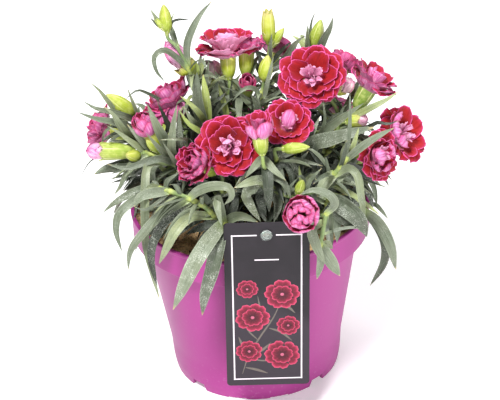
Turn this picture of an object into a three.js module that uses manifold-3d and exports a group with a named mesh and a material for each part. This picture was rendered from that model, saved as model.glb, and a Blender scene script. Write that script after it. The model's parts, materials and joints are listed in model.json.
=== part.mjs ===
// A pot of flowering pinks: a magenta growing pot with its soil, a hang label on a
// clear stake, and leafy shoots that end in double flower heads and buds.
// Millimetres, +Z up. The origin is on the table under the middle of the whole
// object, and the label faces -Y.
import * as THREE from 'three';
import { mergeVertices } from 'three/addons/utils/BufferGeometryUtils.js';
import Module from 'manifold-3d';

const wasm = await Module();
wasm.setup();

// ---- driving dimensions -----------------------------------------------------
const POT_X = -3.3;               // pot axis, measured from the origin
const POT_Y = 1.9;
const POT_HEIGHT = 117.3;         // table to the top of the rim
const RIM_RADIUS = 75.2;          // outside of the deep rim band
const LIP_RADIUS = 75.9;          // thin rolled lip along the very top
const LIP_HEIGHT = 2.4;
const BAND_HEIGHT = 18;           // depth of the rim band
const WALL_TOP_RADIUS = 68.5;     // outside of the wall just under the band
const WALL_LOW_RADIUS = 55.7;     // outside of the wall at WALL_LOW_Z
const WALL_LOW_Z = 22;
const FOOT_RADIUS = 53.4;         // outside of the foot ring on the table
const FOOT_INNER_RADIUS = 50.6;
const WALL = 1.3;                 // wall thickness
const FLOOR_UNDER = 5.6;          // underside of the raised floor
const FLOOR_TOP = 7.2;
const FOOT_GAP = 1.1;             // height of the shallow gaps between the feet
const ARCH_HEIGHT = 5.1;          // height of the four drain arches
const DRAIN_HOLES = 6;
const DRAIN_HOLE_RADIUS = 4;
const DRAIN_RING_RADIUS = 34;
const POT_SIDES = 28;

const SOIL_TOP = 109;             // soil level in the middle, lower at the wall
const SOIL_EDGE = 107.6;
const SOIL_GAP = 0.35;            // soil to pot, and soil to stake

const CARD_WIDTH = 51.5;
const CARD_HEIGHT = 122.5;
const CARD_THICKNESS = 0.8;
const CARD_CORNER = 2.6;
const CARD_CENTRE = [7.44, -75.94, 86.45];
const CARD_TILT = 3;              // degrees, the top edge leans out
const CARD_TURN = 1.6;            // degrees, turned clockwise in its plane
const HOLE_AT = [-0.22, 52.45];   // hole centre from the card's centre
const HOLE_RADIUS = 2.5;

const STAKE_WIDTH = 10;
const STAKE_THICKNESS = 1.2;

const LEAF_THICKNESS = 0.95;
const STEM_SIDES = 4;
const CLEARANCE = 0.34;           // gap between neighbouring pieces of the plant

// ---- the plant, as points in millimetres from the pot's axis ------------------
// stem:  [radius at the base, radius at the end, [x, y, z], ...]
// leaf:  [width, [x, y, z, nx, ny, nz], ...] with the upper side's direction
// calyx: [radius, base point, mouth point]; bud: [radius, base point, tip point]
const SHOOTS = {
  shoot_01: {
    crown: [-9, 4, 109.3],
    stems: [
      [1.5, 1.2, [-9, 4, 109.3], [-9, 4, 116], [-24.9, -2, 162.9], [-30.4, -3, 197.4], [-33.7, -4, 214.5], [-40.1, -5, 230.2], [-44.6, -4.7, 235.5], [-44.9, -5, 241.3]],
      [1.5, 1.2, [-31.9, -3.5, 206.4], [-33.3, 1.1, 209.5]],
      [1.5, 1.2, [-44.9, -5, 240.7], [-46.4, -6.1, 243]],
    ],
    leaves: [
      [4.7, [-33.6, -4, 215.9, -0.01, -0.99, -0.13], [-33.4, -6, 231, -0.13, -0.98, -0.12], [-29, -8, 243.7, -0.22, -0.97, 0.11], [-23.1, -6, 252.4, -0.06, -0.89, 0.44], [-16.8, -2, 257.4, 0.07, -0.82, 0.57]],
      [3.8, [-33.3, -4, 213.1, 0.57, -0.82, 0.07], [-40.4, -8, 224.3, 0.61, -0.78, 0.14], [-47.8, -12, 231.4, 0.5, -0.66, 0.56], [-53, -14, 228.7, -0.29, -0.92, 0.27], [-52.7, -14, 219.2, 0.01, -0.99, -0.1], [-47.9, -12, 209.8, 0.19, -0.98, -0.11]],
      [1.7, [-44.9, -5, 240.7, -0.02, -0.98, 0.17], [-42.8, -5, 241.1, -0.03, -0.99, -0.14], [-41.4, -6, 246.8, -0.2, -0.96, -0.21], [-37.1, -8, 249.2, -0.37, -0.92, 0.13], [-30.5, -10, 249.4, -0.29, -0.94, 0.19]],
      [1.2, [-45.8, -5.6, 242.1, -0.08, -0.89, 0.44], [-43.7, -5, 243.8, -0.13, -0.93, 0.33], [-41.4, -4, 248.5, -0.06, -0.92, 0.39], [-39.7, -2, 251.4, 0.03, -0.83, 0.55]],
      [2.5, [-45.8, -5.6, 242.1, -0.39, -0.9, 0.18], [-44.7, -6, 242.7, 0.52, -0.85, 0.04], [-50.2, -8, 250.2, 0.46, -0.87, 0.17], [-53.9, -8, 257, 0.38, -0.9, 0.21]],
      [2.1, [-44, -5, 239.1, 0.36, -0.91, 0.21], [-50, -6, 244.9, 0.32, -0.92, 0.21], [-54.4, -6, 250.5, 0.27, -0.94, 0.22]],
      [5, [-31.3, -3.3, 203, 0.02, -0.15, 0.99], [-31.3, 1, 203.6, 0.01, -0.84, 0.54], [-29, 2, 211.2, 0.01, -0.99, 0.13], [-31.7, 3, 218.4, 0.13, -0.97, 0.19]],
      [5, [-31.3, -3.3, 203, 0.19, -0.04, 0.98], [-30.7, 2, 203.1, 0.11, -0.73, 0.67], [-26, 4, 210.1, -0.16, -0.96, 0.21], [-23.8, 4, 217.4, -0.16, -0.99, 0.05]],
      [4, [-28.6, -2.7, 184.7, -0.74, -0.67, 0.09], [-27.4, -4, 185.2, 0.19, -0.98, 0], [-24.9, -2, 196.5, 0.27, -0.96, 0.13], [-20.8, 2, 216.2, 0.27, -0.95, 0.14]],
    ],
    calyxes: [[5.7, [-32.8, 1, 208.9], [-35.6, 1.6, 212.9]]],
    buds: [[2.1, [-45.9, -6, 242.4], [-52.2, -7, 251.8]], [3.8, [-44.8, -5, 240.5], [-45.8, -6, 258.6]]],
  },
  shoot_02: {
    crown: [-2, 8, 109.3],
    stems: [
      [1.7, 1.3, [-2, 8, 109.3], [-2, 8, 116], [-10.8, 4, 169.5], [-11.2, 7, 185.5], [-9, 2.6, 194.6], [-9.1, 4.8, 202.3]],
      [1.7, 1.3, [-11.4, 5.9, 178.4], [-3.1, 10, 183.5], [0.1, 2.3, 196.6], [1, 6, 203.6]],
      [1.5, 1.2, [-10.2, 3.9, 165.2], [-17.7, 17, 176.4], [-17.6, 20, 184], [-17.7, 20, 189.8]],
    ],
    leaves: [
      [5.3, [-11.1, 4.5, 173.4, 0.25, -0.81, 0.53], [-18.7, 2, 173.1, 0.38, -0.9, -0.23], [-18.9, -4, 193.8, -0.08, -0.98, -0.16], [-15.2, -4, 208, -0.14, -0.99, 0.04]],
      [4, [-11.1, 4.5, 173.4, -0.01, -0.37, -0.93], [-11.2, 0, 175.2, 0.17, -0.91, -0.37], [-13.5, -3, 190.9, 0.13, -0.99, -0.09], [-16, -3, 202.8, 0.12, -0.99, 0.02]],
      [3.4, [-6.1, 9, 181.1, 0.03, -0.88, 0.48], [0.7, 5, 173.3, -0.73, -0.68, 0.02], [-1.3, 4, 186.5, -0.18, -0.98, 0], [-4.4, 6, 197.5, 0.1, -0.97, 0.21]],
      [2.5, [-6.9, 8.5, 180.6, -0.08, 0.33, -0.94], [-4.7, 5, 179.2, 0.3, -0.76, -0.57], [-8.6, 0, 191.1, 0.1, -0.98, -0.2], [-7.4, 0, 202.8, -0.06, -1, 0.01]],
      [3.1, [-11.1, 4.5, 173.4, 0.08, -0.85, 0.52], [-8.7, 5, 173.8, -0.06, -0.91, 0.41], [-5.7, 8, 181.9, 0, -0.95, 0.32], [-8.5, 10, 188.7, 0.08, -0.95, 0.31]],
    ],
    calyxes: [[4.8, [-9.1, 4.5, 201.4], [-9.3, 8.3, 215.3]], [4.7, [0.9, 5.5, 202.7], [2.4, 12.3, 215.4]], [4.1, [-17.7, 20, 189], [-17.8, 20, 195.7]]],
    buds: [],
  },
  shoot_03: {
    crown: [5, -4, 109.3],
    stems: [
      [1.5, 1.2, [5, -4, 109.3], [5, -4, 116], [4, -12, 173.8], [7.8, -12, 192.3], [11.2, -10.3, 201.9], [12.2, -10, 207.6]],
      [1.7, 1.3, [4.9, -12.3, 180.3], [3.1, 6, 185.3], [1.8, 5.8, 184.9], [2, 1.6, 191.7]],
    ],
    leaves: [
      [4, [6.1, -12.3, 185.9, -0.3, -0.68, 0.66], [8.1, -14, 185.1, -0.41, -0.79, -0.45], [7.1, -18, 194.8, 0.17, -0.95, -0.28], [3.8, -20, 202.9, 0.32, -0.94, -0.1]],
      [2.8, [9.2, -11.4, 196.5, -0.03, -0.85, 0.52], [11, -12, 195.6, -0.31, -0.95, -0.07], [14.5, -14, 208.7, -0.14, -0.99, 0.04], [18.4, -12, 223.7, -0.1, -0.98, 0.16]],
      [3.1, [6.5, -12.3, 187.6, -0.11, 0.19, -0.97], [6.3, -14, 187.3, -0.06, -0.97, -0.23], [7.5, -16, 202.7, 0.23, -0.94, -0.23], [2.1, -20, 207.4, 0.54, -0.71, 0.45], [-2.8, -22, 205.7, -0.13, -0.9, 0.41], [-7.6, -22, 199.8, -0.27, -0.94, 0.22]],
      [1.9, [9.6, -11.2, 197.5, -0.26, -0.66, 0.7], [10.4, -12, 197, -0.3, -0.32, 0.9], [7.1, -4, 199.2, -0.05, -0.41, 0.91], [9.7, -2, 201.5, 0.1, -0.8, 0.59]],
      [1.9, [10.3, -10.8, 199.3, -0.57, 0.16, 0.8], [10.5, -12, 199.7, 0.17, -0.79, 0.59], [15.6, -8, 201.5, 0.54, -0.72, 0.45], [21, -6, 196.7, 0.48, -0.86, 0.18]],
    ],
    calyxes: [[3.6, [2, 2.1, 190.9], [2.2, -3.7, 200.2]]],
    buds: [[4.4, [12.1, -10, 206.8], [15.2, -9, 223.1]]],
  },
  shoot_04: {
    crown: [6, 9, 109.3],
    stems: [
      [1.5, 1.2, [6, 9, 109.3], [6, 9, 116], [11.2, 10, 168.6], [14.7, 12, 192], [16, 13, 208.7], [16.4, 13, 215.4], [16.4, 13, 221.2]],
      [1.5, 1.2, [16.2, 13, 212.3], [18, 13, 218.9]],
      [1.7, 1.3, [12.7, 10.8, 178.8], [17.3, 24, 183.6], [11.9, 17.7, 191.9], [15.1, 22.7, 197.2]],
    ],
    leaves: [
      [2.1, [16.7, 13, 210.8, 0.73, -0.67, 0.14], [11.2, 8, 215.6, 0.71, -0.69, 0.12], [6.3, 4, 220.2, 0.62, -0.74, 0.24], [1.5, 2, 222.1, 0.48, -0.79, 0.39]],
      [2.5, [16, 13, 209.5, -0.8, -0.52, 0.29], [16.6, 12, 209.2, -0.13, -0.91, -0.39], [17.2, 8, 220.7, -0.08, -0.97, -0.23], [18.4, 7, 229.9, -0.1, -0.99, -0.09]],
      [5.6, [15.6, 12.7, 202.7, -0.3, -0.68, 0.67], [16.3, 12, 202.3, -0.59, -0.79, 0.14], [27, 6, 213, -0.49, -0.87, 0.01], [30.8, 4, 221.9, -0.33, -0.94, 0.1], [37.1, 4, 228, -0.27, -0.92, 0.28]],
      [1.9, [15.5, 12.6, 201, -0.3, -0.78, 0.55], [16.9, 12, 200.9, -0.18, -0.9, 0.4], [29, 14, 210.3, -0.27, -0.93, 0.23], [35.5, 12, 222.5, -0.4, -0.91, 0.05], [39.8, 10, 225.6, -0.54, -0.81, 0.23]],
      [2.8, [15.7, 12.8, 204.3, -0.02, -0.68, -0.73], [15.8, 12, 205.1, -0.4, -0.92, 0.02], [22.9, 10, 215.3, -0.39, -0.91, 0.11], [30.4, 8, 223.4, -0.41, -0.9, 0.16]],
    ],
    calyxes: [[4.2, [14.7, 22.1, 196.6], [19.9, 30.2, 205.3]]],
    buds: [[2.8, [17.6, 13, 218.2], [26, 13, 230]], [4.3, [16.4, 13, 220.4], [16.6, 13, 242.3]]],
  },
  shoot_05: {
    crown: [12, 2, 109.3],
    stems: [
      [1.7, 1.3, [12, 2, 109.3], [12, 2, 116], [30.7, 2, 161.2], [37.7, 8, 178.8], [42.8, 11, 191.4], [42.4, 4.7, 196.2]],
      [1.5, 1.2, [33.1, 3.5, 167.2], [40.4, 16, 192], [42, 14, 210.9], [43.6, 14, 216.4]],
    ],
    leaves: [
      [3.5, [41.3, 15, 205, 0.11, -0.94, -0.32], [39.9, 10, 219.2, 0.04, -0.97, -0.25], [40.2, 8, 231.6, -0.02, -0.99, -0.16]],
      [1.9, [42, 15, 207.7, -0.01, -1, 0.05], [42.2, 16, 226.3, -0.03, -0.99, 0.12], [43.4, 18, 232.1, -0.1, -0.97, 0.21], [45.7, 18, 237.4, -0.21, -0.97, 0.09]],
      [5.3, [41.6, 14.4, 207.8, 0.08, -0.89, 0.45], [43.2, 14, 206.7, -0.43, -0.9, -0.11], [50.7, 8, 225, -0.33, -0.94, -0.09], [53.9, 8, 230.9, -0.14, -0.97, 0.22], [56, 10, 237.2, -0.07, -0.95, 0.32]],
      [2.9, [32.3, 2.9, 165.3, -0.76, -0.6, 0.24], [33.3, 2, 166, -0.8, -0.25, 0.55], [43.5, -20, 171, -0.85, -0.53, -0.01], [48, -22, 183.7, -0.13, -0.99, -0.07], [47.6, -22, 191.9, 0.02, -0.99, 0.15], [47.2, -20, 197.1, 0.01, -0.93, 0.36]],
      [3.7, [34.5, 4.9, 170.7, -0.4, -0.61, 0.68], [35.4, 4, 170.4, -0.26, -0.74, 0.62], [26.4, 10, 173.4, -0.03, -0.85, 0.53], [21.8, 12, 182.5, 0.13, -0.95, 0.27]],
    ],
    calyxes: [[4.8, [42.4, 5.4, 195.6], [41.6, -6.5, 204.7]]],
    buds: [[4.2, [43.4, 14, 215.6], [48.8, 14, 234]]],
  },
  shoot_06: {
    crown: [16, -4, 109.3],
    stems: [
      [1.7, 1.3, [16, -4, 109.3], [16, -4, 116], [48.4, -12, 153.7], [59.4, -12, 172.1], [63.7, -11.9, 178.2], [68.1, -9.9, 184.6]],
      [1.7, 1.3, [56.7, -12.1, 167.4], [58.8, 6, 178.6], [51.9, 0.1, 188.1], [55.7, 4.7, 193.4]],
      [1.5, 1.2, [58.5, -12, 170.7], [55.6, -6, 183], [49.7, -2.3, 192], [54.9, -3.1, 194.4]],
      [1.5, 1.2, [52.5, -12.3, 159.9], [56.2, -14, 173.3], [56.3, -14.3, 176.9], [61.9, -15.1, 177.9]],
    ],
    leaves: [
      [4, [64.1, -11.8, 178.9, -0.79, 0.44, -0.42], [63.1, -13.8, 179.9, -0.72, -0.69, 0.06], [68.5, -17.2, 184.2, -0.56, -0.8, 0.2], [76.8, -21.6, 190.9, -0.39, -0.87, 0.31], [86.6, -21.9, 196, -0.13, -0.89, 0.44], [93.5, -20.2, 200.2, -0.03, -0.87, 0.49]],
      [1.7, [63.8, -12, 178.8, -0.59, -0.79, 0.18], [71, -11.4, 182, -0.45, -0.88, 0.18], [76.5, -9.1, 186.6, -0.27, -0.93, 0.26]],
      [6.2, [45.8, -11.5, 150.2, 0.67, -0.73, -0.13], [43.3, -14, 151.5, -0.01, -0.91, -0.41], [45.9, -22, 173.4, -0.36, -0.9, -0.24], [55.6, -28, 185.8, -0.49, -0.87, 0.1], [64.1, -30, 193.2, -0.34, -0.9, 0.28], [71.4, -30, 198.2, -0.25, -0.9, 0.36]],
      [3.4, [51, -12, 157.1, 0.01, -0.92, 0.4], [49, -2, 179.9, -0.01, -0.88, 0.47], [61.7, 2, 183.4, 0.11, -0.83, 0.54]],
      [1.5, [52.3, -12, 160.5, -0.05, -0.93, 0.37], [59.3, -5, 178.8, -0.02, -0.96, 0.29], [54.8, -3, 190.5, 0.13, -0.97, 0.21]],
      [3.2, [56.7, -12.1, 167.4, -0.87, 0.39, -0.31], [56.1, -13, 167.9, -0.51, -0.79, 0.35], [74.8, -20, 176.2, -0.53, -0.79, 0.31], [80.1, -24, 181.2, -0.56, -0.74, 0.38], [86, -26, 180.9, -0.03, -0.86, 0.5], [92.9, -24, 181.9, 0.17, -0.83, 0.54]],
      [3.1, [45.8, -11.5, 150.2, 0.61, -0.64, 0.47], [43.3, -14, 150.1, -0.14, -0.98, -0.12], [51.3, -16, 180.3, -0.28, -0.96, -0.04], [58.5, -20, 186.8, -0.49, -0.77, 0.41], [64.4, -22, 184.8, -0.1, -0.83, 0.54]],
      [10.5, [42.4, -10.8, 146.5, 0.67, -0.7, -0.24], [39.5, -14, 147.5, 0.09, -0.77, -0.63], [39.8, -34, 174.7, -0.51, -0.74, -0.43], [49.9, -40, 180.2, -0.53, -0.78, 0.33], [61.8, -44, 185.8, -0.2, -0.87, 0.46], [76.9, -42, 188, 0.04, -0.86, 0.51]],
      [4.3, [49.9, -12.2, 155.7, 0.15, -0.88, 0.45], [46.1, -12, 157.3, -0.02, -0.99, 0.12], [50.9, -10, 173.6, -0.17, -0.97, 0.17], [55.9, -10, 178.9, -0.27, -0.93, 0.26]],
    ],
    calyxes: [[5.4, [67.5, -10.1, 183.8], [75.8, -6.3, 195.7]], [4.2, [55.2, 4.1, 192.7], [61.5, 11.6, 201.4]], [4.6, [54.2, -3, 194], [59.2, -3.8, 196.2]], [3.9, [61.1, -15, 177.8], [68.5, -16.1, 179.1]]],
    buds: [],
  },
  shoot_07: {
    crown: [20, 3, 109.3],
    stems: [
      [1.7, 1.3, [20, 3, 109.3], [20, 3, 116], [54, -6, 135.6], [75, -4, 147], [78.1, -0.2, 150], [83.2, -4.1, 154.7]],
    ],
    leaves: [
      [3.1, [75.9, -3.3, 147.7, -0.47, -0.52, 0.71], [77.5, -5, 147.4, 0.24, -0.8, 0.55], [84.8, 0, 148.5, 0.61, -0.68, 0.41], [90.7, 4, 142.3, 0.61, -0.79, 0.07]],
      [5, [73.7, -4.5, 146.1, -0.28, -0.79, 0.54], [74.9, -5, 146.1, -0.02, -0.82, 0.57], [70.6, 2, 155.3, 0.02, -0.88, 0.48], [65.8, 4, 163.1, 0.12, -0.94, 0.32]],
      [3.1, [66, -6, 141.9, 0.8, -0.53, -0.27], [66.8, -4, 140.3, 0.64, -0.77, 0], [77.9, 4, 127.8, 0.51, -0.81, 0.29], [90.7, 6, 126, 0.2, -0.85, 0.49]],
      [3.1, [70.3, -5.4, 144.2, -0.32, -0.8, -0.51], [69.9, -4, 142.2, 0.18, -0.89, 0.41], [78.5, -6, 139.3, 0.06, -0.87, 0.49], [87.3, -6, 136.6, 0.14, -0.87, 0.47]],
    ],
    calyxes: [[4.6, [82.6, -3.6, 154.1], [92.1, -10.9, 163.1]]],
    buds: [],
  },
  shoot_08: {
    crown: [15, -11, 109.3],
    stems: [
      [1.7, 1.3, [15, -11, 109.3], [15, -11, 116], [42.3, -28, 139.6], [53.3, -34, 152.3], [60, -20.2, 159.7], [65.7, -25.3, 161.8]],
    ],
    leaves: [
      [5, [54.5, -34, 153, -0.04, -0.85, 0.52], [61.7, -36, 150.2, 0.25, -0.9, 0.36], [69, -34, 143, 0.42, -0.89, 0.18]],
      [4.3, [49.5, -33.3, 147.7, 0.09, -0.41, -0.91], [49.6, -32, 147.2, 0.23, -0.97, 0.03], [44.9, -34, 159.1, 0.24, -0.96, 0.14], [37.3, -32, 168.9, 0.16, -0.94, 0.32]],
      [3.7, [54.8, -32.1, 154.2, -0.8, -0.6, -0.02], [57, -35, 156.9, -0.38, -0.73, 0.57], [68.8, -40, 153.5, 0.04, -0.87, 0.48], [79.7, -40, 145.8, 0.25, -0.9, 0.35]],
      [5, [54.8, -32.1, 154.2, -0.71, -0.7, 0.01], [58.8, -36, 158.8, 0.21, -0.85, 0.48], [68.2, -30, 152, 0.57, -0.81, 0.14], [77, -26, 142.2, 0.49, -0.87, 0.09]],
    ],
    calyxes: [[4.8, [65, -24.7, 161.6], [75.8, -34.3, 165.5]]],
    buds: [],
  },
  shoot_09: {
    crown: [8, -13, 109.3],
    stems: [
      [1.7, 1.3, [8, -13, 109.3], [8, -13, 116], [16.9, -28, 155.2], [23.2, -13.5, 166.8], [23.8, -18.5, 173.1]],
      [1.7, 1.3, [15.9, -28.2, 152.2], [11.1, -53, 169.7], [9.1, -62.6, 176.7], [8.5, -60.8, 184.5]],
      [1.5, 1.2, [15.9, -28.2, 152.2], [16.9, -46, 172.3], [16.4, -48.8, 179.7], [22, -50.2, 180.6]],
    ],
    leaves: [
      [4.7, [10.4, -56.6, 171.9, 0.02, -0.89, 0.45], [9, -54, 177.3, 0.52, -0.76, 0.38], [3.3, -60, 174.8, 0.11, -0.79, 0.6], [-2.3, -62, 168.7, -0.11, -0.91, 0.4]],
      [4.7, [10.4, -56.6, 171.9, 0, -0.87, 0.5], [9.6, -54, 176.5, -0.77, -0.43, 0.47], [14.6, -62, 173.9, -0.21, -0.7, 0.68], [21.9, -66, 167.9, -0.03, -0.85, 0.53]],
      [5, [16.6, -40, 164.9, 0.04, -0.83, 0.56], [18.8, -38, 167.7, 0.05, -0.84, 0.53], [31.9, -34, 173.1, -0.03, -0.87, 0.49], [38.8, -32, 179.9, -0.08, -0.91, 0.41], [44.7, -28, 189.1, -0.05, -0.9, 0.43]],
      [3.7, [13.6, -44, 163.1, 0.74, -0.5, 0.45], [8, -50, 165.4, 0.2, -0.75, 0.63], [2.2, -52, 157.2, -0.14, -0.94, 0.32]],
      [2.5, [16.9, -46, 172.3, 0.32, -0.58, 0.75], [20.1, -42, 174.1, -0.15, -0.72, 0.68], [13.5, -42, 175.8, 0.22, -0.85, 0.48], [8.6, -44, 175.8, 0.32, -0.78, 0.54]],
    ],
    calyxes: [[4.6, [23.7, -17.9, 172.3], [24.8, -26.6, 183.2]], [4.5, [8.6, -61.1, 183.5], [7.8, -58.7, 193.7]]],
    buds: [[3.4, [21.2, -50, 180.5], [37.2, -54, 183.2]]],
  },
  shoot_10: {
    crown: [-4, -14, 109.3],
    stems: [
      [1.76, 1.3, [-4, -14, 109.3], [-4, -14, 116], [-6.9, -34, 147.3], [-8.2, -24.1, 169.7], [-9, -31, 173.6]],
      [1.76, 1.3, [-6.4, -31.8, 141], [-16.8, -44, 149.4], [-16.3, -38.3, 157.2], [-21.1, -42, 162.4]],
    ],
    leaves: [
      [4.3, [-16.7, -44, 150.8, 0.69, -0.72, 0.07], [-26, -48.4, 158.1, 0.55, -0.81, 0.19], [-37.6, -48.6, 164.3, 0.23, -0.89, 0.38], [-43.4, -45.1, 166.8, 0, -0.86, 0.51]],
      [5, [-6.9, -34, 147.3, -0.27, -0.93, 0.26], [-8.2, -34, 146, -0.06, -0.92, 0.4], [-1.5, -30, 157.4, -0.1, -0.95, 0.29], [1.5, -28, 168.7, -0.09, -0.98, 0.2]],
      [3.7, [-14.6, -42, 146.7, -0.08, -1, 0.05], [-14.4, -42, 148.1, 0.6, -0.56, 0.57], [-23, -50, 147.7, 0.63, -0.63, 0.45], [-30, -54, 153.2, 0.6, -0.78, 0.19]],
      [5, [-6.9, -34, 147.3, -0.09, -0.8, 0.59], [-15.1, -28, 154.2, 0.04, -0.89, 0.46], [-24.1, -24, 168, 0.11, -0.93, 0.35]],
    ],
    calyxes: [[4.8, [-8.9, -30.1, 173.1], [-10.3, -42.2, 180]], [4.8, [-20.5, -41.5, 161.7], [-29, -47.9, 170.9]]],
    buds: [],
  },
  shoot_11: {
    crown: [12, -18, 109.3],
    stems: [
      [1.7, 1.3, [12, -18, 109.3], [12, -18, 116], [30.3, -50, 146.7], [42.8, -74, 163.5], [48.6, -84, 161.4], [44.8, -88, 156.5], [36.2, -77.5, 150.4], [33.8, -84, 154.5]],
      [1.7, 1.3, [44, -87.6, 155.8], [42.8, -90, 151], [41.5, -88, 141.6], [40.2, -86, 133.4]],
    ],
    leaves: [
      [5, [44.2, -88, 156.6, -0.46, -0.88, -0.12], [49.4, -92, 166.1, -0.08, -0.94, -0.33], [45.4, -94, 173.6, 0.36, -0.9, 0.26], [36.8, -94, 176.8, -0.13, -0.85, 0.5], [28.6, -92, 172.7, -0.39, -0.85, 0.36]],
      [6.2, [42.2, -90, 152.4, 0.05, -0.85, 0.53], [35.6, -92, 149.8, -0.07, -0.95, 0.31], [37.5, -94, 139.2, 0.15, -0.99, 0.04], [42.6, -92, 124.4, 0.23, -0.97, -0.05]],
      [7.4, [40.2, -86, 134.8, 0.12, -0.95, 0.3], [44.7, -88, 126.7, 0.26, -0.97, 0.04], [51.7, -84, 110.3, 0.32, -0.94, -0.09]],
      [5, [40.2, -86, 134.1, 0.02, -1, 0], [40.5, -86, 123.6, -0.07, -0.99, -0.14], [37.9, -82, 107.7, -0.15, -0.96, -0.22]],
      [3.7, [40.8, -86, 134.1, 0.4, -0.73, 0.55], [44.5, -84, 134.1, 0.59, -0.79, 0.19], [48, -82, 128.4, 0.45, -0.89, -0.03]],
      [5, [30.3, -50, 146.7, -0.02, -1, 0], [30.3, -50, 144.6, -0.34, -0.29, 0.9], [33.4, -60, 144.7, -0.52, -0.33, 0.79], [39.1, -66, 143.7, -0.47, -0.55, 0.69]],
    ],
    calyxes: [[4, [34.1, -83.2, 154], [30.8, -92, 159.6]]],
    buds: [],
  },
  shoot_12: {
    crown: [-14, -3, 109.3],
    stems: [
      [1.7, 1.3, [-14, -3, 109.3], [-14, -3, 116], [-29.9, -6, 151.2], [-40.1, -4, 169.1], [-36.9, -5.7, 170.9], [-40.3, -3.9, 177.9]],
      [1.7, 1.3, [-28.3, -5.9, 148.1], [-42.9, -22, 162.3], [-50.5, -23.5, 164.7], [-53.8, -24.2, 171.9]],
      [1.5, 1.2, [-47.8, -23.2, 163.5], [-51.5, -29.1, 168.3], [-54.9, -30.1, 172.9]],
    ],
    leaves: [
      [4.7, [-36.6, -4.7, 161.8, 0.2, -0.56, 0.81], [-38.1, -8, 159.9, 0.94, -0.32, 0.13], [-43.4, -20, 173.8, 0.63, -0.75, -0.2], [-47.9, -24, 188.7, 0.22, -0.97, -0.06], [-53, -24, 203.4, 0.18, -0.98, 0.06]],
      [6.8, [-42.9, -22, 162.3, -0.04, -1, 0], [-42.9, -22, 160.9, 0.4, -0.88, -0.27], [-52.1, -34, 187.5, 0.28, -0.95, -0.15], [-58.6, -34, 206.9, 0.17, -0.98, 0.06]],
      [5.3, [-40, -19.9, 160.3, -0.23, -0.96, 0.16], [-42, -20, 156.9, 0.53, -0.68, -0.51], [-45.6, -36, 175.8, 0.08, -0.89, -0.45], [-44, -38, 191.9, -0.1, -0.99, -0.05], [-40.6, -38, 208, -0.12, -0.99, 0.02]],
      [5.6, [-37.1, -16.8, 157.5, -0.02, -0.97, -0.25], [-39.7, -16, 154.5, 0.43, -0.7, -0.57], [-40.8, -34, 175.8, 0.03, -0.87, -0.5], [-40.4, -37, 191.2, -0.02, -0.99, -0.1], [-39.9, -37, 204.7, -0.02, -1, 0]],
      [2.2, [-35.7, -15.1, 156, -0.41, -0.86, 0.3], [-39.7, -14, 153.4, 0.03, -0.8, -0.6], [-38.6, -34, 181.2, -0.03, -0.89, -0.45], [-38.9, -36, 197.4, 0.01, -0.99, -0.12]],
      [3.4, [-35.2, -5.1, 159.8, -0.24, 0.04, -0.97], [-35.6, -8, 159.7, 0.14, -0.6, -0.79], [-36.7, -36, 182.9, 0.69, -0.54, -0.48], [-43.7, -42, 186.6, 0.52, -0.74, 0.44], [-52, -44, 187.5, 0.25, -0.83, 0.5]],
      [3.7, [-45.3, -22.9, 163.1, 0.03, -0.33, -0.94], [-45.2, -24, 163.5, 0.31, -0.56, -0.77], [-48.4, -34, 170, 0.71, -0.65, -0.26], [-53.7, -40, 180.6, 0.43, -0.9, -0.1], [-60.1, -42, 191.6, 0.34, -0.94, 0.03]],
      [5, [-29.8, -7.6, 149.5, -0.25, -0.93, 0.27], [-36.7, -8, 141.9, 0.75, -0.5, -0.43], [-42.4, -42, 167.9, 0.52, -0.73, -0.44], [-50.8, -46, 187.8, 0.3, -0.95, -0.07]],
      [4.3, [-31.1, -5.9, 153.3, -0.14, -0.88, 0.44], [-32.3, -6, 152.7, -0.01, -0.95, -0.31], [-30.9, -14, 178.2, 0.05, -0.96, -0.26], [-34.7, -18, 197.2, 0.17, -0.97, -0.17]],
    ],
    calyxes: [[4.2, [-39.9, -4.1, 177], [-45.3, -1.2, 188.5]], [4.6, [-53.4, -24.1, 171], [-58.8, -25.3, 182.7]]],
    buds: [[2.8, [-54.4, -30, 172.3], [-61, -32, 181.4]]],
  },
  shoot_13: {
    crown: [-18, 3, 109.3],
    stems: [
      [1.7, 1.3, [-18, 3, 109.3], [-18, 3, 116], [-33.4, 0, 144.4], [-54.6, 4, 157.7], [-69.8, 6, 164.6], [-67.9, 3.1, 162.7], [-75.3, 3.4, 165.8]],
      [1.5, 1.2, [-48.2, 2.7, 154.5], [-58.6, -3, 170.3], [-65.1, -4.6, 181.8], [-69.2, -5.1, 185.8]],
    ],
    leaves: [
      [3.3, [-64.5, -4.4, 180.9, -0.57, -0.78, 0.26], [-65.3, -4, 180.4, 0.4, -0.82, 0.41], [-76, -8, 185.2, 0.5, -0.86, 0.12], [-83.4, -12, 198.8, 0.38, -0.92, -0.05], [-87.5, -14, 206.9, 0.33, -0.94, 0.09], [-93.1, -14, 213.3, 0.27, -0.93, 0.23]],
      [2.9, [-60, -3.5, 172.8, -0.48, -0.88, -0.02], [-60.9, -3, 172.6, 0.42, -0.87, -0.25], [-65.4, -10, 186.4, 0.29, -0.93, -0.23], [-68.8, -12, 198.7, 0.18, -0.98, -0.04], [-71.1, -12, 207.7, 0.14, -0.99, 0.04]],
      [4, [-62.6, -4.1, 177.8, -0.14, -0.86, 0.49], [-64.3, -4, 177.5, 0.7, -0.71, 0.07], [-73.7, -14, 189, 0.65, -0.75, 0.12], [-83.5, -18, 195.1, 0.46, -0.83, 0.32], [-91, -20, 198.6, 0.33, -0.88, 0.34], [-97.8, -20, 203.8, 0.26, -0.91, 0.34]],
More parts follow.
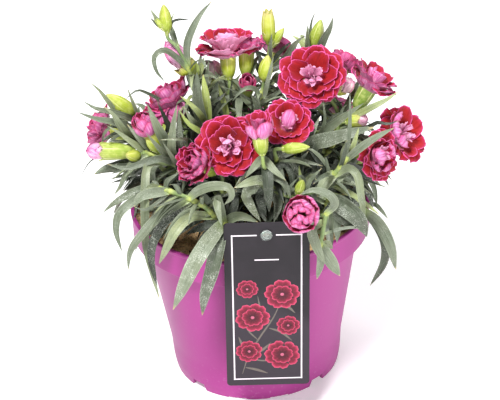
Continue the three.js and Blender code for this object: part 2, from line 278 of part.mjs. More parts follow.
      [5.3, [-60.1, 5, 160.5, 0.28, -0.59, -0.76], [-60.4, 2, 162.7, 0.75, -0.58, -0.32], [-68.2, -16, 180, 0.73, -0.68, -0.09], [-79.5, -22, 189.4, 0.48, -0.82, 0.3], [-90.1, -24, 193.2, 0.25, -0.87, 0.42], [-101.7, -24, 198.6, 0.2, -0.88, 0.43]],
      [6.2, [-60.1, 5, 160.5, 0.85, 0.01, 0.53], [-60.5, 2, 161.3, 0.9, -0.43, 0.03], [-72.5, -20, 178.3, 0.75, -0.63, -0.19], [-76.9, -26, 190.1, 0.37, -0.91, -0.21], [-80.4, -28, 198.8, 0.33, -0.94, 0.07], [-85.4, -28, 203.9, 0.27, -0.92, 0.27]],
      [2, [-67.5, -5, 183.8, 0.55, -0.78, 0.3], [-78, -11.4, 190.7, 0.29, -0.84, 0.46], [-92.1, -12.2, 191.2, 0, -0.86, 0.51]],
      [3.5, [-63.9, 5.7, 162.3, 0.69, -0.05, -0.72], [-63.6, 2, 162.9, 0.81, -0.58, -0.05], [-81.1, -20, 185.7, 0.74, -0.67, 0.03], [-86.1, -22, 182.9, -0.25, -0.95, 0.16], [-88.7, -20, 173.6, -0.23, -0.96, -0.14]],
      [6.2, [-54.6, 4, 157.7, 0.07, -0.19, -0.98], [-54.5, 2, 158.1, 0.51, -0.45, -0.73], [-59.4, -24, 171.3, 0.86, -0.47, -0.19], [-66.4, -30, 183.4, 0.41, -0.91, -0.02], [-71.8, -30, 191.9, 0.25, -0.95, 0.16]],
      [4.7, [-54.6, 4, 157.7, 0.86, -0.51, 0.03], [-55.7, 3.6, 157.2, 0.72, -0.38, -0.58], [-60.7, -23.5, 168.3, 0.92, -0.38, 0.03], [-70.7, -28.8, 179.4, 0.45, -0.88, 0.13], [-77.5, -28.2, 185.6, 0.17, -0.91, 0.39], [-84.5, -25.7, 189.4, 0.04, -0.87, 0.49]],
      [3.7, [-67.2, 6.2, 163.7, -0.92, -0.23, 0.32], [-66.6, 5, 164.3, 0.19, -0.93, 0.32], [-77.2, 8, 174.6, 0.14, -0.93, 0.33], [-82.7, 10, 185.1, 0.14, -0.96, 0.26]],
    ],
    calyxes: [[4.4, [-74.3, 3.3, 165.4], [-87.2, 3.8, 170.8]]],
    buds: [[4.9, [-68.7, -5, 185.3], [-84.6, -7, 200.7]]],
  },
  shoot_14: {
    crown: [-16, -9, 109.3],
    stems: [
      [1.5, 1.2, [-16, -9, 109.3], [-16, -9, 116], [-27.1, -26, 146.7], [-46.4, -30, 164.2], [-59.4, -30, 170.5], [-63.6, -25.7, 170], [-69.4, -26.1, 170.6]],
      [1.5, 1.2, [-61.6, -27.7, 170.4], [-66.7, -29.5, 169.3]],
    ],
    leaves: [
      [4.7, [-44.5, -29.8, 162.9, 0.18, -0.95, 0.25], [-44.1, -30, 161.9, 0.78, -0.63, 0.03], [-53, -40, 172.6, 0.67, -0.67, 0.32], [-63.2, -44, 172.3, 0.19, -0.82, 0.53], [-73.6, -46, 170.5, 0.01, -0.86, 0.51], [-84.9, -44, 172.8, -0.05, -0.86, 0.52]],
      [3.3, [-59.4, -30, 169.8, -0.78, -0.63, 0.04], [-66.2, -22, 162.2, -0.42, -0.81, 0.4], [-77.1, -24, 163.2, 0.05, -0.86, 0.51], [-87.1, -24, 161, -0.11, -0.87, 0.48]],
      [3.3, [-58.4, -30.3, 170.2, 0.1, -0.96, -0.26], [-58.3, -30, 169, -0.5, -0.85, 0.15], [-68.7, -26, 160.4, -0.29, -0.88, 0.38], [-77.3, -28, 159.2, -0.01, -0.86, 0.5], [-84.3, -28, 156.7, -0.16, -0.87, 0.46]],
      [3.7, [-53.4, -30.7, 168.2, -0.42, -0.91, -0.01], [-54.8, -30, 166, -0.53, -0.84, 0.11], [-66.7, -24, 154.9, -0.36, -0.87, 0.35], [-75.9, -26, 154.4, 0.02, -0.86, 0.51], [-85.3, -26, 152.1, -0.12, -0.87, 0.48]],
      [3.1, [-52, -30.6, 167.5, -0.34, -0.94, 0.01], [-53.7, -30, 164.6, -0.54, -0.84, 0.01], [-65.8, -22, 150.1, -0.42, -0.86, 0.3], [-75.6, -24, 150.4, -0.08, -0.87, 0.5], [-85.8, -22, 147, -0.31, -0.85, 0.43]],
      [3.7, [-59.9, -29.7, 170.6, -0.06, -0.89, 0.45], [-60.6, -30, 169.9, 0.11, -0.83, 0.55], [-71.1, -34, 166.4, -0.01, -0.86, 0.5], [-75.3, -36, 159.4, -0.17, -0.96, 0.22], [-78.9, -36, 151.9, -0.31, -0.95, 0.04], [-83.1, -34, 145.3, -0.42, -0.91, -0.01]],
      [1.9, [-54.8, -30.7, 168.8, -0.34, -0.94, -0.09], [-56, -31.9, 167.2, -0.54, -0.84, 0.05], [-70.1, -24.8, 152.8, -0.48, -0.87, 0.1], [-74.8, -25.6, 147.8, -0.36, -0.93, 0.11], [-79.1, -24.3, 141.6, -0.42, -0.91, 0]],
      [1.2, [-63.7, -28.4, 170, -0.91, -0.2, 0.36], [-63, -30, 170.7, -0.4, -0.78, 0.48], [-84.4, -20, 166.3, -0.36, -0.81, 0.46], [-95.7, -20, 162.8, -0.26, -0.91, 0.32], [-104.8, -20, 149.8, -0.26, -0.95, 0.18]],
      [5.3, [-46.4, -30, 164.2, -0.21, -0.89, 0.42], [-47.6, -30, 163.5, 0.74, -0.54, 0.4], [-60.3, -44, 170.7, 0.45, -0.42, 0.79], [-62.7, -54, 159.3, 0.01, -0.8, 0.6], [-63.4, -62, 146.6, -0.01, -0.96, 0.29], [-64.2, -64, 126.6, 0.02, -1, 0], [-62, -62, 105.9, 0.09, -0.99, -0.12], [-58.7, -58, 81.9, 0.11, -0.98, -0.15]],
      [4, [-50.6, -30.4, 166.7, -0.51, -0.85, -0.1], [-51.1, -30, 165.8, 0.1, -0.82, 0.56], [-58, -34, 162.9, -0.1, -0.96, 0.25], [-57.8, -34, 147.4, 0.01, -1, 0]],
      [4.3, [-36.3, -28.9, 156.5, 0.55, -0.75, -0.37], [-35.9, -22.7, 152.3, 0.73, -0.68, 0.07], [-41.6, -26, 157.3, 0.74, -0.59, 0.32], [-48.8, -29.8, 157, 0.62, -0.76, 0.2], [-57.7, -31.9, 167, 0.47, -0.88, 0.06]],
      [5, [-36.3, -28.9, 156.5, -0.51, -0.79, 0.34], [-38.3, -31.6, 157.6, -0.18, -0.91, 0.38], [-44.8, -35.4, 153.2, 0.08, -0.86, 0.51], [-55.5, -36.9, 158.9, 0.19, -0.88, 0.43]],
    ],
    calyxes: [[4.9, [-68.6, -26, 170.5], [-88.1, -27.3, 172.6]]],
    buds: [[3.6, [-66.2, -29, 168.9], [-73.6, -36, 173.9]]],
  },
  shoot_15: {
    crown: [-11, -17, 109.3],
    stems: [
      [2.1, 1.5, [-11, -17, 109.3], [-11, -17, 116], [-20.5, -58, 139.2], [-27.2, -62, 150.1], [-35.7, -65, 157.9], [-44.4, -65, 162.5], [-50.3, -63, 164.1], [-55.1, -61, 164.3]],
    ],
    leaves: [
      [6.2, [-47.3, -64, 163.5, 0.37, -0.79, 0.49], [-57.9, -68, 165, 0.28, -0.8, 0.52], [-65.1, -70, 163.9, -0.26, -0.91, 0.33], [-69.2, -68, 156, -0.37, -0.93, -0.04]],
      [2.9, [-49.7, -63, 163.7, -0.16, -0.93, -0.33], [-48.6, -66, 171.6, -0.44, -0.9, -0.03], [-40.5, -68, 178.4, -0.41, -0.88, 0.23]],
      [3.5, [-53.3, -62, 164, 0.53, -0.82, 0.21], [-57.8, -64, 167.5, 0.49, -0.76, 0.42], [-62, -66, 166.9, 0.28, -0.77, 0.57]],
      [2.5, [-54.5, -61, 164.2, 0.06, -0.94, 0.34], [-55.5, -60, 167.2, -0.1, -0.79, 0.61], [-57.9, -58, 167.5, -0.43, -0.63, 0.65]],
      [2.2, [-47.4, -64, 162.8, 0.25, -0.72, 0.65], [-55.3, -70, 159.2, 0.05, -0.84, 0.53], [-62.7, -70, 154.8, -0.24, -0.85, 0.46], [-68.7, -68, 156, -0.16, -0.82, 0.55]],
      [5.3, [-50.3, -63, 163.8, -0.57, -0.75, 0.35], [-59.6, -58, 159.3, -0.11, -0.87, 0.47], [-70.5, -64, 157.2, 0.18, -0.79, 0.59], [-78.5, -68, 151.7, -0.13, -0.94, 0.31], [-81.1, -68, 140.7, -0.01, -0.99, -0.14], [-79, -64, 122.5, 0.1, -0.97, -0.2]],
      [5.9, [-50.3, -63, 163.8, -0.76, -0.48, 0.44], [-59.8, -50.1, 158.2, -0.46, -0.78, 0.43], [-71.9, -51.2, 155.3, 0, -0.86, 0.51], [-81.8, -52.4, 150.3, -0.16, -0.9, 0.41], [-89.6, -51.7, 143.4, -0.26, -0.91, 0.31]],
      [5.9, [-36.9, -65, 157.9, -0.65, -0.76, -0.04], [-29.2, -72, 167.8, -0.65, -0.75, 0.15], [-19.6, -77, 172.9, -0.48, -0.76, 0.44], [-12, -80, 172.8, 0.02, -0.87, 0.5], [-10.5, -80, 167.3, -0.24, -0.95, -0.21], [-15.5, -76, 159, -0.51, -0.85, -0.1]],
      [6.5, [-22.3, -60.1, 142.6, -0.23, -0.86, 0.46], [-23.3, -60, 142.3, 0.54, -0.72, 0.43], [-36.3, -68, 147.2, 0.51, -0.64, 0.57], [-44.9, -76, 143.4, 0.04, -0.84, 0.55], [-50.9, -78, 133.1, -0.26, -0.96, 0.05], [-56.7, -74, 118.9, -0.33, -0.94, -0.13]],
      [5.6, [-35.7, -65, 157.9, -0.17, -0.89, 0.43], [-53, -66, 149, -0.18, -0.9, 0.39], [-65.1, -68, 137.6, -0.22, -0.93, 0.28], [-73.2, -68, 126.1, -0.25, -0.97, -0.03], [-76.4, -64, 108.7, -0.16, -0.97, -0.19]],
      [5.6, [-33.9, -64.6, 156.5, -0.69, -0.71, 0.11], [-34.6, -64, 155.8, -0.1, -0.89, 0.44], [-50.2, -68, 145.9, -0.13, -0.91, 0.39], [-58.8, -70, 133.5, -0.21, -0.97, 0.09], [-61.5, -68, 119.7, -0.02, -0.98, -0.21], [-59.6, -62, 95.6, 0.08, -0.97, -0.23]],
      [2.2, [-53.3, -62, 163.4, -0.24, -0.86, 0.45], [-68.6, -60, 158.9, -0.34, -0.9, 0.27], [-68.6, -60, 150.6, -0.1, -0.99, -0.09], [-71.2, -58, 140.4, -0.2, -0.97, -0.14]],
      [6.2, [-24.3, -61, 146, -0.25, -0.89, 0.38], [-25.6, -61, 145.2, -0.14, -0.88, 0.45], [-36.8, -62, 140.1, -0.13, -0.89, 0.43], [-48.1, -64, 132.1, -0.27, -0.93, 0.25], [-55.5, -62, 119.9, -0.34, -0.94, 0.05]],
      [5.6, [-30.1, -63, 152.2, -0.5, -0.81, 0.31], [-42.5, -58, 145.1, -0.42, -0.86, 0.29], [-56.5, -56, 134.8, -0.37, -0.9, 0.23], [-64.4, -54, 125.5, -0.39, -0.91, 0.14]],
    ],
    calyxes: [],
    buds: [],
  },
  shoot_16: {
    crown: [-5, -20, 109.3],
    stems: [
      [2.2, 1.8, [-5, -20, 109.3], [-5, -20, 116], [-15.1, -60, 138.4], [-16.3, -66, 139.9]],
    ],
    leaves: [
      [9.6, [-16.3, -66, 139.9, 0.9, -0.4, 0.2], [-16.9, -67, 140.6, 0.53, -0.29, 0.8], [-26.7, -86, 139.4, 0.34, -0.52, 0.79], [-34.3, -93, 131, -0.11, -0.93, 0.34], [-41.8, -93, 115.2, -0.28, -0.96, -0.04], [-49.7, -87, 93.9, -0.31, -0.94, -0.15]],
      [9, [-16.3, -66, 139.9, 0.52, -0.37, 0.77], [-16.9, -65.4, 138.9, 0.23, -0.26, 0.94], [-21, -83.5, 134.1, 0.12, -0.58, 0.8], [-24.6, -87.8, 121.7, -0.1, -0.97, 0.2], [-29.7, -87.2, 104.6, -0.16, -0.98, -0.1], [-32.5, -81.7, 85.3, -0.14, -0.96, -0.23]],
      [5.9, [-16.3, -66, 140.6, 0.16, -0.96, -0.23], [-20, -72, 163.1, 0.31, -0.77, -0.56], [-19.2, -80, 158.2, -0.02, -0.77, 0.64], [-17.3, -84, 148.8, 0.02, -0.92, 0.39]],
      [5.3, [-16.9, -64, 139.5, -0.08, -0.87, 0.49], [-29.7, -64, 137.4, -0.23, -0.87, 0.44], [-39.6, -62, 131.8, -0.37, -0.86, 0.35]],
      [5, [-16.9, -65, 139.4, 0.29, -0.74, 0.6], [-25.5, -70, 137.3, -0.06, -0.88, 0.47], [-33.8, -70, 127.9, -0.27, -0.93, 0.24]],
      [5.9, [-16.3, -63, 139.5, -0.57, -0.79, 0.25], [-6.4, -68, 146.2, -0.35, -0.8, 0.49], [4.1, -70, 142.6, 0.01, -0.86, 0.5]],
      [5, [-15.1, -60, 138.4, -0.21, -0.89, 0.41], [-16.3, -60, 137.7, -0.04, -0.89, 0.45], [-9.2, -56, 146.9, -0.04, -0.9, 0.43], [-8.1, -52, 155, -0.01, -0.9, 0.44]],
    ],
    calyxes: [],
    buds: [],
  },
  shoot_17: {
    crown: [17, -16, 109.3],
    stems: [
      [2, 1.5, [17, -16, 109.3], [17, -16, 116], [41.6, -46, 150.1], [51.1, -54, 163.9], [55.9, -56, 170.9], [59.6, -56, 176.9]],
    ],
    leaves: [
      [5, [57.8, -56, 173.6, -0.55, -0.84, -0.02], [66.5, -62, 185.3, -0.48, -0.87, 0.12], [77.1, -64, 193.8, -0.23, -0.89, 0.38], [86.7, -62, 197.6, -0.01, -0.87, 0.5]],
      [3.1, [59, -56, 175.5, -0.3, -0.95, -0.09], [62.6, -58, 184.6, -0.18, -0.98, 0.07], [66.5, -56, 196.1, -0.11, -0.97, 0.21]],
      [2.6, [57.1, -56, 172.2, -0.14, -0.98, -0.12], [59.6, -58, 185.5, -0.08, -1, 0.01], [61.2, -56, 201.1, -0.02, -0.97, 0.25], [61.9, -50, 216.6, -0.01, -0.93, 0.36]],
      [5, [51.1, -54, 163.9, -0.57, -0.41, 0.71], [51.6, -55, 163.7, -0.71, -0.69, 0.14], [60.3, -62, 172, -0.7, -0.59, 0.4], [64.2, -66, 169.3, 0.05, -0.92, 0.38], [66.2, -68, 156.6, 0.07, -1, 0.01], [68.4, -66, 135, 0.07, -0.99, -0.08]],
      [7.4, [51.7, -54, 164.5, 0.46, -0.53, 0.72], [46.5, -60, 163.4, 0.12, -0.77, 0.62], [40.1, -64, 154.3, -0.05, -0.9, 0.43]],
      [2.8, [54.7, -56, 168.9, -0.24, -0.88, -0.42], [57.4, -64, 184.2, -0.19, -0.92, -0.35], [58.7, -66, 193.3, -0.12, -0.97, -0.2]],
      [5, [45.7, -50, 156.3, 0, -0.86, 0.51], [38.7, -48, 159.8, -0.22, -0.83, 0.52], [30.8, -46, 156.3, -0.38, -0.84, 0.38]],
    ],
    calyxes: [],
    buds: [],
  },
  shoot_18: {
    crown: [21, -10, 109.3],
    stems: [
      [2, 1.6, [21, -10, 109.3], [21, -10, 116], [43.9, -38, 128.2], [48.3, -54, 146.6], [51.7, -58, 146]],
    ],
    leaves: [
      [11.2, [48.3, -54, 146.6, -0.67, -0.3, 0.68], [55.4, -66, 148.4, -0.42, -0.57, 0.71], [63.4, -70, 142.6, 0.29, -0.95, 0.09], [69.6, -64, 124.6, 0.32, -0.93, -0.2]],
      [5.9, [49.6, -55.8, 146.8, -0.06, -0.97, -0.23], [49.4, -55, 143.6, -0.13, -0.65, 0.74], [54.6, -66, 138.6, -0.05, -0.84, 0.55], [64.3, -64, 131.2, 0.39, -0.88, 0.27]],
      [5, [49.2, -55.4, 146.8, 0.75, -0.62, 0.23], [50.7, -54, 145.8, -0.27, -0.82, 0.5], [58.9, -58, 147.7, 0.04, -0.87, 0.5], [67.4, -56, 141.1, 0.41, -0.88, 0.26]],
      [5.9, [47.8, -52.8, 145.8, -0.3, -0.55, 0.78], [47.2, -52.9, 146.8, -0.18, -0.75, 0.63], [41.4, -49.4, 150.7, -0.24, -0.97, -0.07], [51.6, -55.8, 160, -0.44, -0.86, 0.26], [62.5, -56.2, 166.5, -0.23, -0.89, 0.39]],
      [4.7, [46.9, -48.6, 140.8, 0.08, -0.88, 0.47], [42.5, -48, 142.7, 0.1, -0.92, 0.39], [25.9, -40, 166.4, 0.12, -0.99, 0.11], [35.4, -46, 168.5, -0.33, -0.78, 0.54], [44.9, -48, 166.3, -0.06, -0.85, 0.52]],
      [5.3, [50.6, -56.9, 146.3, 0.43, -0.84, -0.33], [51.2, -56, 144.8, 0.01, -0.91, 0.41], [51.8, -62, 135, 0, -0.97, 0.24], [51.5, -62, 120.1, -0.01, -1, 0]],
      [3.7, [49.9, -56.1, 146.7, 0.53, -0.79, -0.32], [50.6, -56.1, 145.6, 0.04, -0.83, 0.56], [45.4, -61.7, 142.2, 0, -0.87, 0.5], [47.3, -66.2, 130.7, 0.03, -0.95, 0.33]],
    ],
    calyxes: [],
    buds: [],
  },
  shoot_19: {
    crown: [23, -2, 109.3],
    stems: [
      [2, 1.5, [23, -2, 109.3], [23, -2, 116], [59, -22, 124.4], [69.1, -30, 124.2]],
    ],
    leaves: [
      [7.4, [69, -30, 123.4, -0.28, -0.67, 0.69], [77.7, -38, 119.1, -0.03, -0.84, 0.54], [84.7, -42, 105.9, 0.17, -0.98, 0.05], [89.2, -38, 83.3, 0.16, -0.98, -0.14]],
      [6.2, [68.4, -30, 124.2, 0.35, -0.93, 0.11], [77.8, -28, 111.6, 0.24, -0.96, 0.14], [83.1, -30, 98.6, 0.08, -0.99, 0.09], [82.3, -30, 84.6, -0.19, -0.98, -0.06], [73.5, -26, 64.5, -0.3, -0.95, -0.06]],
      [2.9, [68.4, -30, 124.9, 0.12, -0.84, 0.53], [76.7, -28, 126.2, -0.1, -0.85, 0.52], [80.7, -32, 124, 0.05, -0.89, 0.45], [85, -32, 117.2, 0.25, -0.95, 0.16]],
      [4.3, [66.3, -27.7, 124.3, 0.45, -0.89, 0.05], [65.5, -28, 125.4, -0.07, -0.95, 0.3], [72.4, -22, 143.7, -0.27, -0.93, 0.25], [76.8, -28, 137.6, 0.07, -0.95, 0.3], [78.5, -28, 123.2, 0.07, -1, 0.01]],
      [1.9, [66.3, -27.7, 124.3, 0.45, -0.89, 0.05], [65.5, -28, 125.4, 0.08, -0.78, 0.62], [76.5, -16, 137.9, 0.17, -0.78, 0.61], [81.3, -18, 133.7, 0.11, -0.89, 0.44], [86.9, -18, 131.3, 0.19, -0.88, 0.43]],
      [4.3, [63.1, -26, 125, -0.24, -0.96, -0.15], [68.1, -30, 142.1, -0.66, -0.74, 0.12], [73.9, -34, 134.9, 0.16, -0.97, 0.18], [75.7, -32, 124.3, 0.15, -0.98, -0.16]],
      [4.3, [61.9, -25, 124.5, -0.28, -0.87, -0.39], [63, -32, 139.3, -0.77, -0.63, -0.07], [70, -36, 135.5, -0.14, -0.8, 0.59]],
    ],
    calyxes: [],
    buds: [],
  },
  shoot_20: {
    crown: [3, -21, 109.3],
    stems: [
      [2.1, 1.6, [3, -21, 109.3], [3, -21, 116], [10, -52, 156.7], [11.5, -56, 165.9]],
      [1.5, 1.2, [9.5, -49.9, 153.7], [22.9, -58, 152.5], [27.6, -60.4, 152], [29.1, -62.3, 157.3]],
    ],
    leaves: [
      [6.8, [11.5, -56, 165.9, -0.08, 0.89, 0.45], [11, -60, 173.7, 0.06, 0, 1], [11.1, -68, 165.9, 0, -0.93, 0.38], [11, -70, 149.1, 0, -0.99, 0.12]],
      [5.9, [11.5, -56, 165.9, 0.16, -0.42, 0.89], [11.4, -58, 165, 0.68, -0.52, 0.52], [1.7, -66, 168.7, 0.39, -0.75, 0.54], [-9.1, -68, 165.7, 0.02, -0.86, 0.51]],
      [4.3, [11.5, -56, 166.6, -0.35, -0.7, 0.63], [20.2, -62, 164.7, -0.03, -0.85, 0.53], [24.5, -64, 154.5, 0.12, -0.96, 0.24]],
      [4, [11.4, -55, 163.9, 0.2, -0.75, 0.63], [21.5, -48, 169.1, 0.26, -0.84, 0.48], [25.9, -52, 161.4, 0.03, -0.98, 0.19], [23, -52, 148.3, -0.12, -0.99, 0.03]],
      [6.2, [10, -52, 156.7, 0.19, -0.82, 0.54], [-2.2, -56, 154.9, 0.15, -0.73, 0.67], [1, -62, 147.7, 0.03, -0.89, 0.46], [6, -64, 138.8, 0.13, -0.95, 0.29]],
      [5.6, [10, -52, 156.7, 0.09, -0.78, 0.62], [6.1, -57.4, 153.1, 0, -0.9, 0.44], [9.2, -62.2, 141.7, 0.05, -0.94, 0.33]],
      [5.6, [10, -52, 156.7, -0.05, -0.82, 0.57], [16.8, -58, 148.7, -0.01, -0.84, 0.55], [13.8, -64, 138.4, 0, -0.86, 0.5]],
      [4.3, [10, -52, 156.7, -0.02, -0.86, 0.51], [30.2, -56, 150.9, -0.32, -0.89, 0.32], [30.3, -54, 171.2, 0, -1, 0.1]],
      [4, [10, -50, 154.2, -0.33, -0.79, 0.51], [32.1, -58, 156.2, -0.45, -0.81, 0.39], [37.6, -60, 165.3, -0.27, -0.94, 0.22], [43.8, -58, 170.7, -0.09, -0.9, 0.43]],
    ],
    calyxes: [],
    buds: [[3, [28.9, -62, 156.6], [32, -66, 167.7]]],
  },
  shoot_21: {
    crown: [-7, -6, 109.3],
    stems: [
      [2, 1.5, [-7, -6, 109.3], [-7, -6, 116], [-22.6, -10, 160.1], [-23.5, -14, 177.8]],
    ],
    leaves: [
      [7.4, [-23.5, -14, 177.8, 0.03, -0.86, 0.5], [-24.8, -14, 177.9, 0.24, -0.95, -0.22], [-28.6, -20, 197.9, 0.06, -0.99, -0.14], [-28, -20, 219.6, -0.02, -1, 0]],
      [6.2, [-23.5, -14, 177.8, -0.03, -1, 0], [-23.5, -14, 179.2, 0, -0.99, -0.17], [-23.6, -18, 200.7, 0.02, -1, -0.05], [-24.6, -16, 216, 0.03, -0.99, 0.13]],
      [4, [-23.5, -14, 177.8, 0.42, -0.79, -0.44], [-28.2, -26, 194.9, 0.46, -0.85, -0.26], [-34.3, -28, 203.8, 0.35, -0.92, 0.15], [-38.9, -28, 208.1, 0.27, -0.92, 0.28]],
      [4, [-23.5, -14, 177.8, 0.7, -0.5, 0.51], [-24.8, -16, 177.6, 0.78, -0.61, -0.11], [-32.6, -28, 191.4, 0.51, -0.84, -0.17], [-36.9, -28, 200.5, 0.22, -0.97, 0.1]],
      [3.7, [-22.8, -12, 168.3, 0.7, -0.58, -0.41], [-27.6, -28, 182.9, 0.66, -0.73, -0.19], [-34.6, -28, 188.8, 0.13, -0.92, 0.37], [-40.7, -24, 197.2, 0.04, -0.89, 0.45]],
      [3.7, [-23.5, -14, 177.8, 0, -0.87, 0.5], [-20.5, -8, 188.4, -0.02, -0.88, 0.48], [-11.4, -4, 196.8, -0.04, -0.88, 0.47]],
    ],
    calyxes: [],
    buds: [],
  },
  shoot_22: {
    crown: [-15, 16, 109.3],
    stems: [
      [2, 1.4, [-15, 16, 109.3], [-15, 16, 116], [-26, 28, 124], [-38, 40, 134]],
      [1.7, 1.3, [-35.6, 37.6, 132], [-44, 45, 139], [-46.1, 39.3, 132.7], [-50.1, 44.1, 137.7]],
    ],
    leaves: [
      [8.2, [-15, 16, 116, 0.14, -0.13, 0.98], [-22, 23.4, 118, 0.08, -0.07, 0.99], [-29.1, 30.9, 118.2, -0.06, 0.08, 1], [-36.1, 38.2, 116, -0.23, 0.26, 0.94], [-42.4, 44.9, 111.2, -0.31, 0.35, 0.89]],
      [7.9, [-15, 16, 116, -0.75, 0.63, 0.2], [-12.6, 15.5, 126.8, -0.74, 0.63, 0.26], [-9.1, 14.2, 137.3, -0.69, 0.61, 0.39], [-4.3, 12, 147, -0.6, 0.57, 0.56], [2.3, 8.7, 155.3, -0.54, 0.54, 0.64]],
      [8.1, [-22.9, 24.7, 122, 0.05, 0.98, 0.17], [-33.3, 26.4, 124.6, -0.01, 0.98, 0.19], [-43.9, 26.1, 126.7, -0.13, 0.97, 0.21], [-54.6, 24.6, 127.2, -0.25, 0.95, 0.2], [-65, 22.3, 125.1, -0.31, 0.93, 0.2]],
      [8.4, [-22.9, 24.7, 122, -0.92, -0.02, 0.39], [-22.3, 38, 122.6, -0.92, 0.04, 0.39], [-20.6, 50.1, 122.3, -0.91, 0.18, 0.38], [-18, 61.3, 119.9, -0.88, 0.32, 0.34], [-15, 71.2, 115, -0.87, 0.39, 0.32]],
      [7.6, [-30, 32, 127.2, -0.6, 0.76, -0.24], [-32.6, 33, 136.7, -0.61, 0.77, -0.2], [-34.7, 33.2, 146.5, -0.63, 0.77, -0.12], [-36.6, 32.7, 156.2, -0.65, 0.76, -0.04], [-38.3, 31.2, 165.9, -0.65, 0.76, 0]],
      [7.3, [-30, 32, 127.2, -0.28, 0.09, 0.96], [-35.8, 39.7, 126.8, -0.32, 0.15, 0.93], [-41.3, 47.2, 125.3, -0.43, 0.29, 0.86], [-46.5, 54.4, 122.3, -0.53, 0.43, 0.74], [-51, 60.9, 117.8, -0.57, 0.49, 0.66]],
      [7.8, [-37, 39, 133.2, -0.88, -0.11, 0.47], [-36.9, 46.5, 135.2, -0.88, -0.04, 0.48], [-36, 54.2, 136.3, -0.86, 0.11, 0.49], [-34.6, 61.8, 135.8, -0.84, 0.27, 0.47], [-32.8, 69, 133.5, -0.82, 0.36, 0.45]],
      [6.6, [-37, 39, 133.2, 0.11, 0.87, 0.47], [-45.6, 38.8, 135.4, 0.04, 0.87, 0.49], [-54.5, 37.9, 136.6, -0.11, 0.86, 0.5], [-63.2, 36.2, 136, -0.28, 0.84, 0.47], [-71.4, 34.1, 133.3, -0.36, 0.82, 0.45]],
    ],
    calyxes: [[4.7, [-49.6, 43.5, 137.1], [-57.1, 52.5, 146.4]]],
    buds: [],
  },
  shoot_23: {
    crown: [-2, 22, 109.3],
    stems: [
      [2, 1.4, [-2, 22, 109.3], [-2, 22, 116], [-4, 38, 124], [-6, 52, 130]],
      [1.7, 1.3, [-5.8, 50.6, 129.4], [-6, 60, 132], [-6.6, 58.8, 122.6], [-7, 64.8, 127.8]],
    ],
    leaves: [
      [7.5, [-1.9, 21.5, 114.7, 0.35, 0.75, 0.56], [-6.1, 16.8, 123.5, 0.32, 0.72, 0.62], [-10.9, 11.1, 131.3, 0.23, 0.62, 0.75], [-16.5, 4.1, 137.4, 0.1, 0.46, 0.88], [-22.7, -4.1, 140.7, 0.02, 0.36, 0.93]],
      [8.7, [-1.9, 21.5, 114.7, -0.49, -0.35, 0.8], [3.2, 29.1, 121.2, -0.45, -0.3, 0.84], [9, 37.4, 126.2, -0.35, -0.15, 0.92], [15.5, 46.3, 128.7, -0.21, 0.06, 0.98], [22.3, 55.3, 127.9, -0.12, 0.18, 0.98]],
      [8.2, [-3, 30.4, 121.1, 0.36, 0.9, -0.24], [-8.3, 34.5, 128.5, 0.34, 0.92, -0.21], [-14.1, 37.9, 135.8, 0.29, 0.95, -0.15], [-21, 40.7, 142.5, 0.24, 0.96, -0.12], [-29.2, 43, 147.8, 0.21, 0.97, -0.1]],
      [8.7, [-3, 30.4, 121.1, -0.6, 0.43, 0.68], [2, 40.9, 120.6, -0.56, 0.49, 0.66], [7.7, 50.7, 119, -0.49, 0.62, 0.61], [13.7, 59.8, 115.4, -0.41, 0.75, 0.52], [19.5, 67.7, 110, -0.37, 0.81, 0.46]],
      [7.8, [-4.5, 41.6, 125.6, -0.58, 0.79, -0.21], [-1, 45.9, 132.3, -0.56, 0.81, -0.17], [3.2, 49.8, 139, -0.52, 0.85, -0.11], [8.4, 53.4, 145, -0.47, 0.88, -0.07], [14.9, 56.8, 149.8, -0.44, 0.9, -0.05]],
      [8, [-4.5, 41.6, 125.6, 0.49, 0.55, 0.67], [-11.5, 43.6, 127.8, 0.44, 0.61, 0.66], [-18.7, 47.3, 127, 0.33, 0.72, 0.62], [-25.7, 50.5, 124.1, 0.21, 0.82, 0.53], [-32, 52.7, 119, 0.16, 0.86, 0.48]],
      [7.1, [-5.8, 50.8, 129.5, -0.42, 0.36, 0.83], [-4, 58.4, 128.5, -0.4, 0.43, 0.81], [-1.8, 65.7, 126.6, -0.36, 0.58, 0.73], [0.4, 72.3, 123.6, -0.31, 0.73, 0.61], [2.6, 78.1, 119.4, -0.29, 0.79, 0.54]],
      [8.3, [-5.8, 50.8, 129.5, 0.21, 0.93, -0.3], [-9.5, 54.1, 137.1, 0.2, 0.95, -0.26], [-13.5, 56.6, 144.8, 0.16, 0.97, -0.2], [-18.3, 58.7, 152.3, 0.13, 0.98, -0.15], [-24.2, 60.2, 158.9, 0.11, 0.99, -0.13]],
    ],
    calyxes: [[4.7, [-6.9, 64, 127.2], [-7.7, 75.4, 137]]],
    buds: [],
  },
  shoot_24: {
    crown: [14, 16, 109.3],
    stems: [
      [2, 1.4, [14, 16, 109.3], [14, 16, 116], [26, 30, 124], [38, 42, 134]],
      [1.7, 1.3, [35.6, 39.6, 132], [46, 46, 139], [48.7, 40.7, 132.8], [53.1, 45.1, 137.8]],
    ],
    leaves: [
      [7.2, [14, 16, 116, 0.91, 0.05, 0.42], [9.3, 23.5, 125.3, 0.88, 0.09, 0.47], [3.1, 31.3, 133.5, 0.8, 0.19, 0.57], [-4.6, 39.5, 139.6, 0.68, 0.34, 0.65], [-13.8, 48.1, 142.4, 0.6, 0.41, 0.68]],
      [8.1, [14, 16, 116, -0.36, 0.61, 0.7], [24.1, 16.2, 120.9, -0.29, 0.61, 0.74], [34.8, 15.8, 124.3, -0.11, 0.61, 0.78], [45.9, 14.7, 125.3, 0.12, 0.6, 0.79], [56.8, 13.1, 123.2, 0.24, 0.58, 0.78]],
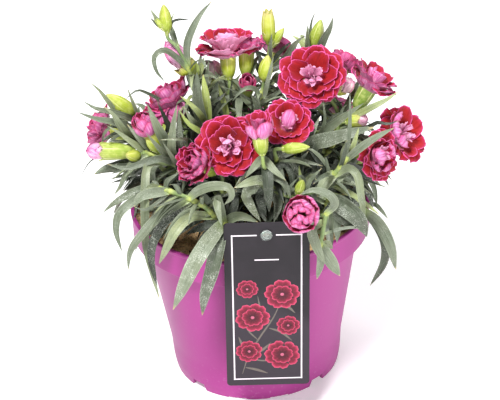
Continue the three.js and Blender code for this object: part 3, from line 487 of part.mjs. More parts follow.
      [7.3, [21.5, 24.9, 121.4, 0.61, 0.64, -0.46], [24.1, 28.7, 130.3, 0.62, 0.66, -0.43], [26.3, 32.1, 139.6, 0.63, 0.67, -0.38], [28.1, 35.3, 148.9, 0.64, 0.68, -0.36], [29.8, 38.7, 158.2, 0.64, 0.68, -0.36]],
      [7.7, [21.5, 24.9, 121.4, 0.42, 0.26, 0.87], [25.8, 32, 119.9, 0.45, 0.31, 0.83], [29.7, 38.9, 117.8, 0.52, 0.44, 0.73], [33.2, 45.3, 114.5, 0.59, 0.55, 0.6], [36.2, 50.9, 110.4, 0.61, 0.6, 0.52]],
      [7.1, [30, 34.1, 127.2, -0.12, 0.84, 0.52], [38.6, 35.2, 128.3, -0.05, 0.84, 0.54], [47.4, 35.1, 128.6, 0.1, 0.84, 0.54], [56, 34.3, 127.3, 0.27, 0.82, 0.5], [64, 33, 123.9, 0.36, 0.81, 0.47]],
      [8, [30, 34.1, 127.2, 0.97, 0, 0.23], [28.9, 42.7, 132, 0.97, 0.05, 0.26], [26.8, 51.4, 136, 0.94, 0.17, 0.3], [23.6, 60.5, 138.3, 0.9, 0.31, 0.32], [19.7, 69.5, 138.2, 0.87, 0.38, 0.32]],
      [6.8, [37, 41, 133.2, 0.27, 0.08, 0.96], [42.4, 48, 131.1, 0.32, 0.15, 0.94], [47.4, 54.7, 127.5, 0.42, 0.28, 0.86], [51.8, 60.8, 122.3, 0.52, 0.42, 0.74], [55.3, 65.8, 115.6, 0.57, 0.48, 0.66]],
      [7.3, [37, 41, 133.2, 0.73, 0.64, -0.24], [38, 42.7, 140.7, 0.74, 0.65, -0.2], [38.5, 43.9, 148.4, 0.74, 0.66, -0.11], [38.4, 44.8, 156.1, 0.74, 0.67, -0.03], [37.8, 45.4, 163.9, 0.74, 0.68, 0.01]],
    ],
    calyxes: [[4.7, [52.6, 44.6, 137.1], [60.9, 52.9, 146.5]]],
    buds: [],
  },
  shoot_25: {
    crown: [-24, 8, 109.3],
    stems: [
      [2, 1.4, [-24, 8, 109.3], [-24, 8, 116], [-38, 14, 122], [-56, 20, 128], [-70, 26, 130]],
    ],
    leaves: [
      [7.1, [-25.4, 8.6, 117.4, -0.67, -0.42, 0.61], [-30.3, 19.6, 119.5, -0.7, -0.35, 0.62], [-34.5, 31.1, 120, -0.76, -0.2, 0.62], [-37.7, 42.7, 118, -0.82, -0.03, 0.58], [-40.1, 53.7, 113.1, -0.84, 0.06, 0.54]],
      [8.4, [-25.4, 8.6, 117.4, -0.38, 0.9, 0.2], [-33.4, 3.7, 124.2, -0.42, 0.88, 0.24], [-41.3, -2.5, 130, -0.51, 0.81, 0.3], [-49.1, -10, 134.1, -0.62, 0.71, 0.33], [-56.8, -18.6, 135.4, -0.67, 0.65, 0.34]],
      [8, [-36.7, 13.5, 121.5, -0.33, 0.52, 0.79], [-48.1, 13.3, 122, -0.4, 0.52, 0.76], [-59.5, 12.7, 121.9, -0.54, 0.51, 0.67], [-70.6, 11.7, 120.5, -0.67, 0.5, 0.55], [-81.3, 10.6, 117.9, -0.73, 0.49, 0.48]],
      [7.4, [-36.7, 13.5, 121.5, -0.91, 0.04, -0.4], [-40.4, 18.4, 130.4, -0.93, 0.06, -0.37], [-43.2, 23.5, 139.4, -0.94, 0.09, -0.32], [-45.4, 29.3, 148.3, -0.95, 0.11, -0.3], [-47, 36.2, 156.4, -0.95, 0.12, -0.29]],
      [8.8, [-47, 17, 125.3, -0.49, 0.87, 0.06], [-55.6, 11.9, 129.4, -0.53, 0.85, 0.08], [-63.8, 5.8, 132.7, -0.61, 0.78, 0.11], [-71.7, -1.4, 134.3, -0.69, 0.71, 0.11], [-79.1, -9.2, 133.4, -0.73, 0.67, 0.11]],
      [8.8, [-47, 17, 125.3, -0.78, -0.46, 0.42], [-52.3, 26.1, 125.5, -0.81, -0.41, 0.42], [-56.7, 35.7, 124.6, -0.87, -0.28, 0.4], [-60.2, 45.2, 121.8, -0.93, -0.16, 0.34], [-62.7, 54.2, 116.8, -0.95, -0.1, 0.31]],
      [7, [-58.4, 21, 128.5, -0.89, -0.07, -0.46], [-62.7, 25.4, 137, -0.9, -0.05, -0.43], [-66.2, 31.1, 144.9, -0.92, -0.01, -0.4], [-69.1, 37.8, 152.3, -0.92, 0, -0.39], [-71.5, 45.8, 158.3, -0.92, -0.01, -0.39]],
      [7.3, [-58.4, 21, 128.5, -0.41, 0.58, 0.71], [-67.5, 20.4, 123.7, -0.47, 0.57, 0.67], [-75.8, 19.3, 117.7, -0.59, 0.56, 0.57], [-82.9, 17.9, 110.3, -0.7, 0.54, 0.46], [-88.5, 16.2, 101.8, -0.75, 0.53, 0.39]],
      [7.5, [-68.8, 25.5, 129.8, -0.81, -0.24, 0.54], [-73.7, 33.5, 126.1, -0.84, -0.18, 0.51], [-77.5, 41.5, 121.3, -0.9, -0.07, 0.44], [-80.3, 49, 115, -0.94, 0.02, 0.34], [-82.1, 55.4, 107.5, -0.95, 0.07, 0.29]],
      [7.3, [-68.8, 25.5, 129.8, -0.41, 0.9, -0.17], [-76.5, 22.6, 132.8, -0.45, 0.88, -0.16], [-83.9, 18.8, 135.3, -0.52, 0.84, -0.14], [-91.1, 14.2, 136.6, -0.57, 0.81, -0.14], [-98, 9, 136.1, -0.59, 0.8, -0.14]],
    ],
    calyxes: [],
    buds: [],
  },
  shoot_26: {
    crown: [-9, 25, 109.3],
    stems: [
      [2, 1.4, [-9, 25, 109.3], [-9, 25, 116], [-14, 44, 122], [-24, 62, 126], [-30, 76, 124]],
    ],
    leaves: [
      [7.5, [-9.7, 28.2, 118.2, 0.55, 0.75, 0.37], [-19.5, 34.4, 120.2, 0.5, 0.78, 0.38], [-30, 39.8, 120.9, 0.38, 0.84, 0.38], [-40.8, 44.3, 119.5, 0.25, 0.9, 0.35], [-51.3, 47.8, 115.3, 0.18, 0.93, 0.32]],
      [7.9, [-9.7, 28.2, 118.2, -0.83, 0.48, 0.3], [-3.9, 39.7, 118.9, -0.79, 0.53, 0.32], [2.9, 49.3, 119.5, -0.71, 0.63, 0.33], [10.3, 58, 118.3, -0.61, 0.73, 0.31], [18, 65.8, 114.7, -0.56, 0.78, 0.29]],
      [8.8, [-12.8, 40.6, 121.2, -0.18, 0.81, -0.55], [-15.3, 43.1, 131.8, -0.19, 0.83, -0.53], [-17.7, 46.4, 142, -0.2, 0.85, -0.49], [-20.3, 49.8, 152, -0.2, 0.84, -0.5], [-23.2, 53.6, 161.7, -0.19, 0.84, -0.51]],
      [8.8, [-12.8, 40.6, 121.2, -0.35, 0.48, 0.8], [-13.6, 50.1, 121.4, -0.36, 0.54, 0.76], [-14.1, 59.5, 121.5, -0.37, 0.66, 0.65], [-14.5, 68.7, 120.9, -0.37, 0.77, 0.52], [-14.8, 77.9, 119.7, -0.37, 0.82, 0.45]],
      [8.3, [-18, 51.7, 124.2, -0.96, 0.28, -0.03], [-15.2, 63.5, 126.9, -0.94, 0.33, -0.01], [-11.3, 74.2, 129.5, -0.91, 0.42, 0.01], [-6.3, 84.6, 130.5, -0.87, 0.49, 0.01], [-0.5, 94.6, 129.2, -0.85, 0.53, 0.01]],
      [8.2, [-18, 51.7, 124.2, 0.26, 0.95, 0.19], [-28.3, 54.2, 125.6, 0.2, 0.96, 0.19], [-39, 55.7, 126, 0.09, 0.98, 0.19], [-49.7, 56.3, 124.7, -0.03, 0.99, 0.16], [-59.8, 56, 121, -0.08, 0.99, 0.14]],
      [7.6, [-24.6, 63.2, 126, -0.25, 0.67, 0.69], [-27.7, 68.6, 121.4, -0.28, 0.72, 0.64], [-30.5, 73.5, 116.3, -0.32, 0.79, 0.52], [-33, 77.6, 110.6, -0.36, 0.85, 0.39], [-35.1, 81, 104.6, -0.37, 0.87, 0.32]],
      [7.2, [-24.6, 63.2, 126, -0.23, 0.66, -0.71], [-27.5, 68.1, 131.5, -0.24, 0.68, -0.7], [-30.5, 72.7, 137.2, -0.25, 0.69, -0.68], [-33.5, 77.3, 142.9, -0.23, 0.66, -0.72], [-37, 82.2, 148, -0.21, 0.63, -0.75]],
      [8.2, [-29.5, 74.8, 124.2, 0.38, 0.92, -0.06], [-36.5, 77.6, 123, 0.33, 0.94, -0.07], [-43.6, 79.6, 121.4, 0.26, 0.96, -0.1], [-50.7, 80.9, 118.8, 0.2, 0.97, -0.12], [-57.2, 81.6, 114.9, 0.18, 0.97, -0.14]],
      [8.6, [-29.5, 74.8, 124.2, -0.91, 0.36, -0.2], [-26.6, 82.1, 124.1, -0.89, 0.4, -0.2], [-23, 89, 123.5, -0.86, 0.46, -0.21], [-18.9, 95.5, 122, -0.84, 0.5, -0.23], [-14.5, 101.3, 119.1, -0.83, 0.51, -0.23]],
    ],
    calyxes: [],
    buds: [],
  },
  shoot_27: {
    crown: [8, 26, 109.3],
    stems: [
      [2, 1.4, [8, 26, 109.3], [8, 26, 116], [16, 46, 122], [28, 62, 126], [36, 78, 124]],
    ],
    leaves: [
      [7.6, [9.2, 29.4, 118.2, -0.42, 0.73, 0.55], [19.7, 35.8, 119, -0.36, 0.76, 0.54], [30.7, 41.4, 118.5, -0.23, 0.83, 0.51], [41.7, 46.1, 115.9, -0.09, 0.89, 0.44], [52.2, 49.9, 111, -0.03, 0.92, 0.4]],
      [7.9, [9.2, 29.4, 118.2, 0.89, 0.42, 0.18], [4.2, 38.4, 121.7, 0.86, 0.46, 0.2], [-1.8, 47.2, 124.2, 0.8, 0.56, 0.22], [-8.7, 55.5, 124.9, 0.72, 0.66, 0.21], [-16.2, 63.3, 123, 0.68, 0.71, 0.2]],
      [8.4, [14.3, 42.6, 121.2, 0.41, 0.44, 0.8], [16.2, 51.9, 121.1, 0.42, 0.51, 0.75], [17.9, 61.3, 120.9, 0.45, 0.62, 0.64], [19.4, 70.6, 120, 0.46, 0.73, 0.51], [20.7, 79.8, 118.5, 0.47, 0.77, 0.44]],
      [7, [14.3, 42.6, 121.2, 0.21, 0.81, -0.56], [18, 47.2, 129.3, 0.22, 0.82, -0.53], [21.8, 51.2, 137.7, 0.23, 0.84, -0.5], [25.8, 54.9, 146.1, 0.23, 0.83, -0.5], [30.6, 58.7, 154.1, 0.22, 0.83, -0.52]],
      [7.7, [22, 54.1, 124.5, 0.99, 0.14, -0.07], [20.8, 64.3, 128.8, 0.98, 0.19, -0.06], [18.5, 74.5, 132.4, 0.96, 0.27, -0.03], [15.2, 84.8, 134.5, 0.94, 0.35, -0.03], [10.9, 95, 134.1, 0.92, 0.39, -0.03]],
      [8.5, [22, 54.1, 124.5, -0.11, 0.97, 0.22], [31.3, 55, 125.4, -0.05, 0.97, 0.22], [40.7, 54.9, 125.3, 0.07, 0.97, 0.21], [49.9, 54, 123.7, 0.18, 0.97, 0.18], [58.5, 52.5, 120.2, 0.24, 0.96, 0.16]],
      [8.2, [29.5, 64.6, 126, 0.08, 0.73, -0.68], [35.9, 70, 132.6, 0.1, 0.74, -0.66], [42.4, 74.9, 139.4, 0.11, 0.75, -0.65], [49.6, 79.5, 145.8, 0.08, 0.73, -0.67], [57.6, 83.9, 151.1, 0.05, 0.72, -0.69]],
      [7, [29.5, 64.6, 126, 0.46, 0.59, 0.66], [31.7, 71.2, 118.7, 0.48, 0.63, 0.61], [33.3, 76.8, 110.5, 0.5, 0.71, 0.49], [34.4, 81.2, 101.5, 0.52, 0.78, 0.36], [34.9, 84.4, 91.9, 0.52, 0.8, 0.3]],
      [7.8, [35.3, 76.7, 124.2, -0.31, 0.95, 0.04], [42.4, 79, 122.4, -0.26, 0.96, 0.03], [49.5, 80.7, 120.2, -0.18, 0.98, -0.01], [56.3, 81.5, 116.9, -0.11, 0.99, -0.04], [62.6, 81.8, 112.5, -0.09, 0.99, -0.06]],
      [8.6, [35.3, 76.7, 124.2, 0.94, 0.32, -0.15], [32.9, 83.7, 123.9, 0.92, 0.36, -0.15], [29.8, 90.4, 123.2, 0.89, 0.43, -0.17], [26.2, 96.7, 121.5, 0.86, 0.47, -0.18], [22.3, 102.4, 118.5, 0.85, 0.48, -0.19]],
    ],
    calyxes: [],
    buds: [],
  },
  shoot_28: {
    crown: [24, 10, 109.3],
    stems: [
      [2, 1.4, [24, 10, 109.3], [24, 10, 116], [40, 18, 120], [56, 28, 126], [70, 36, 127]],
    ],
    leaves: [
      [6.8, [26.7, 11.3, 117.7, 0.31, 0.49, 0.81], [36.3, 12.3, 117, 0.38, 0.5, 0.78], [45.7, 12.9, 115.8, 0.52, 0.51, 0.69], [54.5, 13.2, 113.4, 0.65, 0.51, 0.56], [62.6, 13.2, 109.9, 0.71, 0.51, 0.49]],
      [8.7, [26.7, 11.3, 117.7, 0.91, 0.09, -0.4], [30.6, 17.6, 127.9, 0.92, 0.11, -0.37], [33.5, 24, 138.2, 0.94, 0.14, -0.32], [35.6, 31.3, 148.3, 0.94, 0.16, -0.3], [36.9, 39.8, 157.4, 0.94, 0.17, -0.3]],
      [7.1, [37.1, 16.5, 119.4, 0.77, -0.13, 0.62], [41.4, 23.5, 118.3, 0.8, -0.08, 0.59], [45.2, 30.5, 116.8, 0.86, 0.03, 0.51], [48.4, 37.3, 114.4, 0.91, 0.13, 0.4], [51.1, 43.7, 111, 0.92, 0.18, 0.35]],
      [8.5, [37.1, 16.5, 119.4, 0.45, 0.81, -0.37], [46.2, 18.7, 123.6, 0.48, 0.81, -0.35], [55.2, 17.9, 129, 0.53, 0.79, -0.32], [64.3, 15.5, 133.6, 0.55, 0.78, -0.31], [73.7, 11.6, 136.4, 0.55, 0.77, -0.31]],
      [8.7, [48.1, 23, 123.2, 0.88, 0.27, -0.38], [50.5, 27.7, 132.2, 0.89, 0.29, -0.35], [52.1, 32.5, 141.4, 0.9, 0.32, -0.29], [52.9, 37.6, 150.5, 0.9, 0.34, -0.26], [53, 43.6, 159.1, 0.9, 0.35, -0.25]],
      [8.2, [48.1, 23, 123.2, 0.2, 0.52, 0.83], [56.9, 25, 122.8, 0.27, 0.53, 0.8], [65.7, 26.7, 121.7, 0.42, 0.56, 0.71], [74.2, 28.1, 119.4, 0.56, 0.58, 0.59], [82.2, 29.2, 116.1, 0.62, 0.59, 0.52]],
      [7.4, [58.4, 29.4, 126.4, 0.34, 0.9, -0.28], [66.4, 27.6, 130.4, 0.37, 0.89, -0.26], [74.4, 24.9, 134.2, 0.44, 0.87, -0.23], [82.5, 21.3, 136.9, 0.47, 0.85, -0.23], [90.5, 16.9, 137.7, 0.49, 0.84, -0.22]],
      [8.5, [58.4, 29.4, 126.4, 0.81, -0.1, 0.58], [62.7, 37.8, 123.4, 0.83, -0.05, 0.55], [66.2, 46.2, 119.5, 0.88, 0.06, 0.47], [69, 54, 114.4, 0.92, 0.16, 0.37], [71, 61.1, 108.1, 0.93, 0.21, 0.31]],
      [7.2, [68.8, 35.3, 126.9, 0.42, 0.63, 0.65], [75.7, 35.9, 121.9, 0.48, 0.64, 0.61], [81.9, 35.9, 116, 0.58, 0.64, 0.5], [87.1, 35.5, 109.2, 0.67, 0.64, 0.38], [91.1, 34.8, 101.7, 0.71, 0.63, 0.32]],
      [8.8, [68.8, 35.3, 126.9, 0.86, -0.04, -0.5], [71.7, 43.1, 130.3, 0.88, -0.02, -0.48], [74, 50.2, 134.2, 0.89, 0.02, -0.46], [75.8, 57.7, 137.7, 0.89, 0.02, -0.46], [77.1, 65.8, 139.9, 0.89, 0.01, -0.46]],
    ],
    calyxes: [],
    buds: [],
  },
};
// flower head: [radius, depth, openness, phase, middle, axis]
const BLOOMS = {
  bloom_06: [18.8, 15, 0.9, 0, [-9.4, 10.5, 223.3], [-0.01, 0.26, 0.96]],
  bloom_07: [10.5, 8.4, 0.55, 0, [2.9, 14.5, 219.5], [0.11, 0.47, 0.88]],
  bloom_08: [6.2, 8, 0.35, 0, [2.3, -6, 204], [0.02, -0.53, 0.85]],
  bloom_09: [13, 10.4, 0.8, 0, [22.1, 33.8, 209.1], [0.4, 0.63, 0.67]],
  bloom_01: [20.5, 12.7, 1, 0.2, [41.3, -12, 209], [-0.05, -0.79, 0.61]],
  bloom_10: [15.5, 12.4, 0.85, 0, [79.6, -4.6, 201.1], [0.55, 0.25, 0.79]],
  bloom_11: [12.5, 10, 0.75, 0, [64.1, 14.7, 205], [0.48, 0.57, 0.67]],
  bloom_13: [18.5, 11.5, 0.95, 0.5, [96.1, -14, 166.9], [0.64, -0.49, 0.6]],
  bloom_14: [17, 10.5, 0.85, 1.1, [80, -38, 167.1], [0.72, -0.64, 0.26]],
  bloom_04: [16.2, 10, 0.9, 0.9, [25.2, -30, 187.5], [0.08, -0.62, 0.78]],
  bloom_05: [9.4, 13.2, 0.5, 0, [7.3, -57.1, 200.7], [-0.07, 0.22, 0.97]],
  bloom_02: [19.5, 12.1, 1, 0.35, [-10.9, -48, 183.2], [-0.1, -0.87, 0.49]],
  bloom_03: [13.6, 8.4, 0.7, 0, [-31.8, -50, 173.9], [-0.61, -0.46, 0.65]],
  bloom_15: [11.6, 9, 0.35, 0, [29.3, -96, 162.2], [-0.3, -0.8, 0.51]],
  bloom_16: [16, 12.8, 0.85, 0, [-48.2, 0.4, 194.7], [-0.42, 0.22, 0.88]],
  bloom_17: [8.6, 13, 0.4, 0, [-61.8, -26, 189.2], [-0.42, -0.09, 0.9]],
  bloom_18: [13.8, 11, 0.8, 0, [-92.8, 4.1, 173.1], [-0.92, 0.04, 0.39]],
  bloom_19: [17, 10.5, 0.9, 0.4, [-60, 56, 150], [-0.5, 0.6, 0.62]],
  bloom_20: [18, 11.2, 1, 1.2, [-8, 80, 141], [-0.05, 0.75, 0.65]],
  bloom_12: [16.5, 10.2, 0.9, 0.8, [64, 56, 150], [0.55, 0.55, 0.62]],
};
// petals that show above a bud: [radius, base of the bud, tip, share of the length]
const BUD_PETALS = {
  bud_01: [6.2, [-32.8, 1, 208.9], [-46.6, 4, 228.9], 0.8],
  bud_02: [5, [54.2, -3, 194], [67.4, -5, 199.8], 0.62],
  bud_03: [4.2, [61.1, -15, 177.8], [74.5, -17, 180.2], 0.45],
  bud_04: [5.3, [-68.6, -26, 170.5], [-98.2, -28, 173.7], 0.34],
  bud_05: [4.5, [-17.7, 20, 189], [-18, 20, 206.8], 0.62],
};

// ---- solids --------------------------------------------------------------------
function toSolid(geometry) {
  let g = geometry.index ? geometry.clone() : geometry;
  for (const name of Object.keys(g.attributes)) if (name !== 'position') g.deleteAttribute(name);
  g = mergeVertices(g, 1e-4);
  const pos = g.attributes.position;
  const raw = g.index.array;
  const tri = [];
  for (let i = 0; i < raw.length; i += 3) {
    const [a, b, c] = [raw[i], raw[i + 1], raw[i + 2]];
    if (a !== b && b !== c && a !== c) tri.push(a, b, c);
  }
  let volume = 0;
  const [A, B, C] = [new THREE.Vector3(), new THREE.Vector3(), new THREE.Vector3()];
  for (let i = 0; i < tri.length; i += 3) {
    A.fromBufferAttribute(pos, tri[i]);
    B.fromBufferAttribute(pos, tri[i + 1]);
    C.fromBufferAttribute(pos, tri[i + 2]);
    volume += A.dot(B.cross(C));
  }
  if (volume < 0) for (let i = 0; i < tri.length; i += 3) [tri[i + 1], tri[i + 2]] = [tri[i + 2], tri[i + 1]];
  return new wasm.Manifold(new wasm.Mesh({
    numProp: 3,
    vertProperties: new Float32Array(pos.array),
    triVerts: new Uint32Array(tri),
  }));
}

function toGeometry(solid, offset) {
  const mesh = solid.getMesh();
  const n = mesh.numProp;
  const count = mesh.vertProperties.length / n;
  const position = new Float32Array(count * 3);
  for (let i = 0; i < count; i++) for (let k = 0; k < 3; k++) position[3 * i + k] = mesh.vertProperties[n * i + k] - offset[k];
  const g = new THREE.BufferGeometry();
  g.setAttribute('position', new THREE.BufferAttribute(position, 3));
  g.setIndex(new THREE.BufferAttribute(new Uint32Array(mesh.triVerts), 1));
  return g;
}

const joined = (list) => (list.length === 1 ? list[0] : wasm.Manifold.union(list));

// The piece that holds the part's bulk, without slivers a cut has freed.
function mainBody(solid) {
  const bodies = solid.decompose();
  let best = bodies[0];
  for (const b of bodies) if (b.volume() > best.volume()) best = b;
  return best;
}

// True when every edge joins exactly two faces, counting corners that coincide as one.
function closedEdges(solid) {
  const mesh = solid.getMesh();
  const n = mesh.numProp;
  const ids = new Map();
  const id = (v) => {
    const key = [0, 1, 2].map((k) => Math.round(mesh.vertProperties[n * v + k] * 1000)).join();
    if (!ids.has(key)) ids.set(key, ids.size);
    return ids.get(key);
  };
  const corner = [...mesh.triVerts].map(id);
  const uses = new Map();
  for (let i = 0; i < corner.length; i += 3) {
    for (let k = 0; k < 3; k++) {
      const [a, b] = [corner[i + k], corner[i + ((k + 1) % 3)]];
      if (a === b) return false;
      const key = a < b ? a + ',' + b : b + ',' + a;
      uses.set(key, (uses.get(key) || 0) + 1);
    }
  }
  for (const count of uses.values()) if (count !== 2) return false;
  return true;
}

// Where two parts of one skin only just touch, draws both back by a hundredth.
function loosen(solid) {
  const mesh = solid.getMesh();
  const n = mesh.numProp;
  const count = mesh.vertProperties.length / n;
  const points = [...Array(count).keys()].map((i) => new THREE.Vector3(...mesh.vertProperties.slice(n * i, n * i + 3)));
  const normals = points.map(() => new THREE.Vector3());
  const { triVerts } = mesh;
  for (let i = 0; i < triVerts.length; i += 3) {
    const [a, b, c] = [0, 1, 2].map((k) => points[triVerts[i + k]]);
    const face = new THREE.Vector3().crossVectors(b.clone().sub(a), c.clone().sub(a));
    for (let k = 0; k < 3; k++) normals[triVerts[i + k]].add(face);
  }
  const cells = new Map();
  points.forEach((p, i) => {
    const key = p.toArray().map((v) => Math.round(v * 200)).join();
    if (!cells.has(key)) cells.set(key, []);
    cells.get(key).push(i);
  });
  for (const group of cells.values()) {
    if (group.length > 1) for (const i of group) points[i].addScaledVector(normals[i].normalize(), -0.012);
  }
  const vertProperties = new Float32Array(count * 3);
  points.forEach((p, i) => p.toArray(vertProperties, 3 * i));
  return new wasm.Manifold(new wasm.Mesh({ numProp: 3, vertProperties, triVerts: new Uint32Array(triVerts) }));
}

// Shoots whose leaves lie so close that their skins need more faces.
const DENSE = ['shoot_02', 'shoot_06', 'shoot_09', 'shoot_12', 'shoot_13', 'shoot_14', 'shoot_16', 'shoot_20', 'shoot_21'];

// Takes out needless small faces, as far as the skin stays cleanly closed.
function tidy(solid, coarsest) {
  const shares = [1, 1.1, 0.9, 1.25, 0.8, 1.4, 0.7, 1.6, 0.6, 1.8, 0.5, 2, 0.4, 2.3, 0.3, 2.6, 0.2, 3];
  const tries = shares.map((share) => mainBody(solid.asOriginal().simplify(coarsest * share)));
  const clean = tries.find(closedEdges);
  if (clean) return clean;
  const looser = tries.map((s) => mainBody(loosen(s))).find(closedEdges);
  if (looser) return looser;
  throw new Error('a skin touches itself');
}

// A closed skin over rings of equal vertex count, closed at both ends.
function skin(rings) {
  const n = rings[0].length;
  const position = [];
  for (const ring of rings) for (const p of ring) position.push(p.x, p.y, p.z);
  const index = [];
  for (let r = 0; r < rings.length - 1; r++) {
    for (let i = 0; i < n; i++) {
      const a = r * n + i, b = r * n + ((i + 1) % n);
      index.push(a, b, a + n, b, b + n, a + n);
    }
  }
  for (const [start, flip] of [[0, true], [(rings.length - 1) * n, false]]) {
    for (let i = 1; i < n - 1; i++) {
      if (flip) index.push(start, start + i + 1, start + i); else index.push(start, start + i, start + i + 1);
    }
  }
  const g = new THREE.BufferGeometry();
  g.setAttribute('position', new THREE.Float32BufferAttribute(position, 3));
  g.setIndex(index);
  return toSolid(g);
}

const vec = (p) => new THREE.Vector3(p[0] + POT_X, p[1] + POT_Y, p[2]);

function across(t) {
  const helper = Math.abs(t.z) < 0.9 ? new THREE.Vector3(0, 0, 1) : new THREE.Vector3(1, 0, 0);
  const side = new THREE.Vector3().crossVectors(t, helper).normalize();
  return [side, new THREE.Vector3().crossVectors(side, t)];
}

// Round stem along a smooth curve through its points.
function stem([r0, r1, ...points], grow) {
  const curve = new THREE.CatmullRomCurve3(points.map(vec), false, 'centripetal');
  const spans = points.length - 1;
  const at = [0];
  for (let i = 0; i < spans; i++) {
    const parts = Math.max(1, Math.round(Math.hypot(...points[i].map((v, k) => v - points[i + 1][k])) / 17));
    for (let k = 1; k <= parts; k++) at.push((i + k / parts) / spans);
  }
  const turn = points[spans][0] + points[spans][2];   // no two stems turn alike, so none lie flush
  const rings = [];
  for (const u of at) {
    const p = curve.getPoint(u);
    const [side, up] = across(curve.getTangent(u));
    const r = r0 + (r1 - r0) * u + grow;
    rings.push([...Array(STEM_SIDES).keys()].map((i) => {
      const a = (2 * Math.PI * i) / STEM_SIDES + turn;
      return p.clone().addScaledVector(side, r * Math.cos(a)).addScaledVector(up, r * Math.sin(a));
    }));
  }
  return skin(rings);
}

// Narrow keeled leaf: two edges and the keel under the midrib.
const LEAF_OUTLINE = [[0, 0.62], [0.17, 0.86], [0.4, 1], [0.7, 0.85], [1, 0.07]];
function leaf([width, ...points], grow) {
  const path = new THREE.CatmullRomCurve3(points.map(vec), false, 'centripetal');
  const normals = points.map((p) => new THREE.Vector3(p[3], p[4], p[5]));
  const rings = [];
  for (const [u, w] of LEAF_OUTLINE) {
    const p = path.getPointAt(u);
    const t = path.getTangentAt(u);
    const f = path.getUtoTmapping(u) * (points.length - 1);
    const i = Math.min(points.length - 2, Math.floor(f));
    const n = normals[i].clone().lerp(normals[i + 1], f - i);
    n.addScaledVector(t, -n.dot(t)).normalize();
    const side = new THREE.Vector3().crossVectors(t, n).normalize();
    const half = (width * w) / 2 + grow;
    const thick = LEAF_THICKNESS * (0.45 + 0.55 * w);
    const base = p.clone().addScaledVector(t, u === 1 ? grow : u === 0 ? -grow : 0);
    const at = (x, y) => base.clone().addScaledVector(side, x).addScaledVector(n, y);
    const edge = 0.3 * thick;
    rings.push(grow > 0
      ? [at(-half, edge + grow), at(half, edge + grow), at(half, edge - grow), at(0, -thick - 1.2 * grow), at(-half, edge - grow)]
      : [at(-half, edge), at(half, edge), at(0, -thick)]);
  }
  return skin(rings);
}

// Turned form along an axis: profile is [fraction of the length, radius].
function turned(from, to, profile, sides, grow) {
  const [a, b] = [vec(from), vec(to)];
  const t = b.clone().sub(a).normalize();
  const length = b.distanceTo(a);
  const [side, up] = across(t);
  return skin(profile.map(([f, r], k) => [...Array(sides).keys()].map((i) => {
    const angle = (2 * Math.PI * i) / sides;
    const end = k === 0 ? -grow : k === profile.length - 1 ? grow : 0;
    return a.clone().addScaledVector(t, f * length + end)
      .addScaledVector(side, (r + grow) * Math.cos(angle)).addScaledVector(up, (r + grow) * Math.sin(angle));
  })));
}
const calyx = ([r, base, mouth], grow) => turned(base, mouth, [[0, 1.5], [0.25, r * 0.9], [1, r * 0.93]], 6, grow);
const bud = ([r, base, tip], grow) => turned(base, tip, [[0, 1.3], [0.25, r * 0.95], [0.7, r * 0.8], [1, 0.5]], 6, grow);

// Petals that show above a bud's calyx: the tip of the same turned form.
function budPetals([r, base, tip, share], grow) {
  const at = (f) => base.map((v, k) => v + (tip[k] - v) * f);
  const length = Math.hypot(...base.map((v, k) => tip[k] - v));
  const from = 1 - share + CLEARANCE / length;
  return turned(at(from), tip, [[0, r * 0.8], [0.3, r * 1.02], [0.65, r * 0.8], [1, 0.5]], 7, grow);
}

// Double flower head: a ruffled margin around a domed middle, on a short neck.
function bloom([radius, depth, open, phase, centre, axis], grow) {
  const t = new THREE.Vector3(...axis).normalize();
  const c = vec(centre);
  const [side, up] = across(t);
  const sides = 12;
  const mouth = -0.55 * depth + CLEARANCE;
  const high = 0.45 * depth;
  const margin = high - (0.42 * open - 0.05) * depth;
  const rows = [
    [2.9, mouth - grow, 0],
    [radius * (0.78 - 0.34 * open), mouth + 0.3 * depth - grow, 0],
    [radius * 0.93, margin - 0.10 * depth - grow, 1],
    [radius, margin + 0.06 * depth + grow, 1],
    [radius * 0.55, high - 0.02 * depth + grow, 0],
    [radius * 0.2, high + grow, 0],
  ];
  return skin(rows.map(([r, h, wave]) => [...Array(sides).keys()].map((i) => {
    const a = (2 * Math.PI * i) / sides + phase;
    const ruffle = wave * (i % 2 ? 1 : -1);
    const rr = r * (1 + 0.05 * ruffle + 0.05 * wave * Math.sin(2.5 * a + phase)) + grow;
    return c.clone().addScaledVector(t, h + 0.07 * radius * ruffle)
      .addScaledVector(side, rr * Math.cos(a)).addScaledVector(up, rr * Math.sin(a));
  })));
}

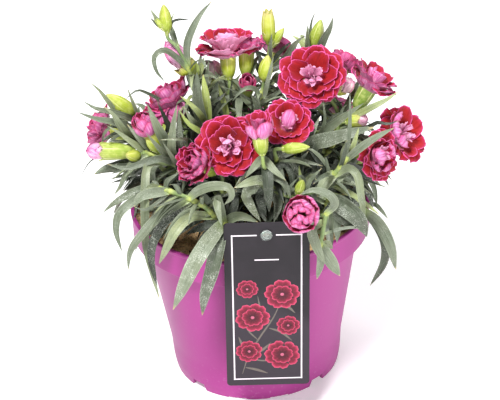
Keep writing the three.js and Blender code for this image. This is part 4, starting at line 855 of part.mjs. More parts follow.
// ---- the pot ---------------------------------------------------------------------
function lathe(profile, sides) {
  const points = [...profile, profile[0]].map(([r, z]) => new THREE.Vector2(r, z));
  const g = new THREE.LatheGeometry(points, sides);
  g.rotateX(Math.PI / 2);
  g.translate(POT_X, POT_Y, 0);
  return toSolid(g);
}
const bandLow = POT_HEIGHT - BAND_HEIGHT;
const wallAt = (z) => WALL_LOW_RADIUS + ((WALL_TOP_RADIUS - WALL_LOW_RADIUS) * (z - WALL_LOW_Z)) / (bandLow - WALL_LOW_Z);
const potShell = (grow) => lathe([
  [0, FLOOR_UNDER - grow],
  [FOOT_INNER_RADIUS - grow, FLOOR_UNDER - grow],
  [FOOT_INNER_RADIUS - grow, 0],
  [FOOT_RADIUS + grow, 0],
  [FOOT_RADIUS + 1.3 + grow, 7],
  [WALL_LOW_RADIUS + grow, WALL_LOW_Z],
  [WALL_TOP_RADIUS + grow, bandLow - grow],
  [RIM_RADIUS + grow, bandLow - grow],
  [RIM_RADIUS + 0.15 + grow, POT_HEIGHT - LIP_HEIGHT - grow],
  [LIP_RADIUS + grow, POT_HEIGHT - LIP_HEIGHT + 0.5 - grow],
  [LIP_RADIUS + grow, POT_HEIGHT - 0.4 + grow],
  [LIP_RADIUS - 0.5 + grow, POT_HEIGHT + grow],
  [RIM_RADIUS - 1.9 - grow, POT_HEIGHT + grow],
  [RIM_RADIUS - 1.7 - grow, bandLow + WALL + 0.4 + grow],
  [WALL_TOP_RADIUS - WALL - grow, bandLow + WALL + grow],
  [WALL_LOW_RADIUS - WALL - grow, WALL_LOW_Z],
  [FOOT_RADIUS - 0.4 - grow, FLOOR_TOP + 1.4 + grow],
  [FOOT_RADIUS - 2.6 - grow, FLOOR_TOP + grow],
  [0, FLOOR_TOP + grow],
], POT_SIDES);

// A block that reaches through the foot ring: wide at the table, narrower above.
function footCut(degrees, widthLow, widthHigh, height) {
  const shape = new THREE.Shape([
    new THREE.Vector2(-widthLow / 2, -1), new THREE.Vector2(widthLow / 2, -1),
    new THREE.Vector2(widthHigh / 2, height), new THREE.Vector2(-widthHigh / 2, height),
  ]);
  const g = new THREE.ExtrudeGeometry(shape, { depth: 14, bevelEnabled: false });
  g.rotateX(Math.PI / 2);                       // across the ring, height along Z
  g.translate(0, 60, 0);
  g.rotateZ(((degrees - 90) * Math.PI) / 180);
  g.translate(POT_X, POT_Y, 0);
  return toSolid(g);
}
const cuts = [];
for (let q = 0; q < 4; q++) {
  const arch = -46 + 90 * q;
  cuts.push(footCut(arch, 13.2, 9.6, ARCH_HEIGHT));
  cuts.push(footCut(arch - 30.5, 13, 11.6, FOOT_GAP));
  cuts.push(footCut(arch - 59.5, 13, 11.6, FOOT_GAP));
}
for (let i = 0; i < DRAIN_HOLES; i++) {
  const a = (2 * Math.PI * (i + 0.5)) / DRAIN_HOLES;
  const g = new THREE.CylinderGeometry(DRAIN_HOLE_RADIUS, DRAIN_HOLE_RADIUS, 6, 8);
  g.rotateX(Math.PI / 2);
  g.translate(POT_X + DRAIN_RING_RADIUS * Math.cos(a), POT_Y + DRAIN_RING_RADIUS * Math.sin(a), FLOOR_TOP - 1);
  cuts.push(toSolid(g));
}
const pot = potShell(0).subtract(joined(cuts));

// ---- the label ---------------------------------------------------------------------
const labelFrame = new THREE.Group();
labelFrame.position.set(POT_X + CARD_CENTRE[0], POT_Y + CARD_CENTRE[1], CARD_CENTRE[2]);
labelFrame.rotation.x = Math.PI / 2 + THREE.MathUtils.degToRad(CARD_TILT);
const labelTurn = new THREE.Group();
labelTurn.rotation.z = -THREE.MathUtils.degToRad(CARD_TURN);
labelFrame.add(labelTurn);
labelFrame.updateMatrixWorld(true);

function roundedCard(grow) {
  const [w, h, r] = [CARD_WIDTH / 2 + grow, CARD_HEIGHT / 2 + grow, CARD_CORNER];
  const shape = new THREE.Shape();
  shape.moveTo(-w + r, -h);
  shape.lineTo(w - r, -h);
  shape.absarc(w - r, -h + r, r, -Math.PI / 2, 0, false);
  shape.lineTo(w, h - r);
  shape.absarc(w - r, h - r, r, 0, Math.PI / 2, false);
  shape.lineTo(-w + r, h);
  shape.absarc(-w + r, h - r, r, Math.PI / 2, Math.PI, false);
  shape.lineTo(-w, -h + r);
  shape.absarc(-w + r, -h + r, r, Math.PI, 1.5 * Math.PI, false);
  if (!grow) {
    const hole = new THREE.Path();
    hole.absarc(HOLE_AT[0], HOLE_AT[1], HOLE_RADIUS, 0, 2 * Math.PI, true);
    shape.holes.push(hole);
  }
  const depth = CARD_THICKNESS + 2 * grow;
  const g = new THREE.ExtrudeGeometry(shape, { depth, bevelEnabled: false, curveSegments: 5 });
  g.translate(0, 0, -depth / 2);
  return g;
}

// Stake: behind the card, over the rim and down into the soil, seen from the side.
const backOf = (z) => -76.6 - (z - 99) * Math.tan(THREE.MathUtils.degToRad(CARD_TILT)) + CARD_THICKNESS / 2 + 0.35 + STAKE_THICKNESS / 2;
const stakeLine = [[backOf(144.6), 144.6], [backOf(122.4), 122.4], [-75.2, 121], [-71.4, 120.6], [-70.2, 119.2], [-65.4, 108], [-62.2, 88], [-57.6, 60]];
function stakeSolid(grow) {
  const half = STAKE_THICKNESS / 2 + grow;
  const [left, right] = [[], []];
  stakeLine.forEach(([y, z], i) => {
    const a = stakeLine[Math.max(0, i - 1)], b = stakeLine[Math.min(stakeLine.length - 1, i + 1)];
    const [dy, dz] = [b[0] - a[0], b[1] - a[1]];
    const l = Math.hypot(dy, dz);
    const end = i === 0 ? -grow : i === stakeLine.length - 1 ? grow : 0;
    const [cy, cz] = [y + (dy / l) * end, z + (dz / l) * end];
    left.push(new THREE.Vector2(cy - (dz / l) * half, cz + (dy / l) * half));
    right.unshift(new THREE.Vector2(cy + (dz / l) * half, cz - (dy / l) * half));
  });
  const width = STAKE_WIDTH + 2 * grow;
  const g = new THREE.ExtrudeGeometry(new THREE.Shape([...left, ...right]), { depth: width, bevelEnabled: false });
  // shape x is the row's Y and shape y the row's Z; the extrusion runs along X
  g.applyMatrix4(new THREE.Matrix4().set(0, 0, 1, 0, 1, 0, 0, 0, 0, 1, 0, 0, 0, 0, 0, 1));
  g.translate(POT_X + 8.66 - width / 2, POT_Y, 0);
  return toSolid(g);
}

function buttonGeometry(grow) {
  const points = [
    [0, -3.1 - grow], [3.2 + grow, -3.1 - grow], [3.2 + grow, -2.25 + grow], [1.9 + grow, -2.25 + grow],
    [1.9 + grow, 0.75 - grow], [3.6 + grow, 0.75 - grow], [3.6 + grow, 1.5], [3.1 + grow, 1.95 + grow],
    [2.1 + grow, 1.95 + grow], [2.0 + grow, 2.5 + grow], [0, 2.7 + grow], [0, -3.1 - grow],
  ].map(([r, z]) => new THREE.Vector2(r, z));
  const g = new THREE.LatheGeometry(points, 12);
  g.rotateX(Math.PI / 2);
  return g;
}
const inLabel = (g, x = 0, y = 0) => {
  const copy = g.clone();
  copy.translate(x, y, 0);
  copy.applyMatrix4(labelTurn.matrixWorld);
  return toSolid(copy);
};

// ---- the soil ------------------------------------------------------------------------
const soilShell = (grow) => lathe([
  [0, FLOOR_TOP + SOIL_GAP - grow],
  [FOOT_RADIUS - 2.6 - SOIL_GAP, FLOOR_TOP + SOIL_GAP - grow],
  [FOOT_RADIUS - 0.4 - SOIL_GAP, FLOOR_TOP + 1.4 + SOIL_GAP],
  [WALL_LOW_RADIUS - WALL - SOIL_GAP, WALL_LOW_Z],
  [WALL_TOP_RADIUS - WALL - SOIL_GAP, bandLow + WALL],
  [WALL_TOP_RADIUS - WALL - SOIL_GAP, bandLow + WALL + 2],
  [RIM_RADIUS - 1.75 - SOIL_GAP, bandLow + WALL + 2.3],
  [RIM_RADIUS - 1.8 - SOIL_GAP, SOIL_EDGE + grow],
  [52, SOIL_EDGE + 0.9 + grow],
  [34, SOIL_TOP + grow],
  [0, SOIL_TOP + grow],
], POT_SIDES);
const soil = soilShell(0).subtract(stakeSolid(SOIL_GAP));

// ---- putting the object together --------------------------------------------------------
const object = new THREE.Group();
object.name = 'potted_pinks';

function paint(color, roughness, extra = {}) {
  return new THREE.MeshStandardMaterial({ color, roughness, metalness: 0, ...extra });
}
function place(name, solid, material, at = [0, 0, 0]) {
  const mesh = new THREE.Mesh(toGeometry(solid, at), material);
  mesh.name = name;
  mesh.position.set(...at);
  object.add(mesh);
}

place('pot', tidy(pot, 0.05), paint('#cc66ad', 0.42), [POT_X, POT_Y, 0]);
place('soil', tidy(soil, 0.05), paint('#4a3524', 0.95), [POT_X, POT_Y, 0]);

const cardGeometry = roundedCard(0);
const card = new THREE.Mesh(cardGeometry, paint('#3f383f', 0.5));
card.name = 'label_card';
labelTurn.add(card);
const hole = inLabel(new THREE.CylinderGeometry(2.3, 2.3, 12, 16).rotateX(Math.PI / 2), HOLE_AT[0], HOLE_AT[1]);
const stake = stakeSolid(0).subtract(hole);
place('label_stake', stake, paint('#dfe6e2', 0.2, { transparent: true, opacity: 0.45 }), [POT_X, POT_Y, 0]);
const button = new THREE.Mesh(buttonGeometry(0), paint('#dbe8dd', 0.15, { transparent: true, opacity: 0.6 }));
button.name = 'label_button';
button.position.set(HOLE_AT[0], HOLE_AT[1], 0);
labelTurn.add(button);
object.add(labelFrame);

const still = joined([
  potShell(0.4), soilShell(0.3), inLabel(roundedCard(0.5)), stakeSolid(0.5),
  inLabel(buttonGeometry(0.4), HOLE_AT[0], HOLE_AT[1]),
]);

// Flower heads and bud petals keep their whole form; each gives way to the ones before it.
const heads = [];
let headsFat = null;
for (const [name, make, data, color] of [
  ...Object.entries(BLOOMS).map(([n, d]) => [n, bloom, d, '#b92c46']),
  ...Object.entries(BUD_PETALS).map(([n, d]) => [n, budPetals, d, '#e3a6c6']),
]) {
  let solid = make(data, 0).subtract(still);
  if (headsFat) solid = solid.subtract(headsFat);
  solid = mainBody(solid);
  heads.push([name, solid, color]);
  const fat = make(data, CLEARANCE);
  headsFat = headsFat ? headsFat.add(fat) : fat;
}

// Each shoot's stems, calyxes and green buds, then its leaves, which give way to the rest.
const taken = still.add(headsFat);
const names = Object.keys(SHOOTS);
const wood = (s, grow) => joined([
  ...s.stems.map((d) => stem(d, grow)), ...s.calyxes.map((d) => calyx(d, grow)), ...s.buds.map((d) => bud(d, grow)),
]);
const woods = [], woodsFat = [];
for (const name of names) {
  let w = wood(SHOOTS[name], 0).subtract(taken);
  if (woodsFat.length) w = w.subtract(joined(woodsFat));
  woods.push(mainBody(w));
  woodsFat.push(wood(SHOOTS[name], CLEARANCE));
}
const leavesFat = [];
names.forEach((name, i) => {
  const others = woodsFat.filter((_, j) => j !== i);
  let blades = joined(SHOOTS[name].leaves.map((d) => leaf(d, 0))).subtract(taken).subtract(joined(others));
  if (leavesFat.length) blades = blades.subtract(joined(leavesFat));
  leavesFat.push(joined(SHOOTS[name].leaves.map((d) => leaf(d, CLEARANCE * 0.9))));
  const solid = tidy(mainBody(woods[i].add(blades)), DENSE.includes(name) ? 0.07 : 0.16);
  place(name, solid, paint('#93a78b', 0.7), [POT_X + SHOOTS[name].crown[0], POT_Y + SHOOTS[name].crown[1], SHOOTS[name].crown[2]]);
});
for (const [name, solid, color] of heads) {
  const data = BLOOMS[name] ? BLOOMS[name][4] : BUD_PETALS[name][1];
  place(name, tidy(solid, 0.08), paint(color, 0.75), [POT_X + data[0], POT_Y + data[1], data[2]]);
}

export default object;
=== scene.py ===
"""Looks for the potted pinks: detailed pot, soil, label, leaves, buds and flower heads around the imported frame."""
import math
import json

import bpy
import numpy as np
from mathutils import Matrix, Vector

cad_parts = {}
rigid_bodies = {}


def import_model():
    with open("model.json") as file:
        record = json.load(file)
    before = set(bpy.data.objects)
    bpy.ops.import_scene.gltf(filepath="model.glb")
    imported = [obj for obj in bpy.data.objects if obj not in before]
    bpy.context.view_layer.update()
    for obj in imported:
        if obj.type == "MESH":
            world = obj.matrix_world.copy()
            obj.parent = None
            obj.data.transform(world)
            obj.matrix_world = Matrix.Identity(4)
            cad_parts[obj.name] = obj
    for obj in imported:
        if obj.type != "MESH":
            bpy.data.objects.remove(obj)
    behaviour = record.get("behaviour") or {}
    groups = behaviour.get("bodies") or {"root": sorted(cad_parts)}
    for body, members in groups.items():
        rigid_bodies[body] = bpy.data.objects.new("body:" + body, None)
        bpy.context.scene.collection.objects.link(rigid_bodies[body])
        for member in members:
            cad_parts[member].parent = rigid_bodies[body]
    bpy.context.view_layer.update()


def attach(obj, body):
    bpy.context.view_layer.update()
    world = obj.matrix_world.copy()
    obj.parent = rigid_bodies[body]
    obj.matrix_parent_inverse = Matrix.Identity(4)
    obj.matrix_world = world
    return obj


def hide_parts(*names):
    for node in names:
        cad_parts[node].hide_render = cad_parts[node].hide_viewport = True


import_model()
scene = bpy.context.scene
for o in list(bpy.data.objects):
    if o.type in ("LIGHT", "CAMERA"):
        bpy.data.objects.remove(o)

AXIS = np.array([-3.3, 1.9, 0.0])  # the pot's axis in the row frame, in millimetres


def metres(p):
    return (np.asarray(p, float) + AXIS) * 0.001


# ------------------------------------------------------------------ the plant's points, as in the solids
# millimetres from the pot's axis
SHOOTS = {
    "shoot_01": {
        "stems": [
            (1.5, 1.2, [(-9, 4, 109.3), (-9, 4, 116), (-24.9, -2, 162.9), (-30.4, -3, 197.4), (-33.7, -4, 214.5), (-40.1, -5, 230.2), (-44.6, -4.7, 235.5), (-44.9, -5, 241.3)]),
            (1.5, 1.2, [(-31.9, -3.5, 206.4), (-33.3, 1.1, 209.5)]),
            (1.5, 1.2, [(-44.9, -5, 240.7), (-46.4, -6.1, 243)]),
        ],
        "leaves": [
            (4.7, "g", 0.3, [(-33.6, -4, 215.9, -0.01, -0.99, -0.13), (-33.4, -6, 231, -0.13, -0.98, -0.12), (-29, -8, 243.7, -0.22, -0.97, 0.11), (-23.1, -6, 252.4, -0.06, -0.89, 0.44), (-16.8, -2, 257.4, 0.07, -0.82, 0.57)]),
            (3.8, "g", 0.3, [(-33.3, -4, 213.1, 0.57, -0.82, 0.07), (-40.4, -8, 224.3, 0.61, -0.78, 0.14), (-47.8, -12, 231.4, 0.5, -0.66, 0.56), (-53, -14, 228.7, -0.29, -0.92, 0.27), (-52.7, -14, 219.2, 0.01, -0.99, -0.1), (-47.9, -12, 209.8, 0.19, -0.98, -0.11)]),
            (1.7, "g", 0.3, [(-44.9, -5, 240.7, -0.02, -0.98, 0.17), (-42.8, -5, 241.1, -0.03, -0.99, -0.14), (-41.4, -6, 246.8, -0.2, -0.96, -0.21), (-37.1, -8, 249.2, -0.37, -0.92, 0.13), (-30.5, -10, 249.4, -0.29, -0.94, 0.19)]),
            (1.2, "g", 0.3, [(-45.8, -5.6, 242.1, -0.08, -0.89, 0.44), (-43.7, -5, 243.8, -0.13, -0.93, 0.33), (-41.4, -4, 248.5, -0.06, -0.92, 0.39), (-39.7, -2, 251.4, 0.03, -0.83, 0.55)]),
            (2.5, "g", 0.3, [(-45.8, -5.6, 242.1, -0.39, -0.9, 0.18), (-44.7, -6, 242.7, 0.52, -0.85, 0.04), (-50.2, -8, 250.2, 0.46, -0.87, 0.17), (-53.9, -8, 257, 0.38, -0.9, 0.21)]),
            (2.1, "g", 0.3, [(-44, -5, 239.1, 0.36, -0.91, 0.21), (-50, -6, 244.9, 0.32, -0.92, 0.21), (-54.4, -6, 250.5, 0.27, -0.94, 0.22)]),
            (5, "y", 0.3, [(-31.3, -3.3, 203, 0.02, -0.15, 0.99), (-31.3, 1, 203.6, 0.01, -0.84, 0.54), (-29, 2, 211.2, 0.01, -0.99, 0.13), (-31.7, 3, 218.4, 0.13, -0.97, 0.19)]),
            (5, "y", 0.3, [(-31.3, -3.3, 203, 0.19, -0.04, 0.98), (-30.7, 2, 203.1, 0.11, -0.73, 0.67), (-26, 4, 210.1, -0.16, -0.96, 0.21), (-23.8, 4, 217.4, -0.16, -0.99, 0.05)]),
            (4, "g", 0.3, [(-28.6, -2.7, 184.7, -0.74, -0.67, 0.09), (-27.4, -4, 185.2, 0.19, -0.98, 0), (-24.9, -2, 196.5, 0.27, -0.96, 0.13), (-20.8, 2, 216.2, 0.27, -0.95, 0.14)]),
        ],
        "more": [
            (4.9, "g", 0.3, [(-30.4, -3, 197.4, 0.1, -0.5, 0.9), (-32.1, 2.6, 200.8, 0, -0.4, 0.9), (-33.2, 8.5, 202.1, -0.1, 0, 1), (-33.6, 14.8, 200.6, -0.1, 0.5, 0.9), (-33, 21.3, 195.3, 0, 0.6, 0.8)]),
            (4.1, "g", 0.16, [(-31, -3.2, 200.6, -0.6, 0.5, 0.6), (-28.2, -6.2, 206.2, -0.6, 0.4, 0.7), (-24.8, -9, 210.3, -0.5, 0.2, 0.8), (-20.7, -11.2, 212, 0, 0, 1), (-16, -12.9, 210.6, 0.2, -0.1, 1)]),
            (3.6, "g", 0.33, [(-30, -2.9, 194.9, -0.3, -0.5, 0.8), (-27.5, 2.6, 199.5, -0.3, -0.5, 0.8), (-25.2, 8.4, 202.8, -0.2, -0.3, 0.9), (-23.3, 14.4, 204.2, -0.1, 0, 1), (-21.9, 20.7, 202.9, 0, 0.2, 1)]),
            (4.6, "gy", 0, [(-29.3, -2.8, 189.7, -0.8, 0.1, 0.6), (-24.9, -3.6, 196.1, -0.8, 0.1, 0.6), (-20.3, -4.3, 201.7, -0.7, 0.1, 0.7), (-15.6, -4.6, 206.1, -0.6, 0, 0.8), (-10.8, -4.6, 208.7, -0.5, 0, 0.9)]),
            (3, "g", 0.43, [(-27.7, -2.7, 178.2, -0.5, -0.7, 0.6), (-25.2, 1.6, 185.5, -0.5, -0.7, 0.6), (-22.9, 6.1, 192.1, -0.4, -0.6, 0.6), (-20.8, 10.9, 197.5, -0.3, -0.6, 0.8), (-19, 15.8, 201.2, -0.3, -0.5, 0.8)]),
            (3.8, "gy", 0, [(-27.3, -2.6, 175.2, 0.3, -0.4, 0.9), (-32.6, 2.9, 179.8, 0.2, -0.3, 0.9), (-37.9, 8.6, 181.5, -0.1, 0, 1), (-43.1, 14.6, 179.1, -0.4, 0.4, 0.8), (-48.1, 20.7, 171.5, -0.5, 0.5, 0.7)]),
            (3.5, "g", 0.27, [(-29.3, -2.8, 189.7, -0.2, -0.8, 0.6), (-28.6, 2.4, 196.4, -0.2, -0.8, 0.6), (-27.8, 7.6, 203, -0.2, -0.7, 0.6), (-26.6, 13, 209.5, -0.3, -0.7, 0.7), (-25.2, 18.2, 215.5, -0.3, -0.7, 0.7)]),
            (3.6, "g", 0.46, [(-28.9, -2.8, 186.9, 0.2, 0.6, 0.8), (-31.4, -9.2, 192.6, 0.1, 0.5, 0.8), (-33.7, -16, 196.5, 0.1, 0.3, 0.9), (-35.9, -22.9, 197.7, -0.1, -0.1, 1), (-37.6, -29.9, 195.4, -0.1, -0.3, 1)]),
            (3.2, "gy", 0.08, [(-30, -2.9, 194.9, 0.1, 0.5, 0.9), (-31.4, -7.7, 197.7, 0, 0.4, 0.9), (-32.9, -12.5, 199.2, 0, 0.1, 1), (-34.6, -17.4, 198.8, -0.2, -0.3, 0.9), (-36.6, -22.2, 195.9, -0.2, -0.4, 0.9)]),
            (3.3, "g", 0.36, [(-33.3, -3.9, 213.1, -0.8, 0.3, 0.6), (-29.9, -5.9, 218.5, -0.7, 0.3, 0.7), (-26.8, -9, 222.1, -0.4, 0.3, 0.9), (-24.1, -13.3, 223, -0.1, -0.2, 1), (-22.2, -19.2, 220.5, 0, -0.4, 0.9)]),
            (4.7, "g", 0.17, [(-28.1, -2.7, 181.2, 0.4, -0.3, 0.9), (-33.2, 0.8, 184.6, 0.3, -0.2, 0.9), (-38.7, 3.9, 185.9, 0, 0, 1), (-44.9, 6.4, 184.4, -0.4, 0.1, 0.9), (-51.7, 8, 179.2, -0.6, 0.1, 0.8)]),
            (3.6, "g", 0.06, [(-38.9, -4.9, 228.1, -0.1, -0.5, 0.9), (-41.1, 2.2, 232.1, -0.1, -0.4, 0.9), (-42.7, 9.8, 233.5, -0.2, 0, 1), (-43.8, 17.7, 231.6, -0.3, 0.4, 0.9), (-44, 25.8, 225.2, -0.3, 0.6, 0.8)]),
            (4.4, "g", 0, [(-28.9, -2.8, 186.9, 0.3, 0.6, 0.7), (-32.2, -8.6, 192.8, 0.2, 0.6, 0.8), (-35.4, -14.6, 197.6, 0.2, 0.5, 0.9), (-38.5, -20.8, 201, 0.1, 0.3, 0.9), (-41.4, -27.1, 202.3, 0, 0.2, 1)]),
            (4.6, "g", 0.36, [(-31, -3.2, 200.6, -0.3, -0.5, 0.8), (-28.4, 3.7, 205.9, -0.2, -0.4, 0.9), (-25, 10.5, 208.6, -0.1, -0.1, 1), (-20.8, 17.2, 207.7, 0.2, 0.3, 0.9), (-15.5, 23.4, 202.1, 0.3, 0.5, 0.8)]),
            (3.9, "g", 0.19, [(-25.6, -2.2, 166, 0.6, -0.2, 0.8), (-29.8, -1.1, 169.6, 0.6, -0.2, 0.8), (-34, 0.3, 173, 0.5, -0.3, 0.8), (-38.2, 2, 176, 0.4, -0.3, 0.8), (-42.3, 4.1, 178.6, 0.4, -0.3, 0.9)]),
            (3.1, "d", 0.15, [(-14.5, 1.8, 133.3, -0.2, 0.7, 0.7), (-14.6, -5.1, 140.8, -0.2, 0.7, 0.7), (-14.9, -12.1, 146.4, -0.1, 0.5, 0.8), (-15.6, -19.3, 149.2, -0.1, 0.2, 1), (-16.6, -26.5, 148.4, -0.2, -0.1, 1)]),
            (4.6, "g", 0.09, [(-31.7, -3.4, 205, -0.2, 0.7, 0.7), (-31.3, -7, 208.7, -0.1, 0.7, 0.7), (-31.2, -10.7, 212.1, -0.1, 0.6, 0.8), (-31.6, -14.6, 215, 0, 0.5, 0.8), (-32.4, -18.5, 217.2, 0, 0.5, 0.9)]),
            (3.5, "gy", 0, [(-26.2, -2.4, 169.1, -0.3, 0.7, 0.7), (-25, -7.4, 174.7, -0.3, 0.7, 0.7), (-24.1, -12.6, 179.9, -0.2, 0.6, 0.7), (-23.6, -18, 184.2, -0.1, 0.5, 0.8), (-23.7, -23.5, 187.2, -0.1, 0.5, 0.9)]),
            (5, "d", 0.48, [(-14.5, 1.8, 133.3, -0.4, 0.4, 0.8), (-12.6, -2.4, 136.4, -0.3, 0.3, 0.9), (-10.7, -6.8, 137.4, -0.1, -0.2, 1), (-8.9, -11.2, 135.3, 0, -0.7, 0.8), (-7.1, -15.7, 129.4, 0, -0.8, 0.6)]),
            (4.1, "gy", 0.17, [(-28.9, -2.8, 186.9, 0.5, 0.4, 0.8), (-32.4, -5.3, 190.5, 0.4, 0.3, 0.9), (-35.9, -8.1, 191.7, -0.1, 0, 1), (-39.3, -11.1, 189.9, -0.5, -0.4, 0.8), (-42.4, -14.5, 183.9, -0.6, -0.5, 0.6)]),
            (2.8, "d", 0.3, [(-19.5, -0.1, 146.4, -0.2, -0.7, 0.7), (-19.2, 4.6, 151.3, -0.2, -0.7, 0.7), (-18.8, 9.5, 155.4, -0.2, -0.6, 0.8), (-18.2, 14.4, 158.5, -0.2, -0.4, 0.9), (-17.4, 19.2, 160, -0.2, -0.3, 0.9)]),
            (3.5, "d", 0.16, [(-19.5, -0.1, 146.4, 0.1, 0.6, 0.8), (-21.9, -5.8, 151.3, 0.1, 0.6, 0.8), (-24.4, -11.7, 155.4, 0.1, 0.5, 0.9), (-26.9, -17.7, 158.2, 0, 0.3, 0.9), (-29.5, -23.6, 159.4, 0, 0.2, 1)]),
            (4.6, "g", 0, [(-32.4, -3.7, 209.1, -0.1, 0.5, 0.9), (-32.1, -7.8, 211.3, -0.1, 0.3, 1), (-31.6, -12.1, 211.7, -0.1, -0.2, 1), (-31, -16.4, 209.5, 0, -0.7, 0.7), (-30.1, -20.7, 204.1, 0, -0.8, 0.6)]),
            (4.8, "g", 0.32, [(-33.3, -3.9, 213.1, 0.1, -0.7, 0.7), (-34.6, 0, 217.7, 0.1, -0.6, 0.8), (-36.2, 4, 219.8, -0.1, -0.1, 1), (-38.1, 7.9, 218.6, -0.4, 0.5, 0.8), (-40.5, 11.7, 213, -0.6, 0.6, 0.6)]),
            (4.6, "d", 0.26, [(-25.6, -2.2, 166, -0.1, 0.6, 0.8), (-25.4, -8.1, 171, -0.1, 0.6, 0.8), (-24.8, -14.2, 174.5, -0.1, 0.3, 0.9), (-23.7, -20.3, 175.8, -0.1, 0, 1), (-22.1, -26.4, 174.2, 0, -0.3, 1)]),
            (3.9, "d", 0.32, [(-26.2, -2.4, 169.1, 0.4, 0.3, 0.9), (-32.4, -7.3, 173.6, 0.3, 0.3, 0.9), (-38.5, -12.9, 177.5, 0.2, 0.3, 0.9), (-44.3, -19, 180.4, 0.1, 0.2, 1), (-49.5, -25.8, 181.9, 0.1, 0.2, 1)]),
            (4.7, "d", 0, [(-16.2, 1.2, 137.6, -0.8, 0.4, 0.5), (-12.1, -2.5, 145.7, -0.7, 0.3, 0.7), (-7.4, -5.8, 149.8, -0.2, 0, 1), (-1.8, -8.5, 148.2, 0.5, -0.4, 0.8), (4.5, -10.3, 139.1, 0.7, -0.4, 0.6)]),
            (4.8, "d", 0.27, [(-22.5, -1.2, 155, -0.5, -0.7, 0.4), (-21.3, 1.8, 162, -0.5, -0.7, 0.5), (-19.9, 4.9, 167, -0.4, -0.6, 0.7), (-18.2, 7.9, 169.3, -0.1, -0.1, 1), (-16.3, 10.8, 167.8, 0.1, 0.4, 0.9)]),
            (4.6, "d", 0.11, [(-22.5, -1.2, 155, -0.7, 0.1, 0.7), (-18.5, -2.2, 159.1, -0.6, 0, 0.8), (-14.3, -2.9, 161.9, -0.4, 0, 0.9), (-9.8, -3.2, 163, 0, 0, 1), (-5.3, -3, 161.7, 0.3, 0, 1)]),
            (4.7, "d", 0, [(-23.8, -1.7, 159.1, -0.4, 0.4, 0.8), (-22.2, -4.8, 161.6, -0.3, 0.3, 0.9), (-20.6, -8.1, 162.5, -0.1, -0.1, 1), (-19.1, -11.6, 161.1, 0.1, -0.6, 0.8), (-17.8, -15, 156.7, 0.1, -0.8, 0.6)]),
            (4.1, "d", 0, [(-24.9, -2, 162.9, -0.5, 0.5, 0.7), (-22.2, -5.8, 168, -0.5, 0.5, 0.7), (-19.7, -10.1, 172.4, -0.4, 0.5, 0.8), (-17.6, -14.6, 175.9, -0.3, 0.4, 0.9), (-16.1, -19.6, 177.9, -0.2, 0.3, 0.9)]),
            (3.3, "d", 0.2, [(-24.9, -2, 162.9, -0.6, 0.5, 0.6), (-21.7, -6.5, 169.9, -0.6, 0.6, 0.6), (-18.7, -11.2, 176.7, -0.5, 0.6, 0.6), (-15.8, -16.2, 183.2, -0.5, 0.6, 0.7), (-13.3, -21.4, 189.2, -0.4, 0.6, 0.7)]),
            (3, "gy", 0, [(-32.4, -3.7, 209.1, -0.2, 0.5, 0.8), (-31.9, -10, 213.1, -0.1, 0.4, 0.9), (-31.5, -16.5, 215.4, -0.1, 0.2, 1), (-31.5, -23.1, 215.4, -0.1, -0.2, 1), (-31.9, -29.7, 212.3, -0.1, -0.4, 0.9)]),
            (4.2, "gy", 0.16, [(-27.7, -2.7, 178.2, -0.2, -0.5, 0.8), (-26.5, 4, 182.5, -0.1, -0.4, 0.9), (-25.2, 10.8, 183.6, 0, 0.2, 1), (-24, 17.8, 180.3, 0, 0.7, 0.7), (-22.8, 24.7, 171.1, 0, 0.8, 0.6)]),
            (4.6, "d", 0.23, [(-14.5, 1.8, 133.3, 0.2, 0.2, 1), (-19.9, -2.2, 135.4, 0.1, 0.1, 1), (-25.8, -6, 135.9, -0.1, 0, 1), (-32, -9.5, 134.2, -0.4, -0.2, 0.9), (-38.7, -12.3, 129.8, -0.5, -0.2, 0.9)]),
            (3.9, "g", 0.53, [(-29.3, -2.8, 189.7, -0.7, 0.1, 0.7), (-26.2, -3.5, 192.7, -0.7, 0.1, 0.7), (-23, -4.1, 195.5, -0.6, 0.1, 0.8), (-19.7, -4.5, 197.7, -0.5, 0, 0.9), (-16.4, -4.8, 199.3, -0.4, 0, 0.9)]),
        ],
        "calyxes": [],
        "buds": [(2.1, (-45.9, -6, 242.4), (-52.2, -7, 251.8), "green"), (3.8, (-44.8, -5, 240.5), (-45.8, -6, 258.6), "green")],
    },
    "shoot_02": {
        "stems": [
            (1.7, 1.3, [(-2, 8, 109.3), (-2, 8, 116), (-10.8, 4, 169.5), (-11.2, 7, 185.5), (-9, 2.6, 194.6), (-9.1, 4.8, 202.3)]),
            (1.7, 1.3, [(-11.4, 5.9, 178.4), (-3.1, 10, 183.5), (0.1, 2.3, 196.6), (1, 6, 203.6)]),
            (1.5, 1.2, [(-10.2, 3.9, 165.2), (-17.7, 17, 176.4), (-17.6, 20, 184), (-17.7, 20, 189.8)]),
        ],
        "leaves": [
            (5.3, "g", 0.3, [(-11.1, 4.5, 173.4, 0.25, -0.81, 0.53), (-18.7, 2, 173.1, 0.38, -0.9, -0.23), (-18.9, -4, 193.8, -0.08, -0.98, -0.16), (-15.2, -4, 208, -0.14, -0.99, 0.04)]),
            (4, "y", 0.3, [(-11.1, 4.5, 173.4, -0.01, -0.37, -0.93), (-11.2, 0, 175.2, 0.17, -0.91, -0.37), (-13.5, -3, 190.9, 0.13, -0.99, -0.09), (-16, -3, 202.8, 0.12, -0.99, 0.02)]),
            (3.4, "d", 0.3, [(-6.1, 9, 181.1, 0.03, -0.88, 0.48), (0.7, 5, 173.3, -0.73, -0.68, 0.02), (-1.3, 4, 186.5, -0.18, -0.98, 0), (-4.4, 6, 197.5, 0.1, -0.97, 0.21)]),
            (2.5, "d", 0.3, [(-6.9, 8.5, 180.6, -0.08, 0.33, -0.94), (-4.7, 5, 179.2, 0.3, -0.76, -0.57), (-8.6, 0, 191.1, 0.1, -0.98, -0.2), (-7.4, 0, 202.8, -0.06, -1, 0.01)]),
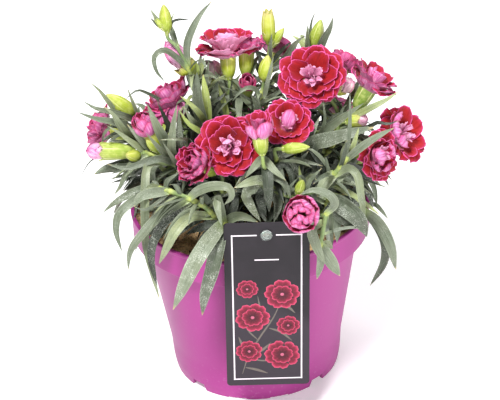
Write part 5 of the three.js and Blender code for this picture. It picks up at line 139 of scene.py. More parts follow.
            (3.1, "d", 0.3, [(-11.1, 4.5, 173.4, 0.08, -0.85, 0.52), (-8.7, 5, 173.8, -0.06, -0.91, 0.41), (-5.7, 8, 181.9, 0, -0.95, 0.32), (-8.5, 10, 188.7, 0.08, -0.95, 0.31)]),
        ],
        "more": [
            (3.1, "g", 0.04, [(-10.9, 6.5, 187.2, 0.5, -0.7, 0.6), (-14, 10.1, 193.9, 0.4, -0.6, 0.7), (-16.7, 14.2, 197.6, 0.1, -0.3, 1), (-18.9, 18.8, 197.1, -0.2, 0.5, 0.9), (-20.4, 24, 191.2, -0.1, 0.7, 0.7)]),
            (4.7, "gy", 0, [(-11.4, 6.2, 179.7, -0.1, -0.3, 0.9), (-9.6, 14.1, 182.8, -0.1, -0.3, 0.9), (-7.4, 22.2, 185.4, -0.1, -0.2, 1), (-4.7, 30.2, 187.3, -0.1, -0.1, 1), (-1.4, 38.1, 188.1, -0.1, -0.1, 1)]),
            (4.3, "gy", 0.07, [(-1.1, 7, 188.6, 0.8, -0.3, 0.5), (-5.6, 5.8, 195.9, 0.8, -0.3, 0.5), (-10.3, 4.7, 201, 0.6, -0.2, 0.8), (-15, 3.7, 202.6, 0, -0.3, 1), (-19.7, 2.9, 199.9, -0.4, -0.4, 0.8)]),
            (4.6, "g", 0.34, [(-0.5, 4.2, 192.2, -0.5, -0.8, 0.4), (2.6, 6, 199.9, -0.4, -0.8, 0.4), (5.5, 8.7, 205.9, -0.3, -0.7, 0.6), (7.9, 12.7, 209.5, 0, -0.4, 0.9), (9.8, 18.2, 209.7, 0.1, -0.1, 1)]),
            (3.8, "g", 0, [(-10.9, 6.5, 187.2, 0.7, -0.1, 0.7), (-16.3, 5.3, 192.9, 0.7, -0.1, 0.7), (-21.8, 3.7, 198.2, 0.7, -0.1, 0.7), (-27.3, 1.8, 202.9, 0.6, 0, 0.8), (-32.7, -0.6, 206.6, 0.6, 0, 0.8)]),
            (2.9, "g", 0.04, [(-11.4, 7, 183.3, 0, -0.7, 0.7), (-11.3, 11.4, 187.1, 0.1, -0.6, 0.8), (-11.7, 15.9, 190.1, 0.1, -0.5, 0.9), (-12.5, 20.5, 191.9, 0.1, -0.2, 1), (-14, 25.2, 192, 0, 0, 1)]),
            (3.7, "g", 0.21, [(-10.1, 4.7, 190.3, 0.7, -0.5, 0.5), (-13.9, 5.7, 196.3, 0.7, -0.5, 0.5), (-17.9, 6.4, 201.7, 0.7, -0.4, 0.6), (-21.9, 6.9, 206.1, 0.6, -0.3, 0.7), (-26.1, 7.1, 209.1, 0.6, -0.3, 0.8)]),
            (3.1, "g", 0, [(-11.4, 7, 183.3, 0.6, 0.1, 0.8), (-18.2, 6.2, 188.7, 0.5, 0.1, 0.9), (-25.4, 5.7, 191.3, 0.1, 0, 1), (-32.7, 5.6, 189.6, -0.5, 0, 0.9), (-40.1, 6.1, 182.6, -0.7, 0.1, 0.7)]),
            (4.7, "g", 0.02, [(-11.4, 6.2, 179.7, 0.6, -0.3, 0.7), (-16.7, 10.3, 185.6, 0.6, -0.3, 0.8), (-22.5, 14, 190.8, 0.5, -0.2, 0.8), (-28.8, 17.2, 194.9, 0.4, 0, 0.9), (-35.8, 19.6, 197.3, 0.3, 0, 0.9)]),
            (4.4, "g", 0.02, [(-10.9, 6.5, 187.2, 0.6, -0.7, 0.4), (-12.9, 8.4, 192.6, 0.5, -0.7, 0.5), (-14.8, 10.4, 197.2, 0.5, -0.7, 0.6), (-16.6, 12.7, 200.6, 0.4, -0.6, 0.7), (-18.2, 15.1, 202.4, 0.3, -0.5, 0.8)]),
            (5, "g", 0, [(-6.9, 8.5, 180.6, 0.8, -0.3, 0.6), (-9.2, 14.7, 187.1, 0.8, -0.3, 0.6), (-11.6, 21, 192.8, 0.7, -0.3, 0.7), (-14.1, 27.4, 197.2, 0.6, -0.2, 0.8), (-16.9, 33.6, 199.8, 0.6, -0.1, 0.8)]),
            (2.7, "g", 0, [(-6.9, 8.5, 180.6, 0.8, 0.5, -0.2), (-6.1, 9, 185.8, 0.8, 0.6, -0.2), (-5.1, 9.2, 190.5, 0.6, 0.8, -0.2), (-3.9, 9.3, 194.2, 0.2, 1, 0), (-2.6, 9, 196.8, -0.1, 1, 0.2)]),
            (5.6, "g", 0.19, [(-10.9, 4.2, 171.2, -0.3, 0.7, 0.6), (-8.9, -0.6, 178.3, -0.3, 0.7, 0.7), (-6.3, -5.3, 182.9, -0.2, 0.4, 0.9), (-3.1, -9.9, 183.6, 0.2, -0.2, 1), (0.8, -14.1, 179.4, 0.4, -0.4, 0.8)]),
            (5.4, "d", 0.18, [(-2, 8, 116, 0.6, 0.4, 0.7), (-8, 4, 123.3, 0.6, 0.4, 0.7), (-14.1, -0.3, 129.9, 0.5, 0.4, 0.8), (-20.1, -4.9, 135.1, 0.4, 0.3, 0.9), (-25.8, -9.8, 138.6, 0.3, 0.3, 0.9)]),
            (3, "g", 0.09, [(-10.9, 6.5, 187.2, 0.3, 0.4, 0.9), (-13.1, 0.5, 190.5, 0.3, 0.3, 0.9), (-15.9, -5.5, 192.8, 0.3, 0.1, 1), (-19.2, -11.4, 193.9, 0.2, -0.1, 1), (-23.3, -17, 193.2, 0.1, -0.2, 1)]),
            (3.3, "g", 0.39, [(-1.1, 7, 188.6, 0.5, 0, 0.9), (-4.8, 4.6, 190.7, 0.4, -0.1, 0.9), (-8.6, 2.1, 191, 0, -0.3, 0.9), (-12.4, -0.5, 188.7, -0.3, -0.6, 0.7), (-16.2, -3.1, 183.3, -0.4, -0.7, 0.6)]),
            (4.8, "g", 0.24, [(-11.4, 6.2, 179.7, 0, -0.4, 0.9), (-11.2, 13.2, 182.3, 0, -0.2, 1), (-11.1, 20.4, 182.3, 0, 0.3, 1), (-11.3, 27.6, 178.6, 0, 0.6, 0.8), (-11.7, 34.9, 170, 0, 0.8, 0.6)]),
            (2.9, "g", 0.2, [(-1.1, 7, 188.6, 0, -0.2, 1), (1.6, 2.2, 187.7, 0.1, -0.3, 1), (4.1, -2.9, 185.6, 0.1, -0.4, 0.9), (6.5, -8.3, 182, 0.2, -0.6, 0.8), (8.4, -13.8, 176.6, 0.2, -0.7, 0.7)]),
            (3.7, "d", 0.34, [(-5.3, 6.1, 136.7, -0.6, 0.3, 0.7), (-1.5, 3.4, 140.8, -0.6, 0.3, 0.8), (2.3, 0.5, 144.6, -0.5, 0.3, 0.8), (6.1, -2.5, 147.6, -0.4, 0.2, 0.9), (9.8, -5.6, 149.6, -0.4, 0.2, 0.9)]),
            (3.6, "d", 0, [(-8.1, 4.6, 152.3, -0.5, 0.3, 0.8), (-2.1, -0.2, 158.3, -0.5, 0.3, 0.8), (3.9, -5.4, 164, -0.5, 0.3, 0.8), (9.7, -10.9, 169.2, -0.4, 0.3, 0.9), (15.3, -16.8, 173.6, -0.4, 0.3, 0.9)]),
            (4.3, "d", 0.01, [(-6.2, 5.6, 141.9, -0.8, -0.3, 0.5), (-2.5, 6.6, 149.4, -0.8, -0.3, 0.5), (1.3, 7.8, 156.3, -0.8, -0.3, 0.5), (5.1, 9.3, 162.4, -0.7, -0.3, 0.6), (8.9, 11.1, 167.2, -0.7, -0.3, 0.7)]),
            (3.9, "d", 0.18, [(-10.8, 4, 169.5, -0.5, -0.5, 0.7), (-8.8, 6.6, 172.8, -0.5, -0.5, 0.7), (-6.8, 9.2, 175.8, -0.5, -0.4, 0.8), (-4.5, 11.8, 178.2, -0.4, -0.3, 0.9), (-2.2, 14.3, 179.9, -0.4, -0.3, 0.9)]),
            (4.1, "d", 0.29, [(-8.1, 4.6, 152.3, 0.2, 0.4, 0.9), (-12.1, -1.3, 156.5, 0.2, 0.4, 0.9), (-15.9, -7.6, 159, 0, 0.2, 1), (-19.3, -14.3, 159.1, -0.1, -0.1, 1), (-22.3, -21.3, 156.1, -0.2, -0.3, 0.9)]),
            (4.5, "d", 0.51, [(-4.4, 6.6, 131.7, -0.7, -0.4, 0.6), (-1.8, 8.3, 136.1, -0.7, -0.4, 0.6), (1.1, 9.7, 139.3, -0.5, -0.3, 0.8), (4.1, 11, 140.7, 0, 0, 1), (7.3, 11.9, 139.7, 0.3, 0.1, 1)]),
            (3.9, "d", 0.43, [(-4.4, 6.6, 131.7, -0.7, -0.4, 0.5), (0.2, 8.9, 139.4, -0.7, -0.4, 0.6), (4.5, 12.1, 144, -0.3, -0.2, 0.9), (8.5, 16.4, 144, 0.2, 0.4, 0.9), (11.9, 22.2, 138.1, 0.3, 0.6, 0.7)]),
            (3.8, "d", 0, [(-7.2, 5.1, 147.2, 0.5, -0.1, 0.9), (-14.8, 5.3, 151.5, 0.4, 0, 0.9), (-22.7, 4.8, 153.6, 0.1, 0, 1), (-30.7, 3.5, 152.5, -0.3, -0.1, 0.9), (-38.7, 1.1, 147.5, -0.5, -0.2, 0.9)]),
            (4.9, "g", 0.2, [(-1.1, 7, 188.6, 0, 0.3, 1), (-0.5, 1.4, 190.2, 0, 0.2, 1), (0.4, -4.4, 191.2, 0, 0.1, 1), (1.7, -10.2, 191.3, 0, -0.1, 1), (3.5, -16, 190.3, 0, -0.2, 1)]),
            (4.6, "g", 0.4, [(-1.8, 8.7, 186.3, 0.5, 0.1, 0.9), (-6.4, 3.8, 189.5, 0.4, 0, 0.9), (-11.4, -1.1, 189.9, 0, -0.3, 0.9), (-16.7, -5.7, 186.5, -0.3, -0.6, 0.7), (-22.5, -10, 178.1, -0.3, -0.7, 0.6)]),
            (3.9, "d", 0.04, [(-6.2, 5.6, 141.9, -0.5, -0.4, 0.8), (-0.6, 11.1, 148.4, -0.4, -0.3, 0.9), (4.9, 17.1, 151.4, -0.1, 0, 1), (10.3, 23.3, 149.7, 0.3, 0.4, 0.9), (15.4, 29.8, 141.6, 0.4, 0.6, 0.7)]),
            (4.9, "g", 0.2, [(-0.5, 4.2, 192.2, -0.7, -0.2, 0.7), (6.3, 2.7, 198.8, -0.7, -0.2, 0.7), (13.6, 2.1, 204.3, -0.5, -0.3, 0.8), (21.4, 2.6, 208.4, -0.3, -0.3, 0.9), (29.5, 4.6, 210.4, -0.2, -0.3, 0.9)]),
            (3.6, "d", 0.16, [(-9, 4.3, 157.3, 0.3, 0.4, 0.8), (-11.8, 1.5, 159.7, 0.3, 0.4, 0.9), (-14.6, -1.4, 161.7, 0.2, 0.3, 0.9), (-17.4, -4.3, 162.9, 0.1, 0.2, 1), (-20.2, -7.3, 163.2, 0, 0.1, 1)]),
            (3.1, "d", 0, [(-7.2, 5.1, 147.2, 0, -0.5, 0.8), (-8.3, 10.1, 150.3, 0, -0.4, 0.9), (-8.7, 15.4, 151.2, -0.1, 0.1, 1), (-8.4, 21, 148.8, 0, 0.6, 0.8), (-7.2, 26.8, 142.2, 0.1, 0.7, 0.7)]),
            (4.6, "d", 0.37, [(-5.3, 6.1, 136.7, -0.6, -0.4, 0.7), (-1.4, 8.5, 141.1, -0.5, -0.3, 0.8), (2.7, 10.6, 144.1, -0.4, -0.2, 0.9), (7.1, 12.5, 145.2, 0, 0, 1), (11.7, 13.9, 143.9, 0.3, 0.1, 1)]),
            (4.9, "g", 0.32, [(-1.8, 8.7, 186.3, 0.2, 0.3, 0.9), (-2.9, 2.1, 188.6, 0.2, 0.2, 1), (-3.8, -4.9, 189, 0.1, -0.2, 1), (-4.1, -12, 186.5, 0.1, -0.5, 0.9), (-3.8, -19.1, 180.6, 0.1, -0.6, 0.8)]),
            (3.3, "d", 0, [(-8.1, 4.6, 152.3, 0, -0.8, 0.6), (-8.5, 8, 157, 0, -0.7, 0.7), (-9.1, 11.5, 160, 0, -0.5, 0.9), (-10.1, 14.9, 160.9, -0.1, 0.1, 1), (-11.5, 18.4, 158.7, -0.3, 0.4, 0.9)]),
            (3.3, "g", 0.37, [(-10.9, 4.2, 171.2, 0.4, 0.7, 0.6), (-13.5, 0.3, 177.9, 0.4, 0.7, 0.6), (-16.4, -3.6, 184.5, 0.4, 0.7, 0.6), (-19.5, -7.4, 190.7, 0.4, 0.6, 0.6), (-22.9, -11, 196.4, 0.4, 0.6, 0.7)]),
            (3, "d", 0.29, [(-5.3, 6.1, 136.7, 0.4, 0.4, 0.8), (-10.3, 1.9, 141.7, 0.4, 0.3, 0.9), (-15.9, -2, 144.3, 0.1, 0.1, 1), (-22.1, -5.3, 143.6, -0.3, -0.2, 0.9), (-29, -7.8, 138.4, -0.5, -0.2, 0.8)]),
            (4.3, "d", 0.51, [(-7.2, 5.1, 147.2, 0.4, 0.4, 0.8), (-13.2, 0.6, 152.4, 0.4, 0.3, 0.9), (-19.1, -4.2, 155.6, 0.1, 0.2, 1), (-24.9, -9.4, 155.8, -0.2, -0.1, 1), (-30.5, -15, 152, -0.3, -0.3, 0.9)]),
            (3.4, "d", 0.37, [(-8.1, 4.6, 152.3, -0.6, 0.1, 0.8), (-1.9, 2.7, 157.3, -0.6, 0.1, 0.8), (4.7, 1.1, 161.3, -0.4, 0, 0.9), (11.5, -0.1, 163.7, -0.2, 0, 1), (18.4, -0.9, 164.1, -0.1, 0, 1)]),
            (4.7, "d", 0.86, [(-5.3, 6.1, 136.7, 0.3, 0.1, 0.9), (-11.3, 4.3, 139.1, 0.3, 0.1, 1), (-17.6, 2.7, 140.3, 0, 0, 1), (-24, 1.3, 139.7, -0.2, -0.1, 1), (-30.5, 0.2, 136.8, -0.4, -0.1, 0.9)]),
            (4, "g", 0, [(-11.4, 7, 183.3, 0.6, -0.5, 0.7), (-14.2, 9.6, 187.4, 0.5, -0.5, 0.7), (-16.5, 13, 191.5, 0.4, -0.6, 0.7), (-18.2, 17.4, 195.5, 0.2, -0.6, 0.8), (-19, 22.9, 199.1, 0.1, -0.5, 0.8)]),
        ],
        "calyxes": [(4.8, (-9.1, 4.5, 201.4), (-9.3, 8.3, 215.3)), (4.7, (0.9, 5.5, 202.7), (2.4, 12.3, 215.4))],
        "buds": [],
    },
    "shoot_03": {
        "stems": [
            (1.5, 1.2, [(5, -4, 109.3), (5, -4, 116), (4, -12, 173.8), (7.8, -12, 192.3), (11.2, -10.3, 201.9), (12.2, -10, 207.6)]),
            (1.7, 1.3, [(4.9, -12.3, 180.3), (3.1, 6, 185.3), (1.8, 5.8, 184.9), (2, 1.6, 191.7)]),
        ],
        "leaves": [
            (4, "g", 0.3, [(6.1, -12.3, 185.9, -0.3, -0.68, 0.66), (8.1, -14, 185.1, -0.41, -0.79, -0.45), (7.1, -18, 194.8, 0.17, -0.95, -0.28), (3.8, -20, 202.9, 0.32, -0.94, -0.1)]),
            (2.8, "g", 0.3, [(9.2, -11.4, 196.5, -0.03, -0.85, 0.52), (11, -12, 195.6, -0.31, -0.95, -0.07), (14.5, -14, 208.7, -0.14, -0.99, 0.04), (18.4, -12, 223.7, -0.1, -0.98, 0.16)]),
            (3.1, "g", 0.3, [(6.5, -12.3, 187.6, -0.11, 0.19, -0.97), (6.3, -14, 187.3, -0.06, -0.97, -0.23), (7.5, -16, 202.7, 0.23, -0.94, -0.23), (2.1, -20, 207.4, 0.54, -0.71, 0.45), (-2.8, -22, 205.7, -0.13, -0.9, 0.41), (-7.6, -22, 199.8, -0.27, -0.94, 0.22)]),
            (1.9, "d", 0.3, [(9.6, -11.2, 197.5, -0.26, -0.66, 0.7), (10.4, -12, 197, -0.3, -0.32, 0.9), (7.1, -4, 199.2, -0.05, -0.41, 0.91), (9.7, -2, 201.5, 0.1, -0.8, 0.59)]),
            (1.9, "d", 0.3, [(10.3, -10.8, 199.3, -0.57, 0.16, 0.8), (10.5, -12, 199.7, 0.17, -0.79, 0.59), (15.6, -8, 201.5, 0.54, -0.72, 0.45), (21, -6, 196.7, 0.48, -0.86, 0.18)]),
        ],
        "more": [
            (3, "g", 0.15, [(6.7, -12.3, 188.4, -0.4, -0.3, 0.8), (11.4, -9.4, 191.9, -0.3, -0.3, 0.9), (16.1, -6.1, 193.9, -0.1, -0.2, 1), (20.7, -2.6, 194, 0.2, 0.1, 1), (25.1, 1.3, 191.5, 0.3, 0.2, 0.9)]),
            (5.4, "g", 0.12, [(6.7, -12.3, 188.4, -0.4, -0.2, 0.9), (13.3, -9.5, 192.3, -0.4, -0.2, 0.9), (20, -6.7, 195.6, -0.3, -0.2, 0.9), (26.8, -3.8, 197.9, -0.2, -0.1, 1), (33.6, -0.9, 198.9, -0.1, -0.1, 1)]),
            (3, "g", 0.06, [(3.6, 4.7, 185, -0.8, 0.2, 0.5), (7, 8.2, 189.1, -0.7, 0.1, 0.7), (10, 12.3, 191, -0.4, 0.2, 0.9), (12.4, 17.2, 189.9, -0.1, 0.5, 0.8), (14.1, 22.9, 184.9, -0.1, 0.7, 0.7)]),
            (4.2, "d", 0.06, [(5, -4, 116, 0.2, 0.7, 0.7), (3.7, -8.1, 120.2, 0.2, 0.6, 0.7), (1.9, -12.2, 123.9, 0.3, 0.5, 0.8), (-0.3, -16.1, 126.7, 0.2, 0.3, 0.9), (-3.1, -20, 128.3, 0.2, 0.2, 0.9)]),
            (4.1, "d", 0.77, [(4.6, -5.4, 127.7, -0.7, 0, 0.7), (9.6, -5.8, 132.1, -0.6, 0, 0.8), (14.7, -6.2, 135.4, -0.4, 0, 0.9), (19.8, -6.6, 137.1, -0.1, -0.1, 1), (25, -6.9, 136.6, 0.1, -0.1, 1)]),
            (3.5, "d", 0.55, [(5, -3.9, 112.4, 0.4, 0.7, 0.6), (2.8, -8.1, 118.1, 0.3, 0.6, 0.7), (0.5, -12.4, 122.5, 0.3, 0.5, 0.8), (-1.8, -16.8, 124.9, 0.1, 0.2, 1), (-4.2, -21.1, 124.7, 0, 0, 1)]),
            (4.5, "g", 0.27, [(5, -12.3, 181, 0, 0.7, 0.7), (5.8, -18.1, 186.6, 0, 0.7, 0.7), (6.5, -24, 191.5, 0, 0.6, 0.8), (7, -30.1, 195.3, 0.1, 0.4, 0.9), (7.3, -36.2, 197.4, 0.1, 0.3, 0.9)]),
            (4.5, "g", 0.27, [(4.3, -3.2, 182.9, -0.9, 0.2, 0.5), (6.5, -1.2, 185.8, -0.8, 0.2, 0.6), (8.6, 0.7, 187.7, -0.6, 0.2, 0.8), (10.9, 2.7, 188, -0.1, 0.4, 0.9), (13.2, 4.6, 186.3, 0.1, 0.6, 0.8)]),
            (3, "d", 0.21, [(5, -3.9, 112.4, -0.6, -0.1, 0.8), (9, -3.5, 115.9, -0.5, -0.1, 0.8), (13.1, -3, 117.8, -0.2, 0, 1), (17.2, -2.2, 117.6, 0.3, 0.1, 0.9), (21.3, -1.2, 114.7, 0.6, 0.1, 0.8)]),
            (4.5, "d", 0, [(3.7, -11.7, 169.9, -0.5, 0, 0.9), (11.9, -13, 174.7, -0.5, 0, 0.9), (20.5, -13.6, 178.6, -0.4, 0, 0.9), (29.4, -13.2, 181.2, -0.2, -0.1, 1), (38.5, -11.6, 182.3, -0.1, -0.1, 1)]),
            (3.3, "g", 0, [(7.4, -12.1, 191, 0.6, 0.4, 0.7), (2.2, -15.9, 197.6, 0.6, 0.4, 0.7), (-3.1, -19.8, 203.7, 0.5, 0.4, 0.8), (-8.4, -24, 209, 0.5, 0.3, 0.8), (-13.6, -28.3, 213.2, 0.4, 0.3, 0.8)]),
            (4.2, "gy", 0, [(4.5, -7, 181.8, 0.2, 0.4, 0.9), (-1.7, -4.2, 182.1, 0.2, 0.4, 0.9), (-7.9, -0.8, 181.8, 0.2, 0.4, 0.9), (-13.9, 3.3, 180.6, 0.1, 0.4, 0.9), (-19.5, 8.3, 178.4, 0, 0.5, 0.9)]),
            (5.2, "d", 0.15, [(3.6, -11.1, 165.4, 0.3, 0.5, 0.8), (0.7, -17.7, 170.6, 0.3, 0.5, 0.8), (-2.8, -24.2, 175.1, 0.3, 0.4, 0.9), (-7.2, -30.4, 178.2, 0.2, 0.2, 1), (-12.6, -36.3, 179.8, 0.2, 0.1, 1)]),
            (4.8, "g", 0.19, [(3.6, 4.7, 185, 0.2, 0.5, 0.9), (-5.2, 6.5, 185.8, 0.1, 0.5, 0.9), (-14.2, 8.6, 184.8, -0.1, 0.5, 0.9), (-23.3, 11, 181.3, -0.3, 0.6, 0.8), (-32.3, 13.8, 174.7, -0.4, 0.6, 0.7)]),
            (4.8, "g", 0.37, [(3.6, 4.7, 185, -0.3, 0.3, 0.9), (5.9, 8.7, 184.4, -0.3, 0.3, 0.9), (8.2, 12.8, 183.3, -0.2, 0.4, 0.9), (10.6, 16.9, 181.5, -0.1, 0.5, 0.8), (13, 21, 178.9, -0.1, 0.6, 0.8)]),
            (4.4, "g", 0.04, [(6.7, -12.3, 188.4, -0.6, 0.1, 0.8), (11, -12.6, 191.6, -0.6, 0.1, 0.8), (15.3, -13.1, 194.4, -0.5, 0.1, 0.9), (19.7, -13.9, 196.5, -0.3, 0.1, 0.9), (24.1, -15.1, 197.7, -0.2, 0.1, 1)]),
            (5.5, "d", 0, [(4.1, 0.5, 183.9, 0, 0.5, 0.9), (-4.9, 4.5, 181.2, -0.1, 0.5, 0.8), (-14.8, 7.5, 177.7, -0.2, 0.6, 0.8), (-25.6, 9.1, 173, -0.3, 0.6, 0.8), (-37.3, 8.8, 166.9, -0.4, 0.5, 0.7)]),
            (3.5, "d", 0.42, [(4.6, -5.4, 127.7, -0.4, -0.7, 0.6), (7.6, 0, 135.9, -0.3, -0.7, 0.6), (10.3, 5.8, 143.6, -0.3, -0.7, 0.7), (12.4, 12, 150.4, -0.2, -0.6, 0.7), (13.9, 18.5, 155.7, -0.1, -0.6, 0.8)]),
            (3.2, "g", 0, [(4.1, 0.5, 183.9, 0.7, 0.7, 0.2), (-0.1, 2.6, 192.1, 0.7, 0.6, 0.3), (-4.7, 4.2, 198.5, 0.7, 0.6, 0.5), (-9.9, 5.1, 202.4, 0.4, 0.5, 0.8), (-15.4, 5.1, 202.8, 0.1, 0.5, 0.9)]),
            (4.9, "d", 0.09, [(4.4, -6.2, 132.7, -0.5, 0.2, 0.9), (9.7, -9.8, 136.5, -0.4, 0.2, 0.9), (15.4, -13.3, 139.5, -0.3, 0.1, 0.9), (21.3, -16.6, 141.3, -0.2, 0, 1), (27.4, -19.5, 141.6, -0.1, 0, 1)]),
            (3.6, "g", 0.21, [(3.6, -11.1, 165.4, 0.1, 0.6, 0.8), (2.4, -17.8, 170.3, 0.1, 0.5, 0.9), (1.5, -24.7, 172.7, 0, 0.1, 1), (1.1, -31.8, 171.7, 0, -0.4, 0.9), (1.3, -39, 166.3, 0, -0.6, 0.8)]),
            (4.2, "d", 0, [(3.8, -8.8, 149.5, -0.6, -0.5, 0.6), (9.5, -5.3, 157.6, -0.6, -0.4, 0.6), (15.6, -2, 165.6, -0.6, -0.4, 0.7), (22.1, 0.9, 173.3, -0.6, -0.3, 0.7), (28.8, 3.3, 180.3, -0.6, -0.3, 0.7)]),
            (5.3, "d", 0.21, [(3.6, -10.4, 160.4, -0.3, 0.3, 0.9), (8.2, -17.6, 164.3, -0.2, 0.2, 1), (13.1, -24.8, 164.4, 0.1, -0.2, 1), (18.2, -32.1, 159.6, 0.4, -0.6, 0.7), (23.5, -39.1, 148.2, 0.4, -0.7, 0.6)]),
            (3.4, "g", 0.18, [(4.2, -12.1, 175.7, 0.8, 0, 0.6), (1.1, -12.5, 180.2, 0.8, -0.1, 0.6), (-2.2, -12, 184, 0.6, -0.2, 0.7), (-5.8, -10.5, 186.7, 0.4, -0.2, 0.9), (-9.7, -7.7, 188, 0.2, -0.1, 1)]),
            (3.6, "d", 0.26, [(3.6, -9.7, 155.1, 0.5, -0.1, 0.9), (-0.3, -9.2, 157.4, 0.4, -0.1, 0.9), (-4.4, -8.7, 159.1, 0.3, -0.1, 1), (-8.5, -8.1, 159.8, 0, -0.1, 1), (-12.6, -7.4, 159.4, -0.1, 0, 1)]),
            (3.3, "g", 0, [(4.3, -3.2, 182.9, -0.4, 0.3, 0.9), (9.8, 0.7, 183.9, -0.3, 0.4, 0.9), (15.4, 4.7, 183, 0, 0.5, 0.9), (21, 8.9, 179.5, 0.2, 0.7, 0.7), (26.5, 13.3, 172.6, 0.2, 0.7, 0.6)]),
            (3.5, "g", 0, [(8.7, -11.6, 195, 0.3, 0.9, 0.4), (8.7, -13.4, 198.5, 0.3, 0.8, 0.5), (8.6, -15.2, 200.6, 0.2, 0.5, 0.8), (8.3, -17, 200.8, 0.1, -0.5, 0.8), (8, -18.8, 198.5, 0.1, -0.8, 0.6)]),
            (4.7, "d", 0.14, [(4, -7.9, 143.8, 0.5, 0.4, 0.8), (-0.7, -12.7, 149.5, 0.5, 0.4, 0.8), (-5.8, -17.4, 154.9, 0.5, 0.4, 0.8), (-11.2, -21.9, 159.7, 0.5, 0.3, 0.8), (-17, -26, 163.8, 0.4, 0.2, 0.9)]),
            (4.6, "g", 0, [(3.6, 4.7, 185, 0.4, 0.9, 0.1), (0.3, 5.2, 191.9, 0.5, 0.8, 0.2), (-3.1, 6, 197.1, 0.7, 0.6, 0.4), (-6.5, 7.3, 199.6, 0.4, 0.4, 0.9), (-9.8, 9, 198.7, 0, 0.4, 0.9)]),
            (3.5, "g", 0, [(4.3, -3.2, 182.9, 0, 0.6, 0.8), (7.3, 4.7, 177.3, 0, 0.6, 0.8), (9.5, 13.1, 169.9, 0, 0.7, 0.7), (10.8, 22.1, 160.3, 0, 0.8, 0.6), (10.9, 31.5, 147.8, 0, 0.8, 0.6)]),
        ],
        "calyxes": [(3.6, (2, 2.1, 190.9), (2.2, -3.7, 200.2))],
        "buds": [(4.4, (12.1, -10, 206.8), (15.2, -9, 223.1), "green")],
    },
    "shoot_04": {
        "stems": [
            (1.5, 1.2, [(6, 9, 109.3), (6, 9, 116), (11.2, 10, 168.6), (14.7, 12, 192), (16, 13, 208.7), (16.4, 13, 215.4), (16.4, 13, 221.2)]),
            (1.5, 1.2, [(16.2, 13, 212.3), (18, 13, 218.9)]),
            (1.7, 1.3, [(12.7, 10.8, 178.8), (17.3, 24, 183.6), (11.9, 17.7, 191.9), (15.1, 22.7, 197.2)]),
        ],
        "leaves": [
            (2.1, "d", 0.3, [(16.7, 13, 210.8, 0.73, -0.67, 0.14), (11.2, 8, 215.6, 0.71, -0.69, 0.12), (6.3, 4, 220.2, 0.62, -0.74, 0.24), (1.5, 2, 222.1, 0.48, -0.79, 0.39)]),
            (2.5, "g", 0.3, [(16, 13, 209.5, -0.8, -0.52, 0.29), (16.6, 12, 209.2, -0.13, -0.91, -0.39), (17.2, 8, 220.7, -0.08, -0.97, -0.23), (18.4, 7, 229.9, -0.1, -0.99, -0.09)]),
            (5.6, "g", 0.3, [(15.6, 12.7, 202.7, -0.3, -0.68, 0.67), (16.3, 12, 202.3, -0.59, -0.79, 0.14), (27, 6, 213, -0.49, -0.87, 0.01), (30.8, 4, 221.9, -0.33, -0.94, 0.1), (37.1, 4, 228, -0.27, -0.92, 0.28)]),
            (1.9, "d", 0.3, [(15.5, 12.6, 201, -0.3, -0.78, 0.55), (16.9, 12, 200.9, -0.18, -0.9, 0.4), (29, 14, 210.3, -0.27, -0.93, 0.23), (35.5, 12, 222.5, -0.4, -0.91, 0.05), (39.8, 10, 225.6, -0.54, -0.81, 0.23)]),
            (2.8, "d", 0.3, [(15.7, 12.8, 204.3, -0.02, -0.68, -0.73), (15.8, 12, 205.1, -0.4, -0.92, 0.02), (22.9, 10, 215.3, -0.39, -0.91, 0.11), (30.4, 8, 223.4, -0.41, -0.9, 0.16)]),
        ],
        "more": [
            (4, "g", 0, [(16.3, 23.3, 185.4, -0.3, 0, 0.9), (18.4, 13.7, 186.4, -0.3, -0.1, 1), (19.8, 3.6, 185.4, -0.2, -0.2, 0.9), (20.1, -6.9, 181.6, -0.2, -0.4, 0.9), (19.3, -17.6, 174.2, -0.3, -0.5, 0.8)]),
            (4, "g", 0.06, [(13.8, 20.2, 188.4, -0.4, 0.1, 0.9), (15.5, 14.8, 189.6, -0.4, 0, 0.9), (18, 9.5, 190, -0.3, -0.2, 0.9), (21.5, 4.4, 189.2, -0.2, -0.4, 0.9), (26.2, -0.5, 186.9, -0.1, -0.5, 0.9)]),
            (4.9, "gy", 0, [(14.2, 11.7, 188.4, -0.5, -0.4, 0.8), (18.1, 14.9, 192.3, -0.4, -0.3, 0.9), (22.1, 18.3, 194.4, -0.1, -0.1, 1), (25.9, 21.9, 194, 0.3, 0.2, 0.9), (29.7, 25.7, 190.3, 0.4, 0.4, 0.8)]),
            (2.9, "g", 0, [(13.8, 20.2, 188.4, 0, -0.2, 1), (7.8, 18.2, 188.2, 0, -0.2, 1), (1.5, 16, 187.7, 0, -0.2, 1), (-4.8, 13.9, 187, -0.1, -0.2, 1), (-11.1, 11.6, 185.8, -0.1, -0.3, 1)]),
            (3.4, "g", 0.41, [(13.1, 11, 181.1, -0.5, 0.6, 0.6), (16.9, 7.7, 187.1, -0.5, 0.6, 0.6), (20.7, 4.2, 193, -0.5, 0.6, 0.7), (24.4, 0.6, 198.5, -0.4, 0.6, 0.7), (28, -3.3, 203.4, -0.4, 0.6, 0.7)]),
            (4.8, "g", 0.07, [(14.7, 12, 192, -0.2, 0.7, 0.7), (16.4, 7.5, 197, -0.2, 0.6, 0.8), (18.8, 3.1, 199.6, -0.1, 0.2, 1), (21.7, -1.1, 198.9, 0.4, -0.3, 0.9), (25.5, -5.1, 193.9, 0.5, -0.4, 0.7)]),
            (3.5, "g", 0.4, [(15.1, 12.3, 196.5, 0.4, -0.6, 0.7), (12.6, 16.6, 201.5, 0.3, -0.5, 0.8), (10.5, 21.4, 205.2, 0.2, -0.4, 0.9), (9, 26.6, 207.3, 0.1, -0.2, 1), (8.3, 32.4, 207.1, 0, 0, 1)]),
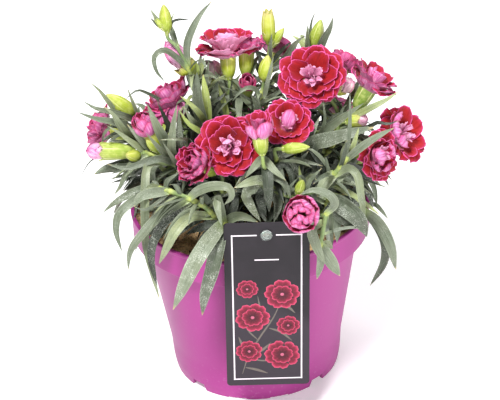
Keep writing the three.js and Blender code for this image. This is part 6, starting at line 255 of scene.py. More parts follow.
            (3.7, "g", 0, [(14.2, 11.7, 188.4, 0.8, 0.2, 0.5), (11.7, 11.1, 192.5, 0.8, 0.2, 0.6), (8.9, 10.8, 196.3, 0.8, 0.1, 0.6), (6.1, 10.8, 199.7, 0.7, 0, 0.7), (3.1, 11.2, 202.3, 0.7, 0, 0.8)]),
            (4, "g", 0.2, [(13.8, 20.2, 188.4, 0.3, -1, 0.2), (10.9, 20.8, 195.9, 0.3, -0.9, 0.3), (8, 21.8, 201.2, 0.3, -0.8, 0.5), (5.1, 23.4, 203.2, -0.2, -0.3, 0.9), (2.4, 25.6, 201, -0.7, -0.1, 0.8)]),
            (4.5, "g", 0.04, [(13.7, 11.4, 184.8, -0.4, 0.5, 0.8), (16.7, 8.9, 188, -0.4, 0.4, 0.8), (19.8, 6.4, 189.7, -0.1, 0.1, 1), (23, 4, 189.1, 0.4, -0.2, 0.9), (26.2, 1.5, 185.7, 0.6, -0.3, 0.8)]),
            (4.9, "g", 0.16, [(16.3, 23.3, 185.4, -0.9, 0.2, 0.3), (17.5, 20.9, 190.7, -0.9, 0.2, 0.4), (18.8, 18.4, 194.9, -0.8, 0.3, 0.5), (20.1, 15.9, 197.7, -0.6, 0.2, 0.8), (21.6, 13.5, 198.4, -0.4, 0, 0.9)]),
            (3.6, "d", 0.4, [(9.2, 9.4, 151, 0.8, 0, 0.7), (4.1, 9.6, 157, 0.7, 0, 0.7), (-1.1, 9.7, 161.2, 0.5, 0, 0.9), (-6.4, 9.8, 163, 0, 0, 1), (-11.7, 9.9, 161.6, -0.3, 0, 1)]),
            (4.6, "d", 0.3, [(14.6, 16, 180.2, 0.2, 0.5, 0.9), (16.6, 23.9, 175.3, 0.2, 0.5, 0.8), (17.9, 32.2, 169.7, 0.2, 0.6, 0.8), (18.6, 40.8, 163.3, 0.2, 0.6, 0.8), (18.2, 49.6, 156.1, 0.2, 0.6, 0.8)]),
            (5.2, "g", 0.31, [(12.5, 10.6, 177.2, 0, -0.5, 0.9), (13.4, 17.6, 181.3, 0, -0.4, 0.9), (14.8, 24.8, 182.7, 0.1, 0, 1), (16.8, 32, 180.4, 0.2, 0.5, 0.8), (19.6, 39, 173.2, 0.3, 0.6, 0.7)]),
            (3.4, "gy", 0.17, [(11.8, 10.3, 173.1, 0.6, -0.3, 0.7), (6.9, 14.1, 178.8, 0.5, -0.3, 0.8), (1.6, 17.7, 182.3, 0.3, -0.1, 1), (-4.3, 20.8, 182.6, -0.2, 0.2, 1), (-10.6, 23.4, 178.8, -0.4, 0.2, 0.9)]),
            (4.7, "d", 0.2, [(6, 9, 116, 0.5, -0.6, 0.6), (3, 12.8, 121.9, 0.5, -0.6, 0.7), (0.2, 16.9, 126.4, 0.3, -0.5, 0.8), (-2.3, 21.3, 129.1, 0.1, -0.2, 1), (-4.4, 26.1, 129.1, 0, 0, 1)]),
            (4.1, "g", 0, [(13.1, 11, 181.1, -0.6, -0.3, 0.7), (17.3, 12.9, 185.3, -0.6, -0.2, 0.8), (21.8, 14.5, 188.7, -0.5, -0.1, 0.9), (26.5, 15.8, 191.2, -0.3, 0, 0.9), (31.4, 16.7, 192.2, -0.2, 0, 1)]),
            (4.5, "g", 0.18, [(14.6, 16, 180.2, 0.3, 0.5, 0.8), (20.4, 18.2, 176.8, 0.3, 0.5, 0.8), (26.5, 20.4, 172.6, 0.4, 0.6, 0.7), (32.6, 22.5, 167.5, 0.4, 0.6, 0.7), (38.8, 24.4, 161.3, 0.5, 0.6, 0.6)]),
            (4.1, "g", 0, [(14.7, 12, 192, 0.1, -0.5, 0.9), (14.6, 15.9, 194.4, 0, -0.4, 0.9), (14.7, 20, 195.3, 0, 0, 1), (15, 24.1, 194.1, 0.1, 0.5, 0.9), (15.6, 28.2, 190.3, 0.1, 0.7, 0.7)]),
            (4.2, "d", 0.15, [(7.7, 9.2, 135.9, 0.4, 0.7, 0.6), (5.9, 6, 140.4, 0.4, 0.7, 0.6), (4.4, 2.4, 144.7, 0.3, 0.7, 0.7), (3.4, -1.5, 148.5, 0.2, 0.6, 0.8), (3, -5.8, 151.7, 0.1, 0.6, 0.8)]),
            (3, "d", 0.02, [(9.2, 9.4, 151, 0.3, 0.4, 0.9), (5.5, 5, 154.3, 0.2, 0.3, 0.9), (2, 0.2, 155.6, 0, 0, 1), (-1.1, -5.1, 154.2, -0.2, -0.4, 0.9), (-3.7, -10.8, 149.3, -0.2, -0.6, 0.8)]),
            (3.7, "d", 0, [(9.2, 9.4, 151, -0.5, 0.5, 0.7), (14.6, 4.7, 157.6, -0.4, 0.5, 0.8), (19.9, -0.5, 163.5, -0.4, 0.5, 0.8), (24.9, -6.2, 168.6, -0.3, 0.4, 0.9), (29.4, -12.5, 172.3, -0.2, 0.4, 0.9)]),
            (3.9, "d", 0.56, [(8.2, 9.3, 140.9, 0.4, 0.6, 0.8), (5.1, 3.9, 146.3, 0.3, 0.5, 0.8), (2.4, -1.8, 149.1, 0.1, 0.1, 1), (0.2, -7.9, 148.4, -0.1, -0.4, 0.9), (-1.5, -14.4, 143, -0.1, -0.6, 0.8)]),
            (4.5, "d", 0.23, [(8.2, 9.3, 140.9, 0.5, 0.4, 0.8), (3.9, 5.6, 145.2, 0.4, 0.3, 0.9), (-0.4, 1.8, 146.9, 0, 0, 1), (-4.8, -2, 145.1, -0.4, -0.4, 0.8), (-9.1, -5.8, 138.7, -0.5, -0.5, 0.7)]),
            (4.3, "g", 0, [(13.8, 20.2, 188.4, -0.2, 0, 1), (11.6, 13.3, 187.7, -0.2, -0.2, 1), (9.3, 6.2, 185.2, -0.3, -0.4, 0.9), (6.8, -1, 180.2, -0.3, -0.6, 0.8), (4.3, -8.1, 172.1, -0.4, -0.6, 0.7)]),
            (4.2, "d", 0.28, [(16.2, 20, 181.2, 0.2, 0.5, 0.9), (13.2, 28.1, 177.3, 0.1, 0.6, 0.8), (9.2, 36.2, 169.9, 0, 0.8, 0.6), (4.2, 44, 158.1, 0, 0.9, 0.5), (-2.3, 51.4, 140.5, 0, 0.9, 0.4)]),
            (3.8, "d", 0, [(8.7, 9.3, 146, 0.7, -0.4, 0.6), (5.8, 11.1, 150.7, 0.7, -0.4, 0.6), (2.7, 12.8, 155.1, 0.7, -0.3, 0.7), (-0.6, 14.3, 158.9, 0.6, -0.2, 0.7), (-4, 15.4, 161.8, 0.6, -0.2, 0.8)]),
            (5.1, "d", 0.45, [(6.8, 9.1, 126.6, 0.7, -0.4, 0.6), (4, 10.9, 130.9, 0.6, -0.3, 0.7), (0.9, 12.6, 133, 0.2, 0, 1), (-2.4, 13.9, 132, -0.6, 0.2, 0.8), (-5.9, 14.9, 127, -0.8, 0.2, 0.6)]),
            (3.9, "d", 0.47, [(6.8, 9.1, 126.6, -0.3, 0.7, 0.7), (8.4, 5.4, 131, -0.2, 0.6, 0.8), (9.6, 1.4, 133.6, 0, 0.3, 1), (10.2, -2.9, 133.7, 0.1, -0.3, 0.9), (10.1, -7.7, 130.5, 0, -0.6, 0.8)]),
            (3.6, "g", 0.09, [(11.2, 10, 168.6, -0.1, 0.6, 0.8), (13, 3.9, 174, -0.1, 0.5, 0.8), (14.4, -2.6, 176.9, 0, 0.2, 1), (15.5, -9.2, 176.2, 0.1, -0.4, 0.9), (16, -16, 170.8, 0.1, -0.6, 0.8)]),
            (2.7, "d", 0.51, [(6, 9, 116, -0.7, 0, 0.8), (9.9, 8.9, 119.4, -0.6, 0.1, 0.8), (13.9, 8.4, 121.9, -0.4, 0.1, 0.9), (17.9, 7.5, 122.9, 0, 0, 1), (22, 6, 122, 0.2, -0.1, 1)]),
            (5.2, "d", 0.27, [(9.2, 9.4, 151, 0.6, 0.1, 0.8), (3.4, 8.7, 155.5, 0.6, 0.1, 0.8), (-2.5, 8.1, 159.6, 0.5, 0.1, 0.9), (-8.6, 7.4, 162.7, 0.4, 0, 0.9), (-14.6, 6.7, 164.7, 0.3, 0, 0.9)]),
            (4.9, "g", 0, [(14.7, 12, 192, 0.2, -0.5, 0.8), (13, 17.8, 196.3, 0.2, -0.5, 0.9), (11.7, 23.9, 199.4, 0.1, -0.3, 0.9), (11, 30.3, 200.8, 0, 0, 1), (11, 36.9, 199.9, 0, 0.1, 1)]),
            (3, "d", 0, [(10.8, 9.8, 164.8, 0.3, -0.6, 0.7), (8.2, 15.6, 170.7, 0.3, -0.5, 0.8), (5.4, 21.4, 175.4, 0.3, -0.4, 0.9), (2.2, 27.2, 178.5, 0.2, -0.2, 1), (-1.3, 32.8, 179.3, 0.1, -0.1, 1)]),
        ],
        "calyxes": [(4.2, (14.7, 22.1, 196.6), (19.9, 30.2, 205.3))],
        "buds": [(2.8, (17.6, 13, 218.2), (26, 13, 230), "green"), (4.3, (16.4, 13, 220.4), (16.6, 13, 242.3), "open")],
    },
    "shoot_05": {
        "stems": [
            (1.7, 1.3, [(12, 2, 109.3), (12, 2, 116), (30.7, 2, 161.2), (37.7, 8, 178.8), (42.8, 11, 191.4), (42.4, 4.7, 196.2)]),
            (1.5, 1.2, [(33.1, 3.5, 167.2), (40.4, 16, 192), (42, 14, 210.9), (43.6, 14, 216.4)]),
        ],
        "leaves": [
            (3.5, "g", 0.3, [(41.3, 15, 205, 0.11, -0.94, -0.32), (39.9, 10, 219.2, 0.04, -0.97, -0.25), (40.2, 8, 231.6, -0.02, -0.99, -0.16)]),
            (1.9, "g", 0.3, [(42, 15, 207.7, -0.01, -1, 0.05), (42.2, 16, 226.3, -0.03, -0.99, 0.12), (43.4, 18, 232.1, -0.1, -0.97, 0.21), (45.7, 18, 237.4, -0.21, -0.97, 0.09)]),
            (5.3, "g", 0.3, [(41.6, 14.4, 207.8, 0.08, -0.89, 0.45), (43.2, 14, 206.7, -0.43, -0.9, -0.11), (50.7, 8, 225, -0.33, -0.94, -0.09), (53.9, 8, 230.9, -0.14, -0.97, 0.22), (56, 10, 237.2, -0.07, -0.95, 0.32)]),
            (2.9, "g", 0.3, [(32.3, 2.9, 165.3, -0.76, -0.6, 0.24), (33.3, 2, 166, -0.8, -0.25, 0.55), (43.5, -20, 171, -0.85, -0.53, -0.01), (48, -22, 183.7, -0.13, -0.99, -0.07), (47.6, -22, 191.9, 0.02, -0.99, 0.15), (47.2, -20, 197.1, 0.01, -0.93, 0.36)]),
            (3.7, "d", 0.3, [(34.5, 4.9, 170.7, -0.4, -0.61, 0.68), (35.4, 4, 170.4, -0.26, -0.74, 0.62), (26.4, 10, 173.4, -0.03, -0.85, 0.53), (21.8, 12, 182.5, 0.13, -0.95, 0.27)]),
        ],
        "more": [
            (4.9, "d", 0, [(35.1, 5.4, 172.1, -0.3, 0.5, 0.8), (40.9, 2.1, 176, -0.2, 0.4, 0.9), (47.4, -0.8, 177.6, 0.1, 0.2, 1), (54.3, -2.9, 175.9, 0.5, 0.1, 0.9), (61.9, -4.1, 169.9, 0.6, 0.1, 0.8)]),
            (3.6, "d", 0.03, [(33.3, 3.8, 167.8, 0.6, -0.4, 0.7), (31.2, 7.5, 172.3, 0.6, -0.4, 0.7), (29, 11.5, 176.4, 0.5, -0.4, 0.7), (27, 15.5, 179.6, 0.4, -0.3, 0.8), (25, 19.6, 181.7, 0.4, -0.3, 0.9)]),
            (3.2, "gy", 0.31, [(41.5, 14.9, 205.4, 0.3, -0.6, 0.7), (39.2, 20.2, 210.9, 0.2, -0.6, 0.8), (37.8, 26.2, 214.3, 0.1, -0.3, 1), (37.5, 32.8, 214.8, 0, 0.2, 1), (38.5, 40.1, 211.3, 0.1, 0.4, 0.9)]),
            (4.9, "gy", 0.16, [(41.5, 14.9, 205.4, 0.5, -0.7, 0.5), (39.4, 17.4, 210.6, 0.5, -0.6, 0.6), (37, 19.7, 214.9, 0.5, -0.5, 0.7), (34.2, 21.8, 218, 0.4, -0.3, 0.8), (30.9, 23.5, 219.5, 0.3, -0.2, 0.9)]),
            (2.8, "g", 0, [(41.2, 15.8, 200.5, 0.5, 0.5, 0.7), (39.4, 13.3, 203.7, 0.5, 0.5, 0.7), (37.5, 10.7, 206, 0.3, 0.3, 0.9), (35.6, 8.1, 207.1, 0.1, 0, 1), (33.7, 5.5, 206.4, -0.1, -0.2, 1)]),
            (5, "d", 0, [(12, 2, 116, -0.4, 0.2, 0.9), (17.2, 0.1, 118.3, -0.3, 0.1, 0.9), (22.4, -1.9, 119.8, -0.1, 0.1, 1), (27.7, -4.1, 119.9, 0.1, 0, 1), (32.9, -6.5, 118.4, 0.2, -0.1, 1)]),
            (4.7, "g", 0.04, [(39, 14, 185.9, 0.8, 0.3, 0.5), (36.9, 14, 189.7, 0.8, 0.3, 0.5), (34.9, 13.7, 192, 0.5, 0.3, 0.8), (32.7, 13.1, 192.3, -0.4, 0, 0.9), (30.6, 12.1, 190.1, -0.7, -0.1, 0.7)]),
            (3.4, "d", 0.07, [(35.1, 7, 173.4, 0.8, 0.6, 0.1), (34.3, 7.1, 177.7, 0.9, 0.5, 0.2), (33.5, 7.4, 180.8, 0.9, 0.1, 0.3), (32.6, 7.9, 181.9, 0.1, 0.2, 1), (31.8, 8.8, 180.7, -0.2, 0.7, 0.7)]),
            (3.6, "gy", 0.42, [(30.7, 2, 161.2, -0.2, 0, 1), (35.8, 2.8, 162.4, -0.2, 0, 1), (41.1, 3.5, 163.5, -0.2, 0, 1), (46.5, 3.9, 164.4, -0.1, 0.1, 1), (52, 4, 165.1, -0.1, 0.1, 1)]),
            (3.1, "d", 0, [(29.4, 1.6, 158, -0.2, -0.2, 1), (36, 7.4, 160.7, -0.1, -0.2, 1), (43.1, 12.9, 161.1, 0.1, 0, 1), (50.8, 18.1, 158.5, 0.4, 0.2, 0.9), (59.1, 22.6, 151.9, 0.5, 0.2, 0.8)]),
            (4.1, "d", 0.02, [(26, 1.2, 150.6, 0.2, -0.7, 0.6), (26.3, 4, 153.8, 0.1, -0.7, 0.7), (26.9, 6.9, 155.4, 0.1, -0.2, 1), (28.1, 9.8, 155, 0.4, 0.3, 0.9), (30, 12.6, 151.8, 0.5, 0.5, 0.7)]),
            (3.3, "g", 0.12, [(37.7, 8, 178.8, 0.9, 0.2, 0.3), (36.3, 8.1, 182.7, 0.9, 0.1, 0.4), (34.8, 8.4, 185.3, 0.8, 0, 0.6), (33.3, 9, 186.2, -0.1, 0.3, 1), (31.9, 9.9, 184.6, -0.4, 0.6, 0.7)]),
            (3, "d", 0.29, [(32.1, 2.8, 164.6, -0.4, 0.3, 0.9), (37, 1.5, 167.2, -0.4, 0.2, 0.9), (42.3, 1.1, 169.2, -0.3, 0.1, 1), (48.1, 1.8, 170.5, -0.1, 0.1, 1), (54.4, 3.9, 170.6, 0, 0.1, 1)]),
            (2.9, "d", 0, [(35.7, 8.3, 175.5, 0.2, -0.3, 0.9), (35, 12.8, 177.4, 0.2, -0.2, 1), (34, 17.4, 177.9, 0.1, 0.1, 1), (32.7, 22.1, 176.5, 0, 0.5, 0.9), (31, 26.7, 172.6, 0, 0.6, 0.8)]),
            (4.2, "g", 0.31, [(37.7, 12, 181.8, -0.3, -0.1, 1), (42.2, 14.9, 183.4, -0.2, 0, 1), (46.7, 17.9, 184, 0, 0.1, 1), (51.3, 21, 183.1, 0.2, 0.3, 0.9), (55.8, 24.2, 180.5, 0.3, 0.3, 0.9)]),
            (3.5, "d", 0.26, [(22.2, 1.2, 142.1, 0, 0.2, 1), (28, -7, 144.2, 0.1, 0.1, 1), (34, -15.4, 142.3, 0.4, -0.2, 0.9), (39.9, -24, 135.1, 0.5, -0.5, 0.7), (45.6, -32.6, 121.2, 0.6, -0.5, 0.6)]),
            (4.3, "d", 0.3, [(26, 1.2, 150.6, 0.9, 0, 0.5), (22.1, 1.7, 157.1, 0.8, -0.1, 0.6), (18.1, 2.7, 161.9, 0.6, -0.1, 0.8), (14.1, 4.5, 164.3, 0.2, 0, 1), (10.1, 7.1, 163.4, -0.1, 0.2, 1)]),
            (3.9, "d", 0.59, [(22.2, 1.2, 142.1, 0.4, 0.5, 0.8), (20.5, -3.4, 145.6, 0.4, 0.4, 0.9), (18.4, -8, 147.7, 0.2, 0.1, 1), (15.8, -12.5, 147.7, 0, -0.3, 1), (12.8, -16.9, 145.2, -0.1, -0.4, 0.9)]),
            (2.8, "g", 0, [(37.1, 10.8, 179.7, -0.6, 0.7, 0.4), (39.2, 10.2, 183.7, -0.7, 0.6, 0.4), (41.5, 10, 187.5, -0.7, 0.5, 0.5), (43.9, 10, 190.9, -0.8, 0.3, 0.6), (46.5, 10.5, 193.9, -0.8, 0.2, 0.6)]),
            (3.3, "d", 0.52, [(22.2, 1.2, 142.1, 0.4, -0.8, 0.5), (22.1, 5.6, 149.9, 0.2, -0.8, 0.5), (23.5, 10.3, 157.5, 0, -0.8, 0.6), (26.5, 15.4, 164.8, -0.3, -0.7, 0.7), (31.8, 20.8, 171.5, -0.3, -0.6, 0.7)]),
            (3.2, "d", 0.23, [(11.6, 2, 112.5, 0.2, -0.5, 0.8), (8.9, 10.2, 118, 0.1, -0.4, 0.9), (6.8, 18.9, 121.4, 0, -0.2, 1), (5.7, 28.1, 121.8, 0, 0.2, 1), (5.8, 37.7, 118.4, 0, 0.3, 0.9)]),
            (5, "g", 0.02, [(41, 16.2, 197.1, 0, -0.6, 0.8), (41.4, 24, 202.8, 0, -0.6, 0.8), (41.6, 32.1, 207.8, 0, -0.5, 0.9), (41.7, 40.3, 211.7, 0, -0.4, 0.9), (41.6, 48.5, 214, 0, -0.3, 1)]),
            (2.9, "g", 0, [(41, 16.2, 197.1, 0.7, -0.3, 0.6), (38.6, 17.2, 200.5, 0.7, -0.3, 0.7), (35.9, 18, 203, 0.5, -0.1, 0.8), (33, 18.3, 204.1, 0, 0, 1), (29.8, 18.1, 203.3, -0.2, -0.1, 1)]),
            (5.1, "d", 0.42, [(12, 2, 116, -0.1, -0.7, 0.7), (14, 7.2, 121.4, -0.1, -0.7, 0.7), (16.1, 12.7, 126.3, -0.1, -0.6, 0.8), (18.1, 18.2, 130.2, -0.1, -0.5, 0.9), (20.1, 23.7, 133, 0, -0.4, 0.9)]),
            (3, "d", 0.02, [(26, 1.2, 150.6, 0.4, 0.8, 0.5), (26, -1.3, 155, 0.4, 0.8, 0.5), (25.6, -3.9, 158.9, 0.4, 0.7, 0.6), (24.9, -6.6, 162.1, 0.4, 0.6, 0.7), (23.7, -9.2, 164.4, 0.4, 0.5, 0.8)]),
            (5, "d", 0.14, [(27.8, 1.3, 154.5, 0, 0.6, 0.8), (29.3, -3.1, 158, 0, 0.6, 0.8), (31.3, -7.5, 161, 0, 0.5, 0.9), (33.7, -11.8, 163.4, 0, 0.4, 0.9), (36.7, -16, 164.9, 0, 0.3, 0.9)]),
            (4.5, "d", 0.22, [(26, 1.2, 150.6, -0.1, 0.4, 0.9), (29.1, -3, 152.5, 0, 0.3, 1), (32.4, -7.2, 152.8, 0.2, 0, 1), (36, -11.4, 150.8, 0.5, -0.3, 0.8), (39.8, -15.3, 145.9, 0.6, -0.4, 0.7)]),
            (3.2, "g", 0, [(35.1, 7, 173.4, -0.4, 0, 0.9), (42.6, 10.8, 176.8, -0.4, 0, 0.9), (50.2, 15, 179.2, -0.2, 0, 1), (57.8, 19.4, 180, -0.1, 0.1, 1), (65.1, 24.2, 178.8, 0, 0.2, 1)]),
            (4.3, "d", 0.35, [(22.2, 1.2, 142.1, 0.4, 0.5, 0.8), (20.8, -3.3, 145.9, 0.3, 0.4, 0.9), (19.3, -8, 147.2, 0.1, -0.1, 1), (18, -12.7, 145.1, 0.1, -0.7, 0.7), (16.7, -17.5, 138.5, 0.1, -0.8, 0.6)]),
            (3.1, "d", 0.13, [(27.8, 1.3, 154.5, -0.4, 0.3, 0.8), (31.3, -0.2, 157, -0.4, 0.3, 0.9), (35, -1.7, 158.3, -0.1, 0.1, 1), (38.8, -3, 158.1, 0.3, 0, 1), (42.7, -4, 155.9, 0.5, 0, 0.9)]),
            (3.3, "g", 0, [(35.1, 7, 173.4, 0.9, 0.2, 0.4), (31.4, 8.2, 181.5, 0.9, 0.2, 0.4), (27.6, 9.4, 188.7, 0.9, 0.1, 0.5), (23.9, 10.8, 194.4, 0.8, 0.1, 0.6), (20.2, 12.3, 198.2, 0.7, 0.1, 0.7)]),
        ],
        "calyxes": [(4.8, (42.4, 5.4, 195.6), (41.6, -6.5, 204.7))],
        "buds": [(4.2, (43.4, 14, 215.6), (48.8, 14, 234), "green")],
    },
    "shoot_06": {
        "stems": [
            (1.7, 1.3, [(16, -4, 109.3), (16, -4, 116), (48.4, -12, 153.7), (59.4, -12, 172.1), (63.7, -11.9, 178.2), (68.1, -9.9, 184.6)]),
            (1.7, 1.3, [(56.7, -12.1, 167.4), (58.8, 6, 178.6), (51.9, 0.1, 188.1), (55.7, 4.7, 193.4)]),
            (1.5, 1.2, [(58.5, -12, 170.7), (55.6, -6, 183), (49.7, -2.3, 192), (54.9, -3.1, 194.4)]),
            (1.5, 1.2, [(52.5, -12.3, 159.9), (56.2, -14, 173.3), (56.3, -14.3, 176.9), (61.9, -15.1, 177.9)]),
        ],
        "leaves": [
            (4, "gy", 0.3, [(64.1, -11.8, 178.9, -0.79, 0.44, -0.42), (63.1, -13.8, 179.9, -0.72, -0.69, 0.06), (68.5, -17.2, 184.2, -0.56, -0.8, 0.2), (76.8, -21.6, 190.9, -0.39, -0.87, 0.31), (86.6, -21.9, 196, -0.13, -0.89, 0.44), (93.5, -20.2, 200.2, -0.03, -0.87, 0.49)]),
            (1.7, "d", 0.3, [(63.8, -12, 178.8, -0.59, -0.79, 0.18), (71, -11.4, 182, -0.45, -0.88, 0.18), (76.5, -9.1, 186.6, -0.27, -0.93, 0.26)]),
            (6.2, "g", 0.3, [(45.8, -11.5, 150.2, 0.67, -0.73, -0.13), (43.3, -14, 151.5, -0.01, -0.91, -0.41), (45.9, -22, 173.4, -0.36, -0.9, -0.24), (55.6, -28, 185.8, -0.49, -0.87, 0.1), (64.1, -30, 193.2, -0.34, -0.9, 0.28), (71.4, -30, 198.2, -0.25, -0.9, 0.36)]),
            (3.4, "d", 0.3, [(51, -12, 157.1, 0.01, -0.92, 0.4), (49, -2, 179.9, -0.01, -0.88, 0.47), (61.7, 2, 183.4, 0.11, -0.83, 0.54)]),
            (1.5, "d", 0.3, [(52.3, -12, 160.5, -0.05, -0.93, 0.37), (59.3, -5, 178.8, -0.02, -0.96, 0.29), (54.8, -3, 190.5, 0.13, -0.97, 0.21)]),
            (3.2, "d", 0.3, [(56.7, -12.1, 167.4, -0.87, 0.39, -0.31), (56.1, -13, 167.9, -0.51, -0.79, 0.35), (74.8, -20, 176.2, -0.53, -0.79, 0.31), (80.1, -24, 181.2, -0.56, -0.74, 0.38), (86, -26, 180.9, -0.03, -0.86, 0.5), (92.9, -24, 181.9, 0.17, -0.83, 0.54)]),
            (3.1, "d", 0.3, [(45.8, -11.5, 150.2, 0.61, -0.64, 0.47), (43.3, -14, 150.1, -0.14, -0.98, -0.12), (51.3, -16, 180.3, -0.28, -0.96, -0.04), (58.5, -20, 186.8, -0.49, -0.77, 0.41), (64.4, -22, 184.8, -0.1, -0.83, 0.54)]),
            (10.5, "g", 1, [(42.4, -10.8, 146.5, 0.67, -0.7, -0.24), (39.5, -14, 147.5, 0.09, -0.77, -0.63), (39.8, -34, 174.7, -0.51, -0.74, -0.43), (49.9, -40, 180.2, -0.53, -0.78, 0.33), (61.8, -44, 185.8, -0.2, -0.87, 0.46), (76.9, -42, 188, 0.04, -0.86, 0.51)]),
            (4.3, "y", 0.3, [(49.9, -12.2, 155.7, 0.15, -0.88, 0.45), (46.1, -12, 157.3, -0.02, -0.99, 0.12), (50.9, -10, 173.6, -0.17, -0.97, 0.17), (55.9, -10, 178.9, -0.27, -0.93, 0.26)]),
        ],
        "more": [
            (4.2, "d", 0, [(54.2, 2.5, 184.3, -0.1, -0.1, 1), (48.7, -4, 182.6, -0.2, -0.2, 1), (43.4, -11, 179.9, -0.2, -0.2, 0.9), (38.7, -18.7, 176.2, -0.3, -0.3, 0.9), (34.7, -27, 171, -0.3, -0.4, 0.9)]),
            (4.8, "g", 0.46, [(57.5, -9.4, 176, -0.6, -0.3, 0.7), (62.2, -3.6, 182.3, -0.5, -0.3, 0.8), (66.4, 2.9, 187.2, -0.4, -0.3, 0.9), (69.8, 10.2, 190, -0.2, -0.1, 1), (72.2, 18.3, 190, -0.1, 0, 1)]),
            (5.5, "g", 0, [(51.8, -12.3, 158.8, -0.1, -0.1, 1), (60.6, -8.6, 160.3, 0, -0.1, 1), (69.4, -4, 159.7, 0.2, 0, 1), (77.9, 1.7, 156.3, 0.4, 0.2, 0.9), (85.9, 8.5, 149.4, 0.5, 0.2, 0.8)]),
            (4.3, "g", 0.08, [(57.5, -9.4, 176, 0.7, 0.3, 0.6), (53.3, -9.6, 180.6, 0.7, 0.3, 0.7), (49, -9.5, 184.1, 0.5, 0.2, 0.8), (44.7, -9.2, 186, 0.2, 0.2, 1), (40.3, -8.4, 185.6, -0.1, 0.2, 1)]),
            (3, "d", 0, [(49.7, -12.1, 155.4, 0, -0.2, 1), (53.5, -9.8, 155.9, 0.1, -0.1, 1), (57.3, -7.1, 155.7, 0.2, 0, 1), (60.9, -3.8, 154.6, 0.4, 0.1, 0.9), (64.2, 0, 152.2, 0.4, 0.2, 0.9)]),
            (4.1, "gy", 0.12, [(58.8, 6, 178.6, 0.1, 0.6, 0.8), (55.1, 1, 182.6, 0.1, 0.5, 0.9), (51.2, -4, 185.6, 0.1, 0.4, 0.9), (47.2, -8.9, 187.2, -0.1, 0.2, 1), (42.9, -13.7, 187, -0.1, 0.1, 1)]),
            (3.3, "g", 0.19, [(57.5, -6.9, 170.2, -0.3, 0.2, 0.9), (66, -1.6, 171.7, -0.3, 0.2, 0.9), (74.1, 4.9, 172.4, -0.2, 0.2, 1), (81.6, 12.9, 171.9, -0.1, 0.2, 1), (88.2, 22.6, 169.9, -0.1, 0.2, 1)]),
            (3.2, "d", 0.33, [(43.6, -11.1, 147.8, 0.1, 0.5, 0.9), (47.7, -19.2, 151.9, 0.1, 0.4, 0.9), (51.5, -27.7, 154.8, 0.2, 0.3, 0.9), (54.9, -36.5, 155.7, 0.3, 0.1, 1), (57.7, -45.7, 154.1, 0.3, -0.1, 1)]),
            (4.2, "g", 0.26, [(55.5, -12.2, 165.4, 0.1, -0.4, 0.9), (57.4, -8.2, 166.8, 0.1, -0.3, 0.9), (59.2, -4, 168, 0.1, -0.3, 1), (60.8, 0.4, 168.9, 0.1, -0.2, 1), (62.1, 4.9, 169.4, 0.2, -0.1, 1)]),
            (3.9, "d", 0, [(27.2, -7, 130.6, 0.2, 0, 1), (31.7, -9.7, 129.6, 0.3, -0.1, 1), (36.2, -12.5, 127.9, 0.4, -0.1, 0.9), (40.8, -15.4, 125.4, 0.5, -0.2, 0.9), (45.3, -18.4, 121.7, 0.5, -0.2, 0.8)]),
            (5, "d", 0.11, [(49.7, -12.1, 155.4, 0.1, -0.3, 0.9), (53.3, -6.3, 157.2, 0.1, -0.3, 1), (56.8, -0.2, 157.7, 0.2, -0.1, 1), (60.1, 6.2, 156.3, 0.4, 0.2, 0.9), (63, 12.8, 152.6, 0.4, 0.3, 0.9)]),
            (4.2, "g", 0, [(58.8, 6, 178.6, 0.2, 0.2, 1), (52.8, 4.2, 180.3, 0.2, 0.1, 1), (46.4, 2.8, 181.5, 0.1, 0.1, 1), (39.7, 2, 182, 0, 0.1, 1), (32.9, 2.1, 181.6, -0.1, 0, 1)]),
            (5.4, "d", 0.29, [(51.8, -12.3, 158.8, -0.1, -0.1, 1), (61.2, -9.1, 160, 0.1, -0.1, 1), (70.6, -5.5, 157.3, 0.5, 0.1, 0.9), (80, -1.4, 149.5, 0.7, 0.2, 0.7), (89.2, 3.4, 135, 0.8, 0.2, 0.6)]),
            (4.5, "d", 0.87, [(24.1, -6.2, 127.3, 0.2, 0.2, 1), (28, -12, 127.6, 0.2, 0.1, 1), (32.3, -17.8, 126.7, 0.3, -0.1, 1), (37, -23.5, 123.9, 0.4, -0.2, 0.9), (42, -28.8, 118.9, 0.5, -0.3, 0.8)]),
            (4.5, "d", 0.61, [(24.1, -6.2, 127.3, -0.1, -0.6, 0.8), (29, -0.7, 132.4, 0, -0.5, 0.9), (33.9, 5, 134.1, 0.3, -0.1, 1), (39, 10.8, 131.1, 0.6, 0.2, 0.7), (44, 16.5, 122.1, 0.7, 0.3, 0.6)]),
            (4, "d", 0.09, [(34, -8.8, 137.6, 0.9, -0.5, 0), (34.6, -8.3, 144.8, 0.8, -0.6, -0.1), (36, -8.1, 151.1, 0.9, -0.3, -0.3), (38.5, -8.4, 156, -0.8, 0, 0.6), (42.2, -9.1, 158.8, -0.6, 0.1, 0.8)]),
            (4.7, "g", 0, [(58.2, -3.1, 172.1, -0.5, 0.2, 0.9), (62.9, -0.5, 173.9, -0.4, 0.2, 0.9), (67.4, 2.7, 174.4, -0.1, 0.3, 0.9), (71.7, 6.6, 172.8, 0.1, 0.5, 0.9), (75.5, 11.4, 168.7, 0.2, 0.6, 0.8)]),
            (4.7, "g", 0, [(57.5, -6.9, 170.2, 0.5, 0.2, 0.8), (50.6, -1.2, 173.7, 0.5, 0.2, 0.9), (43.6, 4.8, 175, 0.2, 0.3, 0.9), (36.6, 11, 173.2, 0, 0.5, 0.9), (29.7, 17.3, 167.6, -0.1, 0.6, 0.8)]),
            (5.2, "d", 0.22, [(21.4, -5.4, 124.1, -0.1, -0.2, 1), (31.4, -3.8, 125.4, -0.1, -0.1, 1), (41.9, -2.9, 125.9, 0, -0.1, 1), (52.7, -3.1, 125.3, 0.1, -0.1, 1), (63.8, -4.5, 123.4, 0.2, -0.1, 1)]),
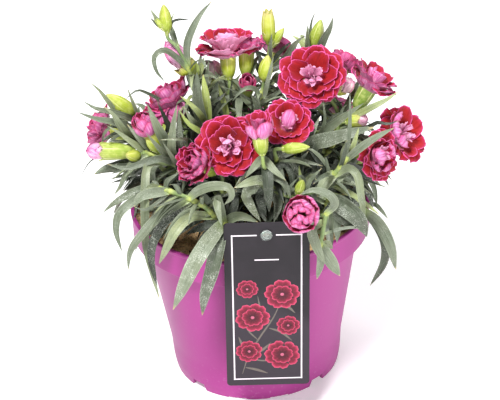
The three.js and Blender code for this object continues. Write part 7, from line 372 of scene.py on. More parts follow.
            (2.9, "gy", 0, [(53.8, -12.3, 162.2, -0.3, 0.1, 0.9), (61.3, -14.1, 164.7, -0.1, 0.1, 1), (69.1, -15.8, 164.1, 0.3, 0, 0.9), (76.9, -17.6, 159.1, 0.7, -0.1, 0.7), (84.7, -19.3, 148.5, 0.8, -0.1, 0.6)]),
            (4.4, "g", 0.07, [(55.3, -13.5, 169.5, -0.2, 0.5, 0.9), (58.7, -18.5, 172.9, -0.1, 0.4, 0.9), (62.1, -23.8, 174.4, 0.1, 0, 1), (65.2, -29.3, 173.1, 0.3, -0.3, 0.9), (68.1, -34.9, 168.2, 0.4, -0.5, 0.8)]),
            (4.6, "g", 0, [(57.9, -12.1, 169.7, -0.1, 0, 1), (63.4, -12.7, 170, 0.1, 0, 1), (69, -13.7, 168.1, 0.5, 0, 0.9), (74.7, -15.1, 163.4, 0.7, -0.1, 0.7), (80.3, -17.1, 155, 0.8, -0.2, 0.6)]),
            (4.2, "g", 0, [(56.5, 4.9, 181.9, 0.2, -0.5, 0.8), (52.6, 6.8, 183.8, 0.1, -0.5, 0.9), (48.8, 9.1, 185.2, 0, -0.4, 0.9), (45, 11.7, 185.7, -0.2, -0.3, 0.9), (41.4, 14.7, 185.2, -0.3, -0.2, 0.9)]),
            (2.7, "gy", 0.02, [(57.5, -6.9, 170.2, 0.1, 0.4, 0.9), (58.8, -2.4, 167.9, 0.1, 0.5, 0.8), (60.2, 2.2, 164.3, 0.1, 0.7, 0.7), (61.7, 6.8, 159, 0.2, 0.8, 0.6), (63.5, 11.4, 151.6, 0.2, 0.8, 0.5)]),
            (2.9, "g", 0, [(57.9, -12.1, 169.7, 0.9, 0, 0.5), (55.2, -12.1, 174.1, 0.8, 0, 0.5), (52.5, -11.9, 178, 0.8, 0, 0.6), (49.6, -11.4, 181, 0.6, -0.1, 0.8), (46.8, -10.5, 182.7, 0.5, -0.1, 0.9)]),
            (3.8, "g", 0.36, [(57.5, -9.4, 176, -0.7, 0.7, 0.2), (58.6, -9.9, 180.5, -0.7, 0.6, 0.3), (59.7, -10.1, 184.2, -0.8, 0.5, 0.4), (61, -10.2, 186.5, -0.7, 0.2, 0.6), (62.4, -10.1, 187.2, -0.4, 0.2, 0.9)]),
            (3.7, "g", 0, [(57.5, -9.4, 176, 0.3, 0, 0.9), (51.4, -6.2, 178.2, 0.2, 0, 1), (45.4, -2.3, 178.1, -0.1, 0.2, 1), (39.7, 2.4, 174.6, -0.4, 0.5, 0.8), (34.4, 8, 166.9, -0.4, 0.6, 0.7)]),
            (3.1, "d", 0.38, [(34, -8.8, 137.6, 0.2, -0.7, 0.7), (36.7, -1.8, 143.9, 0.2, -0.6, 0.8), (39.5, 5.3, 147.2, 0.2, -0.3, 0.9), (42.4, 12.5, 146.5, 0.5, 0.2, 0.9), (45.3, 19.7, 140.5, 0.6, 0.4, 0.7)]),
            (4.4, "g", 0.18, [(59.4, -12, 172.1, -0.2, 0.1, 1), (63.9, -13.1, 173.3, -0.2, 0.1, 1), (68.4, -14.4, 173.7, 0.1, 0.1, 1), (73, -16.2, 173.1, 0.3, 0, 1), (77.4, -18.5, 170.9, 0.4, -0.1, 0.9)]),
            (2.9, "g", 0.26, [(57.9, -12.1, 169.7, 0.1, 0.6, 0.8), (59.3, -18.1, 174.3, 0.1, 0.5, 0.8), (60.9, -24.3, 177.2, 0.1, 0.3, 0.9), (63, -30.4, 177.5, 0.3, -0.1, 1), (65.4, -36.5, 174.5, 0.4, -0.3, 0.9)]),
            (3.2, "gy", 0.23, [(56, -13.9, 172.5, 0.7, -0.3, 0.7), (51.5, -12, 177.7, 0.6, -0.3, 0.7), (46.7, -10.1, 182.5, 0.6, -0.2, 0.8), (41.8, -8.3, 186.4, 0.5, -0.2, 0.8), (36.9, -6.7, 189.1, 0.4, -0.2, 0.9)]),
            (4.9, "d", 0.1, [(24.1, -6.2, 127.3, 0.2, 0.5, 0.8), (26.8, -14.1, 131.7, 0.2, 0.5, 0.8), (28.9, -22.5, 135.6, 0.3, 0.4, 0.9), (30.1, -31.3, 138.5, 0.3, 0.3, 0.9), (30.3, -40.5, 140.1, 0.3, 0.2, 0.9)]),
            (5.4, "d", 0.41, [(30.6, -7.9, 134.1, 0, -0.5, 0.9), (35.6, -1.3, 137.8, 0.1, -0.4, 0.9), (40.6, 5.7, 139.4, 0.3, -0.2, 1), (45.3, 13, 138, 0.5, 0.1, 0.9), (49.7, 20.5, 132.7, 0.5, 0.2, 0.8)]),
            (3.8, "g", 0.01, [(57.9, -12.1, 169.7, -0.1, -0.3, 0.9), (62.6, -7.8, 171.6, 0, -0.2, 1), (67.5, -3.6, 171.8, 0.2, 0, 1), (72.7, 0.6, 169.7, 0.5, 0.2, 0.9), (78.1, 4.5, 164.7, 0.6, 0.2, 0.8)]),
            (5.2, "d", 0.38, [(24.1, -6.2, 127.3, -0.1, -0.2, 1), (31.6, -4.4, 128.5, 0.1, -0.2, 1), (39.3, -2.2, 127.1, 0.4, -0.1, 0.9), (46.9, 0.5, 122, 0.7, 0, 0.7), (54.3, 3.7, 112.1, 0.8, 0.1, 0.6)]),
            (3, "g", 0.39, [(58.8, 0.5, 173.9, -0.7, 0.2, 0.7), (63, 2.9, 177.2, -0.6, 0.2, 0.7), (67.6, 5.2, 180.4, -0.6, 0.3, 0.8), (72.4, 7, 183.2, -0.5, 0.3, 0.8), (77.6, 8.3, 185.5, -0.5, 0.4, 0.8)]),
            (3.6, "d", 0.06, [(53.9, -12.9, 164.7, 0.7, -0.6, 0.5), (51.1, -9.9, 172.7, 0.6, -0.6, 0.5), (48.7, -6.2, 178.7, 0.4, -0.6, 0.7), (47.1, -1.6, 182, 0.2, -0.2, 1), (46.4, 4, 181.5, 0.1, 0.1, 1)]),
            (3.6, "d", 0.01, [(40.6, -10.4, 144.5, 0.5, 0.6, 0.6), (40.4, -14, 148.4, 0.5, 0.6, 0.7), (40.1, -17.6, 150.6, 0.4, 0.2, 0.9), (39.7, -21.3, 150.6, 0.3, -0.4, 0.9), (39.2, -25, 147.6, 0.3, -0.6, 0.7)]),
            (4.4, "d", 0.04, [(51.8, -12.3, 158.8, 0.3, -0.6, 0.8), (51.9, -7.8, 162.2, 0.2, -0.5, 0.8), (52.3, -3.1, 163.9, 0.2, -0.2, 1), (53.4, 1.6, 163.4, 0.3, 0.3, 0.9), (55.3, 6.4, 160, 0.4, 0.4, 0.8)]),
            (4.5, "d", 0.21, [(58.8, 6, 178.6, 0.4, 0, 0.9), (53, 6.1, 181, 0.2, 0.1, 1), (47.1, 5.8, 181.2, -0.2, 0, 1), (41.1, 5.3, 178.2, -0.6, 0, 0.8), (35.1, 4.3, 171.2, -0.8, 0, 0.7)]),
            (2.9, "d", 0.74, [(16, -4, 116, 0.8, -0.4, 0.3), (14.9, -3.1, 120.5, 0.8, -0.4, 0.4), (13.7, -2.3, 123.1, 0.6, -0.3, 0.8), (12.3, -1.6, 122.9, -0.7, 0.4, 0.6), (10.9, -1.1, 119.2, -0.8, 0.4, 0.4)]),
            (4.3, "g", 0.23, [(56.5, 4.9, 181.9, 0, -0.2, 1), (52, 4.2, 181.6, -0.1, -0.2, 1), (47.3, 3.7, 181.1, -0.1, -0.2, 1), (42.5, 3.3, 180.4, -0.2, -0.3, 1), (37.7, 3.1, 179.3, -0.2, -0.3, 0.9)]),
            (3.4, "gy", 0.58, [(53.8, -12.3, 162.2, 0, 0.2, 1), (57, -15.2, 163, 0.1, 0.1, 1), (60.2, -18.3, 162.6, 0.3, -0.1, 0.9), (63.2, -21.7, 160.5, 0.5, -0.3, 0.8), (66, -25.4, 156.1, 0.6, -0.4, 0.7)]),
            (4.2, "gy", 0.24, [(46.3, -11.6, 150.8, -0.2, -0.2, 1), (55.2, -9.5, 152.8, -0.1, -0.1, 1), (64.5, -7.6, 152.6, 0.2, -0.1, 1), (74.1, -6, 149.3, 0.5, 0, 0.9), (83.6, -4.9, 142.1, 0.6, 0, 0.8)]),
            (4, "g", 0.04, [(53.8, -12.3, 162.2, -0.3, 0, 1), (60.2, -12.5, 164, -0.1, 0, 1), (66.7, -12.8, 163.9, 0.2, 0, 1), (73.4, -13.5, 161.1, 0.6, 0, 0.8), (80, -14.5, 154.9, 0.7, -0.1, 0.7)]),
            (3.1, "d", 0.27, [(34, -8.8, 137.6, 0.2, 0.1, 1), (39, -15.1, 137.2, 0.2, 0, 1), (44.7, -21.1, 135, 0.4, -0.1, 0.9), (51.2, -26.8, 130.5, 0.5, -0.2, 0.8), (58.6, -31.7, 123, 0.6, -0.3, 0.8)]),
            (3.6, "g", 0, [(57.9, -12.1, 169.7, -0.2, 0, 1), (64.2, -11.4, 171.1, -0.1, 0, 1), (70.7, -10.7, 171, 0.2, 0, 1), (77.3, -10.1, 168.7, 0.5, 0, 0.9), (83.8, -9.4, 163.6, 0.6, 0, 0.8)]),
            (4.1, "d", 0.54, [(40.6, -10.4, 144.5, 0, 0.4, 0.9), (46.6, -18.6, 148.5, 0.1, 0.3, 1), (53.3, -26.6, 148.4, 0.3, -0.1, 0.9), (60.8, -34.2, 142.7, 0.6, -0.3, 0.7), (69.2, -41.2, 129.8, 0.7, -0.4, 0.6)]),
            (3.9, "g", 0.03, [(56, -13.9, 172.5, -0.4, 0.1, 0.9), (62.1, -16.1, 175.3, -0.3, 0.1, 1), (68.3, -18.4, 176.6, -0.1, 0, 1), (74.6, -20.7, 176, 0.3, -0.1, 1), (80.8, -23.1, 172.8, 0.4, -0.2, 0.9)]),
        ],
        "calyxes": [(5.4, (67.5, -10.1, 183.8), (75.8, -6.3, 195.7)), (4.2, (55.2, 4.1, 192.7), (61.5, 11.6, 201.4))],
        "buds": [],
    },
    "shoot_07": {
        "stems": [
            (1.7, 1.3, [(20, 3, 109.3), (20, 3, 116), (54, -6, 135.6), (75, -4, 147), (78.1, -0.2, 150), (83.2, -4.1, 154.7)]),
        ],
        "leaves": [
            (3.1, "d", 0.3, [(75.9, -3.3, 147.7, -0.47, -0.52, 0.71), (77.5, -5, 147.4, 0.24, -0.8, 0.55), (84.8, 0, 148.5, 0.61, -0.68, 0.41), (90.7, 4, 142.3, 0.61, -0.79, 0.07)]),
            (5, "d", 0.3, [(73.7, -4.5, 146.1, -0.28, -0.79, 0.54), (74.9, -5, 146.1, -0.02, -0.82, 0.57), (70.6, 2, 155.3, 0.02, -0.88, 0.48), (65.8, 4, 163.1, 0.12, -0.94, 0.32)]),
            (3.1, "g", 0.3, [(66, -6, 141.9, 0.8, -0.53, -0.27), (66.8, -4, 140.3, 0.64, -0.77, 0), (77.9, 4, 127.8, 0.51, -0.81, 0.29), (90.7, 6, 126, 0.2, -0.85, 0.49)]),
            (3.1, "d", 0.3, [(70.3, -5.4, 144.2, -0.32, -0.8, -0.51), (69.9, -4, 142.2, 0.18, -0.89, 0.41), (78.5, -6, 139.3, 0.06, -0.87, 0.49), (87.3, -6, 136.6, 0.14, -0.87, 0.47)]),
        ],
        "more": [
            (3.6, "g", 0.41, [(62.1, -6.2, 139.9, 0.3, 0.3, 0.9), (66.1, -13, 140.8, 0.4, 0.2, 0.9), (70.5, -19.8, 139.1, 0.5, -0.1, 0.8), (75.1, -26.5, 133.8, 0.7, -0.3, 0.7), (80.1, -33.1, 123.9, 0.8, -0.3, 0.6)]),
            (5.3, "d", 0.19, [(28.2, 0.4, 122.7, 0.3, 0.4, 0.9), (31.1, -7.4, 125.5, 0.3, 0.4, 0.9), (34.5, -15.3, 128.1, 0.3, 0.4, 0.9), (38.2, -23.3, 130.3, 0.2, 0.3, 0.9), (42.3, -31, 132, 0.2, 0.3, 0.9)]),
            (3.1, "d", 0.25, [(34.6, -1.6, 126.1, 0, -1, 0.3), (38.4, 0.1, 133, -0.2, -0.9, 0.4), (42.4, 1.8, 137.9, -0.3, -0.7, 0.7), (46.4, 3.5, 139.9, 0.1, -0.3, 1), (50.4, 5.2, 138.1, 0.4, -0.1, 0.9)]),
            (4.4, "g", 0.19, [(67.9, -5.8, 142.9, 0.1, -0.4, 0.9), (71.6, -0.8, 144.9, 0.2, -0.4, 0.9), (75.4, 4.4, 146.4, 0.2, -0.4, 0.9), (79, 9.8, 147.5, 0.2, -0.3, 0.9), (82.5, 15.3, 147.8, 0.3, -0.2, 0.9)]),
            (4, "g", 0.4, [(71.3, -5.2, 144.7, 0.6, -0.6, 0.6), (71.5, 3.2, 152, 0.5, -0.5, 0.7), (71.5, 11.9, 157.1, 0.5, -0.3, 0.8), (71.4, 20.6, 159, 0.4, 0, 0.9), (71.1, 29.4, 156.7, 0.4, 0.2, 0.9)]),
            (4.5, "d", 0.27, [(41.5, -3.5, 129.5, 0.6, 0.7, 0.4), (42.9, -9.2, 136.9, 0.6, 0.6, 0.5), (43.4, -15.3, 141.5, 0.5, 0.3, 0.8), (42.9, -21.7, 141.9, 0.4, -0.4, 0.8), (41.2, -28.5, 137, 0.4, -0.6, 0.7)]),
            (5.6, "d", 0.17, [(58, -6.2, 137.8, 0.7, -0.7, -0.2), (61.4, -5.3, 147.2, 0.9, -0.1, -0.4), (65, -4.4, 153.7, -0.6, -0.5, 0.6), (68.7, -3.7, 155.9, 0.2, 0, 1), (72.4, -3.2, 152.4, 0.7, 0, 0.7)]),
            (4.1, "d", 0.63, [(38, -2.6, 127.8, 0, -0.6, 0.8), (44, 2, 130.9, 0, -0.5, 0.8), (50.2, 6.6, 133.4, 0.1, -0.5, 0.9), (56.6, 11.2, 135.1, 0.1, -0.4, 0.9), (63, 15.7, 135.8, 0.2, -0.4, 0.9)]),
            (5.2, "d", 0.07, [(45, -4.4, 131.1, 0.1, -0.2, 1), (53, -1.8, 130.6, 0.2, -0.2, 1), (61.3, 0.9, 129, 0.3, -0.1, 0.9), (69.7, 3.7, 126, 0.5, -0.1, 0.9), (78, 6.5, 121.1, 0.5, -0.1, 0.8)]),
            (3.8, "d", 0.54, [(45, -4.4, 131.1, 0.1, -0.9, 0.4), (48.5, -1.5, 137.5, 0, -0.9, 0.4), (52.4, 1.1, 143.2, -0.1, -0.8, 0.5), (56.8, 3.4, 147.8, -0.3, -0.7, 0.7), (61.6, 5.1, 150.9, -0.3, -0.5, 0.8)]),
            (4.1, "d", 0.53, [(38, -2.6, 127.8, 0.1, -0.7, 0.7), (43.4, 3, 132.8, 0.1, -0.7, 0.7), (49.2, 8.3, 136.8, 0, -0.6, 0.8), (55.6, 13.2, 139.4, 0.1, -0.4, 0.9), (62.6, 17.6, 140.1, 0.1, -0.4, 0.9)]),
            (5.6, "g", 0.06, [(64.1, -6.1, 140.9, 0.5, 0.9, 0), (67.9, -7.6, 150.5, 0.1, 1, 0.2), (71.5, -9.8, 156.2, -0.1, 0.7, 0.7), (74.9, -13.1, 156.4, 0.6, -0.1, 0.8), (78, -17.4, 149.6, 0.8, -0.3, 0.5)]),
            (3.7, "g", 0, [(71.3, -5.2, 144.7, 0.2, 0.4, 0.9), (75.2, -10.1, 145.8, 0.3, 0.3, 0.9), (79.4, -15, 145.7, 0.4, 0.2, 0.9), (84, -19.7, 143.8, 0.5, 0, 0.8), (88.8, -24.2, 139.7, 0.6, -0.1, 0.8)]),
            (5, "d", 0.37, [(41.5, -3.5, 129.5, 0, -0.3, 1), (49.2, -0.8, 130.3, 0.1, -0.3, 1), (57.3, 1.8, 129.5, 0.3, -0.2, 0.9), (65.5, 4, 126.5, 0.5, -0.1, 0.9), (73.9, 5.8, 120.6, 0.6, -0.1, 0.8)]),
        ],
        "calyxes": [(4.6, (82.6, -3.6, 154.1), (92.1, -10.9, 163.1))],
        "buds": [],
    },
    "shoot_08": {
        "stems": [
            (1.7, 1.3, [(15, -11, 109.3), (15, -11, 116), (42.3, -28, 139.6), (53.3, -34, 152.3), (60, -20.2, 159.7), (65.7, -25.3, 161.8)]),
        ],
        "leaves": [
            (5, "d", 0.3, [(54.5, -34, 153, -0.04, -0.85, 0.52), (61.7, -36, 150.2, 0.25, -0.9, 0.36), (69, -34, 143, 0.42, -0.89, 0.18)]),
            (4.3, "d", 0.3, [(49.5, -33.3, 147.7, 0.09, -0.41, -0.91), (49.6, -32, 147.2, 0.23, -0.97, 0.03), (44.9, -34, 159.1, 0.24, -0.96, 0.14), (37.3, -32, 168.9, 0.16, -0.94, 0.32)]),
            (3.7, "d", 0.3, [(54.8, -32.1, 154.2, -0.8, -0.6, -0.02), (57, -35, 156.9, -0.38, -0.73, 0.57), (68.8, -40, 153.5, 0.04, -0.87, 0.48), (79.7, -40, 145.8, 0.25, -0.9, 0.35)]),
            (5, "d", 0.3, [(54.8, -32.1, 154.2, -0.71, -0.7, 0.01), (58.8, -36, 158.8, 0.21, -0.85, 0.48), (68.2, -30, 152, 0.57, -0.81, 0.14), (77, -26, 142.2, 0.49, -0.87, 0.09)]),
        ],
        "more": [
            (3.7, "gy", 0.1, [(57.2, -25.2, 157.3, -0.5, 0.8, -0.2), (58.6, -23.1, 162.5, -0.8, 0.6, 0), (60.1, -21.2, 166.4, -0.9, 0, 0.5), (62, -19.4, 168.5, -0.4, 0.1, 0.9), (64.2, -17.8, 168, 0, 0.3, 0.9)]),
            (5.7, "gy", 0.49, [(47.5, -31.8, 145.3, 0, 0.1, 1), (54.5, -40.8, 145.9, 0.1, 0.1, 1), (61.8, -49.9, 145.8, 0.1, 0, 1), (69.4, -59.1, 144.6, 0.2, -0.1, 1), (77.2, -68, 142.1, 0.2, -0.1, 1)]),
            (4.8, "d", 0.06, [(57.2, -25.2, 157.3, 0.3, 0.3, 0.9), (52.4, -17.3, 156, 0.2, 0.3, 0.9), (48.4, -8.6, 154.2, 0.2, 0.3, 0.9), (45.5, 1, 151.7, 0.2, 0.3, 0.9), (44, 11.5, 148.3, 0.2, 0.3, 0.9)]),
            (5, "g", 0, [(51.8, -34.2, 150.5, 0, -0.2, 1), (56.8, -30.6, 151.2, 0, -0.2, 1), (62.1, -27.1, 151.5, 0.1, -0.1, 1), (67.8, -23.8, 151.5, 0.1, -0.1, 1), (73.7, -21, 151, 0.1, -0.1, 1)]),
            (5, "g", 0.73, [(49.3, -33.2, 147.5, -0.1, 0, 1), (55.3, -35.4, 147.8, 0, 0, 1), (61.4, -38.2, 147.6, 0.1, -0.1, 1), (67.3, -41.8, 146.6, 0.2, -0.1, 1), (73, -46.2, 144.8, 0.2, -0.1, 1)]),
            (3.1, "d", 0, [(49.3, -33.2, 147.5, 0, 0.4, 0.9), (52, -37.9, 149.4, 0, 0.3, 0.9), (54.7, -42.7, 150.8, 0.1, 0.2, 1), (57.3, -47.7, 151.5, 0.1, 0.1, 1), (59.8, -52.8, 151.3, 0.2, 0, 1)]),
            (4.5, "d", 0.14, [(51.8, -34.2, 150.5, 0.9, 0.1, 0.4), (50.2, -34.7, 154.5, 0.9, 0.1, 0.4), (48.7, -35.2, 157.7, 0.8, 0.1, 0.5), (47.1, -35.7, 159.7, 0.6, 0.1, 0.8), (45.6, -36.3, 160.2, 0.3, 0, 1)]),
            (4.9, "d", 0.39, [(38, -25.5, 135.9, 0.9, -0.4, -0.2), (39.4, -26.5, 142.9, 1, -0.1, -0.2), (40.5, -28, 148.6, 0.7, 0.7, 0.1), (41.4, -30, 152.2, 0.3, 0.7, 0.6), (41.9, -32.7, 153.1, 0.3, 0.3, 0.9)]),
            (3.8, "d", 0.06, [(38, -25.5, 135.9, 0, -1, 0.2), (41.7, -23.3, 144.8, -0.1, -1, 0.3), (45.4, -20.9, 151.7, -0.1, -0.9, 0.5), (49, -18.2, 155.7, 0, -0.6, 0.8), (52.4, -15.1, 155.8, 0.2, -0.3, 0.9)]),
            (3.8, "d", 0.33, [(15, -11, 116, 0.2, 0.4, 0.9), (15.9, -16.5, 118.3, 0.2, 0.3, 0.9), (16.9, -22.2, 119.2, 0.2, 0, 1), (18, -27.9, 118.4, 0.2, -0.3, 0.9), (19.1, -33.6, 115.1, 0.3, -0.4, 0.9)]),
            (4.3, "d", 0.36, [(38, -25.5, 135.9, 0.3, -0.2, 0.9), (41.9, -29.2, 134.1, 0.3, -0.2, 0.9), (45.8, -33.2, 132.1, 0.3, -0.2, 0.9), (49.4, -37.5, 129.8, 0.3, -0.2, 0.9), (52.8, -42, 127.2, 0.4, -0.2, 0.9)]),
            (4.2, "d", 0.08, [(35.5, -23.9, 133.9, 0.3, -0.9, 0.3), (37.6, -19.2, 144.1, 0.3, -0.9, 0.3), (40.7, -14.8, 154.1, 0.1, -0.9, 0.3), (45, -10.6, 163.9, 0, -0.9, 0.4), (50.6, -7, 173, -0.1, -0.9, 0.4)]),
            (5.3, "d", 0.07, [(40.3, -26.8, 137.8, 1, -0.2, -0.1), (41.2, -28.1, 146.2, 1, -0.2, -0.1), (42.1, -29.5, 154.5, 1, -0.1, -0.1), (43, -30.8, 162.3, 1, -0.1, -0.1), (43.9, -32.2, 169.3, 1, 0, -0.1)]),
            (4.1, "d", 0.03, [(57.2, -25.2, 157.3, 0.6, 0, 0.8), (54.3, -20.4, 159.8, 0.5, 0, 0.9), (51.3, -15.5, 160, 0.2, 0.4, 0.9), (48.4, -10.5, 157, 0, 0.7, 0.7), (45.6, -5.3, 149.7, 0, 0.8, 0.6)]),
        ],
        "calyxes": [(4.8, (65, -24.7, 161.6), (75.8, -34.3, 165.5))],
        "buds": [],
    },
    "shoot_09": {
        "stems": [
            (1.7, 1.3, [(8, -13, 109.3), (8, -13, 116), (16.9, -28, 155.2), (23.2, -13.5, 166.8), (23.8, -18.5, 173.1)]),
            (1.7, 1.3, [(15.9, -28.2, 152.2), (11.1, -53, 169.7), (9.1, -62.6, 176.7), (8.5, -60.8, 184.5)]),
            (1.5, 1.2, [(15.9, -28.2, 152.2), (16.9, -46, 172.3), (16.4, -48.8, 179.7), (22, -50.2, 180.6)]),
        ],
        "leaves": [
            (4.7, "g", 0.3, [(10.4, -56.6, 171.9, 0.02, -0.89, 0.45), (9, -54, 177.3, 0.52, -0.76, 0.38), (3.3, -60, 174.8, 0.11, -0.79, 0.6), (-2.3, -62, 168.7, -0.11, -0.91, 0.4)]),
            (4.7, "g", 0.3, [(10.4, -56.6, 171.9, 0, -0.87, 0.5), (9.6, -54, 176.5, -0.77, -0.43, 0.47), (14.6, -62, 173.9, -0.21, -0.7, 0.68), (21.9, -66, 167.9, -0.03, -0.85, 0.53)]),
            (5, "g", 1, [(16.6, -40, 164.9, 0.04, -0.83, 0.56), (18.8, -38, 167.7, 0.05, -0.84, 0.53), (31.9, -34, 173.1, -0.03, -0.87, 0.49), (38.8, -32, 179.9, -0.08, -0.91, 0.41), (44.7, -28, 189.1, -0.05, -0.9, 0.43)]),
            (3.7, "d", 0.3, [(13.6, -44, 163.1, 0.74, -0.5, 0.45), (8, -50, 165.4, 0.2, -0.75, 0.63), (2.2, -52, 157.2, -0.14, -0.94, 0.32)]),
            (2.5, "g", 0.3, [(16.9, -46, 172.3, 0.32, -0.58, 0.75), (20.1, -42, 174.1, -0.15, -0.72, 0.68), (13.5, -42, 175.8, 0.22, -0.85, 0.48), (8.6, -44, 175.8, 0.32, -0.78, 0.54)]),
        ],
        "more": [
            (3.9, "d", 0, [(13.5, -41.6, 162.5, -0.1, -0.2, 1), (14.6, -46.8, 161.7, -0.1, -0.3, 1), (16.1, -52.2, 159.7, 0, -0.5, 0.9), (18, -57.5, 156.1, 0, -0.7, 0.8), (20.3, -62.8, 150.4, 0.1, -0.7, 0.7)]),
            (4, "d", 0.41, [(14.3, -26.8, 146.6, 0.7, 0.4, 0.6), (11.5, -30, 151.6, 0.6, 0.4, 0.7), (8.5, -33.2, 155.4, 0.5, 0.2, 0.8), (5.3, -36.3, 157.4, 0.2, 0, 1), (1.9, -39.2, 156.9, 0, -0.2, 1)]),
            (5.1, "d", 0.28, [(14.3, -26.8, 146.6, -0.3, -0.4, 0.9), (23.1, -22.6, 151.8, -0.2, -0.3, 0.9), (32.2, -18.4, 152.7, 0.2, -0.1, 1), (41.6, -14.3, 147.6, 0.7, 0.1, 0.7), (51, -10.5, 134.7, 0.8, 0.1, 0.6)]),
            (4.6, "d", 0.01, [(14.5, -35.8, 158.1, 0, -0.2, 1), (11.3, -41, 157.1, 0, -0.2, 1), (7.7, -46.1, 155.9, 0, -0.3, 1), (3.7, -51.1, 154.2, 0, -0.3, 0.9), (-0.8, -55.8, 152, -0.1, -0.4, 0.9)]),
            (4.7, "d", 0.16, [(17.4, -27.4, 156.6, 0.1, -0.2, 1), (18.3, -20, 158, 0.1, -0.1, 1), (19.5, -12.4, 157.5, 0.1, 0.2, 1), (21, -4.8, 154.2, 0.2, 0.5, 0.8), (22.9, 2.8, 147.3, 0.2, 0.6, 0.7)]),
            (3.6, "d", 0.48, [(8, -13, 116, 0.3, 0.4, 0.9), (6, -18.1, 119.3, 0.3, 0.4, 0.9), (3.6, -23.3, 121.6, 0.2, 0.2, 1), (1, -28.5, 122.4, 0.1, -0.1, 1), (-2, -33.5, 121.4, 0, -0.2, 1)]),
            (4.7, "d", 0.04, [(16.5, -38.1, 162.8, 0.5, 0.2, 0.9), (11.2, -44.5, 167.1, 0.4, 0.1, 0.9), (5.6, -51, 169.6, 0.3, -0.1, 1), (-0.3, -57.4, 169.6, 0, -0.3, 1), (-6.3, -63.7, 166.2, -0.1, -0.4, 0.9)]),
            (3.2, "d", 0, [(16.8, -42.7, 167.9, -0.1, 0, 1), (18.1, -47.7, 167.7, 0, -0.2, 1), (19.4, -52.9, 165.9, 0.1, -0.5, 0.9), (20.3, -58.2, 161.8, 0.1, -0.7, 0.7), (21, -63.5, 154.9, 0.1, -0.8, 0.6)]),
            (4.8, "d", 0.34, [(14.3, -26.8, 146.6, -0.6, -0.5, 0.7), (20, -24.9, 153.1, -0.6, -0.5, 0.7), (25.6, -22.5, 159, -0.5, -0.5, 0.7), (31.3, -19.7, 163.9, -0.4, -0.4, 0.8), (36.7, -16.3, 167.5, -0.3, -0.4, 0.9)]),
            (3, "g", 0, [(12.1, -48.5, 168.1, 0.3, -0.2, 0.9), (6.8, -50.6, 169, 0.2, -0.3, 1), (1.4, -53.1, 168.6, -0.1, -0.3, 0.9), (-3.8, -56.2, 166.3, -0.3, -0.5, 0.8), (-8.8, -60, 161.5, -0.3, -0.6, 0.8)]),
            (5.1, "d", 0.18, [(19.8, -22, 161, 0, 0.2, 1), (25.2, -15.1, 159.6, 0.1, 0.3, 0.9), (30.6, -7.8, 155.5, 0.2, 0.5, 0.8), (35.6, -0.2, 147.9, 0.3, 0.7, 0.7), (40.3, 7.7, 135.8, 0.3, 0.7, 0.6)]),
            (4.8, "d", 0.04, [(15.2, -27.8, 149.9, 0.7, -0.4, 0.5), (10.4, -25, 158.9, 0.8, -0.4, 0.5), (5.1, -22.7, 167.5, 0.8, -0.3, 0.6), (-0.7, -21.1, 175.4, 0.7, -0.2, 0.6), (-7.2, -20.4, 182.3, 0.7, -0.1, 0.7)]),
            (3.9, "d", 0, [(8, -13, 116, 0.4, 0.5, 0.7), (4.7, -19.4, 122.3, 0.4, 0.5, 0.8), (1.8, -26.3, 127.7, 0.3, 0.5, 0.8), (-0.6, -33.7, 131.8, 0.2, 0.3, 0.9), (-2.1, -41.4, 134.1, 0.1, 0.3, 1)]),
            (3.5, "g", 0, [(16.8, -42.7, 167.9, -0.4, 0.1, 0.9), (22.5, -49.3, 171.6, -0.4, 0.2, 0.9), (27.9, -56.5, 175, -0.3, 0.2, 0.9), (32.9, -64.3, 177.8, -0.3, 0.1, 1), (37.1, -72.6, 179.8, -0.2, 0.1, 1)]),
            (4.2, "d", 0.22, [(16.2, -33, 157.5, 0.7, -0.1, 0.7), (10.3, -35.6, 162.5, 0.6, -0.2, 0.8), (4.1, -37.9, 166.5, 0.5, -0.2, 0.8), (-2.4, -39.9, 169, 0.3, -0.3, 0.9), (-9.1, -41.4, 169.4, 0.1, -0.3, 0.9)]),
            (3.1, "d", 0.25, [(18.6, -25.1, 159, -0.7, 0.6, 0.2), (20.5, -24.3, 163.1, -0.8, 0.6, 0.3), (22.6, -23.7, 165.9, -0.6, 0.4, 0.7), (24.9, -23.5, 166.9, 0.1, 0.4, 0.9), (27.5, -23.8, 165.4, 0.5, 0.4, 0.8)]),
            (3.4, "d", 0.24, [(18.6, -25.1, 159, -0.4, 0.4, 0.8), (24.9, -24.7, 162.3, -0.4, 0.4, 0.8), (31.4, -24.9, 165, -0.3, 0.5, 0.9), (38.1, -25.9, 166.9, -0.1, 0.4, 0.9), (44.8, -27.9, 167.7, 0, 0.4, 0.9)]),
            (3.1, "d", 0.4, [(8, -13, 116, -0.2, -0.7, 0.7), (10.4, -8.4, 121.7, -0.2, -0.7, 0.7), (12.3, -3.4, 126.6, -0.1, -0.6, 0.8), (13.5, 2.2, 130.3, 0, -0.4, 0.9), (13.8, 8.4, 132.3, 0, -0.3, 1)]),
            (3.5, "d", 0.17, [(12.8, -45.2, 165.4, 0, -1, -0.2), (12.4, -46.1, 169.9, 0.2, -1, -0.2), (12, -47, 172.8, 0.9, 0.3, 0.4), (11.5, -47.8, 173.3, -0.3, -0.6, 0.7), (10.8, -48.7, 170.9, -0.4, -0.9, 0.4)]),
            (3.5, "d", 0.18, [(8.8, -14.8, 121.3, -0.5, -0.6, 0.6), (12.5, -12.5, 126.5, -0.4, -0.6, 0.7), (16.2, -9.9, 129.4, -0.1, -0.3, 0.9), (19.7, -7.1, 129, 0.5, 0.1, 0.8), (23.2, -3.9, 124.2, 0.7, 0.3, 0.7)]),
        ],
        "calyxes": [(4.6, (23.7, -17.9, 172.3), (24.8, -26.6, 183.2)), (4.5, (8.6, -61.1, 183.5), (7.8, -58.7, 193.7))],
        "buds": [(3.4, (21.2, -50, 180.5), (37.2, -54, 183.2), "green")],
    },
    "shoot_10": {
        "stems": [
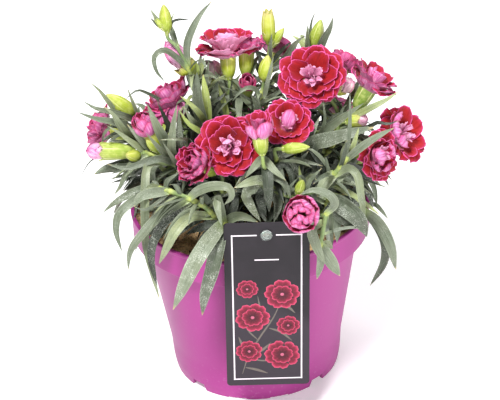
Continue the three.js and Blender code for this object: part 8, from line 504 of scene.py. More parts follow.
            (1.7, 1.3, [(-4, -14, 109.3), (-4, -14, 116), (-6.9, -34, 147.3), (-8.2, -24.1, 169.7), (-9, -31, 173.6)]),
            (1.7, 1.3, [(-6.4, -31.8, 141), (-16.8, -44, 149.4), (-16.3, -38.3, 157.2), (-21.1, -42, 162.4)]),
        ],
        "leaves": [
            (4.3, "g", 0.3, [(-16.7, -44, 150.8, 0.69, -0.72, 0.07), (-26, -48.4, 158.1, 0.55, -0.81, 0.19), (-37.6, -48.6, 164.3, 0.23, -0.89, 0.38), (-43.4, -45.1, 166.8, 0, -0.86, 0.51)]),
            (5, "d", 0.3, [(-6.9, -34, 147.3, -0.27, -0.93, 0.26), (-8.2, -34, 146, -0.06, -0.92, 0.4), (-1.5, -30, 157.4, -0.1, -0.95, 0.29), (1.5, -28, 168.7, -0.09, -0.98, 0.2)]),
            (3.7, "g", 0.3, [(-14.6, -42, 146.7, -0.08, -1, 0.05), (-14.4, -42, 148.1, 0.6, -0.56, 0.57), (-23, -50, 147.7, 0.63, -0.63, 0.45), (-30, -54, 153.2, 0.6, -0.78, 0.19)]),
            (5, "d", 0.3, [(-6.9, -34, 147.3, -0.09, -0.8, 0.59), (-15.1, -28, 154.2, 0.04, -0.89, 0.46), (-24.1, -24, 168, 0.11, -0.93, 0.35)]),
        ],
        "more": [
            (4.3, "d", 0.11, [(-12.4, -39.4, 145.1, 0.3, -0.5, 0.8), (-20.4, -38.7, 148.6, 0.3, -0.5, 0.8), (-28.7, -38, 151.5, 0.2, -0.5, 0.9), (-37.1, -37.2, 153.6, 0.1, -0.4, 0.9), (-45.4, -36.4, 154.4, 0, -0.4, 0.9)]),
            (4.3, "d", 0.14, [(-7.3, -32.5, 153.5, -0.5, 0.6, 0.6), (-4.7, -34.2, 157.8, -0.5, 0.6, 0.6), (-2.1, -36.1, 161.3, -0.4, 0.6, 0.7), (0.3, -38.4, 163.9, -0.2, 0.4, 0.9), (2.5, -40.9, 165.1, -0.1, 0.3, 0.9)]),
            (4.7, "d", 0, [(-16.3, -43.8, 148.6, -0.1, 0.5, 0.9), (-17.2, -48.1, 151, -0.2, 0.4, 0.9), (-17.7, -52.7, 152.4, -0.2, 0.1, 1), (-17.9, -57.4, 152.1, -0.2, -0.3, 0.9), (-17.5, -62.2, 149.8, -0.2, -0.4, 0.9)]),
            (4.3, "d", 0.37, [(-7.2, -33.4, 151.4, -0.1, 0.9, 0.5), (-6.7, -37.2, 157.8, -0.1, 0.8, 0.6), (-5.9, -41.1, 161.7, -0.1, 0.4, 0.9), (-4.5, -45.1, 161.8, 0.2, -0.4, 0.9), (-2.5, -48.9, 157.1, 0.4, -0.6, 0.7)]),
            (4.5, "d", 0.08, [(-6.9, -34, 147.3, -0.4, -0.6, 0.7), (-4.1, -28.6, 153.3, -0.3, -0.5, 0.8), (-0.9, -23.1, 156.3, -0.1, -0.1, 1), (2.5, -17.7, 155.1, 0.3, 0.5, 0.8), (6.3, -12.5, 148.3, 0.4, 0.6, 0.7)]),
            (3.3, "d", 0, [(-16.3, -43.8, 148.6, -0.5, -0.7, 0.6), (-14.4, -38.5, 156.9, -0.5, -0.6, 0.6), (-11.7, -33.2, 164.4, -0.5, -0.6, 0.6), (-8.3, -28, 170.9, -0.5, -0.5, 0.7), (-3.9, -23.2, 175.8, -0.5, -0.4, 0.8)]),
            (4.7, "d", 0, [(-7.7, -27.4, 161.9, -0.1, 0, 1), (-3.8, -19.7, 162.3, -0.1, 0.1, 1), (0, -11.6, 161.8, -0.1, 0.2, 1), (3.6, -3.3, 160.1, 0, 0.3, 1), (6.8, 5.1, 156.9, 0, 0.3, 0.9)]),
            (5, "d", 0.42, [(-5.9, -29, 136.5, 0.4, 0.2, 0.9), (-12, -37.3, 141.3, 0.3, 0.2, 0.9), (-18, -46, 145.6, 0.3, 0.2, 0.9), (-23.8, -55.2, 149.2, 0.2, 0.2, 1), (-29, -64.7, 151.7, 0.2, 0.1, 1)]),
            (3.8, "d", 0.23, [(-12.4, -39.4, 145.1, 0.1, -1, 0), (-14.2, -39.4, 149.9, 0.2, -1, 0.1), (-16.1, -39.4, 153.8, 0.4, -0.9, 0.2), (-18.1, -39.4, 156.6, 0.5, -0.7, 0.5), (-20, -39.3, 157.6, 0.4, -0.5, 0.8)]),
            (5.3, "d", 0.73, [(-5, -22.2, 128, 0.7, -0.7, 0.2), (-7.2, -22.7, 135, 0.9, -0.4, 0.3), (-9.5, -24.1, 139.2, 0.6, 0.1, 0.8), (-11.7, -26.5, 139.2, -0.2, -0.6, 0.8), (-13.7, -30.1, 133.9, -0.3, -0.7, 0.6)]),
            (4.3, "d", 0.28, [(-5.6, -26.8, 133.7, 0.6, 0.1, 0.8), (-10.8, -30.2, 137.7, 0.5, 0, 0.9), (-16, -34.1, 139.1, 0.1, -0.2, 1), (-20.9, -38.5, 136.9, -0.3, -0.5, 0.8), (-25.4, -43.4, 130, -0.3, -0.6, 0.7)]),
            (4.7, "d", 0.02, [(-7.7, -27.4, 161.9, -0.1, 0, 1), (-6, -19.9, 162.2, 0, 0.1, 1), (-4.3, -12.1, 160.4, 0, 0.4, 0.9), (-2.6, -4.3, 155.9, 0.1, 0.6, 0.8), (-0.9, 3.6, 147.9, 0.1, 0.7, 0.7)]),
            (4, "d", 0.07, [(-7.8, -26.2, 163.8, 0.6, 0.6, 0.6), (-13.2, -28.3, 170.8, 0.5, 0.5, 0.7), (-18.6, -31, 174.8, 0.1, 0.3, 0.9), (-23.8, -34.5, 174.5, -0.5, -0.1, 0.9), (-28.7, -38.8, 168.8, -0.7, -0.2, 0.7)]),
            (5.5, "d", 0.02, [(-7.2, -33.4, 151.4, -0.7, 0.5, 0.6), (-2.3, -35, 158.8, -0.6, 0.4, 0.6), (2.6, -37.1, 163.3, -0.3, 0.3, 0.9), (7.5, -39.6, 163.7, 0.4, -0.1, 0.9), (12.1, -42.7, 158.5, 0.7, -0.2, 0.7)]),
            (3.3, "d", 0.36, [(-4, -14, 116, -0.3, -0.9, 0.4), (-3.1, -12, 121.4, -0.3, -0.9, 0.4), (-2.1, -9.9, 126.1, -0.3, -0.8, 0.5), (-0.9, -7.9, 129.9, -0.3, -0.7, 0.6), (0.5, -5.9, 132.1, -0.3, -0.6, 0.7)]),
            (3.4, "d", 0.38, [(-7.3, -32.5, 153.5, -0.3, -0.3, 0.9), (-5.1, -27.9, 155.7, -0.3, -0.2, 0.9), (-2.6, -23.2, 157.1, -0.2, -0.1, 1), (0.3, -18.7, 157.5, -0.1, 0.1, 1), (3.6, -14.3, 156.6, 0, 0.2, 1)]),
            (2.7, "d", 0.68, [(-7.3, -32.5, 153.5, 0.5, 0.7, 0.5), (-9.4, -33.9, 157.3, 0.5, 0.6, 0.6), (-11.7, -35.2, 160.8, 0.5, 0.6, 0.6), (-14.1, -36.3, 163.8, 0.5, 0.5, 0.7), (-16.6, -37.3, 166, 0.5, 0.4, 0.7)]),
            (4.2, "d", 0.22, [(-5, -22.2, 128, 0, -1, 0.1), (-5.2, -21.8, 135.3, 0.1, -1, 0.1), (-5.9, -21.3, 140.8, 0.4, -0.9, 0.2), (-7.3, -20.7, 143.5, 0.3, -0.4, 0.9), (-9.4, -20.1, 142.5, -0.5, -0.2, 0.9)]),
            (5.1, "d", 0.08, [(-6.9, -34, 147.3, -0.7, 0.1, 0.7), (-1.7, -34.2, 152.7, -0.6, 0.1, 0.8), (3.7, -34.9, 156.5, -0.4, 0.1, 0.9), (9.2, -36.1, 158, 0, 0, 1), (14.6, -37.9, 156.5, 0.2, -0.1, 1)]),
            (5.1, "d", 0.53, [(-4.7, -20, 125.3, -0.5, -0.1, 0.8), (0.3, -22.4, 128.1, -0.5, -0.1, 0.9), (5.6, -24.7, 130.5, -0.4, -0.1, 0.9), (10.9, -27.1, 132.2, -0.3, -0.2, 0.9), (16.2, -29.4, 132.9, -0.2, -0.2, 1)]),
            (4.4, "d", 0.58, [(-6.5, -32.4, 142.1, -0.2, 0.1, 1), (-3.1, -39.5, 143.6, -0.1, 0, 1), (0.8, -46.5, 143.2, 0, -0.2, 1), (5.4, -53.4, 140.2, 0.2, -0.5, 0.9), (10.7, -59.9, 133.8, 0.3, -0.6, 0.8)]),
            (3.2, "d", 0.25, [(-4.7, -20, 125.3, 0.1, 0.1, 1), (-7.2, -28.9, 126.4, 0, 0, 1), (-9.6, -38.1, 125.2, 0, -0.3, 1), (-11.8, -47.5, 121.1, -0.1, -0.5, 0.8), (-13.8, -56.9, 113.1, -0.1, -0.6, 0.8)]),
            (3.6, "d", 0.1, [(-7.7, -27.4, 161.9, -0.7, 0.5, 0.5), (-5.3, -27.9, 166.1, -0.7, 0.5, 0.5), (-2.8, -28.3, 170.3, -0.7, 0.5, 0.5), (-0.2, -28.5, 174.3, -0.7, 0.4, 0.5), (2.3, -28.5, 178, -0.7, 0.4, 0.5)]),
        ],
        "calyxes": [(4.8, (-8.9, -30.1, 173.1), (-10.3, -42.2, 180)), (4.8, (-20.5, -41.5, 161.7), (-29, -47.9, 170.9))],
        "buds": [],
    },
    "shoot_11": {
        "stems": [
            (1.7, 1.3, [(12, -18, 109.3), (12, -18, 116), (30.3, -50, 146.7), (42.8, -74, 163.5), (48.6, -84, 161.4), (44.8, -88, 156.5), (36.2, -77.5, 150.4), (33.8, -84, 154.5)]),
            (1.7, 1.3, [(44, -87.6, 155.8), (42.8, -90, 151), (41.5, -88, 141.6), (40.2, -86, 133.4)]),
        ],
        "leaves": [
            (5, "g", 0.3, [(44.2, -88, 156.6, -0.46, -0.88, -0.12), (49.4, -92, 166.1, -0.08, -0.94, -0.33), (45.4, -94, 173.6, 0.36, -0.9, 0.26), (36.8, -94, 176.8, -0.13, -0.85, 0.5), (28.6, -92, 172.7, -0.39, -0.85, 0.36)]),
            (6.2, "g", 0.3, [(42.2, -90, 152.4, 0.05, -0.85, 0.53), (35.6, -92, 149.8, -0.07, -0.95, 0.31), (37.5, -94, 139.2, 0.15, -0.99, 0.04), (42.6, -92, 124.4, 0.23, -0.97, -0.05)]),
            (7.4, "g", 0.3, [(40.2, -86, 134.8, 0.12, -0.95, 0.3), (44.7, -88, 126.7, 0.26, -0.97, 0.04), (51.7, -84, 110.3, 0.32, -0.94, -0.09)]),
            (5, "g", 0.3, [(40.2, -86, 134.1, 0.02, -1, 0), (40.5, -86, 123.6, -0.07, -0.99, -0.14), (37.9, -82, 107.7, -0.15, -0.96, -0.22)]),
            (3.7, "g", 0.3, [(40.8, -86, 134.1, 0.4, -0.73, 0.55), (44.5, -84, 134.1, 0.59, -0.79, 0.19), (48, -82, 128.4, 0.45, -0.89, -0.03)]),
            (5, "d", 0.3, [(30.3, -50, 146.7, -0.02, -1, 0), (30.3, -50, 144.6, -0.34, -0.29, 0.9), (33.4, -60, 144.7, -0.52, -0.33, 0.79), (39.1, -66, 143.7, -0.47, -0.55, 0.69)]),
        ],
        "more": [
            (5.2, "g", 0.27, [(44.8, -88, 156.5, -0.7, 0.6, 0.4), (45.3, -83.2, 150.1, -0.7, 0.6, 0.3), (45.7, -78.3, 141.5, -0.8, 0.6, 0.3), (46.2, -73.3, 129.8, -0.8, 0.6, 0.2), (46.5, -68.3, 114.5, -0.8, 0.6, 0.2)]),
            (4.2, "g", 0.72, [(47.3, -86.8, 159.1, -0.8, -0.5, -0.1), (47.3, -85.5, 153.1, -0.8, -0.6, -0.1), (47.4, -84.2, 146.2, -0.8, -0.6, -0.1), (47.5, -82.9, 138.2, -0.8, -0.6, -0.1), (47.6, -81.6, 129.1, -0.8, -0.6, -0.1)]),
            (4, "g", 0.53, [(41.7, -88.4, 143.1, -0.3, 0.5, 0.8), (48.6, -80.9, 140.7, -0.3, 0.5, 0.8), (55.3, -72.8, 137.1, -0.2, 0.6, 0.8), (61.7, -64.2, 131.9, -0.2, 0.6, 0.7), (67.4, -55, 124.8, -0.2, 0.7, 0.7)]),
            (3.3, "gy", 0.27, [(41.7, -88.4, 143.1, -0.2, 0.3, 0.9), (39.2, -81.2, 140.5, -0.2, 0.3, 0.9), (37, -73.6, 136.9, -0.2, 0.4, 0.9), (35.2, -65.7, 132.2, -0.3, 0.5, 0.8), (34.1, -57.6, 126, -0.3, 0.6, 0.8)]),
            (4.6, "g", 0.26, [(32.6, -54.2, 150.2, -0.2, -1, 0), (34.5, -54.5, 158, -0.3, -0.9, 0), (36.4, -55.5, 163.5, -0.9, -0.2, 0.4), (38.4, -57.2, 165.6, 0, -0.1, 1), (40.3, -59.9, 163.3, 0.3, -0.5, 0.8)]),
            (3.8, "d", 0.13, [(21.6, -34.6, 134, 0.9, -0.5, -0.1), (21.8, -37.2, 144.3, 0.9, -0.4, -0.1), (22, -39.8, 153.8, 0.9, -0.3, -0.1), (22.4, -42.4, 162, 1, 0, -0.1), (23, -45, 168.3, 0.6, -0.7, -0.4)]),
            (3.2, "g", 0, [(34.8, -58.5, 153.8, 0.8, -0.6, 0.1), (33.4, -58.9, 160.7, 0.8, -0.6, 0.2), (31.9, -59.2, 165.4, 0.8, -0.5, 0.4), (30.4, -59.3, 167, -0.2, -0.4, 0.9), (28.7, -59.2, 164.6, -0.6, -0.7, 0.4)]),
            (3.5, "d", 0.45, [(14.9, -22.9, 123, 0.5, 0.1, 0.8), (9.6, -29.3, 126.7, 0.5, 0.1, 0.9), (5, -36.6, 130.2, 0.4, 0.1, 0.9), (1.5, -45.1, 133.2, 0.4, 0.2, 0.9), (-0.7, -54.9, 135.7, 0.3, 0.2, 0.9)]),
            (5.6, "d", 0.08, [(19.8, -31.4, 131.2, -0.3, -0.9, 0.1), (22.8, -31.9, 140.6, -0.4, -0.9, 0), (25.8, -32.9, 149.7, -0.5, -0.8, 0.1), (28.8, -34.4, 158, -0.8, -0.6, 0.2), (31.7, -36.7, 165.1, -0.9, -0.3, 0.3)]),
            (3.8, "d", 0.12, [(27.2, -44.3, 142.1, -0.1, -0.4, 0.9), (35.4, -43.9, 143.1, -0.1, -0.4, 0.9), (43.9, -43.3, 143.8, 0, -0.4, 0.9), (52.5, -42.4, 144.1, 0, -0.4, 0.9), (61, -41.1, 143.9, 0.1, -0.4, 0.9)]),
            (3.5, "d", 0.03, [(28.9, -47.3, 144.5, 0.1, -1, 0.2), (30, -45.9, 150.7, 0.1, -1, 0.2), (31.2, -44.6, 156.2, 0, -1, 0.3), (32.5, -43.3, 160.5, -0.1, -0.9, 0.4), (33.8, -42, 163.3, -0.1, -0.9, 0.5)]),
            (4.2, "d", 0.1, [(27.2, -44.3, 142.1, -0.3, -0.6, 0.8), (35.9, -41.8, 147.4, -0.3, -0.5, 0.8), (44.7, -38.8, 151.6, -0.1, -0.5, 0.9), (53.5, -35.2, 154.3, 0, -0.4, 0.9), (62.1, -30.9, 154.9, 0.1, -0.4, 0.9)]),
            (5.3, "d", 0.33, [(19.8, -31.4, 131.2, 0.4, 0.2, 0.9), (16.8, -39.8, 134, 0.4, 0.1, 0.9), (13.9, -48.4, 135.9, 0.3, 0, 0.9), (11, -57.2, 136.5, 0.3, -0.1, 1), (8.3, -66, 135.3, 0.2, -0.2, 1)]),
            (5.5, "d", 0.29, [(27.2, -44.3, 142.1, 0.1, -1, 0.2), (28.7, -42.4, 152.5, 0.1, -1, 0.2), (30.7, -40.7, 161.4, -0.1, -1, 0.2), (33.4, -39.4, 168.1, -0.4, -0.8, 0.4), (36.8, -38.6, 171.8, -0.4, -0.7, 0.6)]),
            (3.5, "d", 0.16, [(27.2, -44.3, 142.1, 0.9, -0.3, 0.2), (25.3, -46.1, 149, 0.9, -0.2, 0.3), (23, -47.5, 153, 0.7, -0.2, 0.7), (20.3, -48.6, 152.9, -0.4, -0.7, 0.6), (17, -49.3, 147.5, -0.5, -0.8, 0.4)]),
            (4.4, "d", 0.27, [(21.6, -34.6, 134, -0.1, -0.2, 1), (27.3, -37.1, 134.1, 0, -0.3, 1), (33.1, -39.6, 132.8, 0.2, -0.3, 0.9), (39.2, -41.9, 129.9, 0.4, -0.4, 0.8), (45.2, -44, 124.7, 0.5, -0.5, 0.7)]),
            (5, "d", 0.34, [(12, -18, 116, 0.9, -0.1, 0.4), (7.9, -19.9, 125.6, 0.9, -0.1, 0.4), (3.5, -21.4, 134.5, 0.9, -0.2, 0.5), (-1.2, -22.5, 142.4, 0.8, -0.2, 0.5), (-6.2, -22.9, 148.6, 0.8, -0.2, 0.6)]),
        ],
        "calyxes": [(4, (34.1, -83.2, 154), (30.8, -92, 159.6))],
        "buds": [],
    },
    "shoot_12": {
        "stems": [
            (1.7, 1.3, [(-14, -3, 109.3), (-14, -3, 116), (-29.9, -6, 151.2), (-40.1, -4, 169.1), (-36.9, -5.7, 170.9), (-40.3, -3.9, 177.9)]),
            (1.7, 1.3, [(-28.3, -5.9, 148.1), (-42.9, -22, 162.3), (-50.5, -23.5, 164.7), (-53.8, -24.2, 171.9)]),
            (1.5, 1.2, [(-47.8, -23.2, 163.5), (-51.5, -29.1, 168.3), (-54.9, -30.1, 172.9)]),
        ],
        "leaves": [
            (4.7, "d", 0.3, [(-36.6, -4.7, 161.8, 0.2, -0.56, 0.81), (-38.1, -8, 159.9, 0.94, -0.32, 0.13), (-43.4, -20, 173.8, 0.63, -0.75, -0.2), (-47.9, -24, 188.7, 0.22, -0.97, -0.06), (-53, -24, 203.4, 0.18, -0.98, 0.06)]),
            (6.8, "g", 0.3, [(-42.9, -22, 162.3, -0.04, -1, 0), (-42.9, -22, 160.9, 0.4, -0.88, -0.27), (-52.1, -34, 187.5, 0.28, -0.95, -0.15), (-58.6, -34, 206.9, 0.17, -0.98, 0.06)]),
            (5.3, "g", 0.3, [(-40, -19.9, 160.3, -0.23, -0.96, 0.16), (-42, -20, 156.9, 0.53, -0.68, -0.51), (-45.6, -36, 175.8, 0.08, -0.89, -0.45), (-44, -38, 191.9, -0.1, -0.99, -0.05), (-40.6, -38, 208, -0.12, -0.99, 0.02)]),
            (5.6, "g", 1, [(-37.1, -16.8, 157.5, -0.02, -0.97, -0.25), (-39.7, -16, 154.5, 0.43, -0.7, -0.57), (-40.8, -34, 175.8, 0.03, -0.87, -0.5), (-40.4, -37, 191.2, -0.02, -0.99, -0.1), (-39.9, -37, 204.7, -0.02, -1, 0)]),
            (2.2, "g", 0.3, [(-35.7, -15.1, 156, -0.41, -0.86, 0.3), (-39.7, -14, 153.4, 0.03, -0.8, -0.6), (-38.6, -34, 181.2, -0.03, -0.89, -0.45), (-38.9, -36, 197.4, 0.01, -0.99, -0.12)]),
            (3.4, "g", 1, [(-35.2, -5.1, 159.8, -0.24, 0.04, -0.97), (-35.6, -8, 159.7, 0.14, -0.6, -0.79), (-36.7, -36, 182.9, 0.69, -0.54, -0.48), (-43.7, -42, 186.6, 0.52, -0.74, 0.44), (-52, -44, 187.5, 0.25, -0.83, 0.5)]),
            (3.7, "g", 0.3, [(-45.3, -22.9, 163.1, 0.03, -0.33, -0.94), (-45.2, -24, 163.5, 0.31, -0.56, -0.77), (-48.4, -34, 170, 0.71, -0.65, -0.26), (-53.7, -40, 180.6, 0.43, -0.9, -0.1), (-60.1, -42, 191.6, 0.34, -0.94, 0.03)]),
            (2.4, "d", 0.3, [(-40.3, -3.9, 177.9, -0.46, -0.59, 0.66), (-44.5, -4.6, 181.2, 0.3, -0.94, 0.15), (-50.9, -12, 196.7, 0.46, -0.89, -0.02), (-59, -16.9, 205.4, 0.48, -0.85, 0.23), (-64.8, -20.6, 209.4, 0.01, -0.86, 0.51), (-72.6, -22.1, 204.2, -0.26, -0.91, 0.33)]),
            (5, "g", 0.3, [(-29.8, -7.6, 149.5, -0.25, -0.93, 0.27), (-36.7, -8, 141.9, 0.75, -0.5, -0.43), (-42.4, -42, 167.9, 0.52, -0.73, -0.44), (-50.8, -46, 187.8, 0.3, -0.95, -0.07)]),
            (4.3, "d", 0.3, [(-31.1, -5.9, 153.3, -0.14, -0.88, 0.44), (-32.3, -6, 152.7, -0.01, -0.95, -0.31), (-30.9, -14, 178.2, 0.05, -0.96, -0.26), (-34.7, -18, 197.2, 0.17, -0.97, -0.17)]),
        ],
        "more": [
            (4.7, "d", 0.27, [(-35.4, -5, 160.1, -0.3, -0.6, 0.7), (-36, 1.8, 166, -0.3, -0.6, 0.7), (-36.9, 8.7, 171.3, -0.2, -0.6, 0.8), (-38.3, 15.7, 175.4, -0.2, -0.5, 0.9), (-40.2, 22.7, 178.1, -0.1, -0.4, 0.9)]),
            (4.7, "d", 0.01, [(-40.5, -20.3, 160.7, 0, -0.4, 0.9), (-47.1, -18.5, 161.5, -0.1, -0.3, 0.9), (-53.9, -17, 161.2, -0.2, -0.3, 0.9), (-61, -15.8, 159.1, -0.4, -0.3, 0.9), (-68.1, -15.1, 155, -0.5, -0.3, 0.8)]),
            (4.2, "d", 0.08, [(-40.5, -20.3, 160.7, -0.4, 0.3, 0.8), (-40.3, -26.6, 163.2, -0.4, 0.2, 0.9), (-40.2, -33.1, 164.1, -0.3, -0.1, 0.9), (-40.1, -39.6, 162.6, -0.3, -0.4, 0.9), (-40, -46.2, 158, -0.3, -0.5, 0.8)]),
            (4.4, "gy", 0, [(-42.9, -22, 162.3, -0.4, -0.1, 0.9), (-48, -29.1, 159.4, -0.4, -0.1, 0.9), (-54.1, -35.9, 155.6, -0.4, -0.2, 0.9), (-61.1, -42.3, 150.6, -0.5, -0.2, 0.9), (-69.2, -47.8, 144.2, -0.5, -0.2, 0.8)]),
            (4, "d", 0.23, [(-33.2, -11.9, 153.3, -0.2, -0.1, 1), (-34.4, -16.3, 152.4, -0.2, -0.3, 0.9), (-35.1, -21, 150.3, -0.3, -0.5, 0.8), (-35, -26, 146.6, -0.2, -0.7, 0.7), (-33.9, -31.4, 141, -0.2, -0.7, 0.7)]),
            (4.2, "d", 0.56, [(-16.5, -3.6, 123.5, 0.4, -0.5, 0.8), (-23.8, 1.8, 130.1, 0.3, -0.4, 0.8), (-31, 7.9, 134.4, 0.1, -0.3, 1), (-37.8, 14.7, 135.3, -0.2, 0, 1), (-44, 22.3, 131.7, -0.3, 0.2, 0.9)]),
            (4.9, "g", 0.01, [(-42.9, -22, 162.3, -0.1, -1, 0.3), (-46.5, -19.6, 169.5, -0.1, -0.9, 0.4), (-49.9, -16.8, 174.8, 0, -0.8, 0.6), (-53.2, -13.5, 177.3, -0.3, -0.4, 0.9), (-56.1, -9.6, 176.1, -0.5, -0.1, 0.9)]),
            (5.4, "d", 0.22, [(-40.5, -20.3, 160.7, -0.2, -0.9, 0.4), (-43.1, -16.5, 168.4, -0.2, -0.9, 0.5), (-45.5, -12.3, 174.1, -0.2, -0.7, 0.7), (-47.6, -7.9, 176.6, -0.3, -0.2, 0.9), (-49.4, -3.3, 175, -0.5, 0.1, 0.9)]),
            (5.4, "gy", 0.14, [(-38.1, -17.9, 158.5, -0.2, -1, 0), (-40, -17.7, 166.8, -0.1, -1, 0), (-42.1, -17.8, 172.6, 0.6, -0.8, 0.3), (-44.4, -18.4, 174.8, 0, -0.2, 1), (-46.7, -19.6, 172.2, -0.5, -0.4, 0.7)]),
            (3.4, "d", 0.33, [(-39.9, -4.1, 169.4, 0.6, 0.5, 0.7), (-40.7, -8.2, 172.9, 0.5, 0.4, 0.8), (-41.6, -12.4, 174.7, 0.4, 0, 0.9), (-42.8, -16.6, 174.1, 0.2, -0.5, 0.8), (-44.1, -20.8, 170.3, 0.2, -0.7, 0.7)]),
            (4.8, "d", 0.57, [(-35.7, -15.1, 156, -0.2, -0.2, 0.9), (-38.3, -22.7, 153.4, -0.3, -0.4, 0.9), (-41.3, -30.5, 147.7, -0.4, -0.6, 0.7), (-44.8, -38.2, 137.8, -0.5, -0.7, 0.6), (-48.7, -45.7, 122.6, -0.5, -0.7, 0.5)]),
            (5, "d", 0.4, [(-19.2, -4.3, 129.7, -0.4, 0.7, 0.6), (-18.3, -9.8, 136.9, -0.4, 0.6, 0.7), (-17.1, -15.5, 141.3, -0.3, 0.3, 0.9), (-15.7, -21.2, 141.8, -0.1, -0.4, 0.9), (-14.1, -26.9, 137.2, -0.1, -0.6, 0.8)]),
            (3.4, "d", 0.22, [(-42.9, -22, 162.3, -0.7, 0.4, 0.5), (-42.4, -24.9, 165.5, -0.7, 0.5, 0.6), (-42.4, -28, 168.1, -0.5, 0.5, 0.7), (-42.9, -31.3, 170.1, -0.4, 0.4, 0.8), (-44.1, -34.7, 171, -0.3, 0.3, 0.9)]),
            (3.2, "d", 0.03, [(-39.9, -4.1, 169.4, 0.3, -0.2, 0.9), (-33.9, -10.7, 165.8, 0.4, -0.3, 0.9), (-28, -17.8, 159.8, 0.5, -0.4, 0.8), (-22.4, -25.3, 150.4, 0.6, -0.5, 0.6), (-17.4, -33.4, 136.8, 0.6, -0.6, 0.6)]),
            (5.2, "d", 0.06, [(-19.2, -4.3, 129.7, -0.2, 0.7, 0.7), (-20.2, -11.9, 137.1, -0.2, 0.7, 0.7), (-21.1, -19.8, 143.7, -0.2, 0.6, 0.8), (-21.8, -27.8, 149.3, -0.2, 0.5, 0.8), (-22.2, -35.9, 153.3, -0.2, 0.4, 0.9)]),
            (4.8, "d", 0.12, [(-19.2, -4.3, 129.7, 0.1, 0.4, 0.9), (-22.2, -8.5, 132, 0, 0.3, 1), (-25.5, -12.6, 132, -0.3, -0.1, 1), (-28.9, -16.8, 128.9, -0.5, -0.4, 0.7), (-32.4, -20.8, 121.7, -0.6, -0.5, 0.6)]),
            (3.4, "d", 0.32, [(-15.4, -3.3, 120.7, -0.6, -0.7, 0.5), (-13.5, 0.5, 127.9, -0.5, -0.6, 0.6), (-11.2, 4.4, 132, -0.3, -0.3, 0.9), (-8.5, 8.1, 131.7, 0.3, 0.5, 0.8), (-5.2, 11.6, 125.7, 0.4, 0.7, 0.6)]),
            (3.5, "d", 0.2, [(-33.2, -11.9, 153.3, -0.6, -0.8, 0.2), (-32.4, -11.2, 160.4, -0.6, -0.8, 0.2), (-31.6, -10.3, 166, -0.6, -0.8, 0.3), (-30.8, -9.4, 169.5, -0.5, -0.7, 0.5), (-30.2, -8.3, 169.9, -0.2, -0.3, 0.9)]),
            (3.1, "d", 0.27, [(-13.6, -2.9, 112.6, 0.4, 0.6, 0.7), (-15.9, -6.2, 116.2, 0.3, 0.5, 0.8), (-18.1, -9.6, 117.9, 0, 0.1, 1), (-20.2, -13.2, 116.7, -0.3, -0.5, 0.8), (-22, -17, 111.9, -0.3, -0.7, 0.7)]),
            (3.5, "d", 0, [(-35.4, -5, 160.1, -0.9, -0.4, 0.2), (-35, -3.7, 165.5, -0.8, -0.5, 0.2), (-35.1, -2.1, 170.8, -0.5, -0.8, 0.2), (-35.9, 0, 175.9, -0.1, -0.9, 0.4), (-37.6, 2.7, 180.6, 0.1, -0.9, 0.5)]),
            (4.3, "g", 0.05, [(-37.6, -4.4, 163.3, -0.2, 0.5, 0.8), (-39.1, -11.5, 167.2, -0.2, 0.3, 0.9), (-40.7, -18.7, 168.1, -0.3, -0.1, 1), (-42.4, -26, 165, -0.4, -0.5, 0.8), (-44.1, -33.2, 156.6, -0.5, -0.6, 0.6)]),
            (5.1, "d", 0.26, [(-35.7, -15.1, 156, -0.3, -1, -0.1), (-37.2, -15.3, 164.5, -0.1, -1, 0), (-38.9, -14.9, 169.6, 0.3, -0.8, 0.5), (-40.9, -13.9, 169.8, -0.8, -0.1, 0.6), (-43.2, -12, 163.7, -0.9, -0.1, 0.3)]),
        ],
        "calyxes": [(4.2, (-39.9, -4.1, 177), (-45.3, -1.2, 188.5)), (4.6, (-53.4, -24.1, 171), (-58.8, -25.3, 182.7))],
        "buds": [(2.8, (-54.4, -30, 172.3), (-61, -32, 181.4), "green")],
    },
    "shoot_13": {
        "stems": [
            (1.7, 1.3, [(-18, 3, 109.3), (-18, 3, 116), (-33.4, 0, 144.4), (-54.6, 4, 157.7), (-69.8, 6, 164.6), (-67.9, 3.1, 162.7), (-75.3, 3.4, 165.8)]),
            (1.5, 1.2, [(-48.2, 2.7, 154.5), (-58.6, -3, 170.3), (-65.1, -4.6, 181.8), (-69.2, -5.1, 185.8)]),
        ],
        "leaves": [
            (3.3, "gy", 0.3, [(-64.5, -4.4, 180.9, -0.57, -0.78, 0.26), (-65.3, -4, 180.4, 0.4, -0.82, 0.41), (-76, -8, 185.2, 0.5, -0.86, 0.12), (-83.4, -12, 198.8, 0.38, -0.92, -0.05), (-87.5, -14, 206.9, 0.33, -0.94, 0.09), (-93.1, -14, 213.3, 0.27, -0.93, 0.23)]),
            (2.9, "g", 0.3, [(-60, -3.5, 172.8, -0.48, -0.88, -0.02), (-60.9, -3, 172.6, 0.42, -0.87, -0.25), (-65.4, -10, 186.4, 0.29, -0.93, -0.23), (-68.8, -12, 198.7, 0.18, -0.98, -0.04), (-71.1, -12, 207.7, 0.14, -0.99, 0.04)]),
            (4, "g", 0.3, [(-62.6, -4.1, 177.8, -0.14, -0.86, 0.49), (-64.3, -4, 177.5, 0.7, -0.71, 0.07), (-73.7, -14, 189, 0.65, -0.75, 0.12), (-83.5, -18, 195.1, 0.46, -0.83, 0.32), (-91, -20, 198.6, 0.33, -0.88, 0.34), (-97.8, -20, 203.8, 0.26, -0.91, 0.34)]),
            (5.3, "g", 0.3, [(-60.1, 5, 160.5, 0.28, -0.59, -0.76), (-60.4, 2, 162.7, 0.75, -0.58, -0.32), (-68.2, -16, 180, 0.73, -0.68, -0.09), (-79.5, -22, 189.4, 0.48, -0.82, 0.3), (-90.1, -24, 193.2, 0.25, -0.87, 0.42), (-101.7, -24, 198.6, 0.2, -0.88, 0.43)]),
